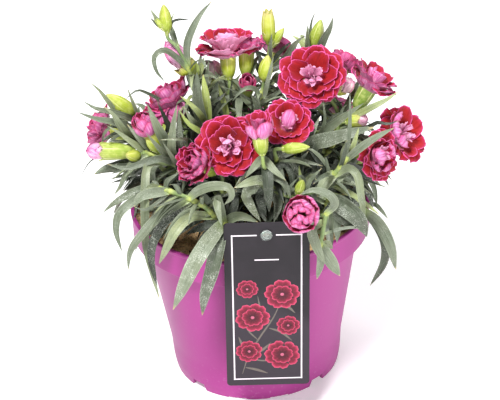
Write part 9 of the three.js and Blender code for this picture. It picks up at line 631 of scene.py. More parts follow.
            (6.2, "g", 0.3, [(-60.1, 5, 160.5, 0.85, 0.01, 0.53), (-60.5, 2, 161.3, 0.9, -0.43, 0.03), (-72.5, -20, 178.3, 0.75, -0.63, -0.19), (-76.9, -26, 190.1, 0.37, -0.91, -0.21), (-80.4, -28, 198.8, 0.33, -0.94, 0.07), (-85.4, -28, 203.9, 0.27, -0.92, 0.27)]),
            (2, "d", 0.3, [(-67.5, -5, 183.8, 0.55, -0.78, 0.3), (-78, -11.4, 190.7, 0.29, -0.84, 0.46), (-92.1, -12.2, 191.2, 0, -0.86, 0.51)]),
            (3.5, "g", 0.3, [(-63.9, 5.7, 162.3, 0.69, -0.05, -0.72), (-63.6, 2, 162.9, 0.81, -0.58, -0.05), (-81.1, -20, 185.7, 0.74, -0.67, 0.03), (-86.1, -22, 182.9, -0.25, -0.95, 0.16), (-88.7, -20, 173.6, -0.23, -0.96, -0.14)]),
            (6.2, "g", 0.3, [(-54.6, 4, 157.7, 0.07, -0.19, -0.98), (-54.5, 2, 158.1, 0.51, -0.45, -0.73), (-59.4, -24, 171.3, 0.86, -0.47, -0.19), (-66.4, -30, 183.4, 0.41, -0.91, -0.02), (-71.8, -30, 191.9, 0.25, -0.95, 0.16)]),
            (4.7, "gy", 0.3, [(-54.6, 4, 157.7, 0.86, -0.51, 0.03), (-55.7, 3.6, 157.2, 0.72, -0.38, -0.58), (-60.7, -23.5, 168.3, 0.92, -0.38, 0.03), (-70.7, -28.8, 179.4, 0.45, -0.88, 0.13), (-77.5, -28.2, 185.6, 0.17, -0.91, 0.39), (-84.5, -25.7, 189.4, 0.04, -0.87, 0.49)]),
            (3.7, "d", 0.3, [(-67.2, 6.2, 163.7, -0.92, -0.23, 0.32), (-66.6, 5, 164.3, 0.19, -0.93, 0.32), (-77.2, 8, 174.6, 0.14, -0.93, 0.33), (-82.7, 10, 185.1, 0.14, -0.96, 0.26)]),
        ],
        "more": [
            (4.8, "gy", 0.06, [(-57.5, 4.5, 159.3, 0.1, 0.5, 0.8), (-64.9, 0.2, 162.8, 0.1, 0.5, 0.9), (-72.9, -3.8, 165.6, 0.1, 0.4, 0.9), (-81.4, -7.2, 167.5, 0, 0.3, 1), (-90.4, -9.7, 167.9, 0, 0.2, 1)]),
            (4.2, "g", 0.17, [(-63.9, 5.7, 162.3, -0.7, -0.7, 0.1), (-65.6, 8.5, 169.2, -0.6, -0.7, 0.2), (-66.7, 11.9, 174.6, -0.6, -0.7, 0.5), (-67, 15.8, 177.5, -0.5, -0.2, 0.8), (-66.4, 20.5, 177.3, -0.5, 0.1, 0.9)]),
            (4.3, "g", 0.14, [(-55.3, -1.4, 165.2, -0.1, -0.7, 0.7), (-57.7, 5.6, 171.4, -0.1, -0.6, 0.8), (-60.7, 12.6, 175.9, -0.1, -0.5, 0.9), (-64.7, 19.4, 177.8, -0.2, -0.2, 1), (-69.7, 26, 176.4, -0.3, 0, 0.9)]),
            (3.6, "g", 0.38, [(-59.2, -3.2, 171.3, 0.2, 0.4, 0.9), (-65.6, -9.5, 175.6, 0.2, 0.3, 0.9), (-72.1, -16, 178.6, 0.1, 0.2, 1), (-78.4, -22.9, 180, -0.1, 0.1, 1), (-84.4, -30.1, 179.1, -0.1, 0, 1)]),
            (2.8, "g", 0.32, [(-61.4, -3.9, 175.5, 0.1, 0.1, 1), (-68.2, -6.4, 176.8, 0.1, 0.1, 1), (-74.9, -9.4, 177, -0.1, 0, 1), (-81.6, -13, 175.7, -0.3, -0.1, 1), (-88, -17.4, 172.6, -0.4, -0.1, 0.9)]),
            (2.7, "d", 0.21, [(-50.9, 1.2, 158.5, -0.4, -0.7, 0.6), (-50.4, 4.7, 163.3, -0.4, -0.7, 0.6), (-49.3, 8.2, 167.6, -0.5, -0.6, 0.7), (-47.6, 11.7, 171.3, -0.4, -0.4, 0.8), (-44.9, 15.1, 174.1, -0.4, -0.4, 0.8)]),
            (5, "g", 0.19, [(-59.2, -3.2, 171.3, 0.3, 0.2, 0.9), (-67.1, -6.9, 174.9, 0.3, 0.2, 0.9), (-74.9, -11.2, 177.1, 0.1, 0.1, 1), (-82.6, -16.3, 177.4, -0.1, 0, 1), (-89.9, -22.1, 175.2, -0.2, -0.1, 1)]),
            (3.8, "g", 0.38, [(-57.5, 4.5, 159.3, 0.1, 0.5, 0.8), (-64.1, 0.2, 162.6, 0, 0.5, 0.8), (-70.5, -4.6, 165.7, 0, 0.5, 0.9), (-76.8, -10, 168.4, -0.1, 0.5, 0.9), (-82.7, -16, 170.5, -0.2, 0.5, 0.9)]),
            (3.6, "g", 0, [(-60.7, 5.2, 160.8, 0, 0.5, 0.8), (-66.2, 1, 163.5, 0, 0.5, 0.8), (-71.8, -3.3, 166, 0, 0.5, 0.9), (-77.6, -7.5, 168.3, 0, 0.5, 0.9), (-83.4, -11.6, 170.1, 0, 0.5, 0.9)]),
            (5, "g", 0.14, [(-63.9, 5.7, 162.3, 0.1, 0.8, 0.6), (-69.1, 2.1, 167.7, 0.1, 0.7, 0.7), (-74.5, -1.5, 171, 0, 0.5, 0.9), (-80.2, -5, 171.5, -0.3, 0.2, 0.9), (-86, -8.3, 168.3, -0.5, 0.1, 0.9)]),
            (4.2, "g", 0.02, [(-63.9, 5.7, 162.3, -0.3, 0, 1), (-70.4, 9.7, 160.2, -0.3, 0, 0.9), (-76.8, 14.4, 157.6, -0.4, 0, 0.9), (-82.8, 20, 154.1, -0.5, 0.1, 0.9), (-88.2, 26.6, 149.6, -0.5, 0.1, 0.8)]),
            (3.9, "d", 0.42, [(-18, 3, 116, 0.2, -0.6, 0.8), (-20.5, 6.3, 119.1, 0.2, -0.5, 0.8), (-22.8, 9.9, 121.1, 0, -0.3, 0.9), (-24.8, 13.9, 121.7, -0.1, 0, 1), (-26.3, 18.2, 120.4, -0.2, 0.2, 1)]),
            (5.3, "d", 0.01, [(-17.6, 3.1, 112.7, -0.7, -0.1, 0.7), (-11.3, 3.7, 119.2, -0.7, -0.1, 0.7), (-4.9, 4.2, 124.8, -0.6, 0, 0.8), (1.7, 4.5, 129.2, -0.5, 0, 0.9), (8.2, 4.5, 131.6, -0.4, 0, 0.9)]),
            (4.5, "d", 0.73, [(-19.3, 2.6, 120, -0.2, -0.7, 0.7), (-19.6, 7.8, 125.7, -0.2, -0.7, 0.7), (-19.7, 13.1, 130.9, -0.2, -0.6, 0.7), (-19.5, 18.5, 135.3, -0.2, -0.5, 0.8), (-19, 23.9, 138.4, -0.2, -0.5, 0.9)]),
            (3.1, "d", 0.38, [(-31.7, 0, 142.5, 0.1, 0.1, 1), (-40, -2.2, 143.4, 0, 0.1, 1), (-48.7, -3.9, 142.5, -0.2, 0, 1), (-57.6, -5, 139.3, -0.5, 0, 0.9), (-66.7, -5.3, 132.9, -0.6, 0, 0.8)]),
            (4.2, "d", 0.3, [(-28.4, 0.3, 137.9, 0.2, 0.3, 1), (-33.9, -3.3, 139.8, 0, 0.2, 1), (-39.3, -7.3, 140, -0.2, 0, 1), (-44.5, -11.8, 137.7, -0.5, -0.2, 0.9), (-49.4, -16.8, 132.3, -0.5, -0.3, 0.8)]),
            (4.7, "d", 0.32, [(-25.3, 0.9, 132.8, -0.5, 0.6, 0.6), (-24.2, -4.5, 139.5, -0.4, 0.6, 0.7), (-23.3, -10, 144.4, -0.3, 0.5, 0.8), (-22.7, -15.7, 146.9, -0.2, 0.1, 1), (-22.3, -21.4, 146.1, -0.2, -0.2, 1)]),
            (3.8, "g", 0.11, [(-55.3, -1.4, 165.2, 0.1, 0.2, 1), (-61.5, -6.9, 167.2, 0.1, 0.2, 1), (-67.9, -12.5, 168.9, 0.1, 0.1, 1), (-74.6, -17.9, 169.9, 0, 0.1, 1), (-81.4, -23.2, 170.3, 0, 0.1, 1)]),
            (3.1, "gy", 0.39, [(-55.3, -1.4, 165.2, 0, 0.5, 0.9), (-57.1, -6, 167.5, -0.1, 0.5, 0.9), (-58.5, -10.8, 169.7, -0.2, 0.4, 0.9), (-59.4, -16, 171.7, -0.2, 0.3, 0.9), (-59.5, -21.5, 173.2, -0.2, 0.3, 0.9)]),
            (5.7, "d", 0, [(-36.5, 0.3, 147.3, -1, -0.1, -0.2), (-38.2, 1.1, 156.2, -0.9, -0.3, -0.2), (-40, 2, 161.4, 0.4, -0.7, 0.5), (-41.7, 3, 161.5, -0.8, 0.3, 0.5), (-43.4, 4, 154.9, -0.9, 0.3, 0.3)]),
            (4.7, "g", 0, [(-60.7, 5.2, 160.8, -0.3, -0.2, 0.9), (-64.6, 10.9, 160.8, -0.4, -0.1, 0.9), (-68.3, 17.1, 159, -0.5, 0.1, 0.9), (-71.6, 23.7, 154.8, -0.6, 0.4, 0.7), (-74.3, 30.7, 147.4, -0.6, 0.4, 0.6)]),
            (3.1, "d", 0.38, [(-28.4, 0.3, 137.9, -1, 0.2, 0.2), (-27.6, -0.5, 144.2, -1, 0.2, 0.2), (-26.7, -1.2, 150, -1, 0.2, 0.2), (-25.8, -1.9, 155.1, -0.9, 0.2, 0.2), (-24.9, -2.6, 159.1, -0.9, 0.2, 0.3)]),
            (4.5, "d", 0.33, [(-50.9, 1.2, 158.5, 0.3, -0.7, 0.7), (-53.3, 3.2, 161.3, 0.2, -0.6, 0.8), (-56, 5.1, 162.4, -0.2, -0.2, 1), (-58.7, 6.9, 161.1, -0.7, 0.1, 0.7), (-61.6, 8.6, 156.8, -0.8, 0.1, 0.6)]),
            (4.3, "d", 0.07, [(-21.3, 2, 124.9, -0.1, 0.5, 0.9), (-23.4, -7.7, 130.1, -0.1, 0.4, 0.9), (-25, -17.8, 132, -0.2, 0, 1), (-26, -28.2, 129.3, -0.2, -0.5, 0.9), (-26.1, -38.8, 120.7, -0.2, -0.6, 0.8)]),
            (3.7, "d", 0.3, [(-33.4, 0, 144.4, -0.1, -0.4, 0.9), (-37.9, 8.3, 147.8, -0.2, -0.3, 0.9), (-42.7, 16.8, 148.6, -0.3, 0, 1), (-47.6, 25.3, 145.7, -0.5, 0.2, 0.8), (-52.8, 33.7, 138.2, -0.6, 0.3, 0.8)]),
            (5.6, "d", 0.09, [(-26.8, 0.6, 135.4, 0.4, -0.1, 0.9), (-36.5, 1.4, 139.4, 0.3, -0.1, 1), (-46.5, 1.4, 141.7, 0.1, 0, 1), (-56.9, 0.4, 141.8, -0.1, 0, 1), (-67.3, -2, 138.9, -0.3, 0, 1)]),
            (3.1, "d", 0.41, [(-31.7, 0, 142.5, -0.9, -0.1, 0.4), (-29.8, 0.6, 147.2, -0.9, -0.1, 0.5), (-27.7, 1.1, 150, -0.5, -0.1, 0.8), (-25.6, 1.6, 150, 0.6, 0.2, 0.7), (-23.5, 1.9, 146.2, 0.8, 0.3, 0.5)]),
            (3.4, "d", 0.18, [(-47.4, 2.6, 154.1, -0.3, -0.2, 0.9), (-49.3, 6.8, 154.2, -0.4, 0, 0.9), (-51, 11.1, 152.5, -0.5, 0.3, 0.8), (-52.6, 15.6, 148.5, -0.6, 0.5, 0.6), (-54.1, 20.2, 141.5, -0.7, 0.5, 0.5)]),
            (4, "d", 0.25, [(-19.3, 2.6, 120, -0.3, 0.6, 0.8), (-18.8, -4.8, 126.1, -0.2, 0.5, 0.8), (-19.3, -12.6, 130.1, -0.1, 0.3, 0.9), (-21.1, -20.7, 131.2, -0.2, 0, 1), (-24.6, -28.9, 128.6, -0.2, -0.2, 1)]),
            (5.5, "d", 0.45, [(-19.3, 2.6, 120, 0.5, -0.3, 0.8), (-26.8, 4.9, 124.9, 0.4, -0.3, 0.9), (-34.5, 7.5, 128.2, 0.2, -0.2, 1), (-42.1, 10.7, 129.4, -0.1, -0.1, 1), (-49.6, 14.3, 127.8, -0.2, 0, 1)]),
            (4.9, "d", 0.41, [(-36.5, 0.3, 147.3, 0, 0.2, 1), (-41.5, -1.7, 147.8, -0.1, 0.2, 1), (-46.9, -3.4, 146.8, -0.4, 0.1, 0.9), (-52.5, -4.5, 143.8, -0.6, 0, 0.8), (-58.4, -5, 138.3, -0.7, 0, 0.7)]),
            (4.3, "g", 0, [(-60.7, 5.2, 160.8, -0.4, -0.8, 0.3), (-62.8, 8.9, 167, -0.4, -0.8, 0.5), (-64.9, 12.8, 170.9, -0.3, -0.6, 0.8), (-66.8, 16.9, 171.6, -0.5, 0.1, 0.9), (-68.4, 21.1, 168.2, -0.6, 0.4, 0.7)]),
            (4.2, "d", 0.12, [(-47.4, 2.6, 154.1, -0.2, 0, 1), (-52.8, 4.3, 152.9, -0.3, 0, 1), (-58.4, 6.2, 150.9, -0.4, 0.1, 0.9), (-63.9, 8.2, 147.8, -0.5, 0.1, 0.8), (-69.4, 10.3, 143.3, -0.6, 0.2, 0.8)]),
            (3.3, "d", 0.42, [(-17.6, 3.1, 112.7, -0.6, -0.3, 0.7), (-13.5, 4.9, 116.9, -0.6, -0.3, 0.8), (-9.5, 6.9, 120.5, -0.5, -0.3, 0.8), (-5.4, 9.2, 123.5, -0.4, -0.2, 0.9), (-1.5, 11.7, 125.3, -0.3, -0.2, 0.9)]),
            (3.3, "d", 0.27, [(-18, 3, 116, 0.5, 0, 0.8), (-26.7, 2.2, 121.5, 0.4, 0, 0.9), (-35.7, 1.8, 124.6, 0.2, 0, 1), (-44.9, 1.8, 124.4, -0.3, 0, 1), (-54.2, 2.6, 119.7, -0.5, 0, 0.9)]),
            (3.9, "d", 0.11, [(-26.8, 0.6, 135.4, -0.9, 0.3, 0.2), (-25.2, -1.2, 144.4, -0.9, 0.3, 0.3), (-23.4, -2.8, 151.7, -0.9, 0.3, 0.4), (-21.2, -4.3, 156.4, -0.7, 0.2, 0.7), (-18.7, -5.4, 157.7, -0.4, 0, 0.9)]),
            (4.7, "d", 0.12, [(-50.9, 1.2, 158.5, -0.4, 0.4, 0.8), (-49.7, -3.7, 161.8, -0.4, 0.4, 0.8), (-48.3, -8.7, 164.7, -0.4, 0.3, 0.9), (-46.8, -13.8, 166.8, -0.4, 0.2, 0.9), (-45.1, -18.8, 167.9, -0.3, 0.1, 0.9)]),
            (4.3, "g", 0.35, [(-55.3, -1.4, 165.2, -0.4, 0.4, 0.8), (-53.8, -8.1, 168.7, -0.3, 0.2, 0.9), (-51.6, -14.8, 169.6, -0.2, -0.2, 1), (-48.7, -21.5, 166.8, 0, -0.6, 0.8), (-45, -28, 159.3, 0, -0.8, 0.7)]),
            (4.4, "g", 0.12, [(-55.3, -1.4, 165.2, 0, -0.3, 1), (-63.7, 3.6, 167, -0.1, -0.2, 1), (-72.5, 8.2, 165.9, -0.4, -0.1, 0.9), (-81.9, 12.3, 160.6, -0.6, 0, 0.8), (-91.7, 15.6, 149.9, -0.7, 0, 0.7)]),
        ],
        "calyxes": [(4.4, (-74.3, 3.3, 165.4), (-87.2, 3.8, 170.8))],
        "buds": [(4.9, (-68.7, -5, 185.3), (-84.6, -7, 200.7), "green")],
    },
    "shoot_14": {
        "stems": [
            (1.5, 1.2, [(-16, -9, 109.3), (-16, -9, 116), (-27.1, -26, 146.7), (-46.4, -30, 164.2), (-59.4, -30, 170.5), (-63.6, -25.7, 170), (-69.4, -26.1, 170.6)]),
            (1.5, 1.2, [(-61.6, -27.7, 170.4), (-66.7, -29.5, 169.3)]),
        ],
        "leaves": [
            (4.7, "g", 0.3, [(-44.5, -29.8, 162.9, 0.18, -0.95, 0.25), (-44.1, -30, 161.9, 0.78, -0.63, 0.03), (-53, -40, 172.6, 0.67, -0.67, 0.32), (-63.2, -44, 172.3, 0.19, -0.82, 0.53), (-73.6, -46, 170.5, 0.01, -0.86, 0.51), (-84.9, -44, 172.8, -0.05, -0.86, 0.52)]),
            (3.3, "d", 0.3, [(-59.4, -30, 169.8, -0.78, -0.63, 0.04), (-66.2, -22, 162.2, -0.42, -0.81, 0.4), (-77.1, -24, 163.2, 0.05, -0.86, 0.51), (-87.1, -24, 161, -0.11, -0.87, 0.48)]),
            (3.3, "d", 0.3, [(-58.4, -30.3, 170.2, 0.1, -0.96, -0.26), (-58.3, -30, 169, -0.5, -0.85, 0.15), (-68.7, -26, 160.4, -0.29, -0.88, 0.38), (-77.3, -28, 159.2, -0.01, -0.86, 0.5), (-84.3, -28, 156.7, -0.16, -0.87, 0.46)]),
            (3.7, "d", 0.3, [(-53.4, -30.7, 168.2, -0.42, -0.91, -0.01), (-54.8, -30, 166, -0.53, -0.84, 0.11), (-66.7, -24, 154.9, -0.36, -0.87, 0.35), (-75.9, -26, 154.4, 0.02, -0.86, 0.51), (-85.3, -26, 152.1, -0.12, -0.87, 0.48)]),
            (3.1, "d", 0.3, [(-52, -30.6, 167.5, -0.34, -0.94, 0.01), (-53.7, -30, 164.6, -0.54, -0.84, 0.01), (-65.8, -22, 150.1, -0.42, -0.86, 0.3), (-75.6, -24, 150.4, -0.08, -0.87, 0.5), (-85.8, -22, 147, -0.31, -0.85, 0.43)]),
            (3.7, "g", 0.3, [(-59.9, -29.7, 170.6, -0.06, -0.89, 0.45), (-60.6, -30, 169.9, 0.11, -0.83, 0.55), (-71.1, -34, 166.4, -0.01, -0.86, 0.5), (-75.3, -36, 159.4, -0.17, -0.96, 0.22), (-78.9, -36, 151.9, -0.31, -0.95, 0.04), (-83.1, -34, 145.3, -0.42, -0.91, -0.01)]),
            (1.9, "d", 0.3, [(-54.8, -30.7, 168.8, -0.34, -0.94, -0.09), (-56, -31.9, 167.2, -0.54, -0.84, 0.05), (-70.1, -24.8, 152.8, -0.48, -0.87, 0.1), (-74.8, -25.6, 147.8, -0.36, -0.93, 0.11), (-79.1, -24.3, 141.6, -0.42, -0.91, 0)]),
            (1.2, "d", 0.3, [(-63.7, -28.4, 170, -0.91, -0.2, 0.36), (-63, -30, 170.7, -0.4, -0.78, 0.48), (-84.4, -20, 166.3, -0.36, -0.81, 0.46), (-95.7, -20, 162.8, -0.26, -0.91, 0.32), (-104.8, -20, 149.8, -0.26, -0.95, 0.18)]),
            (5.3, "g", 0.3, [(-46.4, -30, 164.2, -0.21, -0.89, 0.42), (-47.6, -30, 163.5, 0.74, -0.54, 0.4), (-60.3, -44, 170.7, 0.45, -0.42, 0.79), (-62.7, -54, 159.3, 0.01, -0.8, 0.6), (-63.4, -62, 146.6, -0.01, -0.96, 0.29), (-64.2, -64, 126.6, 0.02, -1, 0), (-62, -62, 105.9, 0.09, -0.99, -0.12), (-58.7, -58, 81.9, 0.11, -0.98, -0.15)]),
            (4, "g", 0.3, [(-50.6, -30.4, 166.7, -0.51, -0.85, -0.1), (-51.1, -30, 165.8, 0.1, -0.82, 0.56), (-58, -34, 162.9, -0.1, -0.96, 0.25), (-57.8, -34, 147.4, 0.01, -1, 0)]),
            (4.3, "gy", 0.3, [(-36.3, -28.9, 156.5, 0.55, -0.75, -0.37), (-35.9, -22.7, 152.3, 0.73, -0.68, 0.07), (-41.6, -26, 157.3, 0.74, -0.59, 0.32), (-48.8, -29.8, 157, 0.62, -0.76, 0.2), (-57.7, -31.9, 167, 0.47, -0.88, 0.06)]),
            (5, "d", 0.3, [(-36.3, -28.9, 156.5, -0.51, -0.79, 0.34), (-38.3, -31.6, 157.6, -0.18, -0.91, 0.38), (-44.8, -35.4, 153.2, 0.08, -0.86, 0.51), (-55.5, -36.9, 158.9, 0.19, -0.88, 0.43)]),
        ],
        "more": [
            (5.4, "d", 0.35, [(-24.4, -23.7, 142, 0.2, -0.1, 1), (-35.4, -25.9, 144.5, 0.1, -0.1, 1), (-46.8, -27.8, 143.6, -0.2, -0.2, 0.9), (-58.4, -29.2, 137.9, -0.6, -0.2, 0.8), (-70.1, -30.1, 125.9, -0.7, -0.3, 0.7)]),
            (2.7, "d", 0, [(-44.8, -29.9, 163.1, -0.9, -0.3, 0.3), (-44, -29, 167.1, -0.9, -0.3, 0.3), (-42.9, -28.2, 170.5, -0.9, -0.2, 0.4), (-41.5, -27.7, 172.9, -0.7, -0.1, 0.7), (-39.6, -27.4, 174, -0.5, 0, 0.9)]),
            (3.4, "g", 0, [(-57.7, -30.5, 170, -0.3, 0.2, 0.9), (-63.9, -32.4, 168.5, -0.3, 0.2, 0.9), (-70.2, -34.5, 166.2, -0.4, 0.1, 0.9), (-76.6, -36.7, 163, -0.5, 0.1, 0.8), (-83, -39.1, 158.7, -0.6, 0.1, 0.8)]),
            (3.4, "d", 0.41, [(-16, -9, 116, 0.2, 0.2, 1), (-21.1, -16.8, 118.8, 0.1, 0.2, 1), (-25.9, -25.2, 120, 0, 0, 1), (-30.3, -33.9, 118.9, -0.1, -0.2, 1), (-34.1, -43, 114.8, -0.2, -0.3, 0.9)]),
            (3.3, "d", 0.37, [(-18.9, -15.1, 128.1, 0.3, -0.1, 0.9), (-28.4, -19.3, 131.4, 0.3, -0.1, 0.9), (-38, -23.9, 134, 0.2, -0.1, 1), (-47.5, -28.8, 135.6, 0.2, -0.1, 1), (-56.8, -34.2, 136, 0.1, -0.1, 1)]),
            (3.7, "d", 0.18, [(-34.6, -28.6, 155, -1, -0.2, 0.2), (-33.6, -28.3, 160.6, -1, -0.1, 0.2), (-32.4, -28.5, 166, -1, 0, 0.3), (-30.8, -29.3, 171, -0.9, 0.2, 0.4), (-28.8, -30.7, 175.5, -0.9, 0.2, 0.4)]),
            (5, "d", 0.06, [(-25.7, -25, 144.4, 0, -0.8, 0.6), (-28.1, -20.4, 150.3, -0.1, -0.7, 0.7), (-30.1, -15.3, 153.4, -0.2, -0.3, 0.9), (-31.5, -9.9, 152.7, -0.4, 0.4, 0.8), (-32.2, -4.1, 146.8, -0.5, 0.6, 0.7)]),
            (4.4, "d", 0, [(-34.6, -28.6, 155, -0.3, 0.2, 0.9), (-36.2, -33, 155.5, -0.3, 0.1, 0.9), (-37.9, -37.5, 155.3, -0.3, 0, 0.9), (-39.5, -42.1, 154.2, -0.4, -0.2, 0.9), (-41.2, -46.6, 151.9, -0.4, -0.3, 0.9)]),
            (2.8, "g", 0, [(-41.5, -29.5, 160.7, -0.3, -0.8, 0.5), (-42.6, -26, 164.9, -0.3, -0.7, 0.6), (-43.5, -22.3, 168.1, -0.4, -0.6, 0.7), (-44.1, -18.3, 169.9, -0.4, -0.2, 0.9), (-44.2, -14.3, 169.9, -0.4, 0, 0.9)]),
            (5.1, "d", 0.53, [(-18.9, -15.1, 128.1, -0.8, -0.2, 0.5), (-15.2, -16, 134, -0.8, -0.2, 0.5), (-11.2, -16.4, 139.5, -0.8, -0.3, 0.6), (-7.1, -16.4, 144.1, -0.7, -0.3, 0.7), (-2.8, -15.8, 147.7, -0.6, -0.3, 0.7)]),
            (2.9, "d", 0, [(-24.4, -23.7, 142, -0.6, -0.8, 0.2), (-24.1, -22.7, 147.5, -0.5, -0.9, 0.2), (-24.3, -21.4, 151.5, -0.2, -0.9, 0.4), (-24.9, -19.9, 153.3, -0.2, -0.3, 1), (-26.3, -18.1, 152.1, -0.5, 0.2, 0.8)]),
            (3.2, "g", 0, [(-34.6, -28.6, 155, -0.9, 0.4, 0), (-35.5, -30.2, 163.7, -0.9, 0.4, 0), (-36.1, -32, 172.1, -0.9, 0.5, 0.1), (-36.4, -34, 179.9, -0.9, 0.5, 0.1), (-36.4, -36.3, 186.7, -0.8, 0.5, 0.2)]),
            (3.5, "d", 0.3, [(-25.7, -25, 144.4, 0.2, 0, 1), (-33.4, -28.1, 145.6, 0.1, 0, 1), (-41.4, -31.2, 146.3, 0.1, -0.1, 1), (-49.6, -34, 146.5, 0, -0.1, 1), (-57.8, -36.6, 145.9, 0, -0.1, 1)]),
            (3.3, "g", 0.16, [(-41.5, -29.5, 160.7, 0, -0.2, 1), (-49.6, -26.3, 161.7, 0, -0.2, 1), (-58.2, -23.4, 162, -0.1, -0.1, 1), (-67, -20.9, 161.1, -0.2, -0.1, 1), (-76.1, -19.1, 158.7, -0.3, -0.1, 1)]),
            (2.8, "d", 0.04, [(-38, -29.1, 158, -0.2, 0.1, 1), (-42.4, -33.6, 157.4, -0.3, 0.1, 1), (-46.7, -38.3, 155.9, -0.4, 0, 0.9), (-50.8, -43.5, 153.5, -0.5, -0.2, 0.9), (-54.5, -48.9, 149.8, -0.5, -0.2, 0.8)]),
            (3.4, "g", 0, [(-44.8, -29.9, 163.1, -0.2, -0.1, 1), (-52.8, -26.1, 162.2, -0.3, -0.1, 1), (-61.2, -22.4, 158.8, -0.5, 0, 0.9), (-69.8, -19, 152, -0.7, 0.1, 0.7), (-78.5, -15.9, 141, -0.8, 0.1, 0.6)]),
            (5, "d", 0.13, [(-41.5, -29.5, 160.7, 0.1, -0.5, 0.9), (-46.2, -26, 163, 0, -0.4, 0.9), (-51, -22.1, 164.9, 0, -0.4, 0.9), (-55.7, -18, 166.3, -0.1, -0.3, 0.9), (-60.2, -13.7, 167, -0.1, -0.3, 0.9)]),
            (5, "d", 0.48, [(-16.8, -10.7, 120.3, -0.8, -0.2, 0.6), (-12.1, -11.4, 126.3, -0.7, -0.2, 0.7), (-7.2, -12.2, 130.5, -0.5, -0.2, 0.8), (-2.2, -12.8, 132.2, 0, -0.2, 1), (2.8, -13.3, 130.4, 0.3, -0.3, 0.9)]),
            (5, "d", 0.04, [(-21.9, -20.5, 136.6, -0.2, -1, 0.2), (-22.6, -17.9, 147.4, 0, -1, 0.3), (-25.1, -15.3, 155.8, 0.3, -0.8, 0.5), (-29.9, -12.5, 160.9, 0.2, -0.4, 0.9), (-37.6, -9.6, 161.5, 0, -0.3, 1)]),
            (3.7, "d", 0.12, [(-24.4, -23.7, 142, 0.2, 0, 1), (-30.2, -26.8, 143.6, 0.1, 0, 1), (-36.2, -29.9, 143.2, -0.2, -0.2, 1), (-42.3, -33, 140.3, -0.5, -0.3, 0.8), (-48.4, -36.1, 133.9, -0.6, -0.4, 0.7)]),
            (3.4, "d", 0.29, [(-24.4, -23.7, 142, 0.3, -0.7, 0.7), (-31.1, -19.2, 149.4, 0.3, -0.6, 0.7), (-38.3, -15, 155.3, 0.3, -0.5, 0.8), (-45.9, -11.3, 158.8, 0.1, -0.3, 0.9), (-53.9, -8.1, 159.3, 0, -0.3, 1)]),
            (4.1, "d", 0.22, [(-21.9, -20.5, 136.6, 0.3, 0, 1), (-29.8, -24.8, 139, 0.2, 0, 1), (-38.4, -28.5, 140.5, 0.1, -0.1, 1), (-47.6, -31.4, 140.8, 0, -0.2, 1), (-57.5, -33, 139.6, -0.1, -0.2, 1)]),
            (4.5, "g", 0, [(-51.1, -30.5, 167, -0.2, -0.2, 1), (-59.7, -25.5, 166.1, -0.3, -0.1, 0.9), (-68.4, -19.9, 163.3, -0.4, 0, 0.9), (-76.8, -13.5, 158.2, -0.6, 0.1, 0.8), (-84.8, -6.5, 150, -0.7, 0.1, 0.7)]),
            (2.9, "g", 0.37, [(-57.7, -30.5, 170, -0.3, 0.3, 0.9), (-62.4, -34.6, 169.5, -0.4, 0.2, 0.9), (-67.7, -38.4, 167.1, -0.6, 0.1, 0.8), (-73.4, -41.8, 162, -0.7, 0, 0.7), (-79.7, -44.6, 153.7, -0.8, 0, 0.6)]),
            (4.7, "d", 0.24, [(-25.7, -25, 144.4, 0.2, -0.3, 1), (-35.8, -22.8, 146.7, 0.1, -0.3, 1), (-46.1, -19.6, 147.7, -0.1, -0.2, 1), (-56.3, -15.4, 146.6, -0.3, -0.1, 0.9), (-66.2, -9.8, 143.1, -0.4, -0.1, 0.9)]),
            (5.1, "g", 0, [(-41.5, -29.5, 160.7, -0.2, 0.1, 1), (-47.1, -32.7, 160.1, -0.2, 0.1, 1), (-52.7, -36.2, 158.5, -0.4, 0, 0.9), (-58.1, -40.3, 155.4, -0.5, -0.1, 0.8), (-63.2, -44.9, 150.5, -0.6, -0.2, 0.8)]),
            (2.9, "d", 0.61, [(-16.8, -10.7, 120.3, -0.7, 0.1, 0.7), (-12.4, -13.6, 125.2, -0.7, 0.1, 0.7), (-7.8, -16.6, 129.8, -0.6, 0.1, 0.8), (-3.1, -19.6, 133.8, -0.6, 0.1, 0.8), (1.4, -22.7, 137.1, -0.5, 0.1, 0.8)]),
        ],
        "calyxes": [],
        "buds": [(3.6, (-66.2, -29, 168.9), (-73.6, -36, 173.9), "green")],
    },
    "shoot_15": {
        "stems": [
            (2.1, 1.5, [(-11, -17, 109.3), (-11, -17, 116), (-20.5, -58, 139.2), (-27.2, -62, 150.1), (-35.7, -65, 157.9), (-44.4, -65, 162.5), (-50.3, -63, 164.1), (-55.1, -61, 164.3)]),
        ],
        "leaves": [
            (6.2, "g", 0.3, [(-47.3, -64, 163.5, 0.37, -0.79, 0.49), (-57.9, -68, 165, 0.28, -0.8, 0.52), (-65.1, -70, 163.9, -0.26, -0.91, 0.33), (-69.2, -68, 156, -0.37, -0.93, -0.04)]),
            (2.9, "g", 0.3, [(-49.7, -63, 163.7, -0.16, -0.93, -0.33), (-48.6, -66, 171.6, -0.44, -0.9, -0.03), (-40.5, -68, 178.4, -0.41, -0.88, 0.23)]),
            (3.5, "g", 0.3, [(-53.3, -62, 164, 0.53, -0.82, 0.21), (-57.8, -64, 167.5, 0.49, -0.76, 0.42), (-62, -66, 166.9, 0.28, -0.77, 0.57)]),
            (2.5, "g", 0.3, [(-54.5, -61, 164.2, 0.06, -0.94, 0.34), (-55.5, -60, 167.2, -0.1, -0.79, 0.61), (-57.9, -58, 167.5, -0.43, -0.63, 0.65)]),
            (2.2, "g", 0.3, [(-47.4, -64, 162.8, 0.25, -0.72, 0.65), (-55.3, -70, 159.2, 0.05, -0.84, 0.53), (-62.7, -70, 154.8, -0.24, -0.85, 0.46), (-68.7, -68, 156, -0.16, -0.82, 0.55)]),
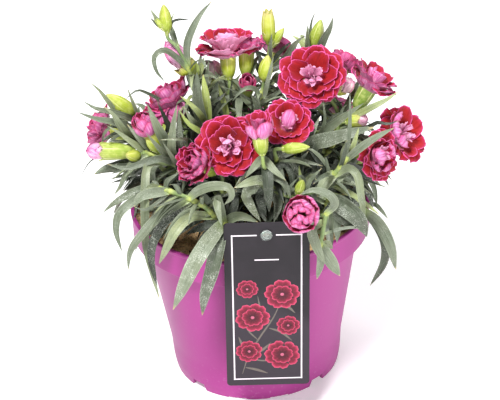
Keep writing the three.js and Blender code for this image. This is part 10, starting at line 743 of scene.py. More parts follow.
            (5.3, "g", 0.3, [(-50.3, -63, 163.8, -0.57, -0.75, 0.35), (-59.6, -58, 159.3, -0.11, -0.87, 0.47), (-70.5, -64, 157.2, 0.18, -0.79, 0.59), (-78.5, -68, 151.7, -0.13, -0.94, 0.31), (-81.1, -68, 140.7, -0.01, -0.99, -0.14), (-79, -64, 122.5, 0.1, -0.97, -0.2)]),
            (5.9, "g", 1, [(-50.3, -63, 163.8, -0.76, -0.48, 0.44), (-59.8, -50.1, 158.2, -0.46, -0.78, 0.43), (-71.9, -51.2, 155.3, 0, -0.86, 0.51), (-81.8, -52.4, 150.3, -0.16, -0.9, 0.41), (-89.6, -51.7, 143.4, -0.26, -0.91, 0.31)]),
            (5.9, "g", 0.3, [(-36.9, -65, 157.9, -0.65, -0.76, -0.04), (-29.2, -72, 167.8, -0.65, -0.75, 0.15), (-19.6, -77, 172.9, -0.48, -0.76, 0.44), (-12, -80, 172.8, 0.02, -0.87, 0.5), (-10.5, -80, 167.3, -0.24, -0.95, -0.21), (-15.5, -76, 159, -0.51, -0.85, -0.1)]),
            (6.5, "g", 0.3, [(-22.3, -60.1, 142.6, -0.23, -0.86, 0.46), (-23.3, -60, 142.3, 0.54, -0.72, 0.43), (-36.3, -68, 147.2, 0.51, -0.64, 0.57), (-44.9, -76, 143.4, 0.04, -0.84, 0.55), (-50.9, -78, 133.1, -0.26, -0.96, 0.05), (-56.7, -74, 118.9, -0.33, -0.94, -0.13)]),
            (5.6, "g", 0.3, [(-35.7, -65, 157.9, -0.17, -0.89, 0.43), (-53, -66, 149, -0.18, -0.9, 0.39), (-65.1, -68, 137.6, -0.22, -0.93, 0.28), (-73.2, -68, 126.1, -0.25, -0.97, -0.03), (-76.4, -64, 108.7, -0.16, -0.97, -0.19)]),
            (5.6, "d", 1, [(-33.9, -64.6, 156.5, -0.69, -0.71, 0.11), (-34.6, -64, 155.8, -0.1, -0.89, 0.44), (-50.2, -68, 145.9, -0.13, -0.91, 0.39), (-58.8, -70, 133.5, -0.21, -0.97, 0.09), (-61.5, -68, 119.7, -0.02, -0.98, -0.21), (-59.6, -62, 95.6, 0.08, -0.97, -0.23)]),
            (2.2, "g", 0.3, [(-53.3, -62, 163.4, -0.24, -0.86, 0.45), (-68.6, -60, 158.9, -0.34, -0.9, 0.27), (-68.6, -60, 150.6, -0.1, -0.99, -0.09), (-71.2, -58, 140.4, -0.2, -0.97, -0.14)]),
            (6.2, "d", 1, [(-24.3, -61, 146, -0.25, -0.89, 0.38), (-25.6, -61, 145.2, -0.14, -0.88, 0.45), (-36.8, -62, 140.1, -0.13, -0.89, 0.43), (-48.1, -64, 132.1, -0.27, -0.93, 0.25), (-55.5, -62, 119.9, -0.34, -0.94, 0.05)]),
            (5.6, "d", 1, [(-30.1, -63, 152.2, -0.5, -0.81, 0.31), (-42.5, -58, 145.1, -0.42, -0.86, 0.29), (-56.5, -56, 134.8, -0.37, -0.9, 0.23), (-64.4, -54, 125.5, -0.39, -0.91, 0.14)]),
        ],
        "more": [
            (4.6, "g", 0, [(-40.9, -65.3, 160.9, -0.4, 0, 0.9), (-45.7, -67.6, 159, -0.5, 0, 0.9), (-50.6, -70.1, 155.6, -0.6, -0.1, 0.8), (-55.5, -72.8, 150.2, -0.8, -0.1, 0.6), (-60.3, -75.7, 142.4, -0.8, -0.2, 0.6)]),
            (4.4, "d", 0.36, [(-31.2, -63.7, 154.3, -0.2, -0.3, 1), (-38.3, -58.8, 154.5, -0.3, -0.2, 0.9), (-45.7, -53.9, 152.2, -0.5, 0, 0.9), (-53.4, -49.2, 146.4, -0.7, 0, 0.7), (-61.2, -44.8, 136.2, -0.8, 0.1, 0.6)]),
            (4.5, "g", 0.19, [(-22, -59.9, 142.1, 0.2, -0.1, 1), (-30.6, -61.7, 144, 0.1, -0.1, 1), (-39.4, -63.6, 143.5, -0.2, -0.2, 1), (-48.3, -65.6, 139.4, -0.5, -0.2, 0.8), (-57.2, -67.5, 130.8, -0.6, -0.3, 0.7)]),
            (4.9, "g", 0, [(-19.5, -55.9, 137.4, 0.5, -0.8, 0.2), (-23.7, -55.8, 146.8, 0.5, -0.8, 0.3), (-28.1, -55, 153.9, 0.5, -0.7, 0.5), (-32.6, -53.4, 157.6, 0.1, -0.5, 0.9), (-37.1, -50.8, 156.7, -0.3, -0.3, 0.9)]),
            (3.8, "gy", 0.25, [(-40.9, -65.3, 160.9, -0.2, 0.2, 1), (-44.7, -67.9, 160.8, -0.2, 0.2, 1), (-48.8, -70.3, 159.9, -0.4, 0.1, 0.9), (-53, -72.7, 157.9, -0.5, 0, 0.9), (-57.4, -74.9, 154.6, -0.6, -0.1, 0.8)]),
            (3.2, "g", 0.12, [(-28.5, -62.6, 151.5, -0.7, 0.6, 0.4), (-28.4, -65.4, 156.4, -0.6, 0.7, 0.4), (-28.4, -68.2, 160.2, -0.5, 0.6, 0.6), (-28.5, -71.1, 162.5, -0.3, 0.4, 0.9), (-28.8, -74, 162.6, -0.3, 0.1, 1)]),
            (4.9, "g", 0.55, [(-40.9, -65.3, 160.9, -0.6, 0.1, 0.8), (-48.1, -60, 155.6, -0.6, 0.1, 0.8), (-55.8, -55, 146.3, -0.8, 0.2, 0.6), (-64.1, -50.4, 131.8, -0.9, 0.2, 0.5), (-72.8, -46.5, 110.8, -0.9, 0.2, 0.4)]),
            (3.1, "g", 0.05, [(-28.5, -62.6, 151.5, 0, 0, 1), (-34.6, -65.4, 151.8, -0.1, 0, 1), (-40.8, -68.6, 150, -0.4, -0.2, 0.9), (-46.9, -72.2, 145.4, -0.6, -0.3, 0.7), (-52.8, -76.4, 137.1, -0.7, -0.4, 0.7)]),
            (4.4, "d", 0.43, [(-13, -28, 123.6, -0.9, 0.1, 0.3), (-10.9, -32.1, 130.2, -0.9, 0.1, 0.4), (-8.9, -36.3, 136.3, -0.9, 0.2, 0.5), (-7.1, -40.7, 141.6, -0.7, 0.3, 0.6), (-5.5, -45.1, 145.8, -0.7, 0.4, 0.7)]),
            (2.7, "g", 0.41, [(-37.9, -65.2, 159.3, -0.2, 0.1, 1), (-42.4, -68.2, 158.5, -0.3, 0, 0.9), (-47.3, -70.9, 156.3, -0.5, -0.1, 0.9), (-52.6, -73.1, 152.3, -0.7, -0.1, 0.7), (-58.3, -74.8, 146, -0.7, -0.1, 0.7)]),
            (5.3, "g", 0.14, [(-28.5, -62.6, 151.5, 0, -0.1, 1), (-38.5, -62.4, 151.5, -0.1, -0.2, 1), (-48.8, -61.5, 150.7, -0.1, -0.2, 1), (-59.3, -59.8, 148.7, -0.3, -0.1, 1), (-69.8, -57.1, 145.4, -0.3, -0.1, 0.9)]),
            (3.6, "d", 0.7, [(-13.8, -32.2, 125.6, -0.6, 0, 0.8), (-10.2, -36.7, 128.4, -0.5, 0, 0.9), (-7.1, -41.9, 129, -0.2, -0.2, 1), (-4.9, -47.9, 126.7, -0.1, -0.6, 0.8), (-3.6, -54.8, 120.7, -0.1, -0.7, 0.7)]),
            (4.1, "d", 0.57, [(-14.6, -36.7, 127.6, 0, -0.3, 1), (-16.1, -42.4, 126, -0.1, -0.3, 0.9), (-17.7, -48.3, 123.5, -0.1, -0.4, 0.9), (-19.2, -54.3, 119.8, -0.1, -0.6, 0.8), (-20.8, -60.3, 114.8, -0.1, -0.6, 0.8)]),
            (2.9, "d", 0.15, [(-13, -28, 123.6, 0.6, -0.2, 0.7), (-17.3, -30.6, 126.6, 0.5, -0.2, 0.8), (-21.5, -33.4, 127.8, 0.2, -0.3, 0.9), (-25.7, -36.7, 126.3, -0.2, -0.5, 0.8), (-29.5, -40.3, 121.5, -0.3, -0.6, 0.7)]),
            (4.2, "g", 0.04, [(-37.9, -65.2, 159.3, -0.1, 0.4, 0.9), (-42.3, -69.5, 160.6, -0.1, 0.4, 0.9), (-46.9, -73.9, 161.9, -0.1, 0.3, 0.9), (-51.8, -78.1, 162.8, -0.1, 0.3, 1), (-56.7, -82.2, 163.5, -0.1, 0.3, 1)]),
            (4.2, "d", 0.39, [(-15.6, -41.1, 129.6, -0.9, -0.5, 0), (-13.5, -44.1, 138.6, -0.9, -0.3, 0.1), (-11.8, -47.4, 144.7, -0.8, 0.3, 0.6), (-10.5, -51.1, 146.4, -0.1, -0.3, 0.9), (-9.7, -55.1, 142.5, -0.1, -0.7, 0.7)]),
            (4.3, "d", 0.5, [(-11.8, -21, 119.7, -0.8, 0.1, 0.6), (-8.9, -24.8, 124.2, -0.7, 0.1, 0.7), (-5.9, -28.7, 126.1, -0.3, -0.2, 0.9), (-3, -32.7, 124.2, 0.1, -0.7, 0.7), (-0.2, -36.8, 117.4, 0.1, -0.8, 0.5)]),
            (3.6, "g", 0, [(-31.2, -63.7, 154.3, -0.3, 0.3, 0.9), (-32.3, -68, 155.5, -0.3, 0.2, 0.9), (-33.7, -72.4, 155.3, -0.3, -0.1, 0.9), (-35.3, -76.7, 153.4, -0.5, -0.4, 0.8), (-37.4, -80.9, 149, -0.5, -0.5, 0.7)]),
            (3.1, "g", 0, [(-40.9, -65.3, 160.9, -0.6, 0.8, 0.2), (-42, -67.1, 165.5, -0.5, 0.8, 0.2), (-43.4, -68.8, 169.3, -0.2, 0.9, 0.4), (-45, -70.4, 171.7, 0.1, 0.7, 0.7), (-46.9, -71.8, 172.3, 0, 0.4, 0.9)]),
            (4.1, "gy", 0.5, [(-22, -59.9, 142.1, 0.3, -0.1, 1), (-27.5, -61.1, 143.7, 0.2, -0.1, 1), (-33.1, -62.5, 144.2, 0, -0.1, 1), (-38.8, -64.1, 143.3, -0.3, -0.2, 0.9), (-44.5, -65.8, 140.3, -0.4, -0.2, 0.9)]),
        ],
        "calyxes": [],
        "buds": [],
    },
    "shoot_16": {
        "stems": [
            (2.2, 1.8, [(-5, -20, 109.3), (-5, -20, 116), (-15.1, -60, 138.4), (-16.3, -66, 139.9)]),
        ],
        "leaves": [
            (9.6, "g", 1, [(-16.3, -66, 139.9, 0.9, -0.4, 0.2), (-16.9, -67, 140.6, 0.53, -0.29, 0.8), (-26.7, -86, 139.4, 0.34, -0.52, 0.79), (-34.3, -93, 131, -0.11, -0.93, 0.34), (-41.8, -93, 115.2, -0.28, -0.96, -0.04), (-49.7, -87, 93.9, -0.31, -0.94, -0.15)]),
            (9, "g", 1, [(-16.3, -66, 139.9, 0.52, -0.37, 0.77), (-16.9, -65.4, 138.9, 0.23, -0.26, 0.94), (-21, -83.5, 134.1, 0.12, -0.58, 0.8), (-24.6, -87.8, 121.7, -0.1, -0.97, 0.2), (-29.7, -87.2, 104.6, -0.16, -0.98, -0.1), (-32.5, -81.7, 85.3, -0.14, -0.96, -0.23)]),
            (5.9, "g", 0.3, [(-16.3, -66, 140.6, 0.16, -0.96, -0.23), (-20, -72, 163.1, 0.31, -0.77, -0.56), (-19.2, -80, 158.2, -0.02, -0.77, 0.64), (-17.3, -84, 148.8, 0.02, -0.92, 0.39)]),
            (5.3, "d", 0.3, [(-16.9, -64, 139.5, -0.08, -0.87, 0.49), (-29.7, -64, 137.4, -0.23, -0.87, 0.44), (-39.6, -62, 131.8, -0.37, -0.86, 0.35)]),
            (5, "d", 0.3, [(-16.9, -65, 139.4, 0.29, -0.74, 0.6), (-25.5, -70, 137.3, -0.06, -0.88, 0.47), (-33.8, -70, 127.9, -0.27, -0.93, 0.24)]),
            (5.9, "g", 0.3, [(-16.3, -63, 139.5, -0.57, -0.79, 0.25), (-6.4, -68, 146.2, -0.35, -0.8, 0.49), (4.1, -70, 142.6, 0.01, -0.86, 0.5)]),
            (5, "d", 0.3, [(-15.1, -60, 138.4, -0.21, -0.89, 0.41), (-16.3, -60, 137.7, -0.04, -0.89, 0.45), (-9.2, -56, 146.9, -0.04, -0.9, 0.43), (-8.1, -52, 155, -0.01, -0.9, 0.44)]),
        ],
        "more": [
            (3.1, "d", 0.21, [(-10.9, -43, 130.8, -0.2, -1, -0.2), (-11.3, -44.1, 137.5, -0.2, -1, -0.2), (-11.7, -45.3, 141.7, -0.1, -0.9, -0.5), (-11.8, -46.7, 142.4, -0.1, -0.7, 0.7), (-11.6, -48.2, 138.5, -0.1, -0.9, 0.3)]),
            (3, "d", 0.34, [(-4.8, -19.2, 112.2, -0.7, -0.2, 0.7), (-0.2, -18, 117.8, -0.7, -0.2, 0.7), (4.6, -16.8, 123, -0.7, -0.2, 0.7), (9.4, -15.5, 127.5, -0.6, -0.1, 0.8), (14.3, -14.3, 131, -0.6, -0.1, 0.8)]),
            (4.7, "d", 0.52, [(-8.7, -34.5, 126.5, -0.9, -0.3, 0.2), (-6.7, -36.8, 133, -0.9, -0.2, 0.3), (-4.6, -39.2, 137.4, -0.8, 0, 0.6), (-2.2, -41.4, 138.7, -0.1, -0.4, 0.9), (0.4, -43.4, 135.9, 0.2, -0.7, 0.7)]),
            (4.7, "g", 0.1, [(-11.9, -47.2, 132.8, 0.9, -0.3, 0.3), (-15.6, -50.7, 140.1, 0.9, -0.1, 0.4), (-19.1, -54.5, 146, 0.7, 0.1, 0.7), (-22.4, -58.8, 149.5, 0.4, 0.1, 0.9), (-25.3, -63.4, 150, 0.2, 0, 1)]),
            (2.9, "d", 0.12, [(-7.7, -30.5, 124.2, 0.7, -0.7, 0), (-9.4, -32.8, 131, 0.9, -0.4, 0.1), (-11.3, -35.1, 135.9, 0.8, 0.1, 0.5), (-13.2, -37.4, 138, 0.2, -0.1, 1), (-15.2, -39.6, 136.4, -0.2, -0.5, 0.9)]),
        ],
        "calyxes": [],
        "buds": [],
    },
    "shoot_17": {
        "stems": [
            (2, 1.5, [(17, -16, 109.3), (17, -16, 116), (41.6, -46, 150.1), (51.1, -54, 163.9), (55.9, -56, 170.9), (59.6, -56, 176.9)]),
        ],
        "leaves": [
            (5, "g", 0.3, [(57.8, -56, 173.6, -0.55, -0.84, -0.02), (66.5, -62, 185.3, -0.48, -0.87, 0.12), (77.1, -64, 193.8, -0.23, -0.89, 0.38), (86.7, -62, 197.6, -0.01, -0.87, 0.5)]),
            (3.1, "gy", 0.3, [(59, -56, 175.5, -0.3, -0.95, -0.09), (62.6, -58, 184.6, -0.18, -0.98, 0.07), (66.5, -56, 196.1, -0.11, -0.97, 0.21)]),
            (2.6, "g", 0.3, [(57.1, -56, 172.2, -0.14, -0.98, -0.12), (59.6, -58, 185.5, -0.08, -1, 0.01), (61.2, -56, 201.1, -0.02, -0.97, 0.25), (61.9, -50, 216.6, -0.01, -0.93, 0.36)]),
            (5, "g", 0.3, [(51.1, -54, 163.9, -0.57, -0.41, 0.71), (51.6, -55, 163.7, -0.71, -0.69, 0.14), (60.3, -62, 172, -0.7, -0.59, 0.4), (64.2, -66, 169.3, 0.05, -0.92, 0.38), (66.2, -68, 156.6, 0.07, -1, 0.01), (68.4, -66, 135, 0.07, -0.99, -0.08)]),
            (7.4, "g", 0.3, [(51.7, -54, 164.5, 0.46, -0.53, 0.72), (46.5, -60, 163.4, 0.12, -0.77, 0.62), (40.1, -64, 154.3, -0.05, -0.9, 0.43)]),
            (2.8, "g", 0.3, [(54.7, -56, 168.9, -0.24, -0.88, -0.42), (57.4, -64, 184.2, -0.19, -0.92, -0.35), (58.7, -66, 193.3, -0.12, -0.97, -0.2)]),
            (5, "d", 0.3, [(45.7, -50, 156.3, 0, -0.86, 0.51), (38.7, -48, 159.8, -0.22, -0.83, 0.52), (30.8, -46, 156.3, -0.38, -0.84, 0.38)]),
        ],
        "more": [
            (3.5, "g", 0.28, [(48.3, -52.1, 159.8, 0, 0.1, 1), (51.7, -56.3, 159.9, 0.1, 0, 1), (54.9, -60.9, 159.3, 0.2, -0.1, 1), (57.8, -65.8, 157.9, 0.3, -0.2, 0.9), (60.3, -71.1, 155.2, 0.3, -0.3, 0.9)]),
            (4.5, "d", 0.48, [(37.7, -41.7, 145, 0, -0.3, 1), (44.5, -41.1, 145.3, 0, -0.3, 1), (51.5, -40.6, 144.9, 0.2, -0.3, 0.9), (58.5, -40.1, 143.4, 0.3, -0.3, 0.9), (65.6, -39.7, 140.6, 0.4, -0.3, 0.9)]),
            (3.1, "d", 0.63, [(25.3, -26.6, 129.6, 0.6, 0.3, 0.8), (22.9, -33.2, 134.1, 0.5, 0.2, 0.8), (21, -40.3, 136.1, 0.3, 0, 1), (19.8, -47.8, 134.4, 0.2, -0.5, 0.9), (19.5, -55.6, 128.1, 0.2, -0.6, 0.8)]),
            (3.8, "g", 0.25, [(50.4, -53.6, 162.9, 0.5, 0.3, 0.8), (48.4, -59.2, 166.6, 0.5, 0.3, 0.8), (45.7, -64.8, 169.3, 0.4, 0.1, 0.9), (42.2, -70.3, 170.6, 0.3, -0.1, 1), (37.7, -75.4, 170, 0.2, -0.2, 1)]),
            (3.5, "d", 0, [(35.4, -39, 142.1, 0.8, 0.2, 0.5), (31.9, -44.4, 149.5, 0.7, 0.2, 0.7), (28.1, -49.8, 153.1, 0.4, -0.1, 0.9), (23.8, -55, 151.5, 0, -0.7, 0.7), (19.2, -59.9, 143.1, -0.1, -0.8, 0.5)]),
            (3.2, "d", 0, [(37.7, -41.7, 145, 0.8, 0.2, 0.6), (35.6, -44.9, 149.1, 0.8, 0.2, 0.6), (33.2, -48, 153, 0.8, 0.1, 0.6), (30.3, -50.9, 156.7, 0.7, 0, 0.7), (27, -53.5, 160, 0.7, 0, 0.7)]),
            (4.2, "g", 0.11, [(50.4, -53.6, 162.9, 0.8, -0.3, 0.5), (46.2, -52.9, 170.5, 0.8, -0.3, 0.5), (41.9, -51.5, 176.1, 0.6, -0.3, 0.7), (37.7, -49.2, 178.8, 0.1, -0.1, 1), (33.5, -45.7, 177.6, -0.1, 0.2, 1)]),
            (4.6, "d", 0.07, [(42.5, -46.9, 151.4, 0.6, -0.7, 0.3), (41.3, -45.2, 159, 0.7, -0.7, 0.4), (39.3, -43.8, 163.4, 0.5, -0.4, 0.8), (36.5, -42.8, 163.2, -0.7, -0.2, 0.7), (32.7, -42.3, 157.1, -0.8, -0.5, 0.4)]),
            (4.6, "d", 0.56, [(16.6, -15.5, 112, 0.5, 0.3, 0.8), (9.8, -19.5, 118.2, 0.5, 0.3, 0.8), (2.9, -23.6, 122.9, 0.3, 0.2, 0.9), (-4.1, -27.8, 125.4, 0.1, 0.1, 1), (-11, -32.1, 125, -0.1, 0, 1)]),
            (4.7, "d", 0, [(37.7, -41.7, 145, 0.8, -0.6, 0.3), (35.8, -41.1, 151.8, 0.8, -0.5, 0.3), (33.9, -40.8, 156.6, 0.8, -0.4, 0.5), (31.7, -40.7, 158.5, 0, -0.3, 1), (29.5, -41.1, 156.5, -0.5, -0.6, 0.7)]),
            (4, "g", 0.13, [(48.3, -52.1, 159.8, 1, 0.2, 0.2), (47.4, -54, 166.9, 0.9, 0.3, 0.2), (46.8, -56.1, 172.9, 0.8, 0.5, 0.3), (46.3, -58.3, 177.3, 0.6, 0.6, 0.5), (46.2, -60.7, 179.4, 0.4, 0.6, 0.7)]),
            (2.8, "gy", 0, [(37.7, -41.7, 145, -0.1, -0.1, 1), (43.2, -43.9, 145.5, -0.1, -0.1, 1), (49, -46, 145.7, -0.1, -0.2, 1), (54.9, -47.9, 145.5, 0, -0.2, 1), (60.9, -49.6, 144.7, 0.1, -0.2, 1)]),
        ],
        "calyxes": [],
        "buds": [],
    },
    "shoot_18": {
        "stems": [
            (2, 1.6, [(21, -10, 109.3), (21, -10, 116), (43.9, -38, 128.2), (48.3, -54, 146.6), (51.7, -58, 146)]),
        ],
        "leaves": [
            (11.2, "d", 1, [(48.3, -54, 146.6, -0.67, -0.3, 0.68), (55.4, -66, 148.4, -0.42, -0.57, 0.71), (63.4, -70, 142.6, 0.29, -0.95, 0.09), (69.6, -64, 124.6, 0.32, -0.93, -0.2)]),
            (5.9, "d", 1, [(49.6, -55.8, 146.8, -0.06, -0.97, -0.23), (49.4, -55, 143.6, -0.13, -0.65, 0.74), (54.6, -66, 138.6, -0.05, -0.84, 0.55), (64.3, -64, 131.2, 0.39, -0.88, 0.27)]),
            (5, "d", 1, [(49.2, -55.4, 146.8, 0.75, -0.62, 0.23), (50.7, -54, 145.8, -0.27, -0.82, 0.5), (58.9, -58, 147.7, 0.04, -0.87, 0.5), (67.4, -56, 141.1, 0.41, -0.88, 0.26)]),
            (5.9, "g", 1, [(47.8, -52.8, 145.8, -0.3, -0.55, 0.78), (47.2, -52.9, 146.8, -0.18, -0.75, 0.63), (41.4, -49.4, 150.7, -0.24, -0.97, -0.07), (51.6, -55.8, 160, -0.44, -0.86, 0.26), (62.5, -56.2, 166.5, -0.23, -0.89, 0.39)]),
            (4.7, "g", 1, [(46.9, -48.6, 140.8, 0.08, -0.88, 0.47), (42.5, -48, 142.7, 0.1, -0.92, 0.39), (25.9, -40, 166.4, 0.12, -0.99, 0.11), (35.4, -46, 168.5, -0.33, -0.78, 0.54), (44.9, -48, 166.3, -0.06, -0.85, 0.52)]),
            (5.3, "g", 0.3, [(50.6, -56.9, 146.3, 0.43, -0.84, -0.33), (51.2, -56, 144.8, 0.01, -0.91, 0.41), (51.8, -62, 135, 0, -0.97, 0.24), (51.5, -62, 120.1, -0.01, -1, 0)]),
            (3.7, "d", 0.3, [(49.9, -56.1, 146.7, 0.53, -0.79, -0.32), (50.6, -56.1, 145.6, 0.04, -0.83, 0.56), (45.4, -61.7, 142.2, 0, -0.87, 0.5), (47.3, -66.2, 130.7, 0.03, -0.95, 0.33)]),
        ],
        "more": [
            (2.8, "d", 0.35, [(34.2, -25.1, 122.7, 0.6, -0.6, -0.5), (35.7, -27.2, 126.9, 0.5, -0.6, -0.6), (37.2, -29.3, 129.1, -0.1, 0.2, 1), (38.8, -31.5, 128.4, 0.4, -0.5, 0.7), (40.3, -33.7, 123.9, 0.5, -0.7, 0.5)]),
            (4.6, "d", 0.09, [(29.3, -19.5, 121.1, 0.9, 0.1, 0.5), (27.3, -23.8, 126, 0.8, 0.1, 0.5), (25, -28.2, 129.6, 0.7, 0, 0.7), (22.5, -32.5, 131.4, 0.5, -0.2, 0.8), (19.7, -36.8, 130.8, 0.4, -0.4, 0.9)]),
            (4.8, "d", 0, [(36.5, -27.9, 123.6, 0.8, 0.4, 0.5), (36, -35.3, 131.1, 0.7, 0.4, 0.6), (35.5, -42.8, 136.7, 0.6, 0.4, 0.7), (34.9, -50.4, 139.4, 0.4, 0.1, 0.9), (34.2, -58, 138.4, 0.4, -0.2, 0.9)]),
            (3.7, "d", 0.45, [(34.2, -25.1, 122.7, -0.4, -0.4, 0.8), (40.6, -25.9, 125.6, -0.4, -0.4, 0.8), (47.2, -27, 127.2, -0.2, -0.4, 0.9), (53.9, -28.3, 127.2, 0.1, -0.4, 0.9), (60.5, -29.9, 124.9, 0.2, -0.4, 0.9)]),
            (4.1, "d", 0.27, [(44.7, -39.6, 129.6, 0.8, -0.4, 0.4), (40.6, -40.1, 137.1, 0.8, -0.4, 0.5), (36.4, -40.6, 142.9, 0.7, -0.3, 0.6), (32.1, -41.1, 146.1, 0.3, -0.3, 0.9), (27.8, -41.4, 145.7, -0.1, -0.3, 0.9)]),
        ],
        "calyxes": [],
        "buds": [],
    },
    "shoot_19": {
        "stems": [
            (2, 1.5, [(23, -2, 109.3), (23, -2, 116), (59, -22, 124.4), (69.1, -30, 124.2)]),
        ],
        "leaves": [
            (7.4, "g", 0.3, [(69, -30, 123.4, -0.28, -0.67, 0.69), (77.7, -38, 119.1, -0.03, -0.84, 0.54), (84.7, -42, 105.9, 0.17, -0.98, 0.05), (89.2, -38, 83.3, 0.16, -0.98, -0.14)]),
            (6.2, "g", 0.3, [(68.4, -30, 124.2, 0.35, -0.93, 0.11), (77.8, -28, 111.6, 0.24, -0.96, 0.14), (83.1, -30, 98.6, 0.08, -0.99, 0.09), (82.3, -30, 84.6, -0.19, -0.98, -0.06), (73.5, -26, 64.5, -0.3, -0.95, -0.06)]),
            (2.9, "g", 0.3, [(68.4, -30, 124.9, 0.12, -0.84, 0.53), (76.7, -28, 126.2, -0.1, -0.85, 0.52), (80.7, -32, 124, 0.05, -0.89, 0.45), (85, -32, 117.2, 0.25, -0.95, 0.16)]),
            (4.3, "g", 0.3, [(66.3, -27.7, 124.3, 0.45, -0.89, 0.05), (65.5, -28, 125.4, -0.07, -0.95, 0.3), (72.4, -22, 143.7, -0.27, -0.93, 0.25), (76.8, -28, 137.6, 0.07, -0.95, 0.3), (78.5, -28, 123.2, 0.07, -1, 0.01)]),
            (1.9, "g", 0.3, [(66.3, -27.7, 124.3, 0.45, -0.89, 0.05), (65.5, -28, 125.4, 0.08, -0.78, 0.62), (76.5, -16, 137.9, 0.17, -0.78, 0.61), (81.3, -18, 133.7, 0.11, -0.89, 0.44), (86.9, -18, 131.3, 0.19, -0.88, 0.43)]),
            (4.3, "d", 1, [(63.1, -26, 125, -0.24, -0.96, -0.15), (68.1, -30, 142.1, -0.66, -0.74, 0.12), (73.9, -34, 134.9, 0.16, -0.97, 0.18), (75.7, -32, 124.3, 0.15, -0.98, -0.16)]),
            (4.3, "d", 0.3, [(61.9, -25, 124.5, -0.28, -0.87, -0.39), (63, -32, 139.3, -0.77, -0.63, -0.07), (70, -36, 135.5, -0.14, -0.8, 0.59)]),
        ],
        "more": [
            (2.9, "d", 0.38, [(26.4, -3.8, 118.4, 0, -0.9, 0.3), (30.2, -1.8, 124.4, -0.1, -0.9, 0.4), (34.2, 0, 129.9, -0.2, -0.9, 0.5), (38.5, 1.4, 134.3, -0.3, -0.7, 0.6), (43.1, 2.4, 137.3, -0.3, -0.6, 0.7)]),
            (4, "d", 0.72, [(50.5, -16.9, 123.4, -0.3, -0.9, 0.3), (54.1, -16.8, 128, -0.4, -0.8, 0.5), (58, -16.1, 130.4, 0, -0.5, 0.8), (61.9, -14.4, 130, 0.6, -0.2, 0.8), (65.9, -11.6, 125.6, 0.8, -0.1, 0.6)]),
            (3.1, "d", 0.05, [(22.3, -1.6, 112.5, -0.7, -0.1, 0.7), (26.2, -0.6, 116.6, -0.7, -0.2, 0.7), (30.3, 0.6, 120.2, -0.6, -0.2, 0.8), (34.3, 2.1, 122.9, -0.4, -0.1, 0.9), (38.3, 4, 124.2, -0.3, -0.1, 1)]),
            (3.9, "g", 0.32, [(53.8, -18.8, 123.8, -0.2, 0.7, 0.6), (57, -21.4, 127.9, -0.4, 0.5, 0.8), (60.7, -23.5, 130.7, -0.4, 0.1, 0.9), (65.1, -25.1, 131.3, 0.1, -0.2, 1), (70.2, -25.9, 129.3, 0.3, -0.3, 0.9)]),
            (3.8, "d", 0.56, [(50.5, -16.9, 123.4, -0.1, -0.8, 0.6), (57.8, -13.2, 128.5, 0, -0.7, 0.7), (65, -8.6, 132.2, 0.2, -0.6, 0.8), (71.9, -2.8, 133.7, 0.4, -0.4, 0.8), (78.1, 4.1, 132.4, 0.5, -0.3, 0.8)]),
            (4.1, "d", 0.48, [(43.2, -12.8, 122.4, 0.4, -0.9, -0.2), (47.1, -12.7, 131.4, 0.3, -0.9, -0.1), (51.1, -12.1, 140.4, 0.3, -1, 0), (55.2, -10.9, 149, 0.2, -1, 0.1), (59.3, -8.9, 157.1, 0.2, -1, 0.1)]),
            (3.1, "d", 0.23, [(22.3, -1.6, 112.5, 0.5, -0.5, 0.7), (19, 1.8, 117.2, 0.4, -0.5, 0.8), (15.8, 5.5, 120.5, 0.3, -0.3, 0.9), (13, 9.6, 121.9, 0, 0, 1), (10.6, 14.1, 120.6, -0.1, 0.2, 1)]),
            (5.1, "d", 0.31, [(26.4, -3.8, 118.4, -0.3, -0.7, 0.6), (33.9, -2, 124.4, -0.3, -0.6, 0.8), (41.5, 0.1, 127, 0.1, -0.4, 0.9), (49.2, 2.5, 124.8, 0.6, -0.2, 0.8), (56.8, 5.3, 116.3, 0.8, -0.2, 0.6)]),
        ],
        "calyxes": [],
        "buds": [],
    },
    "shoot_20": {
        "stems": [
            (2.1, 1.6, [(3, -21, 109.3), (3, -21, 116), (10, -52, 156.7), (11.5, -56, 165.9)]),
            (1.5, 1.2, [(9.5, -49.9, 153.7), (22.9, -58, 152.5), (27.6, -60.4, 152), (29.1, -62.3, 157.3)]),
        ],
        "leaves": [
            (6.8, "g", 0.3, [(11.5, -56, 165.9, -0.08, 0.89, 0.45), (11, -60, 173.7, 0.06, 0, 1), (11.1, -68, 165.9, 0, -0.93, 0.38), (11, -70, 149.1, 0, -0.99, 0.12)]),
            (5.9, "g", 1, [(11.5, -56, 165.9, 0.16, -0.42, 0.89), (11.4, -58, 165, 0.68, -0.52, 0.52), (1.7, -66, 168.7, 0.39, -0.75, 0.54), (-9.1, -68, 165.7, 0.02, -0.86, 0.51)]),
            (4.3, "g", 0.3, [(11.5, -56, 166.6, -0.35, -0.7, 0.63), (20.2, -62, 164.7, -0.03, -0.85, 0.53), (24.5, -64, 154.5, 0.12, -0.96, 0.24)]),
            (4, "d", 0.3, [(11.4, -55, 163.9, 0.2, -0.75, 0.63), (21.5, -48, 169.1, 0.26, -0.84, 0.48), (25.9, -52, 161.4, 0.03, -0.98, 0.19), (23, -52, 148.3, -0.12, -0.99, 0.03)]),
            (6.2, "g", 1, [(10, -52, 156.7, 0.19, -0.82, 0.54), (-2.2, -56, 154.9, 0.15, -0.73, 0.67), (1, -62, 147.7, 0.03, -0.89, 0.46), (6, -64, 138.8, 0.13, -0.95, 0.29)]),
            (5.6, "d", 0.3, [(10, -52, 156.7, 0.09, -0.78, 0.62), (6.1, -57.4, 153.1, 0, -0.9, 0.44), (9.2, -62.2, 141.7, 0.05, -0.94, 0.33)]),
            (5.6, "g", 1, [(10, -52, 156.7, -0.05, -0.82, 0.57), (16.8, -58, 148.7, -0.01, -0.84, 0.55), (13.8, -64, 138.4, 0, -0.86, 0.5)]),
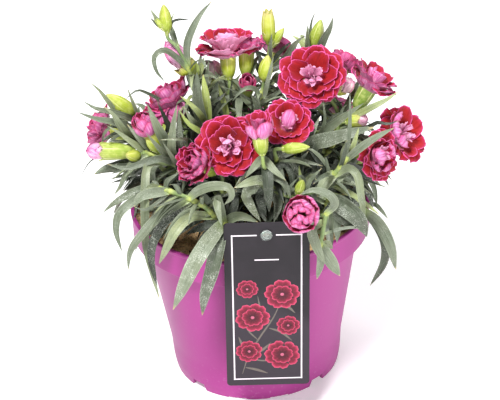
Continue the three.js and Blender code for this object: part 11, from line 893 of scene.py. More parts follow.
            (4.3, "y", 0.3, [(10, -52, 156.7, -0.02, -0.86, 0.51), (30.2, -56, 150.9, -0.32, -0.89, 0.32), (30.3, -54, 171.2, 0, -1, 0.1)]),
            (4, "g", 0.3, [(10, -50, 154.2, -0.33, -0.79, 0.51), (32.1, -58, 156.2, -0.45, -0.81, 0.39), (37.6, -60, 165.3, -0.27, -0.94, 0.22), (43.8, -58, 170.7, -0.09, -0.9, 0.43)]),
        ],
        "more": [
            (5.1, "d", 0.21, [(6.2, -35.7, 136.4, 0.8, 0.1, 0.6), (1.7, -39.6, 142.8, 0.7, 0.1, 0.7), (-2.7, -43.8, 147.8, 0.6, 0.1, 0.8), (-6.9, -48.4, 150.7, 0.3, 0, 0.9), (-10.9, -53.3, 150.8, 0.2, -0.1, 1)]),
            (3.4, "d", 0.07, [(6.2, -35.7, 136.4, -0.6, -0.4, 0.7), (13.3, -36, 142.8, -0.6, -0.3, 0.7), (20.6, -36.8, 147.2, -0.4, -0.3, 0.9), (28, -38, 148.7, 0, -0.3, 1), (35.3, -39.9, 146.4, 0.2, -0.3, 0.9)]),
            (4, "d", 0.29, [(8.4, -45.4, 147.9, -0.4, -0.9, 0.3), (10.4, -43.9, 153.8, -0.4, -0.9, 0.3), (12.6, -42.6, 159.3, -0.5, -0.8, 0.4), (15, -41.5, 164, -0.5, -0.7, 0.5), (17.5, -40.6, 167.5, -0.5, -0.6, 0.5)]),
            (4, "d", 0.51, [(6.2, -35.7, 136.4, 0.1, -1, 0.3), (6.4, -32.8, 146.9, 0, -1, 0.3), (7.7, -29.7, 156.2, -0.2, -0.9, 0.4), (10.5, -26.3, 163.5, -0.3, -0.7, 0.6), (15.1, -22.8, 168.1, -0.3, -0.6, 0.7)]),
            (3.3, "d", 0.33, [(7.7, -42.3, 144.2, 0.7, 0, 0.8), (1.7, -46.1, 149.4, 0.6, 0, 0.8), (-4.5, -50, 153.1, 0.4, -0.1, 0.9), (-10.9, -53.8, 154.7, 0.2, -0.2, 1), (-17.3, -57.6, 153.5, 0, -0.3, 0.9)]),
            (4.1, "d", 0, [(5.5, -32.4, 132.5, -0.2, 0.1, 1), (8.9, -38.9, 133.9, -0.1, 0.1, 1), (12, -45.8, 135.1, -0.1, 0.1, 1), (14.6, -53.1, 135.9, 0, 0.1, 1), (16.5, -60.7, 136.1, 0, 0, 1)]),
            (4, "d", 0.44, [(3, -21, 116, -0.5, -0.1, 0.9), (10.5, -23, 119.7, -0.4, -0.1, 0.9), (18.3, -24.6, 122.6, -0.3, -0.1, 0.9), (26.3, -25.9, 124.3, -0.1, -0.2, 1), (34.5, -26.6, 124.5, 0, -0.2, 1)]),
            (4.8, "d", 0.53, [(5.5, -32.4, 132.5, 0, -0.2, 1), (9.8, -37.4, 131.1, 0.1, -0.3, 0.9), (14.5, -42.4, 127.8, 0.3, -0.5, 0.8), (19.7, -47.1, 121.9, 0.4, -0.6, 0.7), (25.3, -51.5, 112.7, 0.5, -0.7, 0.6)]),
            (4.7, "d", 0.2, [(7, -39, 140.4, 0.6, 0.2, 0.8), (1.8, -44.5, 145.8, 0.6, 0.1, 0.8), (-3.7, -49.9, 150.4, 0.5, 0.1, 0.8), (-9.6, -55.2, 153.7, 0.4, 0, 0.9), (-15.8, -60.2, 155.4, 0.3, -0.1, 0.9)]),
            (4.1, "d", 0.2, [(3, -21, 116, -0.5, 0.2, 0.8), (7.2, -23.8, 119.1, -0.4, 0.1, 0.9), (11.4, -26.7, 120.1, 0, -0.2, 1), (15.7, -29.7, 118.1, 0.4, -0.5, 0.8), (20, -32.6, 112.4, 0.5, -0.6, 0.7)]),
            (3.6, "g", 0, [(21.1, -56.9, 152.7, 0.9, 0.4, -0.1), (22.4, -58.9, 156.5, 0.9, 0.4, -0.2), (24.1, -60.8, 160.3, 0.9, 0, -0.5), (26.3, -62.4, 164, 0.8, 0.1, -0.5), (28.9, -63.7, 167.5, 0.8, 0.2, -0.6)]),
        ],
        "calyxes": [],
        "buds": [(3, (28.9, -62, 156.6), (32, -66, 167.7), "green")],
    },
    "shoot_21": {
        "stems": [
            (2, 1.5, [(-7, -6, 109.3), (-7, -6, 116), (-22.6, -10, 160.1), (-23.5, -14, 177.8)]),
        ],
        "leaves": [
            (7.4, "g", 0.3, [(-23.5, -14, 177.8, 0.03, -0.86, 0.5), (-24.8, -14, 177.9, 0.24, -0.95, -0.22), (-28.6, -20, 197.9, 0.06, -0.99, -0.14), (-28, -20, 219.6, -0.02, -1, 0)]),
            (6.2, "y", 0.3, [(-23.5, -14, 177.8, -0.03, -1, 0), (-23.5, -14, 179.2, 0, -0.99, -0.17), (-23.6, -18, 200.7, 0.02, -1, -0.05), (-24.6, -16, 216, 0.03, -0.99, 0.13)]),
            (4, "y", 0.3, [(-23.5, -14, 177.8, 0.42, -0.79, -0.44), (-28.2, -26, 194.9, 0.46, -0.85, -0.26), (-34.3, -28, 203.8, 0.35, -0.92, 0.15), (-38.9, -28, 208.1, 0.27, -0.92, 0.28)]),
            (4, "g", 0.3, [(-23.5, -14, 177.8, 0.7, -0.5, 0.51), (-24.8, -16, 177.6, 0.78, -0.61, -0.11), (-32.6, -28, 191.4, 0.51, -0.84, -0.17), (-36.9, -28, 200.5, 0.22, -0.97, 0.1)]),
            (3.7, "y", 0.3, [(-22.8, -12, 168.3, 0.7, -0.58, -0.41), (-27.6, -28, 182.9, 0.66, -0.73, -0.19), (-34.6, -28, 188.8, 0.13, -0.92, 0.37), (-40.7, -24, 197.2, 0.04, -0.89, 0.45)]),
            (3.7, "d", 0.3, [(-23.5, -14, 177.8, 0, -0.87, 0.5), (-20.5, -8, 188.4, -0.02, -0.88, 0.48), (-11.4, -4, 196.8, -0.04, -0.88, 0.47)]),
        ],
        "more": [
            (5, "d", 0, [(-19.4, -8.7, 149.7, -0.1, 0.3, 1), (-21.1, -14.7, 151.3, -0.1, 0.1, 1), (-23.2, -20.8, 150.6, -0.2, -0.3, 0.9), (-25.7, -26.9, 146.6, -0.4, -0.6, 0.7), (-28.6, -32.8, 138.4, -0.5, -0.6, 0.6)]),
            (5.7, "d", 0.61, [(-8.5, -6.3, 121.7, -0.3, -0.7, 0.6), (-7.7, 0.1, 129.2, -0.3, -0.6, 0.7), (-6.6, 6.7, 134.1, -0.2, -0.4, 0.9), (-5.2, 13.4, 135.2, -0.1, 0.2, 1), (-3.5, 19.9, 131.3, 0, 0.5, 0.9)]),
            (3.4, "d", 0.22, [(-19.4, -8.7, 149.7, -0.7, 0.1, 0.7), (-12.6, -10.8, 157.1, -0.6, 0.1, 0.8), (-5.8, -13.8, 160.7, -0.2, 0, 1), (0.8, -17.8, 159.1, 0.3, -0.4, 0.8), (7.1, -23, 150.6, 0.4, -0.6, 0.7)]),
            (4.9, "d", 0.3, [(-16.2, -7.8, 141.4, 0.2, 0, 1), (-27, -10.2, 143.2, 0, 0, 1), (-38, -12.4, 142.3, -0.2, -0.1, 1), (-49.3, -14.6, 137.4, -0.5, -0.1, 0.8), (-60.5, -16.7, 127.7, -0.6, -0.1, 0.8)]),
            (3.4, "d", 0.14, [(-7, -6, 116, 0.4, -0.3, 0.9), (-13.8, -2.5, 119.8, 0.2, -0.2, 1), (-20.4, 1.8, 121, -0.1, 0, 1), (-26.7, 7.1, 118.6, -0.4, 0.3, 0.9), (-32.5, 13.3, 111.6, -0.5, 0.4, 0.8)]),
            (4.8, "d", 0.36, [(-7, -6, 116, 0, -0.6, 0.8), (-8.9, 2.8, 122.5, 0, -0.5, 0.9), (-10.7, 11.9, 125.9, -0.1, -0.1, 1), (-12.4, 21.2, 124.8, -0.2, 0.4, 0.9), (-13.8, 30.5, 117.8, -0.2, 0.6, 0.8)]),
            (3.2, "d", 0.39, [(-14.5, -7.5, 137.2, 0.4, 0, 0.9), (-19.3, -7.8, 139.6, 0.3, 0, 1), (-24.3, -7.8, 140, -0.2, 0, 1), (-29.3, -7.6, 137.8, -0.6, 0, 0.8), (-34.4, -7, 132.1, -0.7, 0, 0.7)]),
            (3.6, "d", 0.34, [(-12.8, -7.1, 133, -0.2, 0.7, 0.6), (-13.1, -11.6, 138.2, -0.3, 0.7, 0.7), (-12.2, -16.4, 142.6, -0.4, 0.5, 0.8), (-10, -21.4, 145.9, -0.3, 0.3, 0.9), (-6.2, -26.7, 147.7, -0.3, 0.1, 1)]),
            (5.6, "d", 0.28, [(-19.4, -8.7, 149.7, -0.7, 0.3, 0.7), (-13, -13.5, 158, -0.7, 0.3, 0.7), (-6.9, -19, 166.3, -0.6, 0.4, 0.7), (-1.2, -25.4, 174.2, -0.5, 0.4, 0.7), (3.8, -32.7, 181.4, -0.5, 0.4, 0.8)]),
            (3.8, "d", 0.45, [(-11.2, -6.8, 129, -0.2, 0.8, 0.6), (-11.5, -11.9, 135.2, -0.2, 0.7, 0.7), (-12.4, -17.1, 140, 0, 0.6, 0.8), (-14.3, -22.4, 142.6, 0, 0.2, 1), (-17.3, -27.7, 142.2, -0.1, 0, 1)]),
        ],
        "calyxes": [],
        "buds": [],
    },
    "shoot_22": {
        "stems": [
            (2, 1.4, [(-15, 16, 109.3), (-15, 16, 116), (-26, 28, 124), (-38, 40, 134)]),
            (1.7, 1.3, [(-35.6, 37.6, 132), (-44, 45, 139), (-46.1, 39.3, 132.7), (-50.1, 44.1, 137.7)]),
        ],
        "leaves": [
            (8.2, "g", 0.4, [(-15, 16, 116, 0.14, -0.13, 0.98), (-22, 23.4, 118, 0.08, -0.07, 0.99), (-29.1, 30.9, 118.2, -0.06, 0.08, 1), (-36.1, 38.2, 116, -0.23, 0.26, 0.94), (-42.4, 44.9, 111.2, -0.31, 0.35, 0.89)]),
            (7.9, "g", 0.4, [(-15, 16, 116, -0.75, 0.63, 0.2), (-12.6, 15.5, 126.8, -0.74, 0.63, 0.26), (-9.1, 14.2, 137.3, -0.69, 0.61, 0.39), (-4.3, 12, 147, -0.6, 0.57, 0.56), (2.3, 8.7, 155.3, -0.54, 0.54, 0.64)]),
            (8.1, "g", 0.4, [(-22.9, 24.7, 122, 0.05, 0.98, 0.17), (-33.3, 26.4, 124.6, -0.01, 0.98, 0.19), (-43.9, 26.1, 126.7, -0.13, 0.97, 0.21), (-54.6, 24.6, 127.2, -0.25, 0.95, 0.2), (-65, 22.3, 125.1, -0.31, 0.93, 0.2)]),
            (8.4, "g", 0.4, [(-22.9, 24.7, 122, -0.92, -0.02, 0.39), (-22.3, 38, 122.6, -0.92, 0.04, 0.39), (-20.6, 50.1, 122.3, -0.91, 0.18, 0.38), (-18, 61.3, 119.9, -0.88, 0.32, 0.34), (-15, 71.2, 115, -0.87, 0.39, 0.32)]),
            (7.6, "g", 0.4, [(-30, 32, 127.2, -0.6, 0.76, -0.24), (-32.6, 33, 136.7, -0.61, 0.77, -0.2), (-34.7, 33.2, 146.5, -0.63, 0.77, -0.12), (-36.6, 32.7, 156.2, -0.65, 0.76, -0.04), (-38.3, 31.2, 165.9, -0.65, 0.76, 0)]),
            (7.3, "g", 0.4, [(-30, 32, 127.2, -0.28, 0.09, 0.96), (-35.8, 39.7, 126.8, -0.32, 0.15, 0.93), (-41.3, 47.2, 125.3, -0.43, 0.29, 0.86), (-46.5, 54.4, 122.3, -0.53, 0.43, 0.74), (-51, 60.9, 117.8, -0.57, 0.49, 0.66)]),
            (7.8, "g", 0.4, [(-37, 39, 133.2, -0.88, -0.11, 0.47), (-36.9, 46.5, 135.2, -0.88, -0.04, 0.48), (-36, 54.2, 136.3, -0.86, 0.11, 0.49), (-34.6, 61.8, 135.8, -0.84, 0.27, 0.47), (-32.8, 69, 133.5, -0.82, 0.36, 0.45)]),
            (6.6, "g", 0.4, [(-37, 39, 133.2, 0.11, 0.87, 0.47), (-45.6, 38.8, 135.4, 0.04, 0.87, 0.49), (-54.5, 37.9, 136.6, -0.11, 0.86, 0.5), (-63.2, 36.2, 136, -0.28, 0.84, 0.47), (-71.4, 34.1, 133.3, -0.36, 0.82, 0.45)]),
        ],
        "more": [
            (5.4, "d", 0.27, [(-14.5, 15.5, 112.4, 0.6, -0.3, 0.8), (-20.8, 19.2, 118.6, 0.5, -0.3, 0.8), (-27.3, 23, 122.5, 0.2, -0.1, 1), (-34, 26.7, 123.2, -0.2, 0.1, 1), (-40.7, 30.3, 119.6, -0.4, 0.2, 0.9)]),
            (4, "d", 0.16, [(-38.6, 40.7, 134.9, -0.9, 0.2, 0.4), (-36.5, 41.9, 139.3, -0.8, 0.2, 0.5), (-34.1, 42.8, 141.6, -0.3, 0.3, 0.9), (-31.3, 43.2, 140.9, 0.6, 0.5, 0.7), (-28.1, 43, 136.3, 0.6, 0.6, 0.4)]),
            (4.9, "d", 0.71, [(-38.6, 40.7, 134.9, -0.9, -0.4, 0.3), (-38.1, 44.6, 142, -0.8, -0.5, 0.3), (-37.9, 48.6, 148.2, -0.7, -0.6, 0.5), (-38, 52.7, 152.9, -0.4, -0.6, 0.7), (-38.4, 56.9, 155.7, -0.3, -0.5, 0.8)]),
            (4.3, "d", 0.09, [(-45.2, 42.1, 135.8, -0.4, -0.6, 0.7), (-37.9, 36.3, 134.8, -0.3, -0.6, 0.7), (-30, 30.7, 131.2, -0.1, -0.8, 0.6), (-21.7, 25.5, 123.9, 0.1, -0.9, 0.5), (-12.9, 20.9, 112, 0.1, -0.9, 0.4)]),
            (3.6, "d", 0.23, [(-15, 16, 116, -0.7, -0.4, 0.6), (-13, 19.3, 120, -0.7, -0.3, 0.7), (-10.7, 22.5, 123, -0.6, -0.2, 0.8), (-7.7, 25.4, 124.8, -0.3, 0.1, 0.9), (-4.3, 28.1, 124.9, -0.2, 0.2, 1)]),
            (3.9, "d", 0.15, [(-27, 29, 124.8, -0.5, -0.4, 0.8), (-26.6, 34.1, 127.5, -0.4, -0.2, 0.9), (-26.2, 39.3, 128, -0.3, 0.2, 0.9), (-25.8, 44.6, 125.4, -0.3, 0.6, 0.7), (-25.5, 49.9, 118.8, -0.3, 0.7, 0.6)]),
            (2.8, "d", 0.32, [(-38.6, 40.7, 134.9, -0.5, -0.3, 0.8), (-37.1, 45.9, 137.5, -0.5, -0.2, 0.9), (-35.5, 51.2, 139.1, -0.4, 0, 0.9), (-33.8, 56.7, 139.3, -0.3, 0.2, 0.9), (-32.1, 62, 137.7, -0.2, 0.4, 0.9)]),
            (3.3, "gy", 0.16, [(-38.6, 40.7, 134.9, -0.6, -0.4, 0.6), (-37, 47.4, 141.2, -0.6, -0.4, 0.7), (-35.1, 54.4, 146.5, -0.6, -0.3, 0.7), (-33.1, 61.4, 150.5, -0.5, -0.2, 0.8), (-30.9, 68.3, 152.6, -0.4, -0.1, 0.9)]),
            (3.3, "d", 0.22, [(-19.7, 21.1, 120.3, 0.2, 0.8, 0.6), (-26.9, 17.9, 126.7, 0.2, 0.7, 0.7), (-34.2, 14.3, 131.1, 0, 0.6, 0.8), (-41.5, 10.3, 132.5, -0.3, 0.4, 0.9), (-48.6, 6, 130, -0.5, 0.3, 0.8)]),
            (3.2, "d", 0.18, [(-38.6, 40.7, 134.9, -0.9, 0.4, -0.2), (-40, 43.2, 145.4, -1, 0.2, -0.2), (-41.4, 45.8, 153.1, -0.5, -0.8, 0.3), (-42.7, 48.5, 156.8, 0, -0.4, 0.9), (-43.9, 51.2, 155.1, -0.3, 0.4, 0.9)]),
            (5, "g", 0.47, [(-41, 43, 137.2, -0.1, 0, 1), (-46.8, 51.2, 136.5, -0.2, 0.1, 1), (-52.5, 59.9, 134.6, -0.2, 0.2, 1), (-57.6, 69.2, 131.1, -0.3, 0.3, 0.9), (-62.1, 78.8, 125.6, -0.3, 0.3, 0.9)]),
            (4.1, "g", 0.44, [(-44, 45, 139, 0.4, -0.6, 0.7), (-53, 44.2, 143.7, 0.3, -0.4, 0.9), (-62.2, 42.9, 144.4, -0.2, -0.2, 1), (-71.5, 41.1, 139.6, -0.6, -0.3, 0.7), (-80.7, 38.5, 127.7, -0.7, -0.3, 0.6)]),
        ],
        "calyxes": [(4.7, (-49.6, 43.5, 137.1), (-57.1, 52.5, 146.4))],
        "buds": [],
    },
    "shoot_23": {
        "stems": [
            (2, 1.4, [(-2, 22, 109.3), (-2, 22, 116), (-4, 38, 124), (-6, 52, 130)]),
            (1.7, 1.3, [(-5.8, 50.6, 129.4), (-6, 60, 132), (-6.6, 58.8, 122.6), (-7, 64.8, 127.8)]),
        ],
        "leaves": [
            (7.5, "g", 0.4, [(-1.9, 21.5, 114.7, 0.35, 0.75, 0.56), (-6.1, 16.8, 123.5, 0.32, 0.72, 0.62), (-10.9, 11.1, 131.3, 0.23, 0.62, 0.75), (-16.5, 4.1, 137.4, 0.1, 0.46, 0.88), (-22.7, -4.1, 140.7, 0.02, 0.36, 0.93)]),
            (8.7, "g", 0.4, [(-1.9, 21.5, 114.7, -0.49, -0.35, 0.8), (3.2, 29.1, 121.2, -0.45, -0.3, 0.84), (9, 37.4, 126.2, -0.35, -0.15, 0.92), (15.5, 46.3, 128.7, -0.21, 0.06, 0.98), (22.3, 55.3, 127.9, -0.12, 0.18, 0.98)]),
            (8.2, "g", 0.4, [(-3, 30.4, 121.1, 0.36, 0.9, -0.24), (-8.3, 34.5, 128.5, 0.34, 0.92, -0.21), (-14.1, 37.9, 135.8, 0.29, 0.95, -0.15), (-21, 40.7, 142.5, 0.24, 0.96, -0.12), (-29.2, 43, 147.8, 0.21, 0.97, -0.1)]),
            (8.7, "g", 0.4, [(-3, 30.4, 121.1, -0.6, 0.43, 0.68), (2, 40.9, 120.6, -0.56, 0.49, 0.66), (7.7, 50.7, 119, -0.49, 0.62, 0.61), (13.7, 59.8, 115.4, -0.41, 0.75, 0.52), (19.5, 67.7, 110, -0.37, 0.81, 0.46)]),
            (7.8, "g", 0.4, [(-4.5, 41.6, 125.6, -0.58, 0.79, -0.21), (-1, 45.9, 132.3, -0.56, 0.81, -0.17), (3.2, 49.8, 139, -0.52, 0.85, -0.11), (8.4, 53.4, 145, -0.47, 0.88, -0.07), (14.9, 56.8, 149.8, -0.44, 0.9, -0.05)]),
            (8, "g", 0.4, [(-4.5, 41.6, 125.6, 0.49, 0.55, 0.67), (-11.5, 43.6, 127.8, 0.44, 0.61, 0.66), (-18.7, 47.3, 127, 0.33, 0.72, 0.62), (-25.7, 50.5, 124.1, 0.21, 0.82, 0.53), (-32, 52.7, 119, 0.16, 0.86, 0.48)]),
            (7.1, "g", 0.4, [(-5.8, 50.8, 129.5, -0.42, 0.36, 0.83), (-4, 58.4, 128.5, -0.4, 0.43, 0.81), (-1.8, 65.7, 126.6, -0.36, 0.58, 0.73), (0.4, 72.3, 123.6, -0.31, 0.73, 0.61), (2.6, 78.1, 119.4, -0.29, 0.79, 0.54)]),
            (8.3, "g", 0.4, [(-5.8, 50.8, 129.5, 0.21, 0.93, -0.3), (-9.5, 54.1, 137.1, 0.2, 0.95, -0.26), (-13.5, 56.6, 144.8, 0.16, 0.97, -0.2), (-18.3, 58.7, 152.3, 0.13, 0.98, -0.15), (-24.2, 60.2, 158.9, 0.11, 0.99, -0.13)]),
        ],
        "more": [
            (4, "d", 0.25, [(-2, 22, 116, 0.3, 0.1, 0.9), (-6.2, 24.9, 117.3, 0.2, 0.1, 1), (-10.6, 27.9, 117.5, 0.1, 0.2, 1), (-15, 31, 116.4, -0.2, 0.4, 0.9), (-19.4, 34, 113.6, -0.3, 0.4, 0.9)]),
            (4.2, "d", 0.08, [(-2.8, 28.9, 120.4, 0.4, 0.9, -0.3), (-4, 32.3, 129.2, 0, 0.9, -0.5), (-4.7, 36, 133.9, 0, -0.4, 0.9), (-4.8, 40, 133, 0, 0.7, 0.7), (-4, 44.3, 124.7, 0, 0.9, 0.5)]),
            (3.2, "d", 0.38, [(-5.9, 56, 131.5, -0.8, 0.5, 0.4), (-2.4, 57.4, 136.1, -0.7, 0.5, 0.5), (1.4, 58.4, 139.6, -0.5, 0.5, 0.7), (5.5, 58.8, 141.4, -0.1, 0.5, 0.9), (10, 58.5, 141, 0.1, 0.5, 0.9)]),
            (5.3, "g", 0.28, [(-5.9, 56, 131.5, 0.4, 0.1, 0.9), (-12.2, 63.7, 133.2, 0.3, 0.2, 0.9), (-18.2, 72, 132.2, 0.1, 0.4, 0.9), (-23.7, 81.1, 127.7, -0.1, 0.6, 0.8), (-28.3, 90.8, 118.5, -0.1, 0.7, 0.7)]),
            (5.7, "d", 0.63, [(-2.8, 28.9, 120.4, -0.9, 0.4, 0.3), (1.9, 32.2, 128.9, -0.9, 0.3, 0.4), (6.7, 35.9, 134.4, -0.7, 0.2, 0.7), (11.3, 39.8, 135.8, -0.1, 0.4, 0.9), (15.7, 44.1, 131.7, 0.1, 0.6, 0.8)]),
            (3.8, "d", 0.26, [(-1.9, 21.3, 112.4, 0.6, -0.5, 0.6), (-6.4, 24.4, 119.1, 0.6, -0.4, 0.7), (-11, 27.5, 123.1, 0.3, -0.2, 0.9), (-15.6, 30.6, 123.1, -0.4, 0.2, 0.9), (-20.3, 33.7, 118, -0.6, 0.4, 0.7)]),
            (4.8, "d", 0.67, [(-2.5, 26, 119.1, 0.3, 0.9, 0), (-3.7, 26.1, 124.1, 0.4, 0.9, 0.1), (-5, 26, 128.1, 0.4, 0.9, 0.3), (-6.4, 25.4, 130.6, 0.3, 0.7, 0.6), (-7.9, 24.4, 131.1, 0, 0.5, 0.9)]),
            (3, "d", 0.5, [(-6.2, 59.8, 128.1, 0, -0.1, 1), (-8, 49.9, 127.4, 0, -0.2, 1), (-9.2, 39.6, 124.8, -0.1, -0.3, 0.9), (-9.6, 28.9, 119.9, -0.1, -0.5, 0.8), (-9, 18.2, 111.8, -0.1, -0.6, 0.8)]),
            (3.9, "d", 0.34, [(-3.4, 33.6, 122.2, -0.5, 0.3, 0.8), (3.1, 37.9, 124.9, -0.4, 0.3, 0.9), (9.6, 42.6, 125.5, -0.2, 0.4, 0.9), (16.1, 47.6, 123, 0.1, 0.6, 0.8), (22.2, 53, 116.7, 0.1, 0.7, 0.7)]),
            (3.8, "d", 0.18, [(-5.9, 56, 131.5, 0.1, 0.2, 1), (-8.8, 61.8, 130.6, 0.1, 0.3, 1), (-11.9, 67.8, 128.9, 0.1, 0.4, 0.9), (-15, 73.8, 126.2, 0, 0.5, 0.9), (-18.2, 79.7, 122.1, 0, 0.5, 0.8)]),
            (5.6, "d", 0.27, [(-2.5, 26, 119.1, -0.4, 0.1, 0.9), (3.3, 34.4, 120.9, -0.3, 0.1, 0.9), (10.2, 42.4, 121.2, -0.2, 0.3, 0.9), (18.2, 49.9, 119.5, -0.1, 0.5, 0.9), (27.6, 56.5, 115.1, 0, 0.5, 0.9)]),
            (2.9, "d", 0.38, [(-5.9, 56, 131.5, -0.5, 0.9, -0.2), (-4.9, 57.7, 137.9, -0.6, 0.8, -0.1), (-3.6, 59.2, 143, -0.9, 0.5, 0.1), (-1.8, 60.6, 146, -0.7, 0.3, 0.7), (0.6, 61.7, 146.3, -0.3, 0.4, 0.9)]),
            (4.5, "d", 0.42, [(-1.9, 21.3, 112.4, 0.1, 0.7, 0.7), (-2.8, 16, 117.5, 0.1, 0.6, 0.8), (-3.6, 10.4, 120.7, 0, 0.3, 1), (-4.4, 4.8, 121, 0, -0.3, 1), (-5.3, -0.8, 117.5, -0.1, -0.5, 0.9)]),
            (4.1, "g", 0.64, [(-6, 59.6, 132.2, -0.5, 0.2, 0.8), (-2.1, 66.6, 133.1, -0.4, 0.3, 0.9), (2.3, 73.5, 131.8, -0.2, 0.5, 0.8), (7.3, 80.3, 127.5, -0.1, 0.7, 0.7), (12.9, 86.7, 119.5, 0, 0.8, 0.6)]),
        ],
        "calyxes": [(4.7, (-6.9, 64, 127.2), (-7.7, 75.4, 137))],
        "buds": [],
    },
    "shoot_24": {
        "stems": [
            (2, 1.4, [(14, 16, 109.3), (14, 16, 116), (26, 30, 124), (38, 42, 134)]),
            (1.7, 1.3, [(35.6, 39.6, 132), (46, 46, 139), (48.7, 40.7, 132.8), (53.1, 45.1, 137.8)]),
        ],
        "leaves": [
            (7.2, "g", 0.4, [(14, 16, 116, 0.91, 0.05, 0.42), (9.3, 23.5, 125.3, 0.88, 0.09, 0.47), (3.1, 31.3, 133.5, 0.8, 0.19, 0.57), (-4.6, 39.5, 139.6, 0.68, 0.34, 0.65), (-13.8, 48.1, 142.4, 0.6, 0.41, 0.68)]),
            (8.1, "g", 0.4, [(14, 16, 116, -0.36, 0.61, 0.7), (24.1, 16.2, 120.9, -0.29, 0.61, 0.74), (34.8, 15.8, 124.3, -0.11, 0.61, 0.78), (45.9, 14.7, 125.3, 0.12, 0.6, 0.79), (56.8, 13.1, 123.2, 0.24, 0.58, 0.78)]),
            (7.3, "g", 0.4, [(21.5, 24.9, 121.4, 0.61, 0.64, -0.46), (24.1, 28.7, 130.3, 0.62, 0.66, -0.43), (26.3, 32.1, 139.6, 0.63, 0.67, -0.38), (28.1, 35.3, 148.9, 0.64, 0.68, -0.36), (29.8, 38.7, 158.2, 0.64, 0.68, -0.36)]),
            (7.7, "g", 0.4, [(21.5, 24.9, 121.4, 0.42, 0.26, 0.87), (25.8, 32, 119.9, 0.45, 0.31, 0.83), (29.7, 38.9, 117.8, 0.52, 0.44, 0.73), (33.2, 45.3, 114.5, 0.59, 0.55, 0.6), (36.2, 50.9, 110.4, 0.61, 0.6, 0.52)]),
            (7.1, "g", 0.4, [(30, 34.1, 127.2, -0.12, 0.84, 0.52), (38.6, 35.2, 128.3, -0.05, 0.84, 0.54), (47.4, 35.1, 128.6, 0.1, 0.84, 0.54), (56, 34.3, 127.3, 0.27, 0.82, 0.5), (64, 33, 123.9, 0.36, 0.81, 0.47)]),
            (8, "g", 0.4, [(30, 34.1, 127.2, 0.97, 0, 0.23), (28.9, 42.7, 132, 0.97, 0.05, 0.26), (26.8, 51.4, 136, 0.94, 0.17, 0.3), (23.6, 60.5, 138.3, 0.9, 0.31, 0.32), (19.7, 69.5, 138.2, 0.87, 0.38, 0.32)]),
            (6.8, "g", 0.4, [(37, 41, 133.2, 0.27, 0.08, 0.96), (42.4, 48, 131.1, 0.32, 0.15, 0.94), (47.4, 54.7, 127.5, 0.42, 0.28, 0.86), (51.8, 60.8, 122.3, 0.52, 0.42, 0.74), (55.3, 65.8, 115.6, 0.57, 0.48, 0.66)]),
            (7.3, "g", 0.4, [(37, 41, 133.2, 0.73, 0.64, -0.24), (38, 42.7, 140.7, 0.74, 0.65, -0.2), (38.5, 43.9, 148.4, 0.74, 0.66, -0.11), (38.4, 44.8, 156.1, 0.74, 0.67, -0.03), (37.8, 45.4, 163.9, 0.74, 0.68, 0.01)]),
        ],
        "more": [
            (4, "g", 0.53, [(39.4, 42.3, 134.9, 0.2, -0.2, 1), (43.5, 52.4, 136.4, 0.2, -0.1, 1), (48.2, 62.7, 135.6, 0.3, 0.1, 1), (53.4, 73, 131.8, 0.4, 0.3, 0.9), (59.2, 82.9, 124.1, 0.4, 0.4, 0.8)]),
            (5.4, "d", 0, [(42.2, 44.4, 137.3, 0.8, -0.5, 0.3), (42.3, 48.6, 144.9, 0.8, -0.6, 0.3), (42.4, 53, 151.1, 0.6, -0.6, 0.5), (42.5, 57.4, 155.3, 0.5, -0.5, 0.7), (42.6, 61.8, 156.7, 0.4, -0.3, 0.9)]),
            (5.2, "d", 0.27, [(19.1, 22.1, 120.3, -0.5, 0.9, 0.1), (23.7, 24, 129.2, -0.7, 0.7, 0.3), (28.5, 25.6, 135.1, -0.6, 0.4, 0.7), (33.6, 26.9, 136.7, 0.1, 0.4, 0.9), (38.9, 27.6, 132.7, 0.5, 0.4, 0.8)]),
            (4.7, "d", 0.16, [(29, 33.1, 126.4, 0.9, 0.2, 0.3), (27.1, 34.6, 131.3, 0.9, 0.1, 0.3), (25.1, 36.1, 135.9, 0.9, 0.1, 0.4), (23.1, 37.6, 139.8, 0.9, 0.1, 0.5), (21.1, 39.1, 142.6, 0.8, 0.1, 0.5)]),
            (4.4, "d", 0.27, [(19.1, 22.1, 120.3, 0.9, 0.2, -0.3), (20.9, 25.3, 128.6, 0.7, 0.6, -0.4), (23, 28.6, 136.2, 0.7, 0.6, -0.5), (25.3, 31.8, 142.8, 0.6, 0.5, -0.6), (28, 34.7, 147.8, -0.6, -0.5, 0.6)]),
            (4.4, "d", 0.33, [(16, 18.4, 118.4, 0.7, -0.1, 0.7), (11.9, 24.5, 123.2, 0.7, 0, 0.7), (7.6, 30.8, 126.5, 0.5, 0.1, 0.8), (3.2, 37.1, 127.4, 0.3, 0.3, 0.9), (-1.4, 43.2, 125.3, 0.2, 0.5, 0.9)]),
            (3.6, "d", 0.56, [(23.8, 27.6, 122.6, -0.1, 0.3, 1), (29.4, 29.5, 122.4, 0, 0.3, 1), (35.2, 31.5, 121.9, 0, 0.3, 1), (41, 33.4, 121.1, 0.1, 0.3, 1), (46.9, 35.3, 119.9, 0.1, 0.3, 0.9)]),
            (3.9, "d", 0.56, [(19.1, 22.1, 120.3, 0.6, -0.1, 0.8), (16.3, 29, 122.8, 0.5, 0, 0.9), (14.2, 36.5, 123.6, 0.4, 0.1, 0.9), (13, 44.6, 121.9, 0.3, 0.4, 0.9), (13, 53.1, 117.1, 0.3, 0.5, 0.8)]),
            (5, "d", 0.66, [(23.8, 27.6, 122.6, 0.2, 1, 0.1), (25.9, 26, 131, 0.2, 1, 0.2), (27.7, 23.6, 138.8, 0.3, 0.9, 0.3), (29.1, 20.5, 145.3, 0.3, 0.8, 0.5), (29.8, 16.3, 150.2, 0.3, 0.7, 0.6)]),
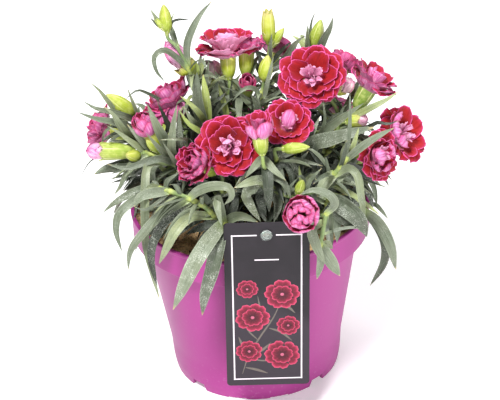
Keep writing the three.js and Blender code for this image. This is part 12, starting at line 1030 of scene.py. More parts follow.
            (2.8, "d", 0.4, [(39.4, 42.3, 134.9, 0.1, 0.3, 0.9), (46.2, 40.9, 134.5, 0.2, 0.3, 0.9), (53.2, 39.1, 132.3, 0.5, 0.2, 0.9), (60.2, 36.8, 127.7, 0.7, 0.1, 0.7), (67, 33.9, 120.2, 0.8, 0.1, 0.6)]),
            (3.3, "d", 0.5, [(42.2, 44.4, 137.3, 0.2, 0.2, 0.9), (49.8, 44, 135.4, 0.3, 0.2, 0.9), (57.5, 43.1, 132.8, 0.4, 0.2, 0.9), (65.4, 41.6, 129.3, 0.5, 0.2, 0.9), (73.1, 39.4, 124.8, 0.5, 0.2, 0.8)]),
            (4.6, "d", 0.24, [(23.8, 27.6, 122.6, 0.9, -0.1, 0.5), (20.5, 32.9, 130.1, 0.9, -0.1, 0.5), (17.8, 38.9, 137.6, 0.8, -0.3, 0.5), (16.1, 45.6, 144.8, 0.7, -0.4, 0.5), (15.6, 53.2, 151.4, 0.7, -0.5, 0.6)]),
            (2.7, "d", 0.37, [(13.5, 15.5, 112.5, 0.2, 0.6, 0.8), (12.2, 11.5, 116, 0.2, 0.6, 0.8), (11.2, 7.3, 119.2, 0.1, 0.6, 0.8), (10.5, 2.9, 122, 0, 0.5, 0.9), (10.3, -1.6, 124.2, 0, 0.4, 0.9)]),
            (4.1, "g", 0.37, [(47.4, 43.9, 136.5, 0.2, -0.7, 0.7), (55.1, 44.4, 134.6, 0.2, -0.7, 0.7), (63.1, 45, 132.3, 0.3, -0.7, 0.6), (71.1, 46, 129.5, 0.3, -0.7, 0.6), (79.1, 47.2, 126, 0.4, -0.7, 0.6)]),
            (3.7, "d", 0.21, [(26, 30, 124, 0.4, -0.3, 0.8), (25.9, 35, 126, 0.4, -0.3, 0.9), (25.6, 40.1, 127.5, 0.4, -0.2, 0.9), (25.2, 45.3, 128.2, 0.4, 0, 0.9), (24.5, 50.5, 127.9, 0.3, 0.1, 0.9)]),
        ],
        "calyxes": [(4.7, (52.6, 44.6, 137.1), (60.9, 52.9, 146.5))],
        "buds": [],
    },
    "shoot_25": {
        "stems": [
            (2, 1.4, [(-24, 8, 109.3), (-24, 8, 116), (-38, 14, 122), (-56, 20, 128), (-70, 26, 130)]),
        ],
        "leaves": [
            (7.1, "g", 0.4, [(-25.4, 8.6, 117.4, -0.67, -0.42, 0.61), (-30.3, 19.6, 119.5, -0.7, -0.35, 0.62), (-34.5, 31.1, 120, -0.76, -0.2, 0.62), (-37.7, 42.7, 118, -0.82, -0.03, 0.58), (-40.1, 53.7, 113.1, -0.84, 0.06, 0.54)]),
            (8.4, "g", 0.4, [(-25.4, 8.6, 117.4, -0.38, 0.9, 0.2), (-33.4, 3.7, 124.2, -0.42, 0.88, 0.24), (-41.3, -2.5, 130, -0.51, 0.81, 0.3), (-49.1, -10, 134.1, -0.62, 0.71, 0.33), (-56.8, -18.6, 135.4, -0.67, 0.65, 0.34)]),
            (8, "g", 0.4, [(-36.7, 13.5, 121.5, -0.33, 0.52, 0.79), (-48.1, 13.3, 122, -0.4, 0.52, 0.76), (-59.5, 12.7, 121.9, -0.54, 0.51, 0.67), (-70.6, 11.7, 120.5, -0.67, 0.5, 0.55), (-81.3, 10.6, 117.9, -0.73, 0.49, 0.48)]),
            (7.4, "g", 0.4, [(-36.7, 13.5, 121.5, -0.91, 0.04, -0.4), (-40.4, 18.4, 130.4, -0.93, 0.06, -0.37), (-43.2, 23.5, 139.4, -0.94, 0.09, -0.32), (-45.4, 29.3, 148.3, -0.95, 0.11, -0.3), (-47, 36.2, 156.4, -0.95, 0.12, -0.29)]),
            (8.8, "d", 0.4, [(-47, 17, 125.3, -0.49, 0.87, 0.06), (-55.6, 11.9, 129.4, -0.53, 0.85, 0.08), (-63.8, 5.8, 132.7, -0.61, 0.78, 0.11), (-71.7, -1.4, 134.3, -0.69, 0.71, 0.11), (-79.1, -9.2, 133.4, -0.73, 0.67, 0.11)]),
            (8.8, "g", 0.4, [(-47, 17, 125.3, -0.78, -0.46, 0.42), (-52.3, 26.1, 125.5, -0.81, -0.41, 0.42), (-56.7, 35.7, 124.6, -0.87, -0.28, 0.4), (-60.2, 45.2, 121.8, -0.93, -0.16, 0.34), (-62.7, 54.2, 116.8, -0.95, -0.1, 0.31)]),
            (7, "d", 0.4, [(-58.4, 21, 128.5, -0.89, -0.07, -0.46), (-62.7, 25.4, 137, -0.9, -0.05, -0.43), (-66.2, 31.1, 144.9, -0.92, -0.01, -0.4), (-69.1, 37.8, 152.3, -0.92, 0, -0.39), (-71.5, 45.8, 158.3, -0.92, -0.01, -0.39)]),
            (7.3, "g", 0.4, [(-58.4, 21, 128.5, -0.41, 0.58, 0.71), (-67.5, 20.4, 123.7, -0.47, 0.57, 0.67), (-75.8, 19.3, 117.7, -0.59, 0.56, 0.57), (-82.9, 17.9, 110.3, -0.7, 0.54, 0.46), (-88.5, 16.2, 101.8, -0.75, 0.53, 0.39)]),
            (7.5, "g", 0.4, [(-68.8, 25.5, 129.8, -0.81, -0.24, 0.54), (-73.7, 33.5, 126.1, -0.84, -0.18, 0.51), (-77.5, 41.5, 121.3, -0.9, -0.07, 0.44), (-80.3, 49, 115, -0.94, 0.02, 0.34), (-82.1, 55.4, 107.5, -0.95, 0.07, 0.29)]),
            (7.3, "g", 0.4, [(-68.8, 25.5, 129.8, -0.41, 0.9, -0.17), (-76.5, 22.6, 132.8, -0.45, 0.88, -0.16), (-83.9, 18.8, 135.3, -0.52, 0.84, -0.14), (-91.1, 14.2, 136.6, -0.57, 0.81, -0.14), (-98, 9, 136.1, -0.59, 0.8, -0.14)]),
        ],
        "more": [
            (4.1, "d", 0.3, [(-24, 8, 116, -0.8, -0.5, 0.4), (-22.6, 11.4, 122.6, -0.8, -0.4, 0.5), (-20.8, 14.7, 127.8, -0.7, -0.4, 0.6), (-18.6, 17.9, 130.9, -0.5, -0.1, 0.9), (-15.9, 21, 131.1, -0.3, 0.1, 1)]),
            (3.6, "d", 0.3, [(-56, 20, 128, -0.3, -0.7, 0.6), (-59.4, 25.7, 133.4, -0.3, -0.7, 0.6), (-62.2, 32, 137.9, -0.4, -0.6, 0.7), (-64.4, 38.9, 141.1, -0.5, -0.4, 0.8), (-65.6, 46.3, 142.4, -0.5, -0.2, 0.8)]),
            (5, "d", 0.79, [(-27.4, 9.5, 118.5, -0.9, 0, -0.3), (-29.8, 11.1, 125.5, -0.9, 0.3, -0.4), (-32.2, 12.7, 131.8, -0.8, 0.3, -0.4), (-34.6, 14.4, 137, -0.8, 0.3, -0.5), (-37, 16.1, 140.8, 0.2, -0.8, 0.5)]),
            (3.4, "g", 0.27, [(-59.6, 21.5, 128.7, -0.8, 0.3, -0.5), (-63.5, 24, 136.8, -0.4, -0.9, 0.2), (-67.2, 27.1, 141.9, 0, -0.6, 0.8), (-70.6, 30.9, 142.9, -0.4, 0.1, 0.9), (-73.5, 35.3, 138.3, -0.6, 0.3, 0.7)]),
            (4.3, "d", 0.65, [(-56, 20, 128, -0.3, -0.9, 0.2), (-58.4, 21.7, 132.2, -0.2, -0.9, 0.3), (-60.8, 23.6, 136.1, 0, -0.9, 0.5), (-63.2, 25.5, 139.3, 0.1, -0.8, 0.6), (-65.6, 27.5, 141.7, 0.1, -0.7, 0.7)]),
            (3, "d", 0.34, [(-53.1, 19, 127.2, -0.3, -0.4, 0.9), (-57.2, 27.2, 129.9, -0.3, -0.3, 0.9), (-61, 35.9, 130.2, -0.4, 0, 0.9), (-64.4, 44.9, 127.4, -0.5, 0.3, 0.8), (-67.2, 54.2, 120.4, -0.6, 0.4, 0.7)]),
            (5.3, "g", 0.14, [(-56, 20, 128, -0.3, -0.6, 0.7), (-60.4, 28.4, 133, -0.3, -0.5, 0.8), (-65.5, 36.8, 135.5, -0.3, -0.2, 0.9), (-71.4, 44.9, 134.3, -0.4, 0.1, 0.9), (-78.2, 52.6, 128.4, -0.5, 0.2, 0.8)]),
            (4.5, "d", 0.2, [(-24, 8, 116, -0.1, 0.9, 0.3), (-26, 5.3, 123.3, -0.1, 0.9, 0.4), (-27.6, 2.2, 127.3, -0.1, 0.5, 0.8), (-28.8, -1.3, 126.9, -0.5, -0.5, 0.7), (-29.4, -5.3, 120.7, -0.6, -0.6, 0.5)]),
        ],
        "calyxes": [],
        "buds": [],
    },
    "shoot_26": {
        "stems": [
            (2, 1.4, [(-9, 25, 109.3), (-9, 25, 116), (-14, 44, 122), (-24, 62, 126), (-30, 76, 124)]),
        ],
        "leaves": [
            (7.5, "g", 0.4, [(-9.7, 28.2, 118.2, 0.55, 0.75, 0.37), (-19.5, 34.4, 120.2, 0.5, 0.78, 0.38), (-30, 39.8, 120.9, 0.38, 0.84, 0.38), (-40.8, 44.3, 119.5, 0.25, 0.9, 0.35), (-51.3, 47.8, 115.3, 0.18, 0.93, 0.32)]),
            (7.9, "d", 0.4, [(-9.7, 28.2, 118.2, -0.83, 0.48, 0.3), (-3.9, 39.7, 118.9, -0.79, 0.53, 0.32), (2.9, 49.3, 119.5, -0.71, 0.63, 0.33), (10.3, 58, 118.3, -0.61, 0.73, 0.31), (18, 65.8, 114.7, -0.56, 0.78, 0.29)]),
            (8.8, "g", 0.4, [(-12.8, 40.6, 121.2, -0.18, 0.81, -0.55), (-15.3, 43.1, 131.8, -0.19, 0.83, -0.53), (-17.7, 46.4, 142, -0.2, 0.85, -0.49), (-20.3, 49.8, 152, -0.2, 0.84, -0.5), (-23.2, 53.6, 161.7, -0.19, 0.84, -0.51)]),
            (8.8, "g", 0.4, [(-12.8, 40.6, 121.2, -0.35, 0.48, 0.8), (-13.6, 50.1, 121.4, -0.36, 0.54, 0.76), (-14.1, 59.5, 121.5, -0.37, 0.66, 0.65), (-14.5, 68.7, 120.9, -0.37, 0.77, 0.52), (-14.8, 77.9, 119.7, -0.37, 0.82, 0.45)]),
            (8.3, "d", 0.4, [(-18, 51.7, 124.2, -0.96, 0.28, -0.03), (-15.2, 63.5, 126.9, -0.94, 0.33, -0.01), (-11.3, 74.2, 129.5, -0.91, 0.42, 0.01), (-6.3, 84.6, 130.5, -0.87, 0.49, 0.01), (-0.5, 94.6, 129.2, -0.85, 0.53, 0.01)]),
            (8.2, "g", 0.4, [(-18, 51.7, 124.2, 0.26, 0.95, 0.19), (-28.3, 54.2, 125.6, 0.2, 0.96, 0.19), (-39, 55.7, 126, 0.09, 0.98, 0.19), (-49.7, 56.3, 124.7, -0.03, 0.99, 0.16), (-59.8, 56, 121, -0.08, 0.99, 0.14)]),
            (7.6, "g", 0.4, [(-24.6, 63.2, 126, -0.25, 0.67, 0.69), (-27.7, 68.6, 121.4, -0.28, 0.72, 0.64), (-30.5, 73.5, 116.3, -0.32, 0.79, 0.52), (-33, 77.6, 110.6, -0.36, 0.85, 0.39), (-35.1, 81, 104.6, -0.37, 0.87, 0.32)]),
            (7.2, "d", 0.4, [(-24.6, 63.2, 126, -0.23, 0.66, -0.71), (-27.5, 68.1, 131.5, -0.24, 0.68, -0.7), (-30.5, 72.7, 137.2, -0.25, 0.69, -0.68), (-33.5, 77.3, 142.9, -0.23, 0.66, -0.72), (-37, 82.2, 148, -0.21, 0.63, -0.75)]),
            (8.2, "d", 0.4, [(-29.5, 74.8, 124.2, 0.38, 0.92, -0.06), (-36.5, 77.6, 123, 0.33, 0.94, -0.07), (-43.6, 79.6, 121.4, 0.26, 0.96, -0.1), (-50.7, 80.9, 118.8, 0.2, 0.97, -0.12), (-57.2, 81.6, 114.9, 0.18, 0.97, -0.14)]),
            (8.6, "d", 0.4, [(-29.5, 74.8, 124.2, -0.91, 0.36, -0.2), (-26.6, 82.1, 124.1, -0.89, 0.4, -0.2), (-23, 89, 123.5, -0.86, 0.46, -0.21), (-18.9, 95.5, 122, -0.84, 0.5, -0.23), (-14.5, 101.3, 119.1, -0.83, 0.51, -0.23)]),
        ],
        "more": [
            (4.4, "g", 0.5, [(-23.3, 60.6, 125.9, -1, -0.2, 0.1), (-23.9, 65.3, 132.5, -0.9, -0.4, 0.2), (-24.7, 70.1, 138.1, -0.6, -0.6, 0.5), (-25.8, 75, 142.3, -0.2, -0.6, 0.8), (-27.1, 79.8, 144.5, -0.1, -0.4, 0.9)]),
            (4.8, "d", 0.33, [(-11.7, 36.9, 120.5, -0.9, 0.1, 0.5), (-7.9, 42, 126.3, -0.8, 0.1, 0.6), (-3.8, 47.2, 130.9, -0.7, 0.1, 0.7), (0.7, 52.2, 133.4, -0.5, 0.2, 0.8), (5.6, 56.9, 133.3, -0.3, 0.4, 0.9)]),
            (3.5, "g", 0.34, [(-21.6, 57.7, 125.5, -0.5, 0.1, 0.9), (-19.2, 64.2, 126.1, -0.4, 0.2, 0.9), (-16.9, 71, 125.3, -0.3, 0.3, 0.9), (-14.8, 78, 122.5, -0.3, 0.5, 0.8), (-12.9, 85, 117.2, -0.3, 0.6, 0.7)]),
            (3.6, "g", 0.61, [(-21.6, 57.7, 125.5, -0.7, -0.3, 0.7), (-20.7, 61.9, 127.9, -0.6, -0.2, 0.8), (-19.6, 66.2, 129.1, -0.4, 0, 0.9), (-18.5, 70.6, 128.5, -0.3, 0.4, 0.9), (-17.3, 75, 125.7, -0.3, 0.6, 0.8)]),
            (4.1, "g", 0.59, [(-25.1, 64.4, 126, 0, 0.5, 0.9), (-31, 67.2, 124.7, -0.1, 0.5, 0.9), (-36.8, 70.6, 121, -0.3, 0.6, 0.7), (-42.3, 74.7, 114, -0.4, 0.7, 0.6), (-47.5, 79.7, 102.9, -0.4, 0.7, 0.5)]),
            (3, "d", 0.26, [(-15.4, 47.1, 122.9, 0.3, 0.5, 0.8), (-21.4, 47.4, 124.8, 0.2, 0.5, 0.8), (-27.6, 46.9, 126.5, 0.1, 0.6, 0.8), (-34, 45.3, 127.8, 0, 0.5, 0.8), (-40.5, 42.4, 128.6, -0.1, 0.5, 0.8)]),
            (3.1, "d", 0.36, [(-9.7, 28.2, 118.2, 0.3, 0.2, 0.9), (-17.1, 34.1, 119.2, 0.3, 0.2, 0.9), (-24.6, 40.4, 119.5, 0.2, 0.2, 0.9), (-32, 47.1, 118.9, 0.1, 0.3, 1), (-39, 54.2, 117, 0.1, 0.3, 0.9)]),
            (4.7, "g", 0.4, [(-25.1, 64.4, 126, -0.5, 0.1, 0.9), (-22, 73.1, 126.4, -0.4, 0.2, 0.9), (-19.1, 82.3, 125.2, -0.3, 0.3, 0.9), (-16.5, 91.6, 121.8, -0.3, 0.5, 0.8), (-14.4, 101.2, 115.7, -0.3, 0.6, 0.8)]),
            (5, "gy", 0.14, [(-23.3, 60.6, 125.9, -0.3, 0.3, 0.9), (-21.9, 66.8, 124.7, -0.3, 0.3, 0.9), (-21, 73.3, 121.7, -0.3, 0.5, 0.8), (-20.7, 80.1, 116.5, -0.3, 0.7, 0.7), (-21, 87, 108.3, -0.3, 0.7, 0.6)]),
        ],
        "calyxes": [],
        "buds": [],
    },
    "shoot_27": {
        "stems": [
            (2, 1.4, [(8, 26, 109.3), (8, 26, 116), (16, 46, 122), (28, 62, 126), (36, 78, 124)]),
        ],
        "leaves": [
            (7.6, "g", 0.4, [(9.2, 29.4, 118.2, -0.42, 0.73, 0.55), (19.7, 35.8, 119, -0.36, 0.76, 0.54), (30.7, 41.4, 118.5, -0.23, 0.83, 0.51), (41.7, 46.1, 115.9, -0.09, 0.89, 0.44), (52.2, 49.9, 111, -0.03, 0.92, 0.4)]),
            (7.9, "g", 0.4, [(9.2, 29.4, 118.2, 0.89, 0.42, 0.18), (4.2, 38.4, 121.7, 0.86, 0.46, 0.2), (-1.8, 47.2, 124.2, 0.8, 0.56, 0.22), (-8.7, 55.5, 124.9, 0.72, 0.66, 0.21), (-16.2, 63.3, 123, 0.68, 0.71, 0.2)]),
            (8.4, "g", 0.4, [(14.3, 42.6, 121.2, 0.41, 0.44, 0.8), (16.2, 51.9, 121.1, 0.42, 0.51, 0.75), (17.9, 61.3, 120.9, 0.45, 0.62, 0.64), (19.4, 70.6, 120, 0.46, 0.73, 0.51), (20.7, 79.8, 118.5, 0.47, 0.77, 0.44)]),
            (7, "d", 0.4, [(14.3, 42.6, 121.2, 0.21, 0.81, -0.56), (18, 47.2, 129.3, 0.22, 0.82, -0.53), (21.8, 51.2, 137.7, 0.23, 0.84, -0.5), (25.8, 54.9, 146.1, 0.23, 0.83, -0.5), (30.6, 58.7, 154.1, 0.22, 0.83, -0.52)]),
            (7.7, "d", 0.4, [(22, 54.1, 124.5, 0.99, 0.14, -0.07), (20.8, 64.3, 128.8, 0.98, 0.19, -0.06), (18.5, 74.5, 132.4, 0.96, 0.27, -0.03), (15.2, 84.8, 134.5, 0.94, 0.35, -0.03), (10.9, 95, 134.1, 0.92, 0.39, -0.03)]),
            (8.5, "d", 0.4, [(22, 54.1, 124.5, -0.11, 0.97, 0.22), (31.3, 55, 125.4, -0.05, 0.97, 0.22), (40.7, 54.9, 125.3, 0.07, 0.97, 0.21), (49.9, 54, 123.7, 0.18, 0.97, 0.18), (58.5, 52.5, 120.2, 0.24, 0.96, 0.16)]),
            (8.2, "d", 0.4, [(29.5, 64.6, 126, 0.08, 0.73, -0.68), (35.9, 70, 132.6, 0.1, 0.74, -0.66), (42.4, 74.9, 139.4, 0.11, 0.75, -0.65), (49.6, 79.5, 145.8, 0.08, 0.73, -0.67), (57.6, 83.9, 151.1, 0.05, 0.72, -0.69)]),
            (7, "g", 0.4, [(29.5, 64.6, 126, 0.46, 0.59, 0.66), (31.7, 71.2, 118.7, 0.48, 0.63, 0.61), (33.3, 76.8, 110.5, 0.5, 0.71, 0.49), (34.4, 81.2, 101.5, 0.52, 0.78, 0.36), (34.9, 84.4, 91.9, 0.52, 0.8, 0.3)]),
            (7.8, "g", 0.4, [(35.3, 76.7, 124.2, -0.31, 0.95, 0.04), (42.4, 79, 122.4, -0.26, 0.96, 0.03), (49.5, 80.7, 120.2, -0.18, 0.98, -0.01), (56.3, 81.5, 116.9, -0.11, 0.99, -0.04), (62.6, 81.8, 112.5, -0.09, 0.99, -0.06)]),
            (8.6, "g", 0.4, [(35.3, 76.7, 124.2, 0.94, 0.32, -0.15), (32.9, 83.7, 123.9, 0.92, 0.36, -0.15), (29.8, 90.4, 123.2, 0.89, 0.43, -0.17), (26.2, 96.7, 121.5, 0.86, 0.47, -0.18), (22.3, 102.4, 118.5, 0.85, 0.48, -0.19)]),
        ],
        "more": [
            (4, "g", 0.44, [(28.8, 63.3, 126, 0.7, -0.1, 0.7), (26.4, 70.7, 129, 0.6, -0.1, 0.8), (24.6, 78.4, 130, 0.4, 0.1, 0.9), (23.4, 86.6, 128.1, 0.3, 0.4, 0.9), (23.2, 95, 122.5, 0.3, 0.5, 0.8)]),
            (3.2, "g", 0.11, [(30.9, 67.3, 125.7, -0.8, 0.5, 0.3), (36.9, 71.4, 132.9, -0.8, 0.4, 0.4), (42.9, 75.8, 138.8, -0.7, 0.3, 0.6), (48.9, 80.6, 142.9, -0.5, 0.1, 0.8), (54.6, 85.6, 144.5, -0.4, 0.1, 0.9)]),
            (5, "g", 0.48, [(30.9, 67.3, 125.7, -0.6, 0.8, -0.1), (35.7, 71.5, 134.9, -0.7, 0.7, 0), (39.9, 76.8, 142.3, -0.7, -0.3, 0.7), (43.2, 83.4, 147.1, 0, -0.4, 0.9), (45.5, 91.3, 148.5, 0.1, -0.2, 1)]),
            (4.9, "d", 0.52, [(10.4, 32.8, 119.3, -0.7, 0.4, 0.6), (14.9, 34.8, 122.9, -0.6, 0.4, 0.7), (19.6, 36.9, 126, -0.6, 0.4, 0.7), (24.4, 38.9, 128.5, -0.5, 0.4, 0.8), (29.3, 40.8, 130, -0.4, 0.4, 0.8)]),
            (5.5, "d", 0.38, [(18.8, 50.2, 123.3, 0.6, -0.5, 0.6), (18.6, 58.7, 129.9, 0.6, -0.4, 0.7), (18.1, 67.6, 135.2, 0.5, -0.3, 0.8), (17.2, 76.5, 138.4, 0.5, -0.1, 0.9), (15.7, 85.3, 138.9, 0.4, 0, 0.9)]),
            (4.5, "d", 0.56, [(11.8, 36.7, 120.1, 0.6, -0.2, 0.8), (9.6, 43.3, 123.4, 0.5, -0.2, 0.8), (7.8, 50.3, 125.7, 0.4, -0.1, 0.9), (6.7, 57.7, 126.6, 0.3, 0, 1), (6.5, 65.4, 125.9, 0.2, 0.1, 1)]),
            (5, "g", 0.36, [(24.1, 56.7, 125.2, 1, -0.2, 0.1), (24.4, 62.3, 134.2, 0.9, -0.4, 0.2), (25.6, 68.1, 140.9, 0.4, -0.7, 0.7), (28, 74, 144.2, 0.1, -0.2, 1), (31.7, 79.8, 143, 0.2, 0.1, 1)]),
            (4.3, "d", 0.45, [(13.4, 40.7, 120.9, -0.2, 1, -0.1), (15.6, 42.1, 127.3, -0.5, 0.9, 0), (18, 43.3, 131, -0.6, 0.4, 0.6), (20.8, 44.2, 131, 0.5, 0.6, 0.7), (23.8, 44.5, 126, 0.6, 0.6, 0.4)]),
            (4.3, "d", 0.65, [(16.9, 47.4, 122.4, -0.3, 1, 0), (20.1, 48.2, 129.6, -0.3, 1, 0.1), (23.6, 48.5, 136.1, -0.3, 0.9, 0.2), (27.3, 48.3, 141.6, -0.4, 0.9, 0.4), (31.1, 47.4, 145.7, -0.3, 0.8, 0.5)]),
            (4.6, "d", 0.05, [(16.9, 47.4, 122.4, -0.8, 0.4, 0.5), (20.5, 49.1, 126.5, -0.8, 0.3, 0.5), (24.1, 51.1, 130.3, -0.7, 0.1, 0.7), (27.6, 53.6, 133.5, -0.6, -0.1, 0.8), (30.9, 56.6, 136, -0.5, -0.1, 0.9)]),
            (3.8, "d", 0.55, [(24.1, 56.7, 125.2, 1, 0.1, 0), (23.7, 60.1, 132.4, 1, 0, 0.1), (22, 63.7, 138.3, 0.9, 0, 0.4), (18.7, 67.3, 142.2, 0.6, 0.2, 0.7), (13.4, 71, 143.5, 0.4, 0.4, 0.8)]),
            (4.5, "d", 0.18, [(15.1, 44.4, 121.6, 1, -0.2, 0), (15.6, 48.1, 127.7, 0.7, -0.6, 0.3), (16.4, 51.9, 131.5, 0.1, -0.5, 0.9), (17.9, 55.7, 132.1, 0.2, 0.3, 0.9), (20, 59.4, 128.5, 0.3, 0.6, 0.8)]),
            (4.8, "d", 0.27, [(8, 26, 116, 0.6, -0.2, 0.8), (3.1, 32.6, 121.2, 0.6, -0.2, 0.8), (-1.6, 39.8, 125.5, 0.5, -0.2, 0.9), (-5.7, 47.5, 128.5, 0.3, -0.1, 0.9), (-9.1, 55.7, 129.7, 0.3, 0, 1)]),
        ],
        "calyxes": [],
        "buds": [],
    },
    "shoot_28": {
        "stems": [
            (2, 1.4, [(24, 10, 109.3), (24, 10, 116), (40, 18, 120), (56, 28, 126), (70, 36, 127)]),
        ],
        "leaves": [
            (6.8, "g", 0.4, [(26.7, 11.3, 117.7, 0.31, 0.49, 0.81), (36.3, 12.3, 117, 0.38, 0.5, 0.78), (45.7, 12.9, 115.8, 0.52, 0.51, 0.69), (54.5, 13.2, 113.4, 0.65, 0.51, 0.56), (62.6, 13.2, 109.9, 0.71, 0.51, 0.49)]),
            (8.7, "d", 0.4, [(26.7, 11.3, 117.7, 0.91, 0.09, -0.4), (30.6, 17.6, 127.9, 0.92, 0.11, -0.37), (33.5, 24, 138.2, 0.94, 0.14, -0.32), (35.6, 31.3, 148.3, 0.94, 0.16, -0.3), (36.9, 39.8, 157.4, 0.94, 0.17, -0.3)]),
            (7.1, "d", 0.4, [(37.1, 16.5, 119.4, 0.77, -0.13, 0.62), (41.4, 23.5, 118.3, 0.8, -0.08, 0.59), (45.2, 30.5, 116.8, 0.86, 0.03, 0.51), (48.4, 37.3, 114.4, 0.91, 0.13, 0.4), (51.1, 43.7, 111, 0.92, 0.18, 0.35)]),
            (8.5, "g", 0.4, [(37.1, 16.5, 119.4, 0.45, 0.81, -0.37), (46.2, 18.7, 123.6, 0.48, 0.81, -0.35), (55.2, 17.9, 129, 0.53, 0.79, -0.32), (64.3, 15.5, 133.6, 0.55, 0.78, -0.31), (73.7, 11.6, 136.4, 0.55, 0.77, -0.31)]),
            (8.7, "d", 0.4, [(48.1, 23, 123.2, 0.88, 0.27, -0.38), (50.5, 27.7, 132.2, 0.89, 0.29, -0.35), (52.1, 32.5, 141.4, 0.9, 0.32, -0.29), (52.9, 37.6, 150.5, 0.9, 0.34, -0.26), (53, 43.6, 159.1, 0.9, 0.35, -0.25)]),
            (8.2, "d", 0.4, [(48.1, 23, 123.2, 0.2, 0.52, 0.83), (56.9, 25, 122.8, 0.27, 0.53, 0.8), (65.7, 26.7, 121.7, 0.42, 0.56, 0.71), (74.2, 28.1, 119.4, 0.56, 0.58, 0.59), (82.2, 29.2, 116.1, 0.62, 0.59, 0.52)]),
            (7.4, "d", 0.4, [(58.4, 29.4, 126.4, 0.34, 0.9, -0.28), (66.4, 27.6, 130.4, 0.37, 0.89, -0.26), (74.4, 24.9, 134.2, 0.44, 0.87, -0.23), (82.5, 21.3, 136.9, 0.47, 0.85, -0.23), (90.5, 16.9, 137.7, 0.49, 0.84, -0.22)]),
            (8.5, "g", 0.4, [(58.4, 29.4, 126.4, 0.81, -0.1, 0.58), (62.7, 37.8, 123.4, 0.83, -0.05, 0.55), (66.2, 46.2, 119.5, 0.88, 0.06, 0.47), (69, 54, 114.4, 0.92, 0.16, 0.37), (71, 61.1, 108.1, 0.93, 0.21, 0.31)]),
            (7.2, "d", 0.4, [(68.8, 35.3, 126.9, 0.42, 0.63, 0.65), (75.7, 35.9, 121.9, 0.48, 0.64, 0.61), (81.9, 35.9, 116, 0.58, 0.64, 0.5), (87.1, 35.5, 109.2, 0.67, 0.64, 0.38), (91.1, 34.8, 101.7, 0.71, 0.63, 0.32)]),
            (8.8, "g", 0.4, [(68.8, 35.3, 126.9, 0.86, -0.04, -0.5), (71.7, 43.1, 130.3, 0.88, -0.02, -0.48), (74, 50.2, 134.2, 0.89, 0.02, -0.46), (75.8, 57.7, 137.7, 0.89, 0.02, -0.46), (77.1, 65.8, 139.9, 0.89, 0.01, -0.46)]),
        ],
        "more": [
            (3.9, "g", 0.37, [(57.2, 28.7, 126.2, 0.4, -0.5, 0.7), (59.6, 36.7, 130.7, 0.4, -0.4, 0.8), (61.6, 45.1, 132.5, 0.4, -0.1, 0.9), (63, 53.8, 130.6, 0.5, 0.3, 0.8), (63.8, 62.6, 124, 0.5, 0.5, 0.7)]),
            (4.3, "d", 0.59, [(54.7, 27.2, 125.7, 1, 0.1, -0.2), (55.4, 28.3, 130, 1, 0, -0.2), (56.3, 29.4, 132.6, -0.1, -0.7, 0.7), (57.4, 30.4, 132.6, 0.6, 0.4, 0.7), (58.7, 31.2, 129.2, 0.8, 0.5, 0.4)]),
            (3.3, "d", 0.3, [(54.7, 27.2, 125.7, 0.7, -0.4, 0.7), (54.3, 34.4, 130.1, 0.6, -0.3, 0.7), (54, 41.8, 132.7, 0.5, -0.1, 0.8), (53.9, 49.3, 132.6, 0.5, 0.2, 0.9), (54.1, 56.8, 129.1, 0.5, 0.4, 0.8)]),
            (4.6, "gy", 0.32, [(57.2, 28.7, 126.2, 0.5, -0.2, 0.9), (58.2, 34.9, 127.3, 0.5, -0.2, 0.9), (59.1, 41.3, 127.9, 0.5, -0.1, 0.9), (60, 47.8, 127.8, 0.5, 0, 0.9), (60.8, 54.2, 126.8, 0.5, 0.1, 0.9)]),
            (5, "d", 0.38, [(48.1, 23, 123.2, 0.6, -0.3, 0.8), (47.7, 31.6, 127.4, 0.5, -0.3, 0.8), (47.2, 40.5, 131.3, 0.5, -0.3, 0.8), (46.7, 49.6, 134.5, 0.5, -0.2, 0.8), (46.1, 58.6, 136.7, 0.5, -0.2, 0.9)]),
            (3.4, "d", 0.67, [(28, 11.9, 118, 0.6, -0.7, 0.4), (29.5, 15.8, 122.7, 0.5, -0.7, 0.5), (31, 19.9, 125.8, 0.4, -0.5, 0.8), (32.4, 24.1, 126.7, 0.4, 0, 0.9), (33.6, 28.3, 124.6, 0.5, 0.3, 0.8)]),
            (2.8, "d", 0.5, [(35.6, 15.7, 119.1, 0.7, -0.6, 0.4), (36.5, 18.9, 122.9, 0.6, -0.6, 0.4), (37.4, 22.3, 125.8, 0.6, -0.6, 0.6), (38.1, 25.8, 127.7, 0.5, -0.3, 0.8), (38.5, 29.3, 128.1, 0.5, -0.2, 0.9)]),
            (3.9, "d", 0.5, [(30.9, 13.3, 118.5, 0.3, -0.3, 0.9), (33.4, 18.7, 119.4, 0.3, -0.2, 0.9), (36.5, 24, 119.5, 0.3, -0.1, 0.9), (40.1, 29.1, 118.5, 0.3, 0, 0.9), (44.5, 33.9, 116.2, 0.4, 0.1, 0.9)]),
            (5.5, "d", 0.48, [(45.4, 21.3, 122.1, 0.1, 0.9, 0.4), (51, 16.6, 131.1, 0.1, 0.9, 0.4), (56.4, 11.4, 139.7, 0.1, 0.9, 0.5), (61.4, 5.6, 147.3, 0.2, 0.8, 0.6), (65.8, -0.9, 153.5, 0.2, 0.7, 0.6)]),
            (3.9, "d", 0.73, [(54.7, 27.2, 125.7, 1, -0.2, 0.1), (54.9, 31.1, 133.9, 0.9, -0.4, 0.2), (55, 35.2, 138.5, 0.6, -0.4, 0.7), (54.7, 39.3, 138.2, 0.5, 0.6, 0.6), (54.1, 43.5, 131.3, 0.5, 0.8, 0.4)]),
            (5, "d", 0.52, [(23.3, 9.7, 112.6, -0.3, 0.7, 0.7), (24.9, 5.8, 117.2, -0.3, 0.6, 0.7), (26.6, 2, 120.1, -0.2, 0.3, 0.9), (28.7, -1.8, 120.6, 0.1, -0.2, 1), (31.1, -5.5, 118.1, 0.3, -0.4, 0.9)]),
        ],
        "calyxes": [],
        "buds": [],
    },
}
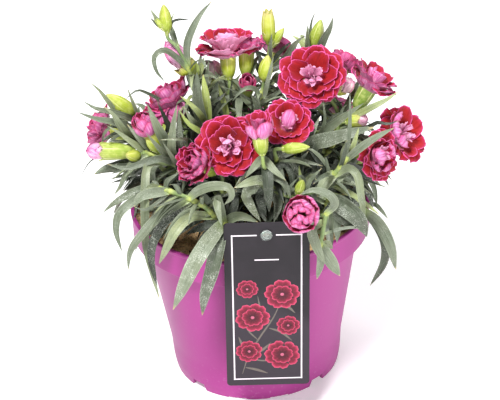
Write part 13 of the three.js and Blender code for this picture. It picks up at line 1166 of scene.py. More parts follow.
# flower head: form, radius, depth, openness, phase, seed, middle, axis, mouth of the calyx
BLOOMS = {
    "bloom_06": ("side", 18.8, 15, 0.9, 0, 11, (-9.4, 10.5, 223.3), (-0.01, 0.26, 0.96), (-9.3, 8.3, 215.3)),
    "bloom_07": ("side", 10.5, 8.4, 0.55, 0, 12, (2.9, 14.5, 219.5), (0.11, 0.47, 0.88), (2.4, 12.3, 215.4)),
    "bloom_08": ("pop", 6.2, 8, 0.35, 0, 13, (2.3, -6, 204), (0.02, -0.53, 0.85), (2.2, -3.7, 200.2)),
    "bloom_09": ("side", 13, 10.4, 0.8, 0, 14, (22.1, 33.8, 209.1), (0.4, 0.63, 0.67), (19.9, 30.2, 205.3)),
    "bloom_01": ("open", 20.5, 12.7, 1, 0.2, 15, (41.3, -12, 209), (-0.05, -0.79, 0.61), (41.6, -6.5, 204.7)),
    "bloom_10": ("side", 15.5, 12.4, 0.85, 0, 16, (79.6, -4.6, 201.1), (0.55, 0.25, 0.79), (75.8, -6.3, 195.7)),
    "bloom_11": ("side", 12.5, 10, 0.75, 0, 17, (64.1, 14.7, 205), (0.48, 0.57, 0.67), (61.5, 11.6, 201.4)),
    "bloom_13": ("open", 18.5, 11.5, 0.95, 0.5, 18, (96.1, -14, 166.9), (0.64, -0.49, 0.6), (92.1, -10.9, 163.1)),
    "bloom_14": ("open", 17, 10.5, 0.85, 1.1, 19, (80, -38, 167.1), (0.72, -0.64, 0.26), (75.8, -34.3, 165.5)),
    "bloom_04": ("open", 16.2, 10, 0.9, 0.9, 20, (25.2, -30, 187.5), (0.08, -0.62, 0.78), (24.8, -26.6, 183.2)),
    "bloom_05": ("cup", 9.4, 13.2, 0.5, 0, 21, (7.3, -57.1, 200.7), (-0.07, 0.22, 0.97), (7.8, -58.7, 193.7)),
    "bloom_02": ("open", 19.5, 12.1, 1, 0.35, 22, (-10.9, -48, 183.2), (-0.1, -0.87, 0.49), (-10.3, -42.2, 180)),
    "bloom_03": ("cup", 13.6, 8.4, 0.7, 0, 23, (-31.8, -50, 173.9), (-0.61, -0.46, 0.65), (-29, -47.9, 170.9)),
    "bloom_15": ("ball", 11.6, 9, 0.35, 0, 24, (29.3, -96, 162.2), (-0.3, -0.8, 0.51), (30.8, -92, 159.6)),
    "bloom_16": ("side", 16, 12.8, 0.85, 0, 25, (-48.2, 0.4, 194.7), (-0.42, 0.22, 0.88), (-45.3, -1.2, 188.5)),
    "bloom_17": ("pop", 8.6, 13, 0.4, 0, 26, (-61.8, -26, 189.2), (-0.42, -0.09, 0.9), (-58.8, -25.3, 182.7)),
    "bloom_18": ("side", 13.8, 11, 0.8, 0, 27, (-92.8, 4.1, 173.1), (-0.92, 0.04, 0.39), (-87.2, 3.8, 170.8)),
    "bloom_19": ("open", 17, 10.5, 0.9, 0.4, 48, (-60, 56, 150), (-0.5, 0.6, 0.62), (-57.1, 52.5, 146.4)),
    "bloom_20": ("open", 18, 11.2, 1, 1.2, 49, (-8, 80, 141), (-0.05, 0.75, 0.65), (-7.7, 75.4, 137)),
    "bloom_12": ("side", 16.5, 10.2, 0.9, 0.8, 50, (64, 56, 150), (0.55, 0.55, 0.62), (60.9, 52.9, 146.5)),
}
# opening bud: shoot, radius, base, tip, share of the length that shows petals
BUDS = {
    "bud_01": ("shoot_01", 6.2, (-32.8, 1, 208.9), (-46.6, 4, 228.9), 0.8),
    "bud_02": ("shoot_06", 5, (54.2, -3, 194), (67.4, -5, 199.8), 0.62),
    "bud_03": ("shoot_06", 4.2, (61.1, -15, 177.8), (74.5, -17, 180.2), 0.45),
    "bud_04": ("shoot_14", 5.3, (-68.6, -26, 170.5), (-98.2, -28, 173.7), 0.34),
    "bud_05": ("shoot_02", 4.5, (-17.7, 20, 189), (-18, 20, 206.8), 0.62),
}

# ------------------------------------------------------------------ mesh building
class Skin:
    """Collects rings, grids and fans of one piece, with the numbers that its materials read."""

    def __init__(self):
        self.v, self.f, self.m, self.pa, self.pb, self.n = [], [], [], [], [], 0

    def add(self, verts, faces, mat, pa, pb):
        verts = np.asarray(verts, float).reshape(-1, 3)
        k = len(verts)
        self.v.append(verts)
        self.pa.append(np.broadcast_to(np.asarray(pa, float), (k, 3)).copy())
        self.pb.append(np.broadcast_to(np.asarray(pb, float), (k, 3)).copy())
        self.f.extend([tuple(int(i) + self.n for i in f) for f in faces])
        self.m.extend([mat] * len(faces))
        self.n += k

    def build(self, name, materials, smooth=True, sharp=None):
        me = bpy.data.meshes.new(name)
        co = metres(np.concatenate(self.v))
        me.from_pydata([tuple(c) for c in co], [], self.f)
        for m in materials:
            me.materials.append(m)
        me.polygons.foreach_set("material_index", np.array(self.m, np.int32))
        me.polygons.foreach_set("use_smooth", np.full(len(self.f), smooth))
        for key, rows in (("pa", self.pa), ("pb", self.pb)):
            a = me.attributes.new(key, "FLOAT_VECTOR", "POINT")
            a.data.foreach_set("vector", np.concatenate(rows).astype(np.float32).ravel())
        me.update()
        if sharp is not None:
            me.set_sharp_from_angle(angle=math.radians(sharp))
        ob = bpy.data.objects.new(name, me)
        scene.collection.objects.link(ob)
        return ob


def ring_faces(rows, sides, first_cap=True, last_cap=True):
    f = []
    for r in range(rows - 1):
        for i in range(sides):
            j = (i + 1) % sides
            f.append((r * sides + i, r * sides + j, (r + 1) * sides + j, (r + 1) * sides + i))
    if first_cap:
        f.append(tuple(reversed(range(sides))))
    if last_cap:
        f.append(tuple((rows - 1) * sides + i for i in range(sides)))
    return f


def unit(a):
    a = np.asarray(a, float)
    return a / np.maximum(np.linalg.norm(a, axis=-1, keepdims=True), 1e-9)


def catmull(p, seg=10):
    """Points and parameters along the centripetal spline through p, the curve that the solids use."""
    p = np.asarray(p, float)
    n = len(p)
    if n == 2:
        s = np.linspace(0, 1, seg + 1)
        return p[0] + (p[1] - p[0]) * s[:, None], s
    out, par = [], []
    for i in range(n - 1):
        p1, p2 = p[i], p[i + 1]
        p0 = p[i - 1] if i > 0 else 2 * p[0] - p[1]
        p3 = p[i + 2] if i + 2 < n else 2 * p[n - 1] - p[n - 2]
        d0, d1, d2 = (max(float((b - a) @ (b - a)) ** 0.25, 1e-4) for a, b in ((p0, p1), (p1, p2), (p2, p3)))
        t1 = ((p1 - p0) / d0 - (p2 - p0) / (d0 + d1) + (p2 - p1) / d1) * d1
        t2 = ((p2 - p1) / d1 - (p3 - p1) / (d1 + d2) + (p3 - p2) / d2) * d1
        c2, c3 = -3 * p1 + 3 * p2 - 2 * t1 - t2, 2 * p1 - 2 * p2 + t1 + t2
        for k in range(seg):
            s = k / seg
            out.append(p1 + t1 * s + c2 * s * s + c3 * s**3)
            par.append(i + s)
    out.append(p[-1])
    par.append(n - 1.0)
    return np.array(out), np.array(par)


def even(points, count, seg=10):
    """count points spaced evenly along the spline, with their parameters and the length."""
    c, par = catmull(points, seg)
    d = np.r_[0, np.cumsum(np.linalg.norm(np.diff(c, axis=0), axis=1))]
    at = np.linspace(0, d[-1], count)
    q = np.stack([np.interp(at, d, c[:, k]) for k in range(3)], 1)
    return q, np.interp(at, d, par), d[-1]


def frames(c):
    """Tangents and a side that doesn't spin, along a line of points."""
    t = unit(np.gradient(c, axis=0))
    side = np.zeros_like(t)
    s = np.cross(t[0], [0.3, 0.2, 1.0])
    if np.linalg.norm(s) < 0.2:
        s = np.cross(t[0], [1.0, 0.2, 0.0])
    for i in range(len(c)):
        s = unit(s - t[i] * (s @ t[i]))
        side[i] = s
    return t, side, np.cross(t, side)


def wobble(rng, n, x, low=1.0):
    """A smooth random curve over x in 0..1, of about unit size."""
    out = np.zeros_like(x)
    for k in range(1, n + 1):
        out += rng.normal() / (k**low) * np.sin(math.pi * 2 * k * x * 0.5 + rng.uniform(0, 6.28))
    return out


# ------------------------------------------------------------------ the pot
H, RIM, LIP, LIP_H, BAND = 117.3, 75.2, 75.9, 2.4, 18.0
TOP_R, LOW_R, LOW_Z, FOOT_R, FOOT_IN, WALL = 68.5, 55.7, 22.0, 53.4, 50.6, 1.3
UNDER_Z, FLOOR_Z = 5.6, 7.2
BAND_Z = H - BAND


def rounded(points, radius, seg=4):
    """The profile with each corner rounded; points are (r, z) or (r, z, corner radius)."""
    out = []
    n = len(points)
    for i, p in enumerate(points):
        r = p[2] if len(p) > 2 else radius
        if i in (0, n - 1) or r <= 0:
            out.append((p[0], p[1]))
            continue
        a, b, c = (np.array(q[:2], float) for q in (points[i - 1], p, points[i + 1]))
        la, lc = np.linalg.norm(a - b), np.linalg.norm(c - b)
        k = min(r, la * 0.45, lc * 0.45)
        s, e = b + (a - b) / la * k, b + (c - b) / lc * k
        for j in range(seg + 1):
            u = j / seg
            out.append(tuple((1 - u) ** 2 * s + 2 * u * (1 - u) * b + u * u * e))
    return out


def lathe_mesh(name, profile, sides, closed_on_axis=True):
    """A closed turned mesh; the profile starts and ends on the axis."""
    verts, faces = [], []
    ring = {}
    for k, (r, z) in enumerate(profile):
        if r < 1e-6:
            ring[k] = [len(verts)]
            verts.append((0, 0, z))
        else:
            ring[k] = list(range(len(verts), len(verts) + sides))
            for i in range(sides):
                a = 2 * math.pi * i / sides
                verts.append((r * math.cos(a), r * math.sin(a), z))
    for k in range(len(profile) - 1):
        a, b = ring[k], ring[k + 1]
        for i in range(sides):
            j = (i + 1) % sides
            if len(a) == 1:
                faces.append((a[0], b[j], b[i]))
            elif len(b) == 1:
                faces.append((a[i], a[j], b[0]))
            else:
                faces.append((a[i], a[j], b[j], b[i]))
    me = bpy.data.meshes.new(name)
    me.from_pydata([tuple(c) for c in metres(np.array(verts))], [], faces)
    me.update()
    ob = bpy.data.objects.new(name, me)
    scene.collection.objects.link(ob)
    return ob


def box_cutter(name, corners_low, corners_high):
    me = bpy.data.meshes.new(name)
    v = [tuple(c) for c in metres(np.array(corners_low + corners_high))]
    me.from_pydata(v, [], [(3, 2, 1, 0), (4, 5, 6, 7), (0, 1, 5, 4), (1, 2, 6, 5), (2, 3, 7, 6), (3, 0, 4, 7)])
    me.update()
    ob = bpy.data.objects.new(name, me)
    scene.collection.objects.link(ob)
    return ob


def cut(ob, cutters):
    """Cuts the cutters out of ob for good, and removes them."""
    for c in cutters:
        m = ob.modifiers.new("cut", "BOOLEAN")
        m.operation, m.solver, m.object = "DIFFERENCE", "EXACT", c
    bpy.context.view_layer.update()
    done = bpy.data.meshes.new_from_object(ob.evaluated_get(bpy.context.evaluated_depsgraph_get()))
    ob.modifiers.clear()
    old = ob.data
    ob.data = done
    bpy.data.meshes.remove(old)
    for c in cutters:
        me = c.data
        bpy.data.objects.remove(c)
        bpy.data.meshes.remove(me)


def shade(ob, angle=35):
    ob.data.polygons.foreach_set("use_smooth", np.ones(len(ob.data.polygons), bool))
    ob.data.set_sharp_from_angle(angle=math.radians(angle))


pot_profile = [
    (0, UNDER_Z, 0), (FOOT_IN, UNDER_Z, 0.6), (FOOT_IN + 0.2, 0.0, 0.5), (FOOT_R, 0.0, 0.7), (FOOT_R + 1.3, 7.0, 2.0),
    (LOW_R, LOW_Z, 3.0), (TOP_R - 0.1, BAND_Z - 0.9, 0.8), (TOP_R + 0.6, BAND_Z, 0.6), (RIM, BAND_Z, 0.9),
    (RIM + 0.02, BAND_Z + 3.2, 0), (RIM + 0.15, H - LIP_H, 0.25), (LIP, H - LIP_H + 0.45, 0.35), (LIP, H - 0.35, 0.4),
    (LIP - 0.5, H, 0.4), (RIM - 1.7, H, 0.5), (RIM - 1.7, BAND_Z + WALL + 0.4, 1.0), (TOP_R - WALL, BAND_Z + WALL, 0.9),
    (LOW_R - WALL, LOW_Z, 3.0), (FOOT_R - 0.4, FLOOR_Z + 1.4, 1.0), (FOOT_R - 2.6, FLOOR_Z, 1.0), (0, FLOOR_Z, 0),
]
pot = lathe_mesh("pot_shell", rounded(pot_profile, 0.5, 4), 220)
cutters = []


def foot_cut(deg, low, high, height):
    a = math.radians(deg)
    o, s = np.array([math.cos(a), math.sin(a), 0]), np.array([-math.sin(a), math.cos(a), 0])
    def quad(w, z):
        return [tuple(o * r + s * x + np.array([0, 0, z])) for r, x in ((46, -w / 2), (60, -w / 2), (60, w / 2), (46, w / 2))]
    cutters.append(box_cutter("cut", quad(low, -1.0), quad(high, height)))


for q in range(4):
    arch = -46 + 90 * q
    foot_cut(arch, 13.2, 9.6, 5.1)
    foot_cut(arch - 30.5, 13, 11.6, 1.1)
    foot_cut(arch - 59.5, 13, 11.6, 1.1)
for i in range(6):
    a = 2 * math.pi * (i + 0.5) / 6
    me = bpy.data.meshes.new("hole")
    n = 28
    vv = [(34 * math.cos(a) + 4 * math.cos(2 * math.pi * k / n), 34 * math.sin(a) + 4 * math.sin(2 * math.pi * k / n), z)
          for z in (3.0, 10.0) for k in range(n)]
    me.from_pydata([tuple(c) for c in metres(np.array(vv))], [],
                   [(k, (k + 1) % n, (k + 1) % n + n, k + n) for k in range(n)] + [tuple(range(n))[::-1], tuple(range(n, 2 * n))])
    me.update()
    c = bpy.data.objects.new("hole", me)
    scene.collection.objects.link(c)
    cutters.append(c)
cut(pot, cutters)
shade(pot, 38)

# ------------------------------------------------------------------ the potting mix
rng = np.random.default_rng(12)


def lumps(x, y):
    """Height of the mix above its mean level, in millimetres."""
    z = np.zeros_like(x)
    r = np.random.default_rng(5)
    for f, amp in ((0.07, 0.9), (0.16, 0.7), (0.36, 0.5), (0.8, 0.34), (1.6, 0.16)):
        for _ in range(5):
            a = r.uniform(0, 6.28)
            z = z + amp * 0.42 * np.sin(2 * math.pi * f * 0.35 * (x * math.cos(a) + y * math.sin(a)) + r.uniform(0, 6.28))
    return z


S = Skin()
SOIL_R = RIM - 1.8 - 0.35
sides, rings = 180, 56
rr = SOIL_R * np.linspace(0, 1, rings)[1:] ** 0.9
ang = np.arange(sides) * 2 * math.pi / sides
RR, AA = np.meshgrid(rr, ang, indexing="ij")
X, Y = RR * np.cos(AA), RR * np.sin(AA)
Z = 107.6 + (1 - (RR / SOIL_R) ** 2) * 1.1 + lumps(X, Y) * np.clip((SOIL_R - RR) / 3, 0.25, 1)
top = np.stack([X, Y, Z], -1).reshape(-1, 3)
verts = [np.array([[0, 0, 108.7 + float(lumps(np.zeros(1), np.zeros(1))[0])]]), top]
faces = [(0, 1 + i, 1 + (i + 1) % sides) for i in range(sides)]
for r in range(rings - 2):
    b = 1 + r * sides
    faces += [(b + i, b + sides + i, b + sides + (i + 1) % sides, b + (i + 1) % sides) for i in range(sides)]
low = [(SOIL_R, 101.4), (TOP_R - WALL - 0.35, 100.8), (TOP_R - WALL - 0.35, 99.0), (LOW_R - WALL - 0.35, LOW_Z),
       (FOOT_R - 0.75, FLOOR_Z + 1.75), (FOOT_R - 2.95, FLOOR_Z + 0.35)]
start = 1 + (rings - 2) * sides
for r, z in low:
    verts.append(np.stack([r * np.cos(ang), r * np.sin(ang), np.full(sides, z)], 1))
    faces += [(start + i, start + sides + i, start + sides + (i + 1) % sides, start + (i + 1) % sides) for i in range(sides)]
    start += sides
verts.append(np.array([[0, 0, FLOOR_Z + 0.35]]))
faces += [(start + (i + 1) % sides, start + i, start + sides) for i in range(sides)]
S.add(np.concatenate(verts), faces, 0, (0, 0, 0.5), (0, 0, 0))

# crumbs, bark and grit: small rough grains pressed into the top
phi = (1 + 5**0.5) / 2
ICO = unit(np.array([(-1, phi, 0), (1, phi, 0), (-1, -phi, 0), (1, -phi, 0), (0, -1, phi), (0, 1, phi), (0, -1, -phi), (0, 1, -phi),
                     (phi, 0, -1), (phi, 0, 1), (-phi, 0, -1), (-phi, 0, 1)], float))
ICO_F = [(0, 11, 5), (0, 5, 1), (0, 1, 7), (0, 7, 10), (0, 10, 11), (1, 5, 9), (5, 11, 4), (11, 10, 2), (10, 7, 6), (7, 1, 8),
         (3, 9, 4), (3, 4, 2), (3, 2, 6), (3, 6, 8), (3, 8, 9), (4, 9, 5), (2, 4, 11), (6, 2, 10), (8, 6, 7), (9, 8, 1)]


def level(x, y):
    return 107.6 + (1 - (x * x + y * y) / SOIL_R**2) * 1.1 + lumps(np.array([x]), np.array([y]))[0]


def turn_of(r):
    q = r.normal(size=4)
    q = q / np.linalg.norm(q)
    w, x, y, z = q
    return np.array([[1 - 2 * (y * y + z * z), 2 * (x * y - z * w), 2 * (x * z + y * w)],
                     [2 * (x * y + z * w), 1 - 2 * (x * x + z * z), 2 * (y * z - x * w)],
                     [2 * (x * z - y * w), 2 * (y * z + x * w), 1 - 2 * (x * x + y * y)]])


for _ in range(1500):
    rad, a = (SOIL_R - 2.2) * math.sqrt(rng.random()), rng.uniform(0, 6.28)
    x, y = rad * math.cos(a), rad * math.sin(a)
    size = 0.35 + rng.gamma(1.6, 0.42)
    size = min(size, 2.6)
    shape = ICO * rng.uniform(0.7, 1.25, (12, 1)) * np.array([1, rng.uniform(0.5, 1), rng.uniform(0.35, 0.8)]) * size
    tone = rng.choice([0.12, 0.3, 0.5, 0.72, 0.95], p=[0.34, 0.28, 0.2, 0.12, 0.06])
    S.add(shape @ turn_of(rng).T + np.array([x, y, level(x, y) + size * 0.12]), ICO_F, 0, (0, 0, tone), (1, 0, 0))
for _ in range(260):
    rad, a = (SOIL_R - 8) * math.sqrt(rng.random()), rng.uniform(0, 6.28)
    p = np.array([rad * math.cos(a), rad * math.sin(a)])
    d, L = rng.uniform(0, 6.28), rng.uniform(3, 11)
    pts = []
    for k in range(5):
        pts.append((p[0], p[1], level(p[0], p[1]) + 0.25 + rng.uniform(0, 0.5) + (0.6 if k in (0, 4) and rng.random() < 0.3 else 0)))
        d += rng.normal(0, 0.35)
        p = p + np.array([math.cos(d), math.sin(d)]) * L / 4
        if np.linalg.norm(p) > SOIL_R - 2:
            p *= (SOIL_R - 2) / np.linalg.norm(p)
    c, _, _ = even(np.array(pts), 9, 5)
    _, sd, up = frames(c)
    w = rng.uniform(0.13, 0.42) * np.sin(np.linspace(0.25, 2.9, 9)) ** 0.4
    aa = np.arange(4) * math.pi / 2 + 0.6
    vv = c[:, None] + (sd[:, None] * np.cos(aa)[None, :, None] + up[:, None] * np.sin(aa)[None, :, None] * 0.6) * w[:, None, None]
    S.add(vv.reshape(-1, 3), [f[::-1] for f in ring_faces(9, 4)], 0, (0, 0, rng.choice([0.62, 0.8, 1.0])), (1, 0, 0))
soil_ob_skin = S

# ------------------------------------------------------------------ the label, its stake and its button
CW, CH, CT, CR = 51.5, 122.5, 0.8, 2.6
HOLE_X, HOLE_Y, HOLE_RAD = -0.22, 52.45, 2.5
_tilt, _turn = math.radians(93), math.radians(-1.6)
RX = np.array([[1, 0, 0], [0, math.cos(_tilt), -math.sin(_tilt)], [0, math.sin(_tilt), math.cos(_tilt)]])
RZ = np.array([[math.cos(_turn), -math.sin(_turn), 0], [math.sin(_turn), math.cos(_turn), 0], [0, 0, 1]])
CARD = RX @ RZ
CARD_AT = np.array([7.44, -75.94, 86.45])


def on_card(p):
    """From the card's own axes (right, up, out of its face) to the pot's."""
    return np.asarray(p, float) @ CARD.T + CARD_AT


def outline(w, h, r, seg=8):
    pts = []
    for cx, cy, a0 in ((w - r, -h + r, -90), (w - r, h - r, 0), (-w + r, h - r, 90), (-w + r, -h + r, 180)):
        for k in range(seg + 1):
            a = math.radians(a0 + 90 * k / seg)
            pts.append((cx + r * math.cos(a), cy + r * math.sin(a)))
    return pts


def card_solid():
    """The punched card's rounded outline, and a ring of points round the hole."""
    outer = outline(CW / 2, CH / 2, CR)
    n = len(outer)
    inner = []
    for x, y in outer:
        a = math.atan2((y - HOLE_Y), (x - HOLE_X))
        inner.append((HOLE_X + HOLE_RAD * math.cos(a), HOLE_Y + HOLE_RAD * math.sin(a)))
    return outer, inner


def card_mesh():
    me = bpy.data.meshes.new("card")
    z = CT / 2
    e = 0.12
    rings = []
    for w, h, r, zz in ((CW / 2 - e, CH / 2 - e, CR - e, -z), (CW / 2, CH / 2, CR, -z + e), (CW / 2, CH / 2, CR, z - e), (CW / 2 - e, CH / 2 - e, CR - e, z)):
        rings.append([(x, y, zz) for x, y in outline(w, h, r)])
    n = len(rings[0])
    verts = [p for r in rings for p in r]
    faces = []
    for k in range(3):
        faces += [(k * n + i, k * n + (i + 1) % n, (k + 1) * n + (i + 1) % n, (k + 1) * n + i) for i in range(n)]
    faces.append(tuple(range(n))[::-1])
    faces.append(tuple(3 * n + i for i in range(n)))
    v = metres(on_card(np.array(verts)))
    me.from_pydata([tuple(c) for c in v], [], faces)
    me.update()
    ob = bpy.data.objects.new("card", me)
    scene.collection.objects.link(ob)
    m = 40
    hv = on_card([(HOLE_X + HOLE_RAD * math.cos(2 * math.pi * k / m), HOLE_Y + HOLE_RAD * math.sin(2 * math.pi * k / m), zz) for zz in (-3, 3) for k in range(m)])
    hm = bpy.data.meshes.new("punch")
    hm.from_pydata([tuple(c) for c in metres(hv)], [], [(k, (k + 1) % m, (k + 1) % m + m, k + m) for k in range(m)] + [tuple(range(m))[::-1], tuple(range(m, 2 * m))])
    hm.update()
    punch = bpy.data.objects.new("punch", hm)
    scene.collection.objects.link(punch)
    cut(ob, [punch])
    return ob


card = card_mesh()
card.name = "label_front"
# the card's own coordinates, in millimetres, for its printed lines
co = np.zeros(len(card.data.vertices) * 3, np.float32)
card.data.vertices.foreach_get("co", co)
local = (co.reshape(-1, 3).astype(float) * 1000 - AXIS - CARD_AT) @ CARD
at = card.data.attributes.new("card", "FLOAT_VECTOR", "POINT")
at.data.foreach_set("vector", local.astype(np.float32).ravel())
shade(card, 30)

# a printed spray of simple five-petalled blossoms, as thin layers of ink on the card
INK = Skin()


def blossom(cx, cy, R, rot, r, z0, inner=False):
    for k in range(5):
        a0 = rot + k * 2 * math.pi / 5 + r.uniform(-0.05, 0.05)
        seg, rows = 18, 8
        u = np.linspace(-1, 1, seg + 1)
        spread = math.radians(37)
        notch = 1 - 0.10 * np.exp(-((u / 0.16) ** 2)) - 0.20 * np.abs(u) ** 3.2 + 0.018 * np.sin(u * 17 + k)
        vv, aa = [], []
        rad = np.array([0.12, 0.3, 0.5, 0.68, 0.82, 0.91, 0.965, 1.0])
        for t in rad:
            rr_ = R * t * notch
            an = a0 + u * spread * (0.55 + 0.45 * t)
            vv.append(np.stack([cx + rr_ * np.cos(an), cy + rr_ * np.sin(an), np.full(seg + 1, z0 + 0.006 * k)], 1))
            aa.append(np.stack([np.full(seg + 1, (1 - t) * R), u, np.full(seg + 1, k / 5.0)], 1))
        faces = [(i * (seg + 1) + j, (i + 1) * (seg + 1) + j, (i + 1) * (seg + 1) + j + 1, i * (seg + 1) + j + 1) for i in range(rows - 1) for j in range(seg)]
        INK.add(on_card(np.concatenate(vv)), faces, 0, np.concatenate(aa), (0, R, 0))
    if not inner:
        blossom(cx, cy, R * 0.62, rot + 0.6, r, z0 + 0.035, True)
        return
    R, n = R * 1.3, 20
    disc = [(cx, cy, z0 + 0.04)] + [(cx + 0.13 * R * math.cos(2 * math.pi * i / n), cy + 0.13 * R * math.sin(2 * math.pi * i / n), z0 + 0.04) for i in range(n)]
    INK.add(on_card(disc), [(0, 1 + i, 1 + (i + 1) % n) for i in range(n)], 1, (0, 0, 0), (1, R, 0))


def sprig(points, width):
    c, _, _ = even(np.array([(*p, 0) for p in points], float), 16)
    t = unit(np.gradient(c, axis=0))
    s = np.stack([-t[:, 1], t[:, 0], np.zeros(16)], 1)
    w = width * np.sin(np.linspace(0.2, math.pi - 0.02, 16)) ** 0.8
    z = CT / 2 + 0.012
    vv = np.concatenate([c + s * w[:, None], c - s * w[:, None]]) + np.array([0, 0, z])
    INK.add(on_card(vv), [(i, 16 + i, 17 + i, i + 1) for i in range(15)], 2, (0, 0, 0), (0.4, 1, 0))


ink = np.random.default_rng(3)
zc = CT / 2 + 0.03
for pts in ([(-16, -52), (-12, -38), (-5, -24), (4, -8), (9, 6)], [(-12, -40), (-2, -42), (8, -39)], [(-6, -26), (-12, -18), (-14, -8)],
            [(2, -12), (-4, -2), (-6, 8)]):
    sprig(pts, 0.55)
for pts in ([(-14, -47), (-7, -49), (0, -52)], [(-9, -33), (-15, -30), (-18, -23)], [(1, -17), (8, -20), (15, -27)], [(6, -1), (12, -1), (17, -6)],
            [(-10, -36), (-4, -34), (2, -28)]):
    sprig(pts, 0.9)
for cx, cy, R, rot in ((9.0, 8.5, 11.0, 0.3), (-9.2, -8.5, 10.8, 1.1), (8.8, -37.5, 11.2, 0.8), (12.6, -15.2, 7.4, 0.1), (-11.6, -34.5, 8.4, 0.5), (-12.2, 13.0, 6.8, 0.95)):
    blossom(cx, cy, R, rot, ink, zc)
    zc += 0.012

# clear stake: behind the card, over the rim and down into the mix
T3 = math.tan(math.radians(3))
back_of = lambda z: -76.6 - (z - 99) * T3 + CT / 2 + 0.35 + 0.6
LINE = [(back_of(144.6), 144.6), (back_of(122.4), 122.4), (-75.2, 121), (-71.4, 120.6), (-70.2, 119.2), (-65.4, 108), (-62.2, 88), (-57.6, 60)]
pts = np.array([(0, y, z) for y, z in LINE], float)
lin = []
for i in range(len(pts) - 1):
    k = max(1, int(np.linalg.norm(pts[i + 1] - pts[i]) / 2.0))
    lin += [pts[i] + (pts[i + 1] - pts[i]) * j / k for j in range(k)]
lin.append(pts[-1])
lin = np.array(lin)
for _ in range(2):
    lin[1:-1] = lin[1:-1] * 0.6 + 0.2 * (lin[:-2] + lin[2:])
tn = unit(np.gradient(lin, axis=0))
nn = np.stack([np.zeros(len(lin)), -tn[:, 2], tn[:, 1]], 1)
fall = np.clip((np.arange(len(lin)) - (len(lin) - 10)) / 9, 0, 1)  # the buried end is pointed
hw = 5.0 * (1 - 0.75 * fall)
STK = Skin()
sec = [(-1, -0.42), (-1, 0.42), (-0.965, 0.6), (-0.35, 0.6), (0, 0.6), (0.35, 0.6), (0.965, 0.6), (1, 0.42), (1, -0.42), (0.965, -0.6), (0.35, -0.6), (0, -0.6), (-0.35, -0.6), (-0.965, -0.6)]
vv = np.zeros((len(lin), len(sec), 3))
for k, (x, y) in enumerate(sec):
    rib = 0.0
    vv[:, k] = lin + np.array([8.66, 0, 0]) + np.array([1, 0, 0]) * (hw * x)[:, None] + nn * (y + rib)
STK.add(vv.reshape(-1, 3), ring_faces(len(lin), len(sec)), 0, (0, 0, 0), (0, 0, 0))

BTN = Skin()
bp = rounded([(0, -3.1), (3.2, -3.1, 0.25), (3.2, -2.25, 0.25), (1.9, -2.25, 0.1), (1.9, 0.62, 0.1), (3.6, 0.62, 0.15), (3.65, 1.35, 0.3), (3.1, 1.9, 0.4),
              (2.25, 1.75, 0.25), (2.1, 2.35, 0.4), (1.2, 2.68, 0.3), (0, 2.7)], 0.2, 3)
rows, n = [], 40
bv, bf, ring = [], [], {}
for k, (r, z) in enumerate(bp):
    if r < 1e-6:
        ring[k] = [len(bv)]
        bv.append((HOLE_X, HOLE_Y, z))
    else:
        ring[k] = list(range(len(bv), len(bv) + n))
        bv += [(HOLE_X + r * math.cos(2 * math.pi * i / n), HOLE_Y + r * math.sin(2 * math.pi * i / n), z) for i in range(n)]
for k in range(len(bp) - 1):
    a, b = ring[k], ring[k + 1]
    for i in range(n):
        j = (i + 1) % n
        bf.append((a[0], b[j], b[i]) if len(a) == 1 else ((a[i], a[j], b[0]) if len(b) == 1 else (a[i], a[j], b[j], b[i])))
BTN.add(on_card(bv), bf, 0, (0, 0, 0), (0, 0, 0))
# ------------------------------------------------------------------ leaves, stems, buds, flower heads
ACROSS = np.array([-1, -0.55, 0, 0.55, 1, 0.55, 0, -0.55])  # round a leaf's section: upper side, then underside
UNDER = np.array([0, 0, 0, 0, 0, 1, 1, 1.0])
# tone of each kind of leaf; "d" marks leaves low and deep in the clump, nearly black as painted shade, partly also the
# darker colour of older inner leaves
TONES = {"d": 0.0, "g": 0.35, "gy": 0.7, "y": 1.0}


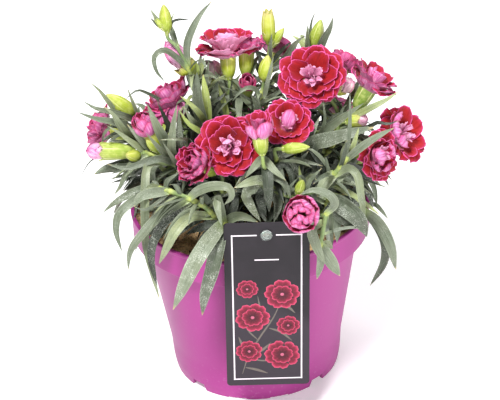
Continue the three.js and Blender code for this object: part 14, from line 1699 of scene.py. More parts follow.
def leaf(skin, width, kind, wet, rows, rng, fold=None, twist=None, mat=0, tone=None, fine=2.6):
    """A narrow keeled leaf: channelled above, with a keel below, thin edges and a sharp tip."""
    rows = np.asarray(rows, float)
    pts, nrm = rows[:, :3], rows[:, 3:]
    length = np.linalg.norm(np.diff(pts, axis=0), axis=1).sum()
    count = int(np.clip(length / fine, 10, 26))
    c, par, length = even(pts, count)
    s = np.linspace(0, 1, count)
    n = np.stack([np.interp(par, np.arange(len(pts)), nrm[:, k]) for k in range(3)], 1)
    t = unit(np.gradient(c, axis=0))
    n = unit(n - t * (n * t).sum(1)[:, None])
    tw = math.radians(rng.normal(0, 13) if twist is None else twist) * s**1.3
    tw += math.radians(3) * wobble(rng, 3, s)
    side = np.cross(t, n)
    n, side = n * np.cos(tw)[:, None] + side * np.sin(tw)[:, None], side * np.cos(tw)[:, None] - n * np.sin(tw)[:, None]
    w = np.where(s < 0.35, 0.62 + 0.38 * np.sin(np.clip(s / 0.35, 0, 1) * math.pi / 2),
                 np.clip(1 - np.clip((s - 0.35) / 0.65, 0, 1) ** 2.2, 0, 1) ** 0.93)
    half = np.maximum(0.5 * width * w * (1 + 0.03 * wobble(rng, 4, s)), 0.05)
    fold = rng.uniform(0.26, 0.68) if fold is None else fold
    flat = 1 - 0.35 * s
    keel = np.minimum(0.30 + 0.10 * width, 0.75) * (1 - 0.55 * s)
    verts = np.zeros((count, 8, 3))
    for k in range(8):
        x, under = ACROSS[k], UNDER[k]
        lift = fold * flat * half * (abs(x) ** 1.5 - 0.5)
        thick = keel * (1.0 if x == 0 else 0.62) if under else 0.0
        wave = 0.05 * half * abs(x) * wobble(rng, 5, s)
        verts[:, k] = c + side * (half * x)[:, None] + n * (lift - np.minimum(thick, half * 1.2 + 0.05) + wave)[:, None]
    pa = np.zeros((count, 8, 3))
    pa[..., 0] = s[:, None]
    pa[..., 1] = ACROSS
    pa[..., 2] = rng.random()
    pb = np.zeros((count, 8, 3))
    pb[..., 0] = UNDER
    pb[..., 1] = wet
    pb[..., 2] = (TONES[kind] if tone is None else tone) + rng.normal(0, 0.11)
    faces = [f[::-1] for f in ring_faces(count, 8)]
    skin.add(verts.reshape(-1, 3), faces, mat, pa.reshape(-1, 3), pb.reshape(-1, 3))


def stem(skin, r0, r1, pts, joints, rng, mat=1):
    """A round jointed stem, swollen where its leaves sit."""
    pts = np.asarray(pts, float)
    length = np.linalg.norm(np.diff(pts, axis=0), axis=1).sum()
    count = max(6, int(length / 1.7))
    c, _, length = even(pts, count)
    s = np.linspace(0, 1, count)
    _, side, up = frames(c)
    node = np.zeros(count)
    for j in joints:
        d = np.linalg.norm(c - j, axis=1)
        k = int(d.argmin())
        if d[k] < 2.5 and 2 < k:
            node = np.maximum(node, np.exp(-(((s - s[k]) * length) / 1.7) ** 2))
    r = (r0 + (r1 - r0) * s) * 0.88 * (1 + 0.30 * node)
    sides = 10
    a = np.arange(sides) * 2 * math.pi / sides
    verts = c[:, None] + (side[:, None] * np.cos(a)[None, :, None] + up[:, None] * np.sin(a)[None, :, None]) * r[:, None, None]
    pa = np.zeros((count, sides, 3))
    pa[..., 0] = s[:, None]
    pa[..., 1] = node[:, None]
    pa[..., 2] = rng.random()
    pb = np.zeros((count, sides, 3))
    pb[..., 0] = length * s[:, None]
    pb[..., 1] = 0.3
    pb[..., 2] = 0.5
    skin.add(verts.reshape(-1, 3), [f[::-1] for f in ring_faces(count, sides)], mat, pa.reshape(-1, 3), pb.reshape(-1, 3))


def turned(skin, a, b, profile, sides, mat, rng, ribs=0, rib=0.0, teeth=None, kind=0.0):
    """A round form along a-b. profile is (share of the length, radius); ribs lift its sides; teeth is (count, length) at the end."""
    a, b = np.asarray(a, float), np.asarray(b, float)
    t = unit(b - a)
    length = np.linalg.norm(b - a)
    side = np.cross(t, [0.3, 0.2, 1.0])
    if np.linalg.norm(side) < 0.2:
        side = np.cross(t, [1.0, 0.2, 0.0])
    side = unit(side)
    up = np.cross(t, side)
    ph = rng.uniform(0, 6.28)
    ang = np.arange(sides) * 2 * math.pi / sides + ph
    verts, pa, pb = [], [], []
    rnd = rng.random()
    last = len(profile) - 1
    for k, (f, r) in enumerate(profile):
        rr = r * (1 + rib * np.cos(ribs * (ang - ph)) * (0.3 + 0.7 * min(f, 1.0))) if ribs else np.full(sides, float(r))
        h = np.full(sides, f * length)
        if teeth and f >= 0.999:
            saw = np.abs(((ang - ph) * teeth[0] / (2 * math.pi)) % 1 - 0.5) * 2
            h = h + teeth[1] * saw
            rr = rr * (1 + 0.05 * saw)
        verts.append(a + t * h[:, None] + side * (rr * np.cos(ang))[:, None] + up * (rr * np.sin(ang))[:, None])
        pa.append(np.stack([np.full(sides, min(f, 1.0)), (ang - ph) / (2 * math.pi), np.full(sides, rnd)], 1))
        pb.append(np.tile([kind, length, r], (sides, 1)))
    skin.add(np.concatenate(verts), [f[::-1] for f in ring_faces(last + 1, sides)], mat, np.concatenate(pa), np.concatenate(pb))
    return t, side, up


def scales(skin, base, t, side, up, r, length, rng, mat=4):
    """Two pairs of broad pointed scales that clasp the foot of a calyx."""
    for k in range(4):
        a = k * math.pi / 2 + rng.uniform(-0.12, 0.12)
        o = side * math.cos(a) + up * math.sin(a)
        top = length * (1.0 if k % 2 else 0.84)
        swell = 0.25 + 0.18 * (k % 2)
        rows, wide = [], []
        steps, cols = 9, 9
        for i in range(steps):
            f = i / (steps - 1)
            half = (0.95 * math.sin(math.pi * min(0.5, 0.16 + 0.62 * f)) if f < 0.5 else 0.95 * (1 - ((f - 0.5) / 0.5) ** 1.7) ** 0.9) * min(r * 0.92, 3.6)
            rr = (1.25 + (r * 0.86 - 1.25) * min(1.0, (f * top) / (2.0 * r)) ** 0.8) + swell + 0.22 * f
            wide.append((top * f - 0.4, max(half, 0.05), rr))
        vf, vb, pa = [], [], []
        rnd = rng.random()
        for f, (h, half, rr) in zip(np.linspace(0, 1, steps), wide):
            for x in np.linspace(-1, 1, cols):
                da = half * x / rr
                d = o * math.cos(da) + np.cross(t, o) * math.sin(da)
                p0 = base + t * h + d * rr
                vf.append(p0 + d * 0.13)
                vb.append(p0 - d * 0.13)
                pa.append((f, x, rnd))
        n = steps * cols
        idx = np.arange(n).reshape(steps, cols)
        q = np.stack([idx[:-1, :-1], idx[:-1, 1:], idx[1:, 1:], idx[1:, :-1]], -1).reshape(-1, 4)
        loop = list(idx[0, :]) + list(idx[1:, -1]) + list(idx[-1, -2::-1]) + list(idx[-2:0:-1, 0])
        rim = [(loop[(j + 1) % len(loop)], loop[j], loop[j] + n, loop[(j + 1) % len(loop)] + n) for j in range(len(loop))]
        skin.add(np.array(vf + vb), [tuple(c) for c in q] + [tuple(c) for c in (q[:, ::-1] + n)] + rim, mat, np.array(pa + pa), (0, 0, 0.5))


def calyx(skin, r, base, mouth, rng, splay=0.0, deep=0.0):
    """The green goblet that holds a flower, with five teeth and its scales."""
    base, mouth = np.asarray(base, float), np.asarray(mouth, float)
    r = r * 1.02
    prof = [(0, 1.25), (0.03, r * 0.38), (0.10, r * 0.58), (0.2, r * 0.73), (0.35, r * 0.87), (0.55, r * 0.96), (0.75, r * 1.0),
            (0.88, r * 1.01), (1.0, r * (1.03 + splay)), (1.0, r * (0.96 + splay)), (0.9, r * 0.92), (0.8, r * 0.86)]
    # deep darkens the calyx, passed on as a negative kind: painted shade
    t, side, up = turned(skin, base, mouth, prof, 30, 2, rng, ribs=15, rib=0.018, teeth=(5, 2.4), kind=-deep)
    scales(skin, base, t, side, up, r, np.linalg.norm(mouth - base) * 0.42, rng)


def green_bud(skin, r, base, tip, kind, rng):
    base, tip = np.asarray(base, float), np.asarray(tip, float)
    if kind == "open":
        prof = [(0, 1.2), (0.04, r * 0.5), (0.12, r * 0.78), (0.25, r * 0.94), (0.45, r), (0.65, r * 0.99), (0.80, r * 0.93),
                (0.91, r * 0.82), (1.0, r * 0.66), (1.0, r * 0.56), (0.92, r * 0.50), (0.84, r * 0.20)]
        e = base + (tip - base) * 0.93
        t, side, up = turned(skin, base, e, prof, 30, 2, rng, ribs=5, rib=0.03, teeth=(5, 1.9), kind=0.4)
        turned(skin, base + (tip - base) * 0.72, base + (tip - base) * 0.97, [(0, r * 0.5), (0.5, r * 0.52), (0.8, r * 0.40), (1, r * 0.08)], 16, 4, rng, ribs=5, rib=0.12)
    else:
        prof = [(0, 1.15), (0.03, r * 0.5), (0.08, r * 0.72), (0.18, r * 0.91), (0.32, r), (0.48, r * 0.98), (0.62, r * 0.89),
                (0.74, r * 0.73), (0.84, r * 0.53), (0.92, r * 0.33), (0.975, r * 0.16), (1.0, 0.12)]
        t, side, up = turned(skin, base, tip, prof, 30, 2, rng, ribs=5, rib=0.03, kind=1.0)
    scales(skin, base, t, side, up, r, np.linalg.norm(tip - base) * 0.42, rng)


# ------------------------------------------------------------------ petals and flower heads
def axes_of(axis):
    """A head's axis, the sideways direction nearest +X, and the third direction."""
    t = unit(np.asarray(axis, float))
    side = np.array([1.0, 0.0, 0.0]) - t * t[0]
    if np.linalg.norm(side) < 0.2:
        side = np.array([0.0, 1.0, 0.0]) - t * t[1]
    side = unit(side)
    return t, side, np.cross(t, side)


def petal(skin, centre, fr, mid, half, az, rng, size, cols=21, rows=11, ruffle=0.05, wrap=0.4, cup=0.1, teeth=0.022, tone=0.0,
          tip=0.42, skew=0.0, roll=0.0, pleat=1.0, mat=0, pale=0.0):
    """One thin petal with a narrow foot and a broad round blade. mid is three (distance from the axis, height) points."""
    axis, s1, s2 = fr
    v = 1 - (1 - np.linspace(0, 1, rows)) ** 1.35
    u = np.sin(np.linspace(-1, 1, cols) * 1.1) / math.sin(1.1)
    U, V = np.meshgrid(u, v)
    m0, m1, m2 = (np.array(x, float) for x in mid)
    span = 0.5 * (np.linalg.norm(m1 - m0) + np.linalg.norm(m2 - m1) + np.linalg.norm(m2 - m0))
    g = np.clip((V - 0.08) / 0.58, 0, 1)
    g = g * g * (3 - 2 * g)
    width = half * (0.12 + 0.88 * g)
    saw = np.zeros(cols)
    saw[1::2] = 1.0
    saw = saw * rng.uniform(0.3, 1.3, cols) + 1.5 * wobble(rng, 6, (u + 1) / 2, 0.6)
    edge = np.where(V > 0.999, 1.0, 0.0) + 0.3 * np.where((V > 0.93) & (V < 0.999), 1.0, 0.0)
    notch = teeth * saw[None, :] * edge
    round_ = tip * (0.45 * U**2 + 0.55 * np.abs(U) ** 5) * (1 + 0.25 * rng.uniform(-1, 1) * U)
    ve = V * (1 - round_ * V) + notch * (1 - np.abs(U) ** 4)
    x = width * U * (1 + notch * U**2)
    flat_y = ve * span
    B0, B1, B2 = (1 - ve) ** 2, 2 * ve * (1 - ve), ve**2
    rho = B0 * m0[0] + B1 * m1[0] + B2 * m2[0]
    h = B0 * m0[1] + B1 * m1[1] + B2 * m2[1]
    d_rho = 2 * (1 - ve) * (m1[0] - m0[0]) + 2 * ve * (m2[0] - m1[0])
    d_h = 2 * (1 - ve) * (m1[1] - m0[1]) + 2 * ve * (m2[1] - m1[1])
    dl = np.sqrt(d_rho**2 + d_h**2) + 1e-6
    nr, nh = -d_h / dl, d_rho / dl
    k = rng.uniform(0.8, 1.5)
    wav = np.sin(math.pi * k * U + rng.uniform(0, 6.28)) * (0.4 + 0.6 * np.abs(U)) * V**2
    wav = wav + 0.55 * np.sin(math.pi * k * 2.6 * U + rng.uniform(0, 6.28)) * V**3 + 0.30 * np.sin(math.pi * k * 5.3 * U + rng.uniform(0, 6.28)) * V**6
    off = ruffle * size * wav * pleat + cup * width * U**2 * g - roll * size * np.clip((V - 0.6) / 0.4, 0, 1) ** 2
    xs = x + skew * span * V**2
    delta = np.clip(wrap * xs / np.maximum(np.abs(rho), 2.5), -2.2, 2.2)
    xr = xs * (1 - wrap * 0.9)
    a = az + delta
    er = s1 * np.cos(a)[..., None] + s2 * np.sin(a)[..., None]
    et = -s1 * np.sin(a)[..., None] + s2 * np.cos(a)[..., None]
    pos = centre + axis * (h + off * nh)[..., None] + er * (rho + off * nr)[..., None] + et * xr[..., None]
    dv, du = np.gradient(pos, axis=0), np.gradient(pos, axis=1)
    nn = unit(np.cross(du, dv))
    flip = np.sign((nn * (axis * nh[..., None] + er * nr[..., None])).sum(-1).mean()) or 1.0
    nn = nn * flip
    th = 0.12 * (1 - 0.45 * V)[..., None]
    front, back = pos + nn * th, pos - nn * th
    # distance from the blade's margin, in the flat petal
    line = np.concatenate([np.stack([x[-1], flat_y[-1]], 1), np.stack([x[:, 0], flat_y[:, 0]], 1)[V[:, 0] > 0.4], np.stack([x[:, -1], flat_y[:, -1]], 1)[V[:, 0] > 0.4]])
    rim = np.sqrt(((np.stack([x, flat_y], -1)[:, :, None, :] - line[None, None]) ** 2).sum(-1)).min(-1)
    rnd = rng.random()
    pa = np.stack([rim, U * (0.35 + 0.65 * g), np.full_like(U, rnd)], -1).reshape(-1, 3)
    base_b = np.stack([np.full_like(U, pale), V, np.full_like(U, tone)], -1).reshape(-1, 3)
    back_b = base_b.copy()
    back_b[:, 0] = 1
    n = rows * cols
    idx = np.arange(n).reshape(rows, cols)
    q = np.stack([idx[:-1, :-1], idx[:-1, 1:], idx[1:, 1:], idx[1:, :-1]], -1).reshape(-1, 4)
    fr_q = q if flip > 0 else q[:, ::-1]
    bk_q = (q[:, ::-1] if flip > 0 else q) + n
    loop = list(idx[0, :]) + list(idx[1:, -1]) + list(idx[-1, -2::-1]) + list(idx[-2:0:-1, 0])
    rims = []
    for i in range(len(loop)):
        p, r = loop[i], loop[(i + 1) % len(loop)]
        rims.append((r, p, p + n, r + n) if flip > 0 else (p, r, r + n, p + n))
    skin.add(np.concatenate([front.reshape(-1, 3), back.reshape(-1, 3)]), [tuple(f) for f in fr_q] + [tuple(f) for f in bk_q] + rims, mat,
             np.concatenate([pa, pa]), np.concatenate([base_b, back_b]))


# rings of petals from the outside in, in shares of the head's radius:
# (how many, reach, tip height, bend distance, bend height, half width, cup, wrap, ruffle, roll, tone);
# a tone over 1 makes both faces as pale as the backs, lightened further as painted light against the shade deep in the
# head; these centre petals are also pale in their own colour
RINGS = {
    "open": [(9, 1.01, 0.02, 0.50, 0.10, 0.42, 0.00, 0.15, 0.085, 0.05, 0.00),
             (7, 0.86, 0.14, 0.46, 0.00, 0.40, 0.08, 0.20, 0.080, 0.03, 0.00),
             (5, 0.58, 0.28, 0.42, -0.08, 0.34, 0.18, 0.35, 0.080, 0.00, 0.05),
             (6, 0.33, 0.25, 0.17, 0.04, 0.085, 0.15, 0.06, 0.040, 0.02, 1.20),
             (3, 0.09, 0.34, 0.06, 0.10, 0.085, 0.15, 0.20, 0.030, 0.00, 1.20)],
    "side": [(7, 1.00, 0.02, 0.74, -0.26, 0.46, 0.04, 0.35, 0.070, 0.06, 0.05),
             (6, 0.84, 0.30, 0.82, -0.18, 0.46, 0.14, 0.45, 0.060, 0.02, 0.05),
             (5, 0.56, 0.42, 0.70, -0.08, 0.40, 0.18, 0.60, 0.060, 0.00, 0.05),
             (5, 0.24, 0.44, 0.46, 0.00, 0.28, 0.25, 0.70, 0.060, 0.00, 0.30)],
    "cup": [(6, 1.00, 0.18, 0.86, -0.26, 0.50, 0.10, 0.45, 0.080, 0.03, 0.00),
            (6, 0.76, 0.42, 0.82, -0.10, 0.46, 0.15, 0.55, 0.080, 0.00, 0.00),
            (5, 0.46, 0.52, 0.60, 0.00, 0.38, 0.20, 0.65, 0.070, 0.00, 0.10),
            (5, 0.18, 0.50, 0.36, 0.10, 0.24, 0.25, 0.70, 0.060, 0.00, 0.50)],
    "frilled": [(8, 1.00, 0.16, 0.62, -0.12, 0.40, 0.05, 0.25, 0.090, 0.03, 0.00),
                (8, 0.80, 0.30, 0.56, -0.08, 0.36, 0.10, 0.30, 0.090, 0.00, 0.00),
                (7, 0.58, 0.38, 0.48, -0.06, 0.30, 0.16, 0.35, 0.090, 0.00, 0.05),
                (7, 0.36, 0.42, 0.34, 0.00, 0.24, 0.20, 0.45, 0.090, 0.00, 0.15),
                (5, 0.14, 0.42, 0.20, 0.10, 0.18, 0.25, 0.55, 0.080, 0.00, 0.25)],
    "lobed": [(6, 1.00, 0.06, 0.78, -0.24, 0.56, 0.06, 0.45, 0.070, 0.05, 0.00),
              (5, 0.84, 0.34, 0.88, -0.12, 0.56, 0.12, 0.55, 0.060, 0.02, 0.00),
              (4, 0.52, 0.48, 0.78, 0.00, 0.50, 0.14, 0.65, 0.060, 0.00, 0.10),
              (3, 0.20, 0.50, 0.48, 0.15, 0.40, 0.18, 0.70, 0.050, 0.00, 0.20)],
    "ball": [(6, 0.86, 0.30, 1.22, -0.18, 0.56, 0.10, 0.60, 0.050, 0.00, 0.10),
             (6, 0.58, 0.52, 1.10, 0.10, 0.52, 0.12, 0.70, 0.055, 0.00, 0.10),
             (6, 0.30, 0.62, 0.86, 0.30, 0.42, 0.12, 0.75, 0.060, 0.00, 0.15),
             (5, 0.08, 0.60, 0.56, 0.42, 0.32, 0.15, 0.75, 0.050, 0.00, 0.20)],
    "pop": [(5, 0.82, 0.40, 1.16, -0.10, 0.60, 0.08, 0.75, 0.050, 0.00, 0.10),
            (5, 0.55, 0.62, 0.95, 0.15, 0.52, 0.08, 0.80, 0.055, 0.00, 0.10),
            (5, 0.28, 0.66, 0.65, 0.30, 0.40, 0.10, 0.80, 0.055, 0.00, 0.20)],
}
# heads whose upper petals are laid out one by one: (turn in degrees, reach, tip height, half width, optional tone);
# bloom_06's tone 1.3 lightens its near petals as painted light against the shade they sit in
UPPER = {
    "bloom_01": [(62, 0.72, 0.34, 0.37), (150, 0.74, 0.30, 0.33), (198, 0.72, 0.16, 0.33), (243, 0.64, 0.18, 0.33), (286, 0.60, 0.22, 0.33),
                 (326, 0.70, 0.18, 0.33), (6, 0.74, 0.20, 0.32), (32, 0.89, 0.15, 0.36), (78, 0.90, 0.18, 0.37), (120, 0.90, 0.18, 0.36),
                 (170, 0.90, 0.12, 0.36), (222, 0.86, 0.07, 0.36), (264, 0.83, 0.08, 0.36), (307, 0.86, 0.08, 0.36), (346, 0.90, 0.10, 0.36)],
    "bloom_02": [(108, 0.62, 0.32, 0.37), (163, 0.60, 0.28, 0.34), (232, 0.58, 0.22, 0.34), (288, 0.62, 0.18, 0.34), (347, 0.74, 0.16, 0.38),
                 (42, 0.68, 0.26, 0.35), (84, 0.88, 0.18, 0.38), (130, 0.90, 0.20, 0.38), (178, 0.88, 0.12, 0.37), (216, 0.86, 0.09, 0.36),
                 (262, 0.85, 0.06, 0.38), (312, 0.88, 0.08, 0.38), (14, 0.92, 0.10, 0.38), (52, 0.90, 0.13, 0.36)],
    "bloom_04": [(100, 0.68, 0.36, 0.42), (48, 0.74, 0.28, 0.36), (4, 0.80, 0.18, 0.38), (286, 0.70, 0.18, 0.42), (235, 0.70, 0.20, 0.36),
                 (172, 0.70, 0.24, 0.40), (76, 0.92, 0.17, 0.38), (26, 0.94, 0.12, 0.37), (326, 0.92, 0.08, 0.38), (270, 0.90, 0.06, 0.38),
                 (205, 0.90, 0.10, 0.38), (140, 0.92, 0.15, 0.38)],
    "bloom_06": [(98, 0.78, 0.46, 0.44), (142, 0.84, 0.44, 0.44), (54, 0.82, 0.42, 0.42), (184, 0.90, 0.36, 0.42), (8, 0.88, 0.36, 0.44),
                 (120, 0.50, 0.50, 0.38), (222, 0.80, 0.34, 0.44, 1.3), (262, 0.70, 0.36, 0.46, 1.3), (308, 0.76, 0.38, 0.46, 1.3), (340, 0.82, 0.36, 0.42, 1.3)],
    "bloom_10": [(100, 0.80, 0.62, 0.44), (45, 0.88, 0.50, 0.42), (150, 0.92, 0.50, 0.42), (0, 0.92, 0.32, 0.44), (195, 0.95, 0.30, 0.44), (235, 0.92, 0.22, 0.44), (310, 0.92, 0.20, 0.44)],
    "bloom_05": [(84, 0.92, 0.66, 0.46), (132, 1.00, 0.56, 0.46), (182, 1.04, 0.38, 0.44), (34, 0.86, 0.62, 0.42), (110, 0.55, 0.66, 0.40), (60, 0.60, 0.66, 0.38)],
    "bloom_13": [(150, 0.90, 0.36, 0.42), (95, 0.92, 0.30, 0.40), (40, 0.88, 0.24, 0.40), (345, 0.86, 0.18, 0.40), (290, 0.84, 0.16, 0.40), (220, 0.86, 0.20, 0.42)],
}
# petals that arch in over the middle and show their pale backs: (turn, tip distance, bend height, half width)
DROOPING = {
    "bloom_16": [(246, 0.62, -0.92, 0.56), (205, 1.12, -0.52, 0.56), (292, 0.60, -0.84, 0.50), (172, 1.16, -0.10, 0.48), (228, 1.0, -0.75, 0.50), (30, 1.02, 0.36, 0.44)],
    "bloom_06": [(352, 0.98, -0.22, 0.50), (178, 1.06, -0.06, 0.34), (205, 1.0, -0.16, 0.32)],
    "bloom_18": [(200, 0.8, -0.5, 0.5), (270, 0.7, -0.55, 0.46)],
    "bloom_10": [(300, 0.9, -0.25, 0.48)],
    "bloom_07": [(260, 0.85, -0.25, 0.5), (320, 0.9, -0.2, 0.46)],
}
ARCHED = {
    "bloom_01": [(22, 0.32, 0.34, 0.10), (158, 0.36, 0.34, 0.11), (72, 0.22, 0.36, 0.09), (112, 0.26, 0.35, 0.10), (268, 0.12, 0.34, 0.10)],
    "bloom_02": [(100, 0.06, 0.48, 0.16), (205, 0.20, 0.38, 0.13), (328, 0.40, 0.26, 0.14), (12, 0.40, 0.28, 0.10), (60, 0.26, 0.34, 0.10)],
    "bloom_04": [(250, -0.32, 0.64, 0.275), (192, 0.22, 0.40, 0.12), (214, 0.10, 0.44, 0.11)],
    "bloom_13": [(186, 0.46, 0.52, 0.36, 1.10), (232, 0.42, 0.50, 0.34, 1.10), (142, 0.50, 0.50, 0.32, 1.05), (60, 0.20, 0.44, 0.10), (262, 0.12, 0.44, 0.10), (330, 0.28, 0.40, 0.10)],
    "bloom_14": [(186, 0.14, 0.56, 0.34, 0.90), (268, 0.34, 0.50, 0.28, 1.00), (18, 0.18, 0.50, 0.34, 0.85), (222, 0.60, 0.42, 0.28, 1.05)],
    "bloom_10": [(252, 0.30, 0.56, 0.42), (200, 0.34, 0.54, 0.40), (305, 0.36, 0.52, 0.40), (160, 0.30, 0.50, 0.30)],
    "bloom_15": [(248, 0.22, 0.62, 0.34, 1.15), (318, 0.28, 0.56, 0.30, 1.10), (22, 0.26, 0.54, 0.34, 1.10), (98, 0.20, 0.50, 0.36, 1.15),
                 (176, 0.24, 0.58, 0.34, 1.15), (288, 0.02, 0.76, 0.27, 0.75), (58, 0.10, 0.68, 0.27, 0.70), (140, 0.06, 0.72, 0.27, 0.70)],
    "bloom_06": [(275, 0.20, 0.56, 0.46), (310, 0.25, 0.50, 0.42), (235, 0.30, 0.46, 0.36)],
    "bloom_03": [(226, 0.70, 0.34, 0.36, 1.15), (262, 0.68, 0.30, 0.34, 1.15), (300, 0.72, 0.28, 0.32, 1.10)],
    "bloom_05": [(258, 0.28, 0.64, 0.46), (318, 0.36, 0.60, 0.46), (205, 0.44, 0.60, 0.44)],
    "bloom_16": [(250, 0.10, 0.60, 0.46), (320, 0.15, 0.52, 0.40), (190, 0.15, 0.56, 0.40)],
    "bloom_11": [(260, 0.10, 0.56, 0.40), (310, 0.15, 0.52, 0.36)],
    "bloom_19": [(200, 0.10, 0.46, 0.24), (320, 0.15, 0.42, 0.20)],
    "bloom_20": [(70, 0.10, 0.46, 0.22), (250, 0.15, 0.42, 0.20)],
    "bloom_12": [(90, 0.15, 0.50, 0.34), (30, 0.20, 0.46, 0.30)],
}


def bloom(skin, name, kind, R, dep, seed, centre, axis, tone):
    """A whole head: rings of petals, then the ones laid out singly."""
    rng = np.random.default_rng(seed * 7 + 3)
    fr = axes_of(axis)
    centre = np.asarray(centre, float)
    mouth = -0.55 * dep
    low = -0.34 * R  # where the tables put the calyx's mouth
    kind = "pop" if name == "bloom_05" else kind
    scale = dep / (R * {"open": 0.62, "side": 0.80, "cup": 0.62, "ball": 0.776, "pop": 0.9}[kind])
    kind = {"bloom_03": "cup", "bloom_10": "lobed", "bloom_06": "lobed", "bloom_07": "lobed"}.get(name, kind)

    def foot():
        return (0.7 + 0.9 * rng.random(), mouth - 2.5)

    def at(h):
        return mouth + (h * R - low) * scale

    start = rng.uniform(0, 6.28)
    for ring, (count, reach, tip_h, bend, bend_h, half, cup, wrap, ruffle, roll, more) in enumerate(RINGS[kind]):
        if (name in UPPER and ring in (1, 2)) or (name == "bloom_15" and ring > 1):
            continue
        for i in range(count):
            az = start + (i + rng.uniform(-0.2, 0.2)) * 2 * math.pi / count
            k = rng.uniform(0.90, 1.06)
            small = half * R < 5.5
            turned_by = (math.degrees(az) - 190) % 360
            drop = 0.0
            if name == "bloom_06" and (turned_by < 45 or turned_by > 315):
                drop = 0.30 * min(1.0, tip_h + 0.1) + 0.06
            # bloom_06's outer ring and the centre petals get tone 1.3, which lightens their backs as painted light
            # against the shade they sit in
            petal(skin, centre, fr, (foot(), (bend * R * rng.uniform(0.9, 1.1), at(bend_h + rng.normal(0, 0.03))),
                                     (reach * R * k, at(tip_h - drop + rng.normal(0, 0.05)))), half * R * rng.uniform(0.88, 1.14), az, rng, R,
                  cols=15 if small else 21, rows=9 if small else 11, ruffle=ruffle * rng.uniform(0.7, 1.3), wrap=wrap,
                  cup=cup + rng.uniform(-0.05, 0.08), roll=roll * rng.uniform(0.3, 1.6), skew=rng.normal(0, 0.05),
                  tip=rng.uniform(0.36, 0.48), tone=(1.3 if more > 1 or (name == "bloom_06" and ring == 0) else tone + more) + rng.normal(0, 0.04), teeth=0.004 if more > 1 else 0.011, pale=1.0 if more > 1 else 0.0)
        start += rng.uniform(0.5, 0.9) * 2 * math.pi / count
    for turn, reach, tip_h, half, *other in UPPER.get(name, ()):
        petal(skin, centre, fr, (foot(), (0.42 * R, at(tip_h - 0.26)), (reach * R, at(tip_h))), half * R, math.radians(turn), rng, R,
              cols=23, rows=12, ruffle=0.05 * rng.uniform(0.7, 1.3), wrap=0.2, cup=0.10 + rng.uniform(-0.05, 0.08), tip=rng.uniform(0.36, 0.48), teeth=0.010,
              tone=(other[0] if other else tone) + rng.normal(0, 0.03), skew=rng.normal(0, 0.02))
    for turn, reach, tip_h, half in DROOPING.get(name, ()):
        petal(skin, centre, fr, (foot(), (0.72 * R, at(0.10)), (reach * R, at(tip_h))), half * R, math.radians(turn), rng, R,
              cols=21, rows=12, ruffle=0.08, wrap=0.35, cup=-0.08, tip=0.42, tone=tone, skew=rng.normal(0, 0.06), teeth=0.01, pale=1.0 if tip_h < -0.3 else 0.0)
    # small arched petals and all of bloom_06's get tone 1.3, lightened as painted light against the shade in the head
    for turn, reach, bend_h, half, *far in ARCHED.get(name, ()):
        bend = far[0] if far else 0.52 if half > 0.2 else 0.34
        petal(skin, centre, fr, (foot(), (bend * R, at(bend_h)), (reach * R, at(bend_h * 0.78))), half * R, math.radians(turn), rng, R,
              cols=17, rows=10, ruffle=0.03 if half < 0.28 else 0.06, wrap=0.0 if reach < -0.1 else 0.35, cup=0.3, tip=0.22 if reach < -0.1 else 0.4, teeth=0.006 if half < 0.28 else 0.014,
              tone=1.3 if half < 0.26 or name == "bloom_06" else tone + (0.7 if name in ("bloom_03", "bloom_05") else 0.3), pale=1.0 if half < 0.26 else 0.0)


def furled(skin, r, base, tip, share, tone, seed):
    """The furled petals of an opening bud: wrapped petals that overlap round a pointed middle."""
    rng = np.random.default_rng(seed)
    base, tip = np.asarray(base, float), np.asarray(tip, float)
    length = np.linalg.norm(tip - base)
    fr = axes_of(tip - base)
    start = base + (tip - base) * (1 - share)
    L = length * share
    for i in range(9):
        s = i / 8
        az = i * 2.39996 + rng.uniform(-0.2, 0.2)
        mid = ((r * 0.6, -2.0), (r * (1.55 - 0.5 * s), L * 0.62), (r * (0.34 - 0.30 * s), L * (0.93 + 0.07 * s)))
        petal(skin, start, fr, mid, r * (1.20 - 0.3 * s), az, rng, r * 1.6, cols=15, rows=11, ruffle=0.025, wrap=0.95, cup=0.0, teeth=0.03,
              tone=tone + rng.normal(0, 0.04), tip=0.3)


# ------------------------------------------------------------------ materials
def srgb(r, g, b):
    def lin(c):
        c = c / 255.0
        return c / 12.92 if c <= 0.04045 else ((c + 0.055) / 1.055) ** 2.4
    return (lin(r), lin(g), lin(b), 1.0)


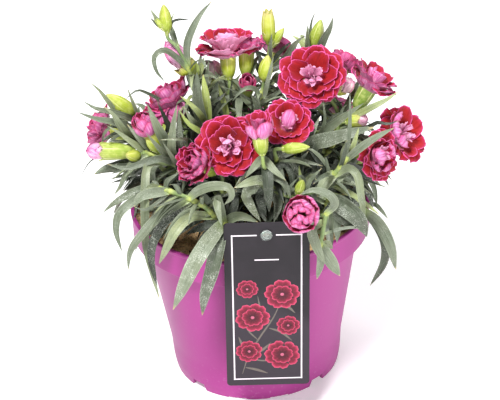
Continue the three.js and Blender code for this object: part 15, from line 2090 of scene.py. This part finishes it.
class Mat:
    """A small helper around one node material."""

    def __init__(self, name, rough=0.5, **sockets):
        self.mat = bpy.data.materials.new(name)
        self.mat.use_nodes = True
        self.t = self.mat.node_tree
        self.p = self.t.nodes["Principled BSDF"]
        self.p.inputs["Roughness"].default_value = rough
        for k, v in sockets.items():
            self.p.inputs[k.replace("_", " ")].default_value = v

    def node(self, kind, **props):
        n = self.t.nodes.new(kind)
        for k, v in props.items():
            if k == "inputs":
                for i, x in v.items():
                    self.put(n.inputs[i], x)
            else:
                setattr(n, k, v)
        return n

    def put(self, socket, x):
        if isinstance(x, bpy.types.NodeSocket):
            self.t.links.new(x, socket)
        else:
            socket.default_value = x

    def attr(self, name):
        n = self.node("ShaderNodeAttribute", attribute_name=name)
        s = self.node("ShaderNodeSeparateXYZ", inputs={0: n.outputs["Vector"]})
        return s.outputs[0], s.outputs[1], s.outputs[2]

    def coords(self):
        return self.node("ShaderNodeTexCoord").outputs["Object"]

    def math(self, op, a, b=0.5, c=None, clamp=False):
        n = self.node("ShaderNodeMath", operation=op, use_clamp=clamp)
        self.put(n.inputs[0], a)
        self.put(n.inputs[1], b)
        if c is not None:
            self.put(n.inputs[2], c)
        return n.outputs[0]

    def ramp(self, f, stops, smooth=False):
        n = self.node("ShaderNodeValToRGB")
        self.put(n.inputs[0], f)
        r = n.color_ramp
        r.interpolation = "EASE" if smooth else "LINEAR"
        while len(r.elements) < len(stops):
            r.elements.new(0.5)
        for e, (pos, col) in zip(r.elements, stops):
            e.position = pos
            e.color = col if isinstance(col, (tuple, list)) else (col, col, col, 1)
        return n.outputs[0]

    def between(self, x, lo, hi, a=0.0, b=1.0, smooth=True):
        n = self.node("ShaderNodeMapRange", interpolation_type="SMOOTHSTEP" if smooth else "LINEAR")
        for i, v in enumerate((x, lo, hi, a, b)):
            self.put(n.inputs[i], v)
        return n.outputs[0]

    def mix(self, f, a, b, kind="MIX"):
        n = self.node("ShaderNodeMix", data_type="RGBA", blend_type=kind)
        self.put(n.inputs[0], f)
        self.put(n.inputs[6], a)
        self.put(n.inputs[7], b)
        return n.outputs[2]

    def noise(self, vec, scale, detail=3.0, rough=0.55, out="Fac", distortion=0.0):
        n = self.node("ShaderNodeTexNoise", inputs={"Vector": vec, "Scale": scale, "Detail": detail, "Roughness": rough, "Distortion": distortion})
        return n.outputs[0 if out == "Fac" else 1]

    def cells(self, vec, scale, feature="F1", out=0):
        n = self.node("ShaderNodeTexVoronoi", feature=feature, inputs={"Vector": vec, "Scale": scale})
        return n.outputs[out]

    def vec(self, x, y, z):
        return self.node("ShaderNodeCombineXYZ", inputs={0: x, 1: y, 2: z}).outputs[0]

    def bump(self, h, strength, distance):
        n = self.node("ShaderNodeBump", inputs={"Strength": strength, "Distance": distance, "Height": h})
        self.t.links.new(n.outputs[0], self.p.inputs["Normal"])

    def base(self, c):
        self.t.links.new(c, self.p.inputs["Base Color"])

    def rough(self, r):
        self.t.links.new(r, self.p.inputs["Roughness"])


def foliage_material():
    m = Mat("leaf_glaucous", 0.5, Specular_IOR_Level=0.45)
    along, across, rnd = m.attr("pa")
    under, wet, tone = m.attr("pb")
    co = m.coords()
    # tone 0 (the "d" leaves) is near black: painted shade for leaves deep in the clump
    base = m.ramp(tone, [(0.0, srgb(20, 25, 18)), (0.35, srgb(92, 99, 77)), (0.7, srgb(140, 147, 103)), (1.0, srgb(160, 176, 74))])
    # each leaf a little greyer, bluer or yellower than the next
    base = m.mix(m.between(rnd, 0.0, 1.0, 0.0, 0.5), base, m.ramp(tone, [(0.0, srgb(36, 42, 31)), (0.4, srgb(128, 136, 114)), (1.0, srgb(176, 188, 96))]))
    patch = m.noise(co, 90, 3)
    base = m.mix(m.between(patch, 0.35, 0.7, 0.0, 0.45), base, srgb(72, 86, 64))
    # fine lines along the blade, and the channel over the midrib
    line = m.noise(m.vec(m.math("MULTIPLY", across, 7.0), m.math("MULTIPLY", along, 2.2), m.math("MULTIPLY", rnd, 31.0)), 1.6, 2)
    base = m.mix(m.math("MULTIPLY", m.between(line, 0.35, 0.7, 0.0, 0.30), m.between(tone, -0.1, 0.35, 0.3, 1.0)), base, srgb(164, 176, 156))
    mid = m.between(m.math("ABSOLUTE", across), 0.0, 0.22, 1.0, 0.0)
    base = m.mix(m.math("MULTIPLY", mid, 0.30), base, srgb(70, 84, 60))
    edge = m.math("MULTIPLY", m.between(m.math("ABSOLUTE", across), 0.86, 1.0, 0.0, 0.35), m.between(tone, -0.1, 0.35, 0.3, 1.0))
    base = m.mix(edge, base, srgb(184, 196, 168))
    # waxy bloom on the underside, fresh green at the foot, straw-coloured tips
    base = m.mix(m.math("MULTIPLY", under, m.between(tone, -0.1, 0.35, 0.08, 0.3)), base, srgb(150, 164, 142))
    base = m.mix(m.between(along, 0.0, 0.16, 0.55, 0.0), base, srgb(176, 196, 120))
    tip = m.math("MULTIPLY", m.between(along, 0.93, 1.0), m.between(rnd, 0.3, 0.8))
    base = m.mix(tip, base, srgb(186, 170, 120))
    # painted shade: darker where a leaf lies low inside the clump, standing in for the shadow between the leaves
    xyz = m.node("ShaderNodeSeparateXYZ", inputs={0: co}).outputs
    rad = m.math("SQRT", m.math("ADD", m.math("MULTIPLY", xyz[0], xyz[0]), m.math("MULTIPLY", xyz[1], xyz[1])))
    inside = m.math("MULTIPLY", m.between(rad, 0.035, 0.085, 0.62, 0.0), m.between(xyz[2], 0.13, 0.19, 1.0, 0.0))
    base = m.mix(inside, base, srgb(22, 27, 19))
    # painted shade: the darkest tone, for leaves deep in the clump, is pulled darker still
    base = m.mix(m.between(tone, 0.04, 0.26, 0.40, 0.0, False), base, srgb(26, 32, 21))
    # dried water marks and dust, mostly low on the plant
    spots = m.noise(co, 1500, 3, 0.6)
    cloud = m.noise(co, 130, 3, 0.6)
    chalk = m.math("MULTIPLY", m.between(spots, 0.46, 0.66), m.between(cloud, 0.36, 0.66))
    chalk = m.math("MULTIPLY", chalk, m.between(wet, 0.1, 1.0, 0.10, 0.66, False))
    base = m.mix(chalk, base, srgb(206, 210, 198))
    m.base(base)
    m.rough(m.between(patch, 0.3, 0.7, 0.42, 0.58))
    m.bump(m.math("ADD", line, m.math("MULTIPLY", spots, 0.35)), 0.35, 0.00022)
    return m.mat


def stem_material():
    m = Mat("stem_green", 0.55, Specular_IOR_Level=0.35)
    s, node, rnd = m.attr("pa")
    co = m.coords()
    base = m.mix(m.between(rnd, 0, 1), srgb(132, 152, 84), srgb(108, 130, 84))
    base = m.mix(m.between(m.noise(co, 260, 3), 0.35, 0.65, 0, 0.45), base, srgb(150, 166, 118))
    base = m.mix(m.math("MULTIPLY", node, 0.8), base, srgb(178, 186, 98))
    m.base(base)
    m.bump(m.noise(co, 1400, 2), 0.25, 0.0001)
    return m.mat


def calyx_material():
    m = Mat("calyx_green", 0.5, Specular_IOR_Level=0.4)
    f, turn, rnd = m.attr("pa")
    kind, length, r = m.attr("pb")
    co = m.coords()
    base = m.ramp(f, [(0.0, srgb(132, 152, 62)), (0.25, srgb(160, 176, 52)), (0.6, srgb(184, 192, 56)), (0.9, srgb(200, 200, 96)), (1.0, srgb(196, 176, 116))])
    base = m.mix(m.between(rnd, 0, 1, 0, 0.7), base, srgb(128, 154, 62))
    # painted shade: a negative kind darkens calyxes that sit in shadow
    base = m.mix(m.between(kind, -1.0, 0.0, 0.92, 0.0, False), base, srgb(84, 116, 42))
    base = m.mix(m.between(kind, 0.3, 1.0, 0.0, 0.34, False), base, srgb(140, 154, 34))
    # pale seams between the five joined sepals, then the many fine ribs
    seam = m.math("ABSOLUTE", m.math("SUBTRACT", m.math("FRACT", m.math("MULTIPLY", turn, 5.0)), 0.5))
    base = m.mix(m.math("MULTIPLY", m.between(seam, 0.0, 0.10, 0.7, 0.0), m.between(f, 0.2, 0.8)), base, srgb(228, 226, 168))
    ribs = m.math("SINE", m.math("MULTIPLY", turn, 2 * math.pi * 25))
    base = m.mix(m.between(ribs, -0.2, 1.0, 0.0, 0.30), base, srgb(118, 144, 44))
    base = m.mix(m.between(m.noise(co, 300, 3), 0.4, 0.7, 0, 0.35), base, srgb(206, 210, 130))
    m.base(base)
    m.bump(ribs, 0.3, 0.00012)
    return m.mat


def scale_material():
    """Scales round the foot of a bud: green with thin dry margins and tips."""
    m = Mat("scale_green", 0.55, Specular_IOR_Level=0.35)
    s, x, rnd = m.attr("pa")
    co = m.coords()
    base = m.mix(m.between(s, 0.0, 0.9), srgb(152, 172, 66), srgb(138, 152, 74))
    base = m.mix(m.between(m.noise(co, 500, 3), 0.4, 0.7, 0, 0.4), base, srgb(184, 194, 110))
    base = m.mix(m.between(m.math("ABSOLUTE", x), 0.66, 0.97, 0.0, 0.8), base, srgb(226, 222, 180))
    base = m.mix(m.between(s, 0.86, 1.0, 0.0, 0.7), base, srgb(196, 168, 120))
    m.base(base)
    m.bump(m.noise(m.vec(m.math("MULTIPLY", x, 5.0), m.math("MULTIPLY", s, 0.8), rnd), 3.0, 2), 0.3, 0.0002)
    return m.mat


def petal_material(name, deep, body, rose, rim, outside, pale):
    """Velvety petals: a deep face inside a thin bright margin, and a pale veined back."""
    m = Mat(name, 0.72, Specular_IOR_Level=0.25, Sheen_Weight=0.12, Sheen_Roughness=0.45)
    edge, u, rnd = m.attr("pa")
    back, v, tone = m.attr("pb")
    co = m.coords()
    deep_rose = tuple(0.8 * a + 0.2 * b for a, b in zip(rose, deep))
    vein = m.noise(m.vec(m.math("MULTIPLY", u, 6.0), m.math("MULTIPLY", v, 1.2), m.math("MULTIPLY", rnd, 57.0)), 1.5, 3)
    blot = m.noise(co, 170, 3)
    uneven = m.math("ADD", edge, m.math("MULTIPLY", m.math("SUBTRACT", m.noise(co, 900, 2), 0.5), 0.7))
    face = m.mix(m.between(vein, 0.38, 0.68, 0.0, 0.35), body, deep)
    face = m.mix(m.between(blot, 0.40, 0.70, 0.0, 0.30), face, deep)
    face = m.mix(m.between(tone, 0.0, 1.0, 0.0, 0.95, False), face, rose)
    face = m.mix(m.between(uneven, 0.5, 3.2, 0.42, 0.0), face, rose)
    face = m.mix(m.between(v, 0.10, 0.38, 0.8, 0.0), face, outside)
    face = m.mix(m.between(uneven, 0.36, 0.80, 0.95, 0.0), face, rim)
    outer = m.mix(m.between(vein, 0.34, 0.72, 0.0, 0.55), outside, pale)
    outer = m.mix(m.between(blot, 0.42, 0.66, 0.0, 0.35), outer, rose)
    outer = m.mix(m.between(vein, 0.36, 0.62, 0.55, 0.15), outer, srgb(158, 62, 124))
    outer = m.mix(m.between(v, 0.05, 0.45, 0.75, 0.0), outer, srgb(238, 206, 216))
    outer = m.mix(m.between(tone, 0.5, 1.0, 0.0, 0.72, False), outer, rose)
    outer = m.mix(m.between(uneven, 0.2, 2.2, 0.55, 0.0), outer, rose)
    outer = m.mix(m.between(uneven, 0.15, 0.85, 0.72, 0.0), outer, deep_rose)
    # painted light: a tone over 1.12 lightens the back colour, for petals that sit in shade inside a head (bloom_06's
    # near petals, the centres); the centres are also pale pink in their own colour
    outer = m.mix(m.between(tone, 1.12, 1.25, 0.0, 0.74, False), outer, srgb(240, 172, 210))
    base = m.mix(back, face, outer)
    m.base(base)
    m.bump(vein, 0.25, 0.0003)
    m.rough(m.between(vein, 0.3, 0.7, 0.66, 0.82))
    return m.mat


def pot_material():
    m = Mat("pot_plastic", 0.45, Specular_IOR_Level=0.3)
    co = m.coords()
    z = m.node("ShaderNodeSeparateXYZ", inputs={0: co}).outputs[2]
    flow = m.noise(m.node("ShaderNodeMapping", inputs={0: co, 3: (1, 1, 0.25)}).outputs[0], 24, 3, 0.5)
    base = m.mix(m.between(flow, 0.3, 0.7), srgb(154, 49, 126), srgb(162, 58, 133))
    # scuffs and a little dust, more near the foot
    dust = m.math("MULTIPLY", m.between(m.noise(co, 420, 4, 0.65), 0.56, 0.72), m.between(z, 0.0, 0.03, 0.5, 0.12))
    base = m.mix(dust, base, srgb(176, 118, 156))
    m.base(base)
    fine = m.noise(co, 1700, 2)
    m.rough(m.math("ADD", m.between(flow, 0.3, 0.7, 0.40, 0.50), m.math("MULTIPLY", dust, 0.3)))
    m.bump(m.math("ADD", m.math("MULTIPLY", fine, 0.25), flow), 0.10, 0.0006)
    return m.mat


def soil_material():
    m = Mat("potting_mix", 0.95, Specular_IOR_Level=0.15)
    _, _, tone = m.attr("pa")
    co = m.coords()
    n = m.noise(co, 700, 4, 0.6)
    base = m.ramp(tone, [(0.0, srgb(60, 48, 36)), (0.3, srgb(150, 120, 86)), (0.5, srgb(196, 162, 118)), (0.75, srgb(222, 188, 138)), (1.0, srgb(240, 222, 188))])
    base = m.mix(m.between(n, 0.35, 0.7, 0, 0.6), base, srgb(46, 33, 25))
    base = m.mix(m.between(m.cells(co, 900), 0.0, 0.25, 0.35, 0.0), base, srgb(168, 124, 84))
    m.base(base)
    m.bump(n, 0.8, 0.0006)
    return m.mat


def card_material():
    m = Mat("card_printed", 0.46, Specular_IOR_Level=0.28)
    x, y, z = m.attr("card")
    co = m.coords()
    # painted reflection: the ground is lighter toward the card's lower part, across a slanting edge
    d = m.math("ADD", y, m.math("MULTIPLY", x, 0.55))
    ground = m.mix(m.between(d, -6.0, 10.0), srgb(48, 41, 49), srgb(27, 22, 28))
    ground = m.mix(m.between(m.noise(co, 60, 2), 0.35, 0.65, 0, 0.25), ground, srgb(44, 37, 45))

    def band(v, centre, width):
        a = m.math("ABSOLUTE", m.math("SUBTRACT", v, centre))
        return m.between(a, width / 2 - 0.06, width / 2 + 0.06, 1.0, 0.0, False)

    def within(v, lo, hi):
        return m.math("MULTIPLY", m.between(v, lo - 0.06, lo + 0.06, 0, 1, False), m.between(v, hi - 0.06, hi + 0.06, 1, 0, False))

    lines = m.math("MULTIPLY", band(x, -20.9, 0.85), within(y, -56.65, 52.75))
    lines = m.math("MAXIMUM", lines, m.math("MULTIPLY", band(x, 20.8, 0.85), within(y, -56.65, 52.75)))
    lines = m.math("MAXIMUM", lines, m.math("MULTIPLY", band(y, -56.1, 0.85), within(x, -21.4, 21.3)))
    gap = m.between(m.math("ABSOLUTE", m.math("ADD", x, 0.22)), 5.7, 5.8, 0, 1, False)
    lines = m.math("MAXIMUM", lines, m.math("MULTIPLY", m.math("MULTIPLY", band(y, 52.2, 0.85), within(x, -21.4, 21.3)), gap))
    lines = m.math("MAXIMUM", lines, m.math("MULTIPLY", band(y, 34.3, 0.8), within(x, -7.5, 7.1)))
    lines = m.math("MULTIPLY", lines, m.between(z, 0.2, 0.3, 0, 1, False))
    col = m.mix(lines, ground, srgb(226, 216, 224))
    m.base(col)
    m.rough(m.between(m.noise(co, 1500, 2), 0.3, 0.7, 0.38, 0.48))
    return m.mat


def ink_material(name, kind):
    m = Mat(name, 0.48, Specular_IOR_Level=0.25)
    edge, u, k = m.attr("pa")
    _, R, _ = m.attr("pb")
    co = m.coords()
    if kind == "petal":
        f = m.math("DIVIDE", edge, R)
        vein = m.noise(m.vec(m.math("MULTIPLY", u, 12.0), m.math("MULTIPLY", f, 2.0), m.math("MULTIPLY", k, 19.0)), 1.5, 2)
        col = m.ramp(f, [(0.0, srgb(204, 82, 116)), (0.06, srgb(170, 46, 78)), (0.18, srgb(108, 27, 46)), (0.5, srgb(72, 21, 33)), (1.0, srgb(42, 18, 26))])
        col = m.mix(m.between(vein, 0.50, 0.72, 0, 0.45), col, srgb(166, 48, 78))
    elif kind == "eye":
        col = m.mix(m.noise(co, 1500, 2), srgb(222, 120, 150), srgb(120, 40, 60))
    else:
        col = m.mix(m.noise(co, 900, 2), srgb(92, 84, 80), srgb(112, 104, 96))
    m.base(col)
    return m.mat


def clear_material(name, tint, rough):
    m = Mat(name, rough, IOR=1.47, Transmission_Weight=0.92)
    co = m.coords()
    m.base(m.mix(m.noise(co, 500, 2), tint, (0.93, 0.97, 0.95, 1)))
    m.bump(m.noise(co, 700, 2), 0.05, 0.0002)
    return m.mat


LEAF, STEM, CALYX, SCALE = foliage_material(), stem_material(), calyx_material(), scale_material()
PETAL = petal_material("petal_crimson", srgb(120, 9, 14), srgb(157, 20, 25), srgb(166, 40, 86), srgb(210, 84, 148), srgb(212, 112, 169), srgb(236, 182, 218))
BUD_PETAL = petal_material("petal_bud", srgb(170, 40, 96), srgb(200, 74, 134), srgb(208, 94, 152), srgb(218, 106, 168), srgb(224, 160, 200), srgb(242, 220, 232))
BUD_CREAM = petal_material("petal_cream", srgb(200, 84, 140), srgb(226, 150, 182), srgb(228, 156, 192), srgb(216, 92, 156), srgb(242, 216, 214), srgb(253, 247, 240))


# ------------------------------------------------------------------ putting the pieces in place
def done(ob, slot, *nodes):
    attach(ob, "root")
    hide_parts(*nodes)
    return ob


pot.data.materials.append(pot_material())
done(pot, "pot_plastic", "pot")
done(soil_ob_skin.build("soil_top", [soil_material()], sharp=50), "potting_mix", "soil")
card.data.materials.append(card_material())
done(card, "label_card", "label_card")
ink_ob = INK.build("label_print", [ink_material("ink_petal", "petal"), ink_material("ink_eye", "eye"), ink_material("ink_leaf", "leaf")])
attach(ink_ob, "root")
done(STK.build("label_hook", [clear_material("clear_stake", (0.86, 0.93, 0.90, 1), 0.12)], sharp=40), "clear_plastic", "label_stake")
done(BTN.build("label_stud", [clear_material("clear_stud", (0.80, 0.92, 0.84, 1), 0.15)], sharp=40), "clear_button", "label_button")

# painted shade: how far the calyx under each of these heads is darkened, for calyxes that sit in shadow
SHADED_CALYX = {"bloom_10": 0.9, "bloom_15": 0.9, "bloom_05": 0.5}
for name, s in SHOOTS.items():
    rng = np.random.default_rng(int(name[-2:]) * 101 + 5)
    S = Skin()
    joints = [np.array(l[3][0][:3]) for l in s["leaves"]]
    starts = [np.array(st[2][0]) for st in s["stems"][1:]]
    for r0, r1, pts in s["stems"]:
        p = np.array(pts, float)
        if p[0][2] < 109.4:
            p[0][2] = 106.5
        stem(S, r0, r1, p, joints + starts, rng)
    for w, kind, wet, rows in s["leaves"]:
        leaf(S, w, kind, wet, rows, rng)
    for w, kind, wet, rows in s["more"]:
        leaf(S, w, kind, wet, rows, rng, fine=3.4)
    for r, base, mouth in s["calyxes"]:
        calyx(S, r, base, mouth, rng, deep=next((d for b, d in SHADED_CALYX.items() if np.allclose(mouth, BLOOMS[b][8], atol=0.3)), 0.0))
    for r, base, tip, kind in s["buds"]:
        green_bud(S, r, base, tip, kind, rng)
    for bname, (shoot, r, base, tip, share) in BUDS.items():
        if shoot == name:
            b, t = np.array(base), np.array(tip)
            calyx(S, r * 0.92 / 0.93, b, b + (t - b) * (1 - share), rng, splay=0.02)
    done(S.build(name + "_leafy", [LEAF, STEM, CALYX, BUD_PETAL, SCALE], sharp=60), "foliage", name)

TONE = {"bloom_06": 0.05, "bloom_07": 0.3, "bloom_08": 0.95, "bloom_09": 0.45, "bloom_11": 0.8, "bloom_16": 0.35, "bloom_17": 0.3,
        "bloom_18": 0.3, "bloom_05": 0.1, "bloom_15": 0.3, "bloom_10": 0.1, "bloom_03": 0.1}
for name, (kind, R, dep, open_, phase, seed, c, axis, mouth) in BLOOMS.items():
    S = Skin()
    bloom(S, name, kind, R, dep, seed, c, axis, TONE.get(name, 0.0))
    done(S.build(name + "_petals", [PETAL]), "petals", name)
for name, (shoot, r, base, tip, share) in BUDS.items():
    S = Skin()
    furled(S, r, base, tip, share, 0.5, int(name[-2:]) + 70)
    # bud_02 and bud_03 are cream-white; bud_05 takes the cream petals partly as painted light, to lift it out of the
    # shade it sits in
    done(S.build(name + "_petals", [BUD_CREAM if name in ("bud_02", "bud_03", "bud_05") else BUD_PETAL]), "bud_petals", name)

# ------------------------------------------------------------------ floor, light and camera
floor_me = bpy.data.meshes.new("floor")
floor_me.from_pydata([(-4, -4, 0), (4, -4, 0), (4, 4, 0), (-4, 4, 0)], [], [(0, 1, 2, 3)])
floor = bpy.data.objects.new("floor", floor_me)
scene.collection.objects.link(floor)
fm = Mat("floor_pale", 0.8, Specular_IOR_Level=0.1)
fm.base(fm.mix(fm.noise(fm.coords(), 3, 2), (0.90, 0.90, 0.90, 1), (0.93, 0.93, 0.93, 1)))
fm.p.inputs["Emission Color"].default_value = (1, 1, 1, 1)
fm.p.inputs["Emission Strength"].default_value = 0.27
floor_me.materials.append(fm.mat)

world = bpy.data.worlds.new("studio")
world.use_nodes = True
world.node_tree.nodes["Background"].inputs[0].default_value = (1, 1, 1, 1)
world.node_tree.nodes["Background"].inputs[1].default_value = 0.15
scene.world = world


def area(name, at, to, size, power, color=(1, 1, 1)):
    l = bpy.data.lights.new(name, "AREA")
    l.shape, l.size, l.energy, l.color = "DISK", size, power, color
    o = bpy.data.objects.new(name, l)
    o.location = at
    o.rotation_mode = "QUATERNION"
    o.rotation_quaternion = (Vector(to) - Vector(at)).to_track_quat("-Z", "Y")
    scene.collection.objects.link(o)


area("key", (-0.36, -0.84, 1.50), (0, 0, 0.12), 0.40, 38)
area("fill", (0.55, -1.15, 0.50), (0, 0, 0.12), 0.8, 8.5)
area("top", (0.25, 0.45, 1.4), (0, 0, 0.12), 0.6, 12)

cam_data = bpy.data.cameras.new("camera")
cam_data.sensor_width, cam_data.lens = 36.0, 2050 / 500 * 36.0
cam_data.clip_start, cam_data.clip_end = 0.05, 20
cam = bpy.data.objects.new("camera", cam_data)
scene.collection.objects.link(cam)
e, r = math.radians(30.4), math.radians(-2.83)
back = Vector((0, -math.cos(e), math.sin(e)))
right, up = Vector((1, 0, 0)), Vector((0, math.sin(e), math.cos(e)))
right2, up2 = right * math.cos(r) + up * math.sin(r), -right * math.sin(r) + up * math.cos(r)
target = Vector((AXIS[0] * 0.001, AXIS[1] * 0.001, 0.117))
m = Matrix((right2, up2, back)).transposed().to_4x4()
m.translation = target + back * 1.3
cam.matrix_world = m
scene.camera = cam
scene.view_settings.view_transform = "Standard"
scene.view_settings.look = "None"

bpy.context.view_layer.update()
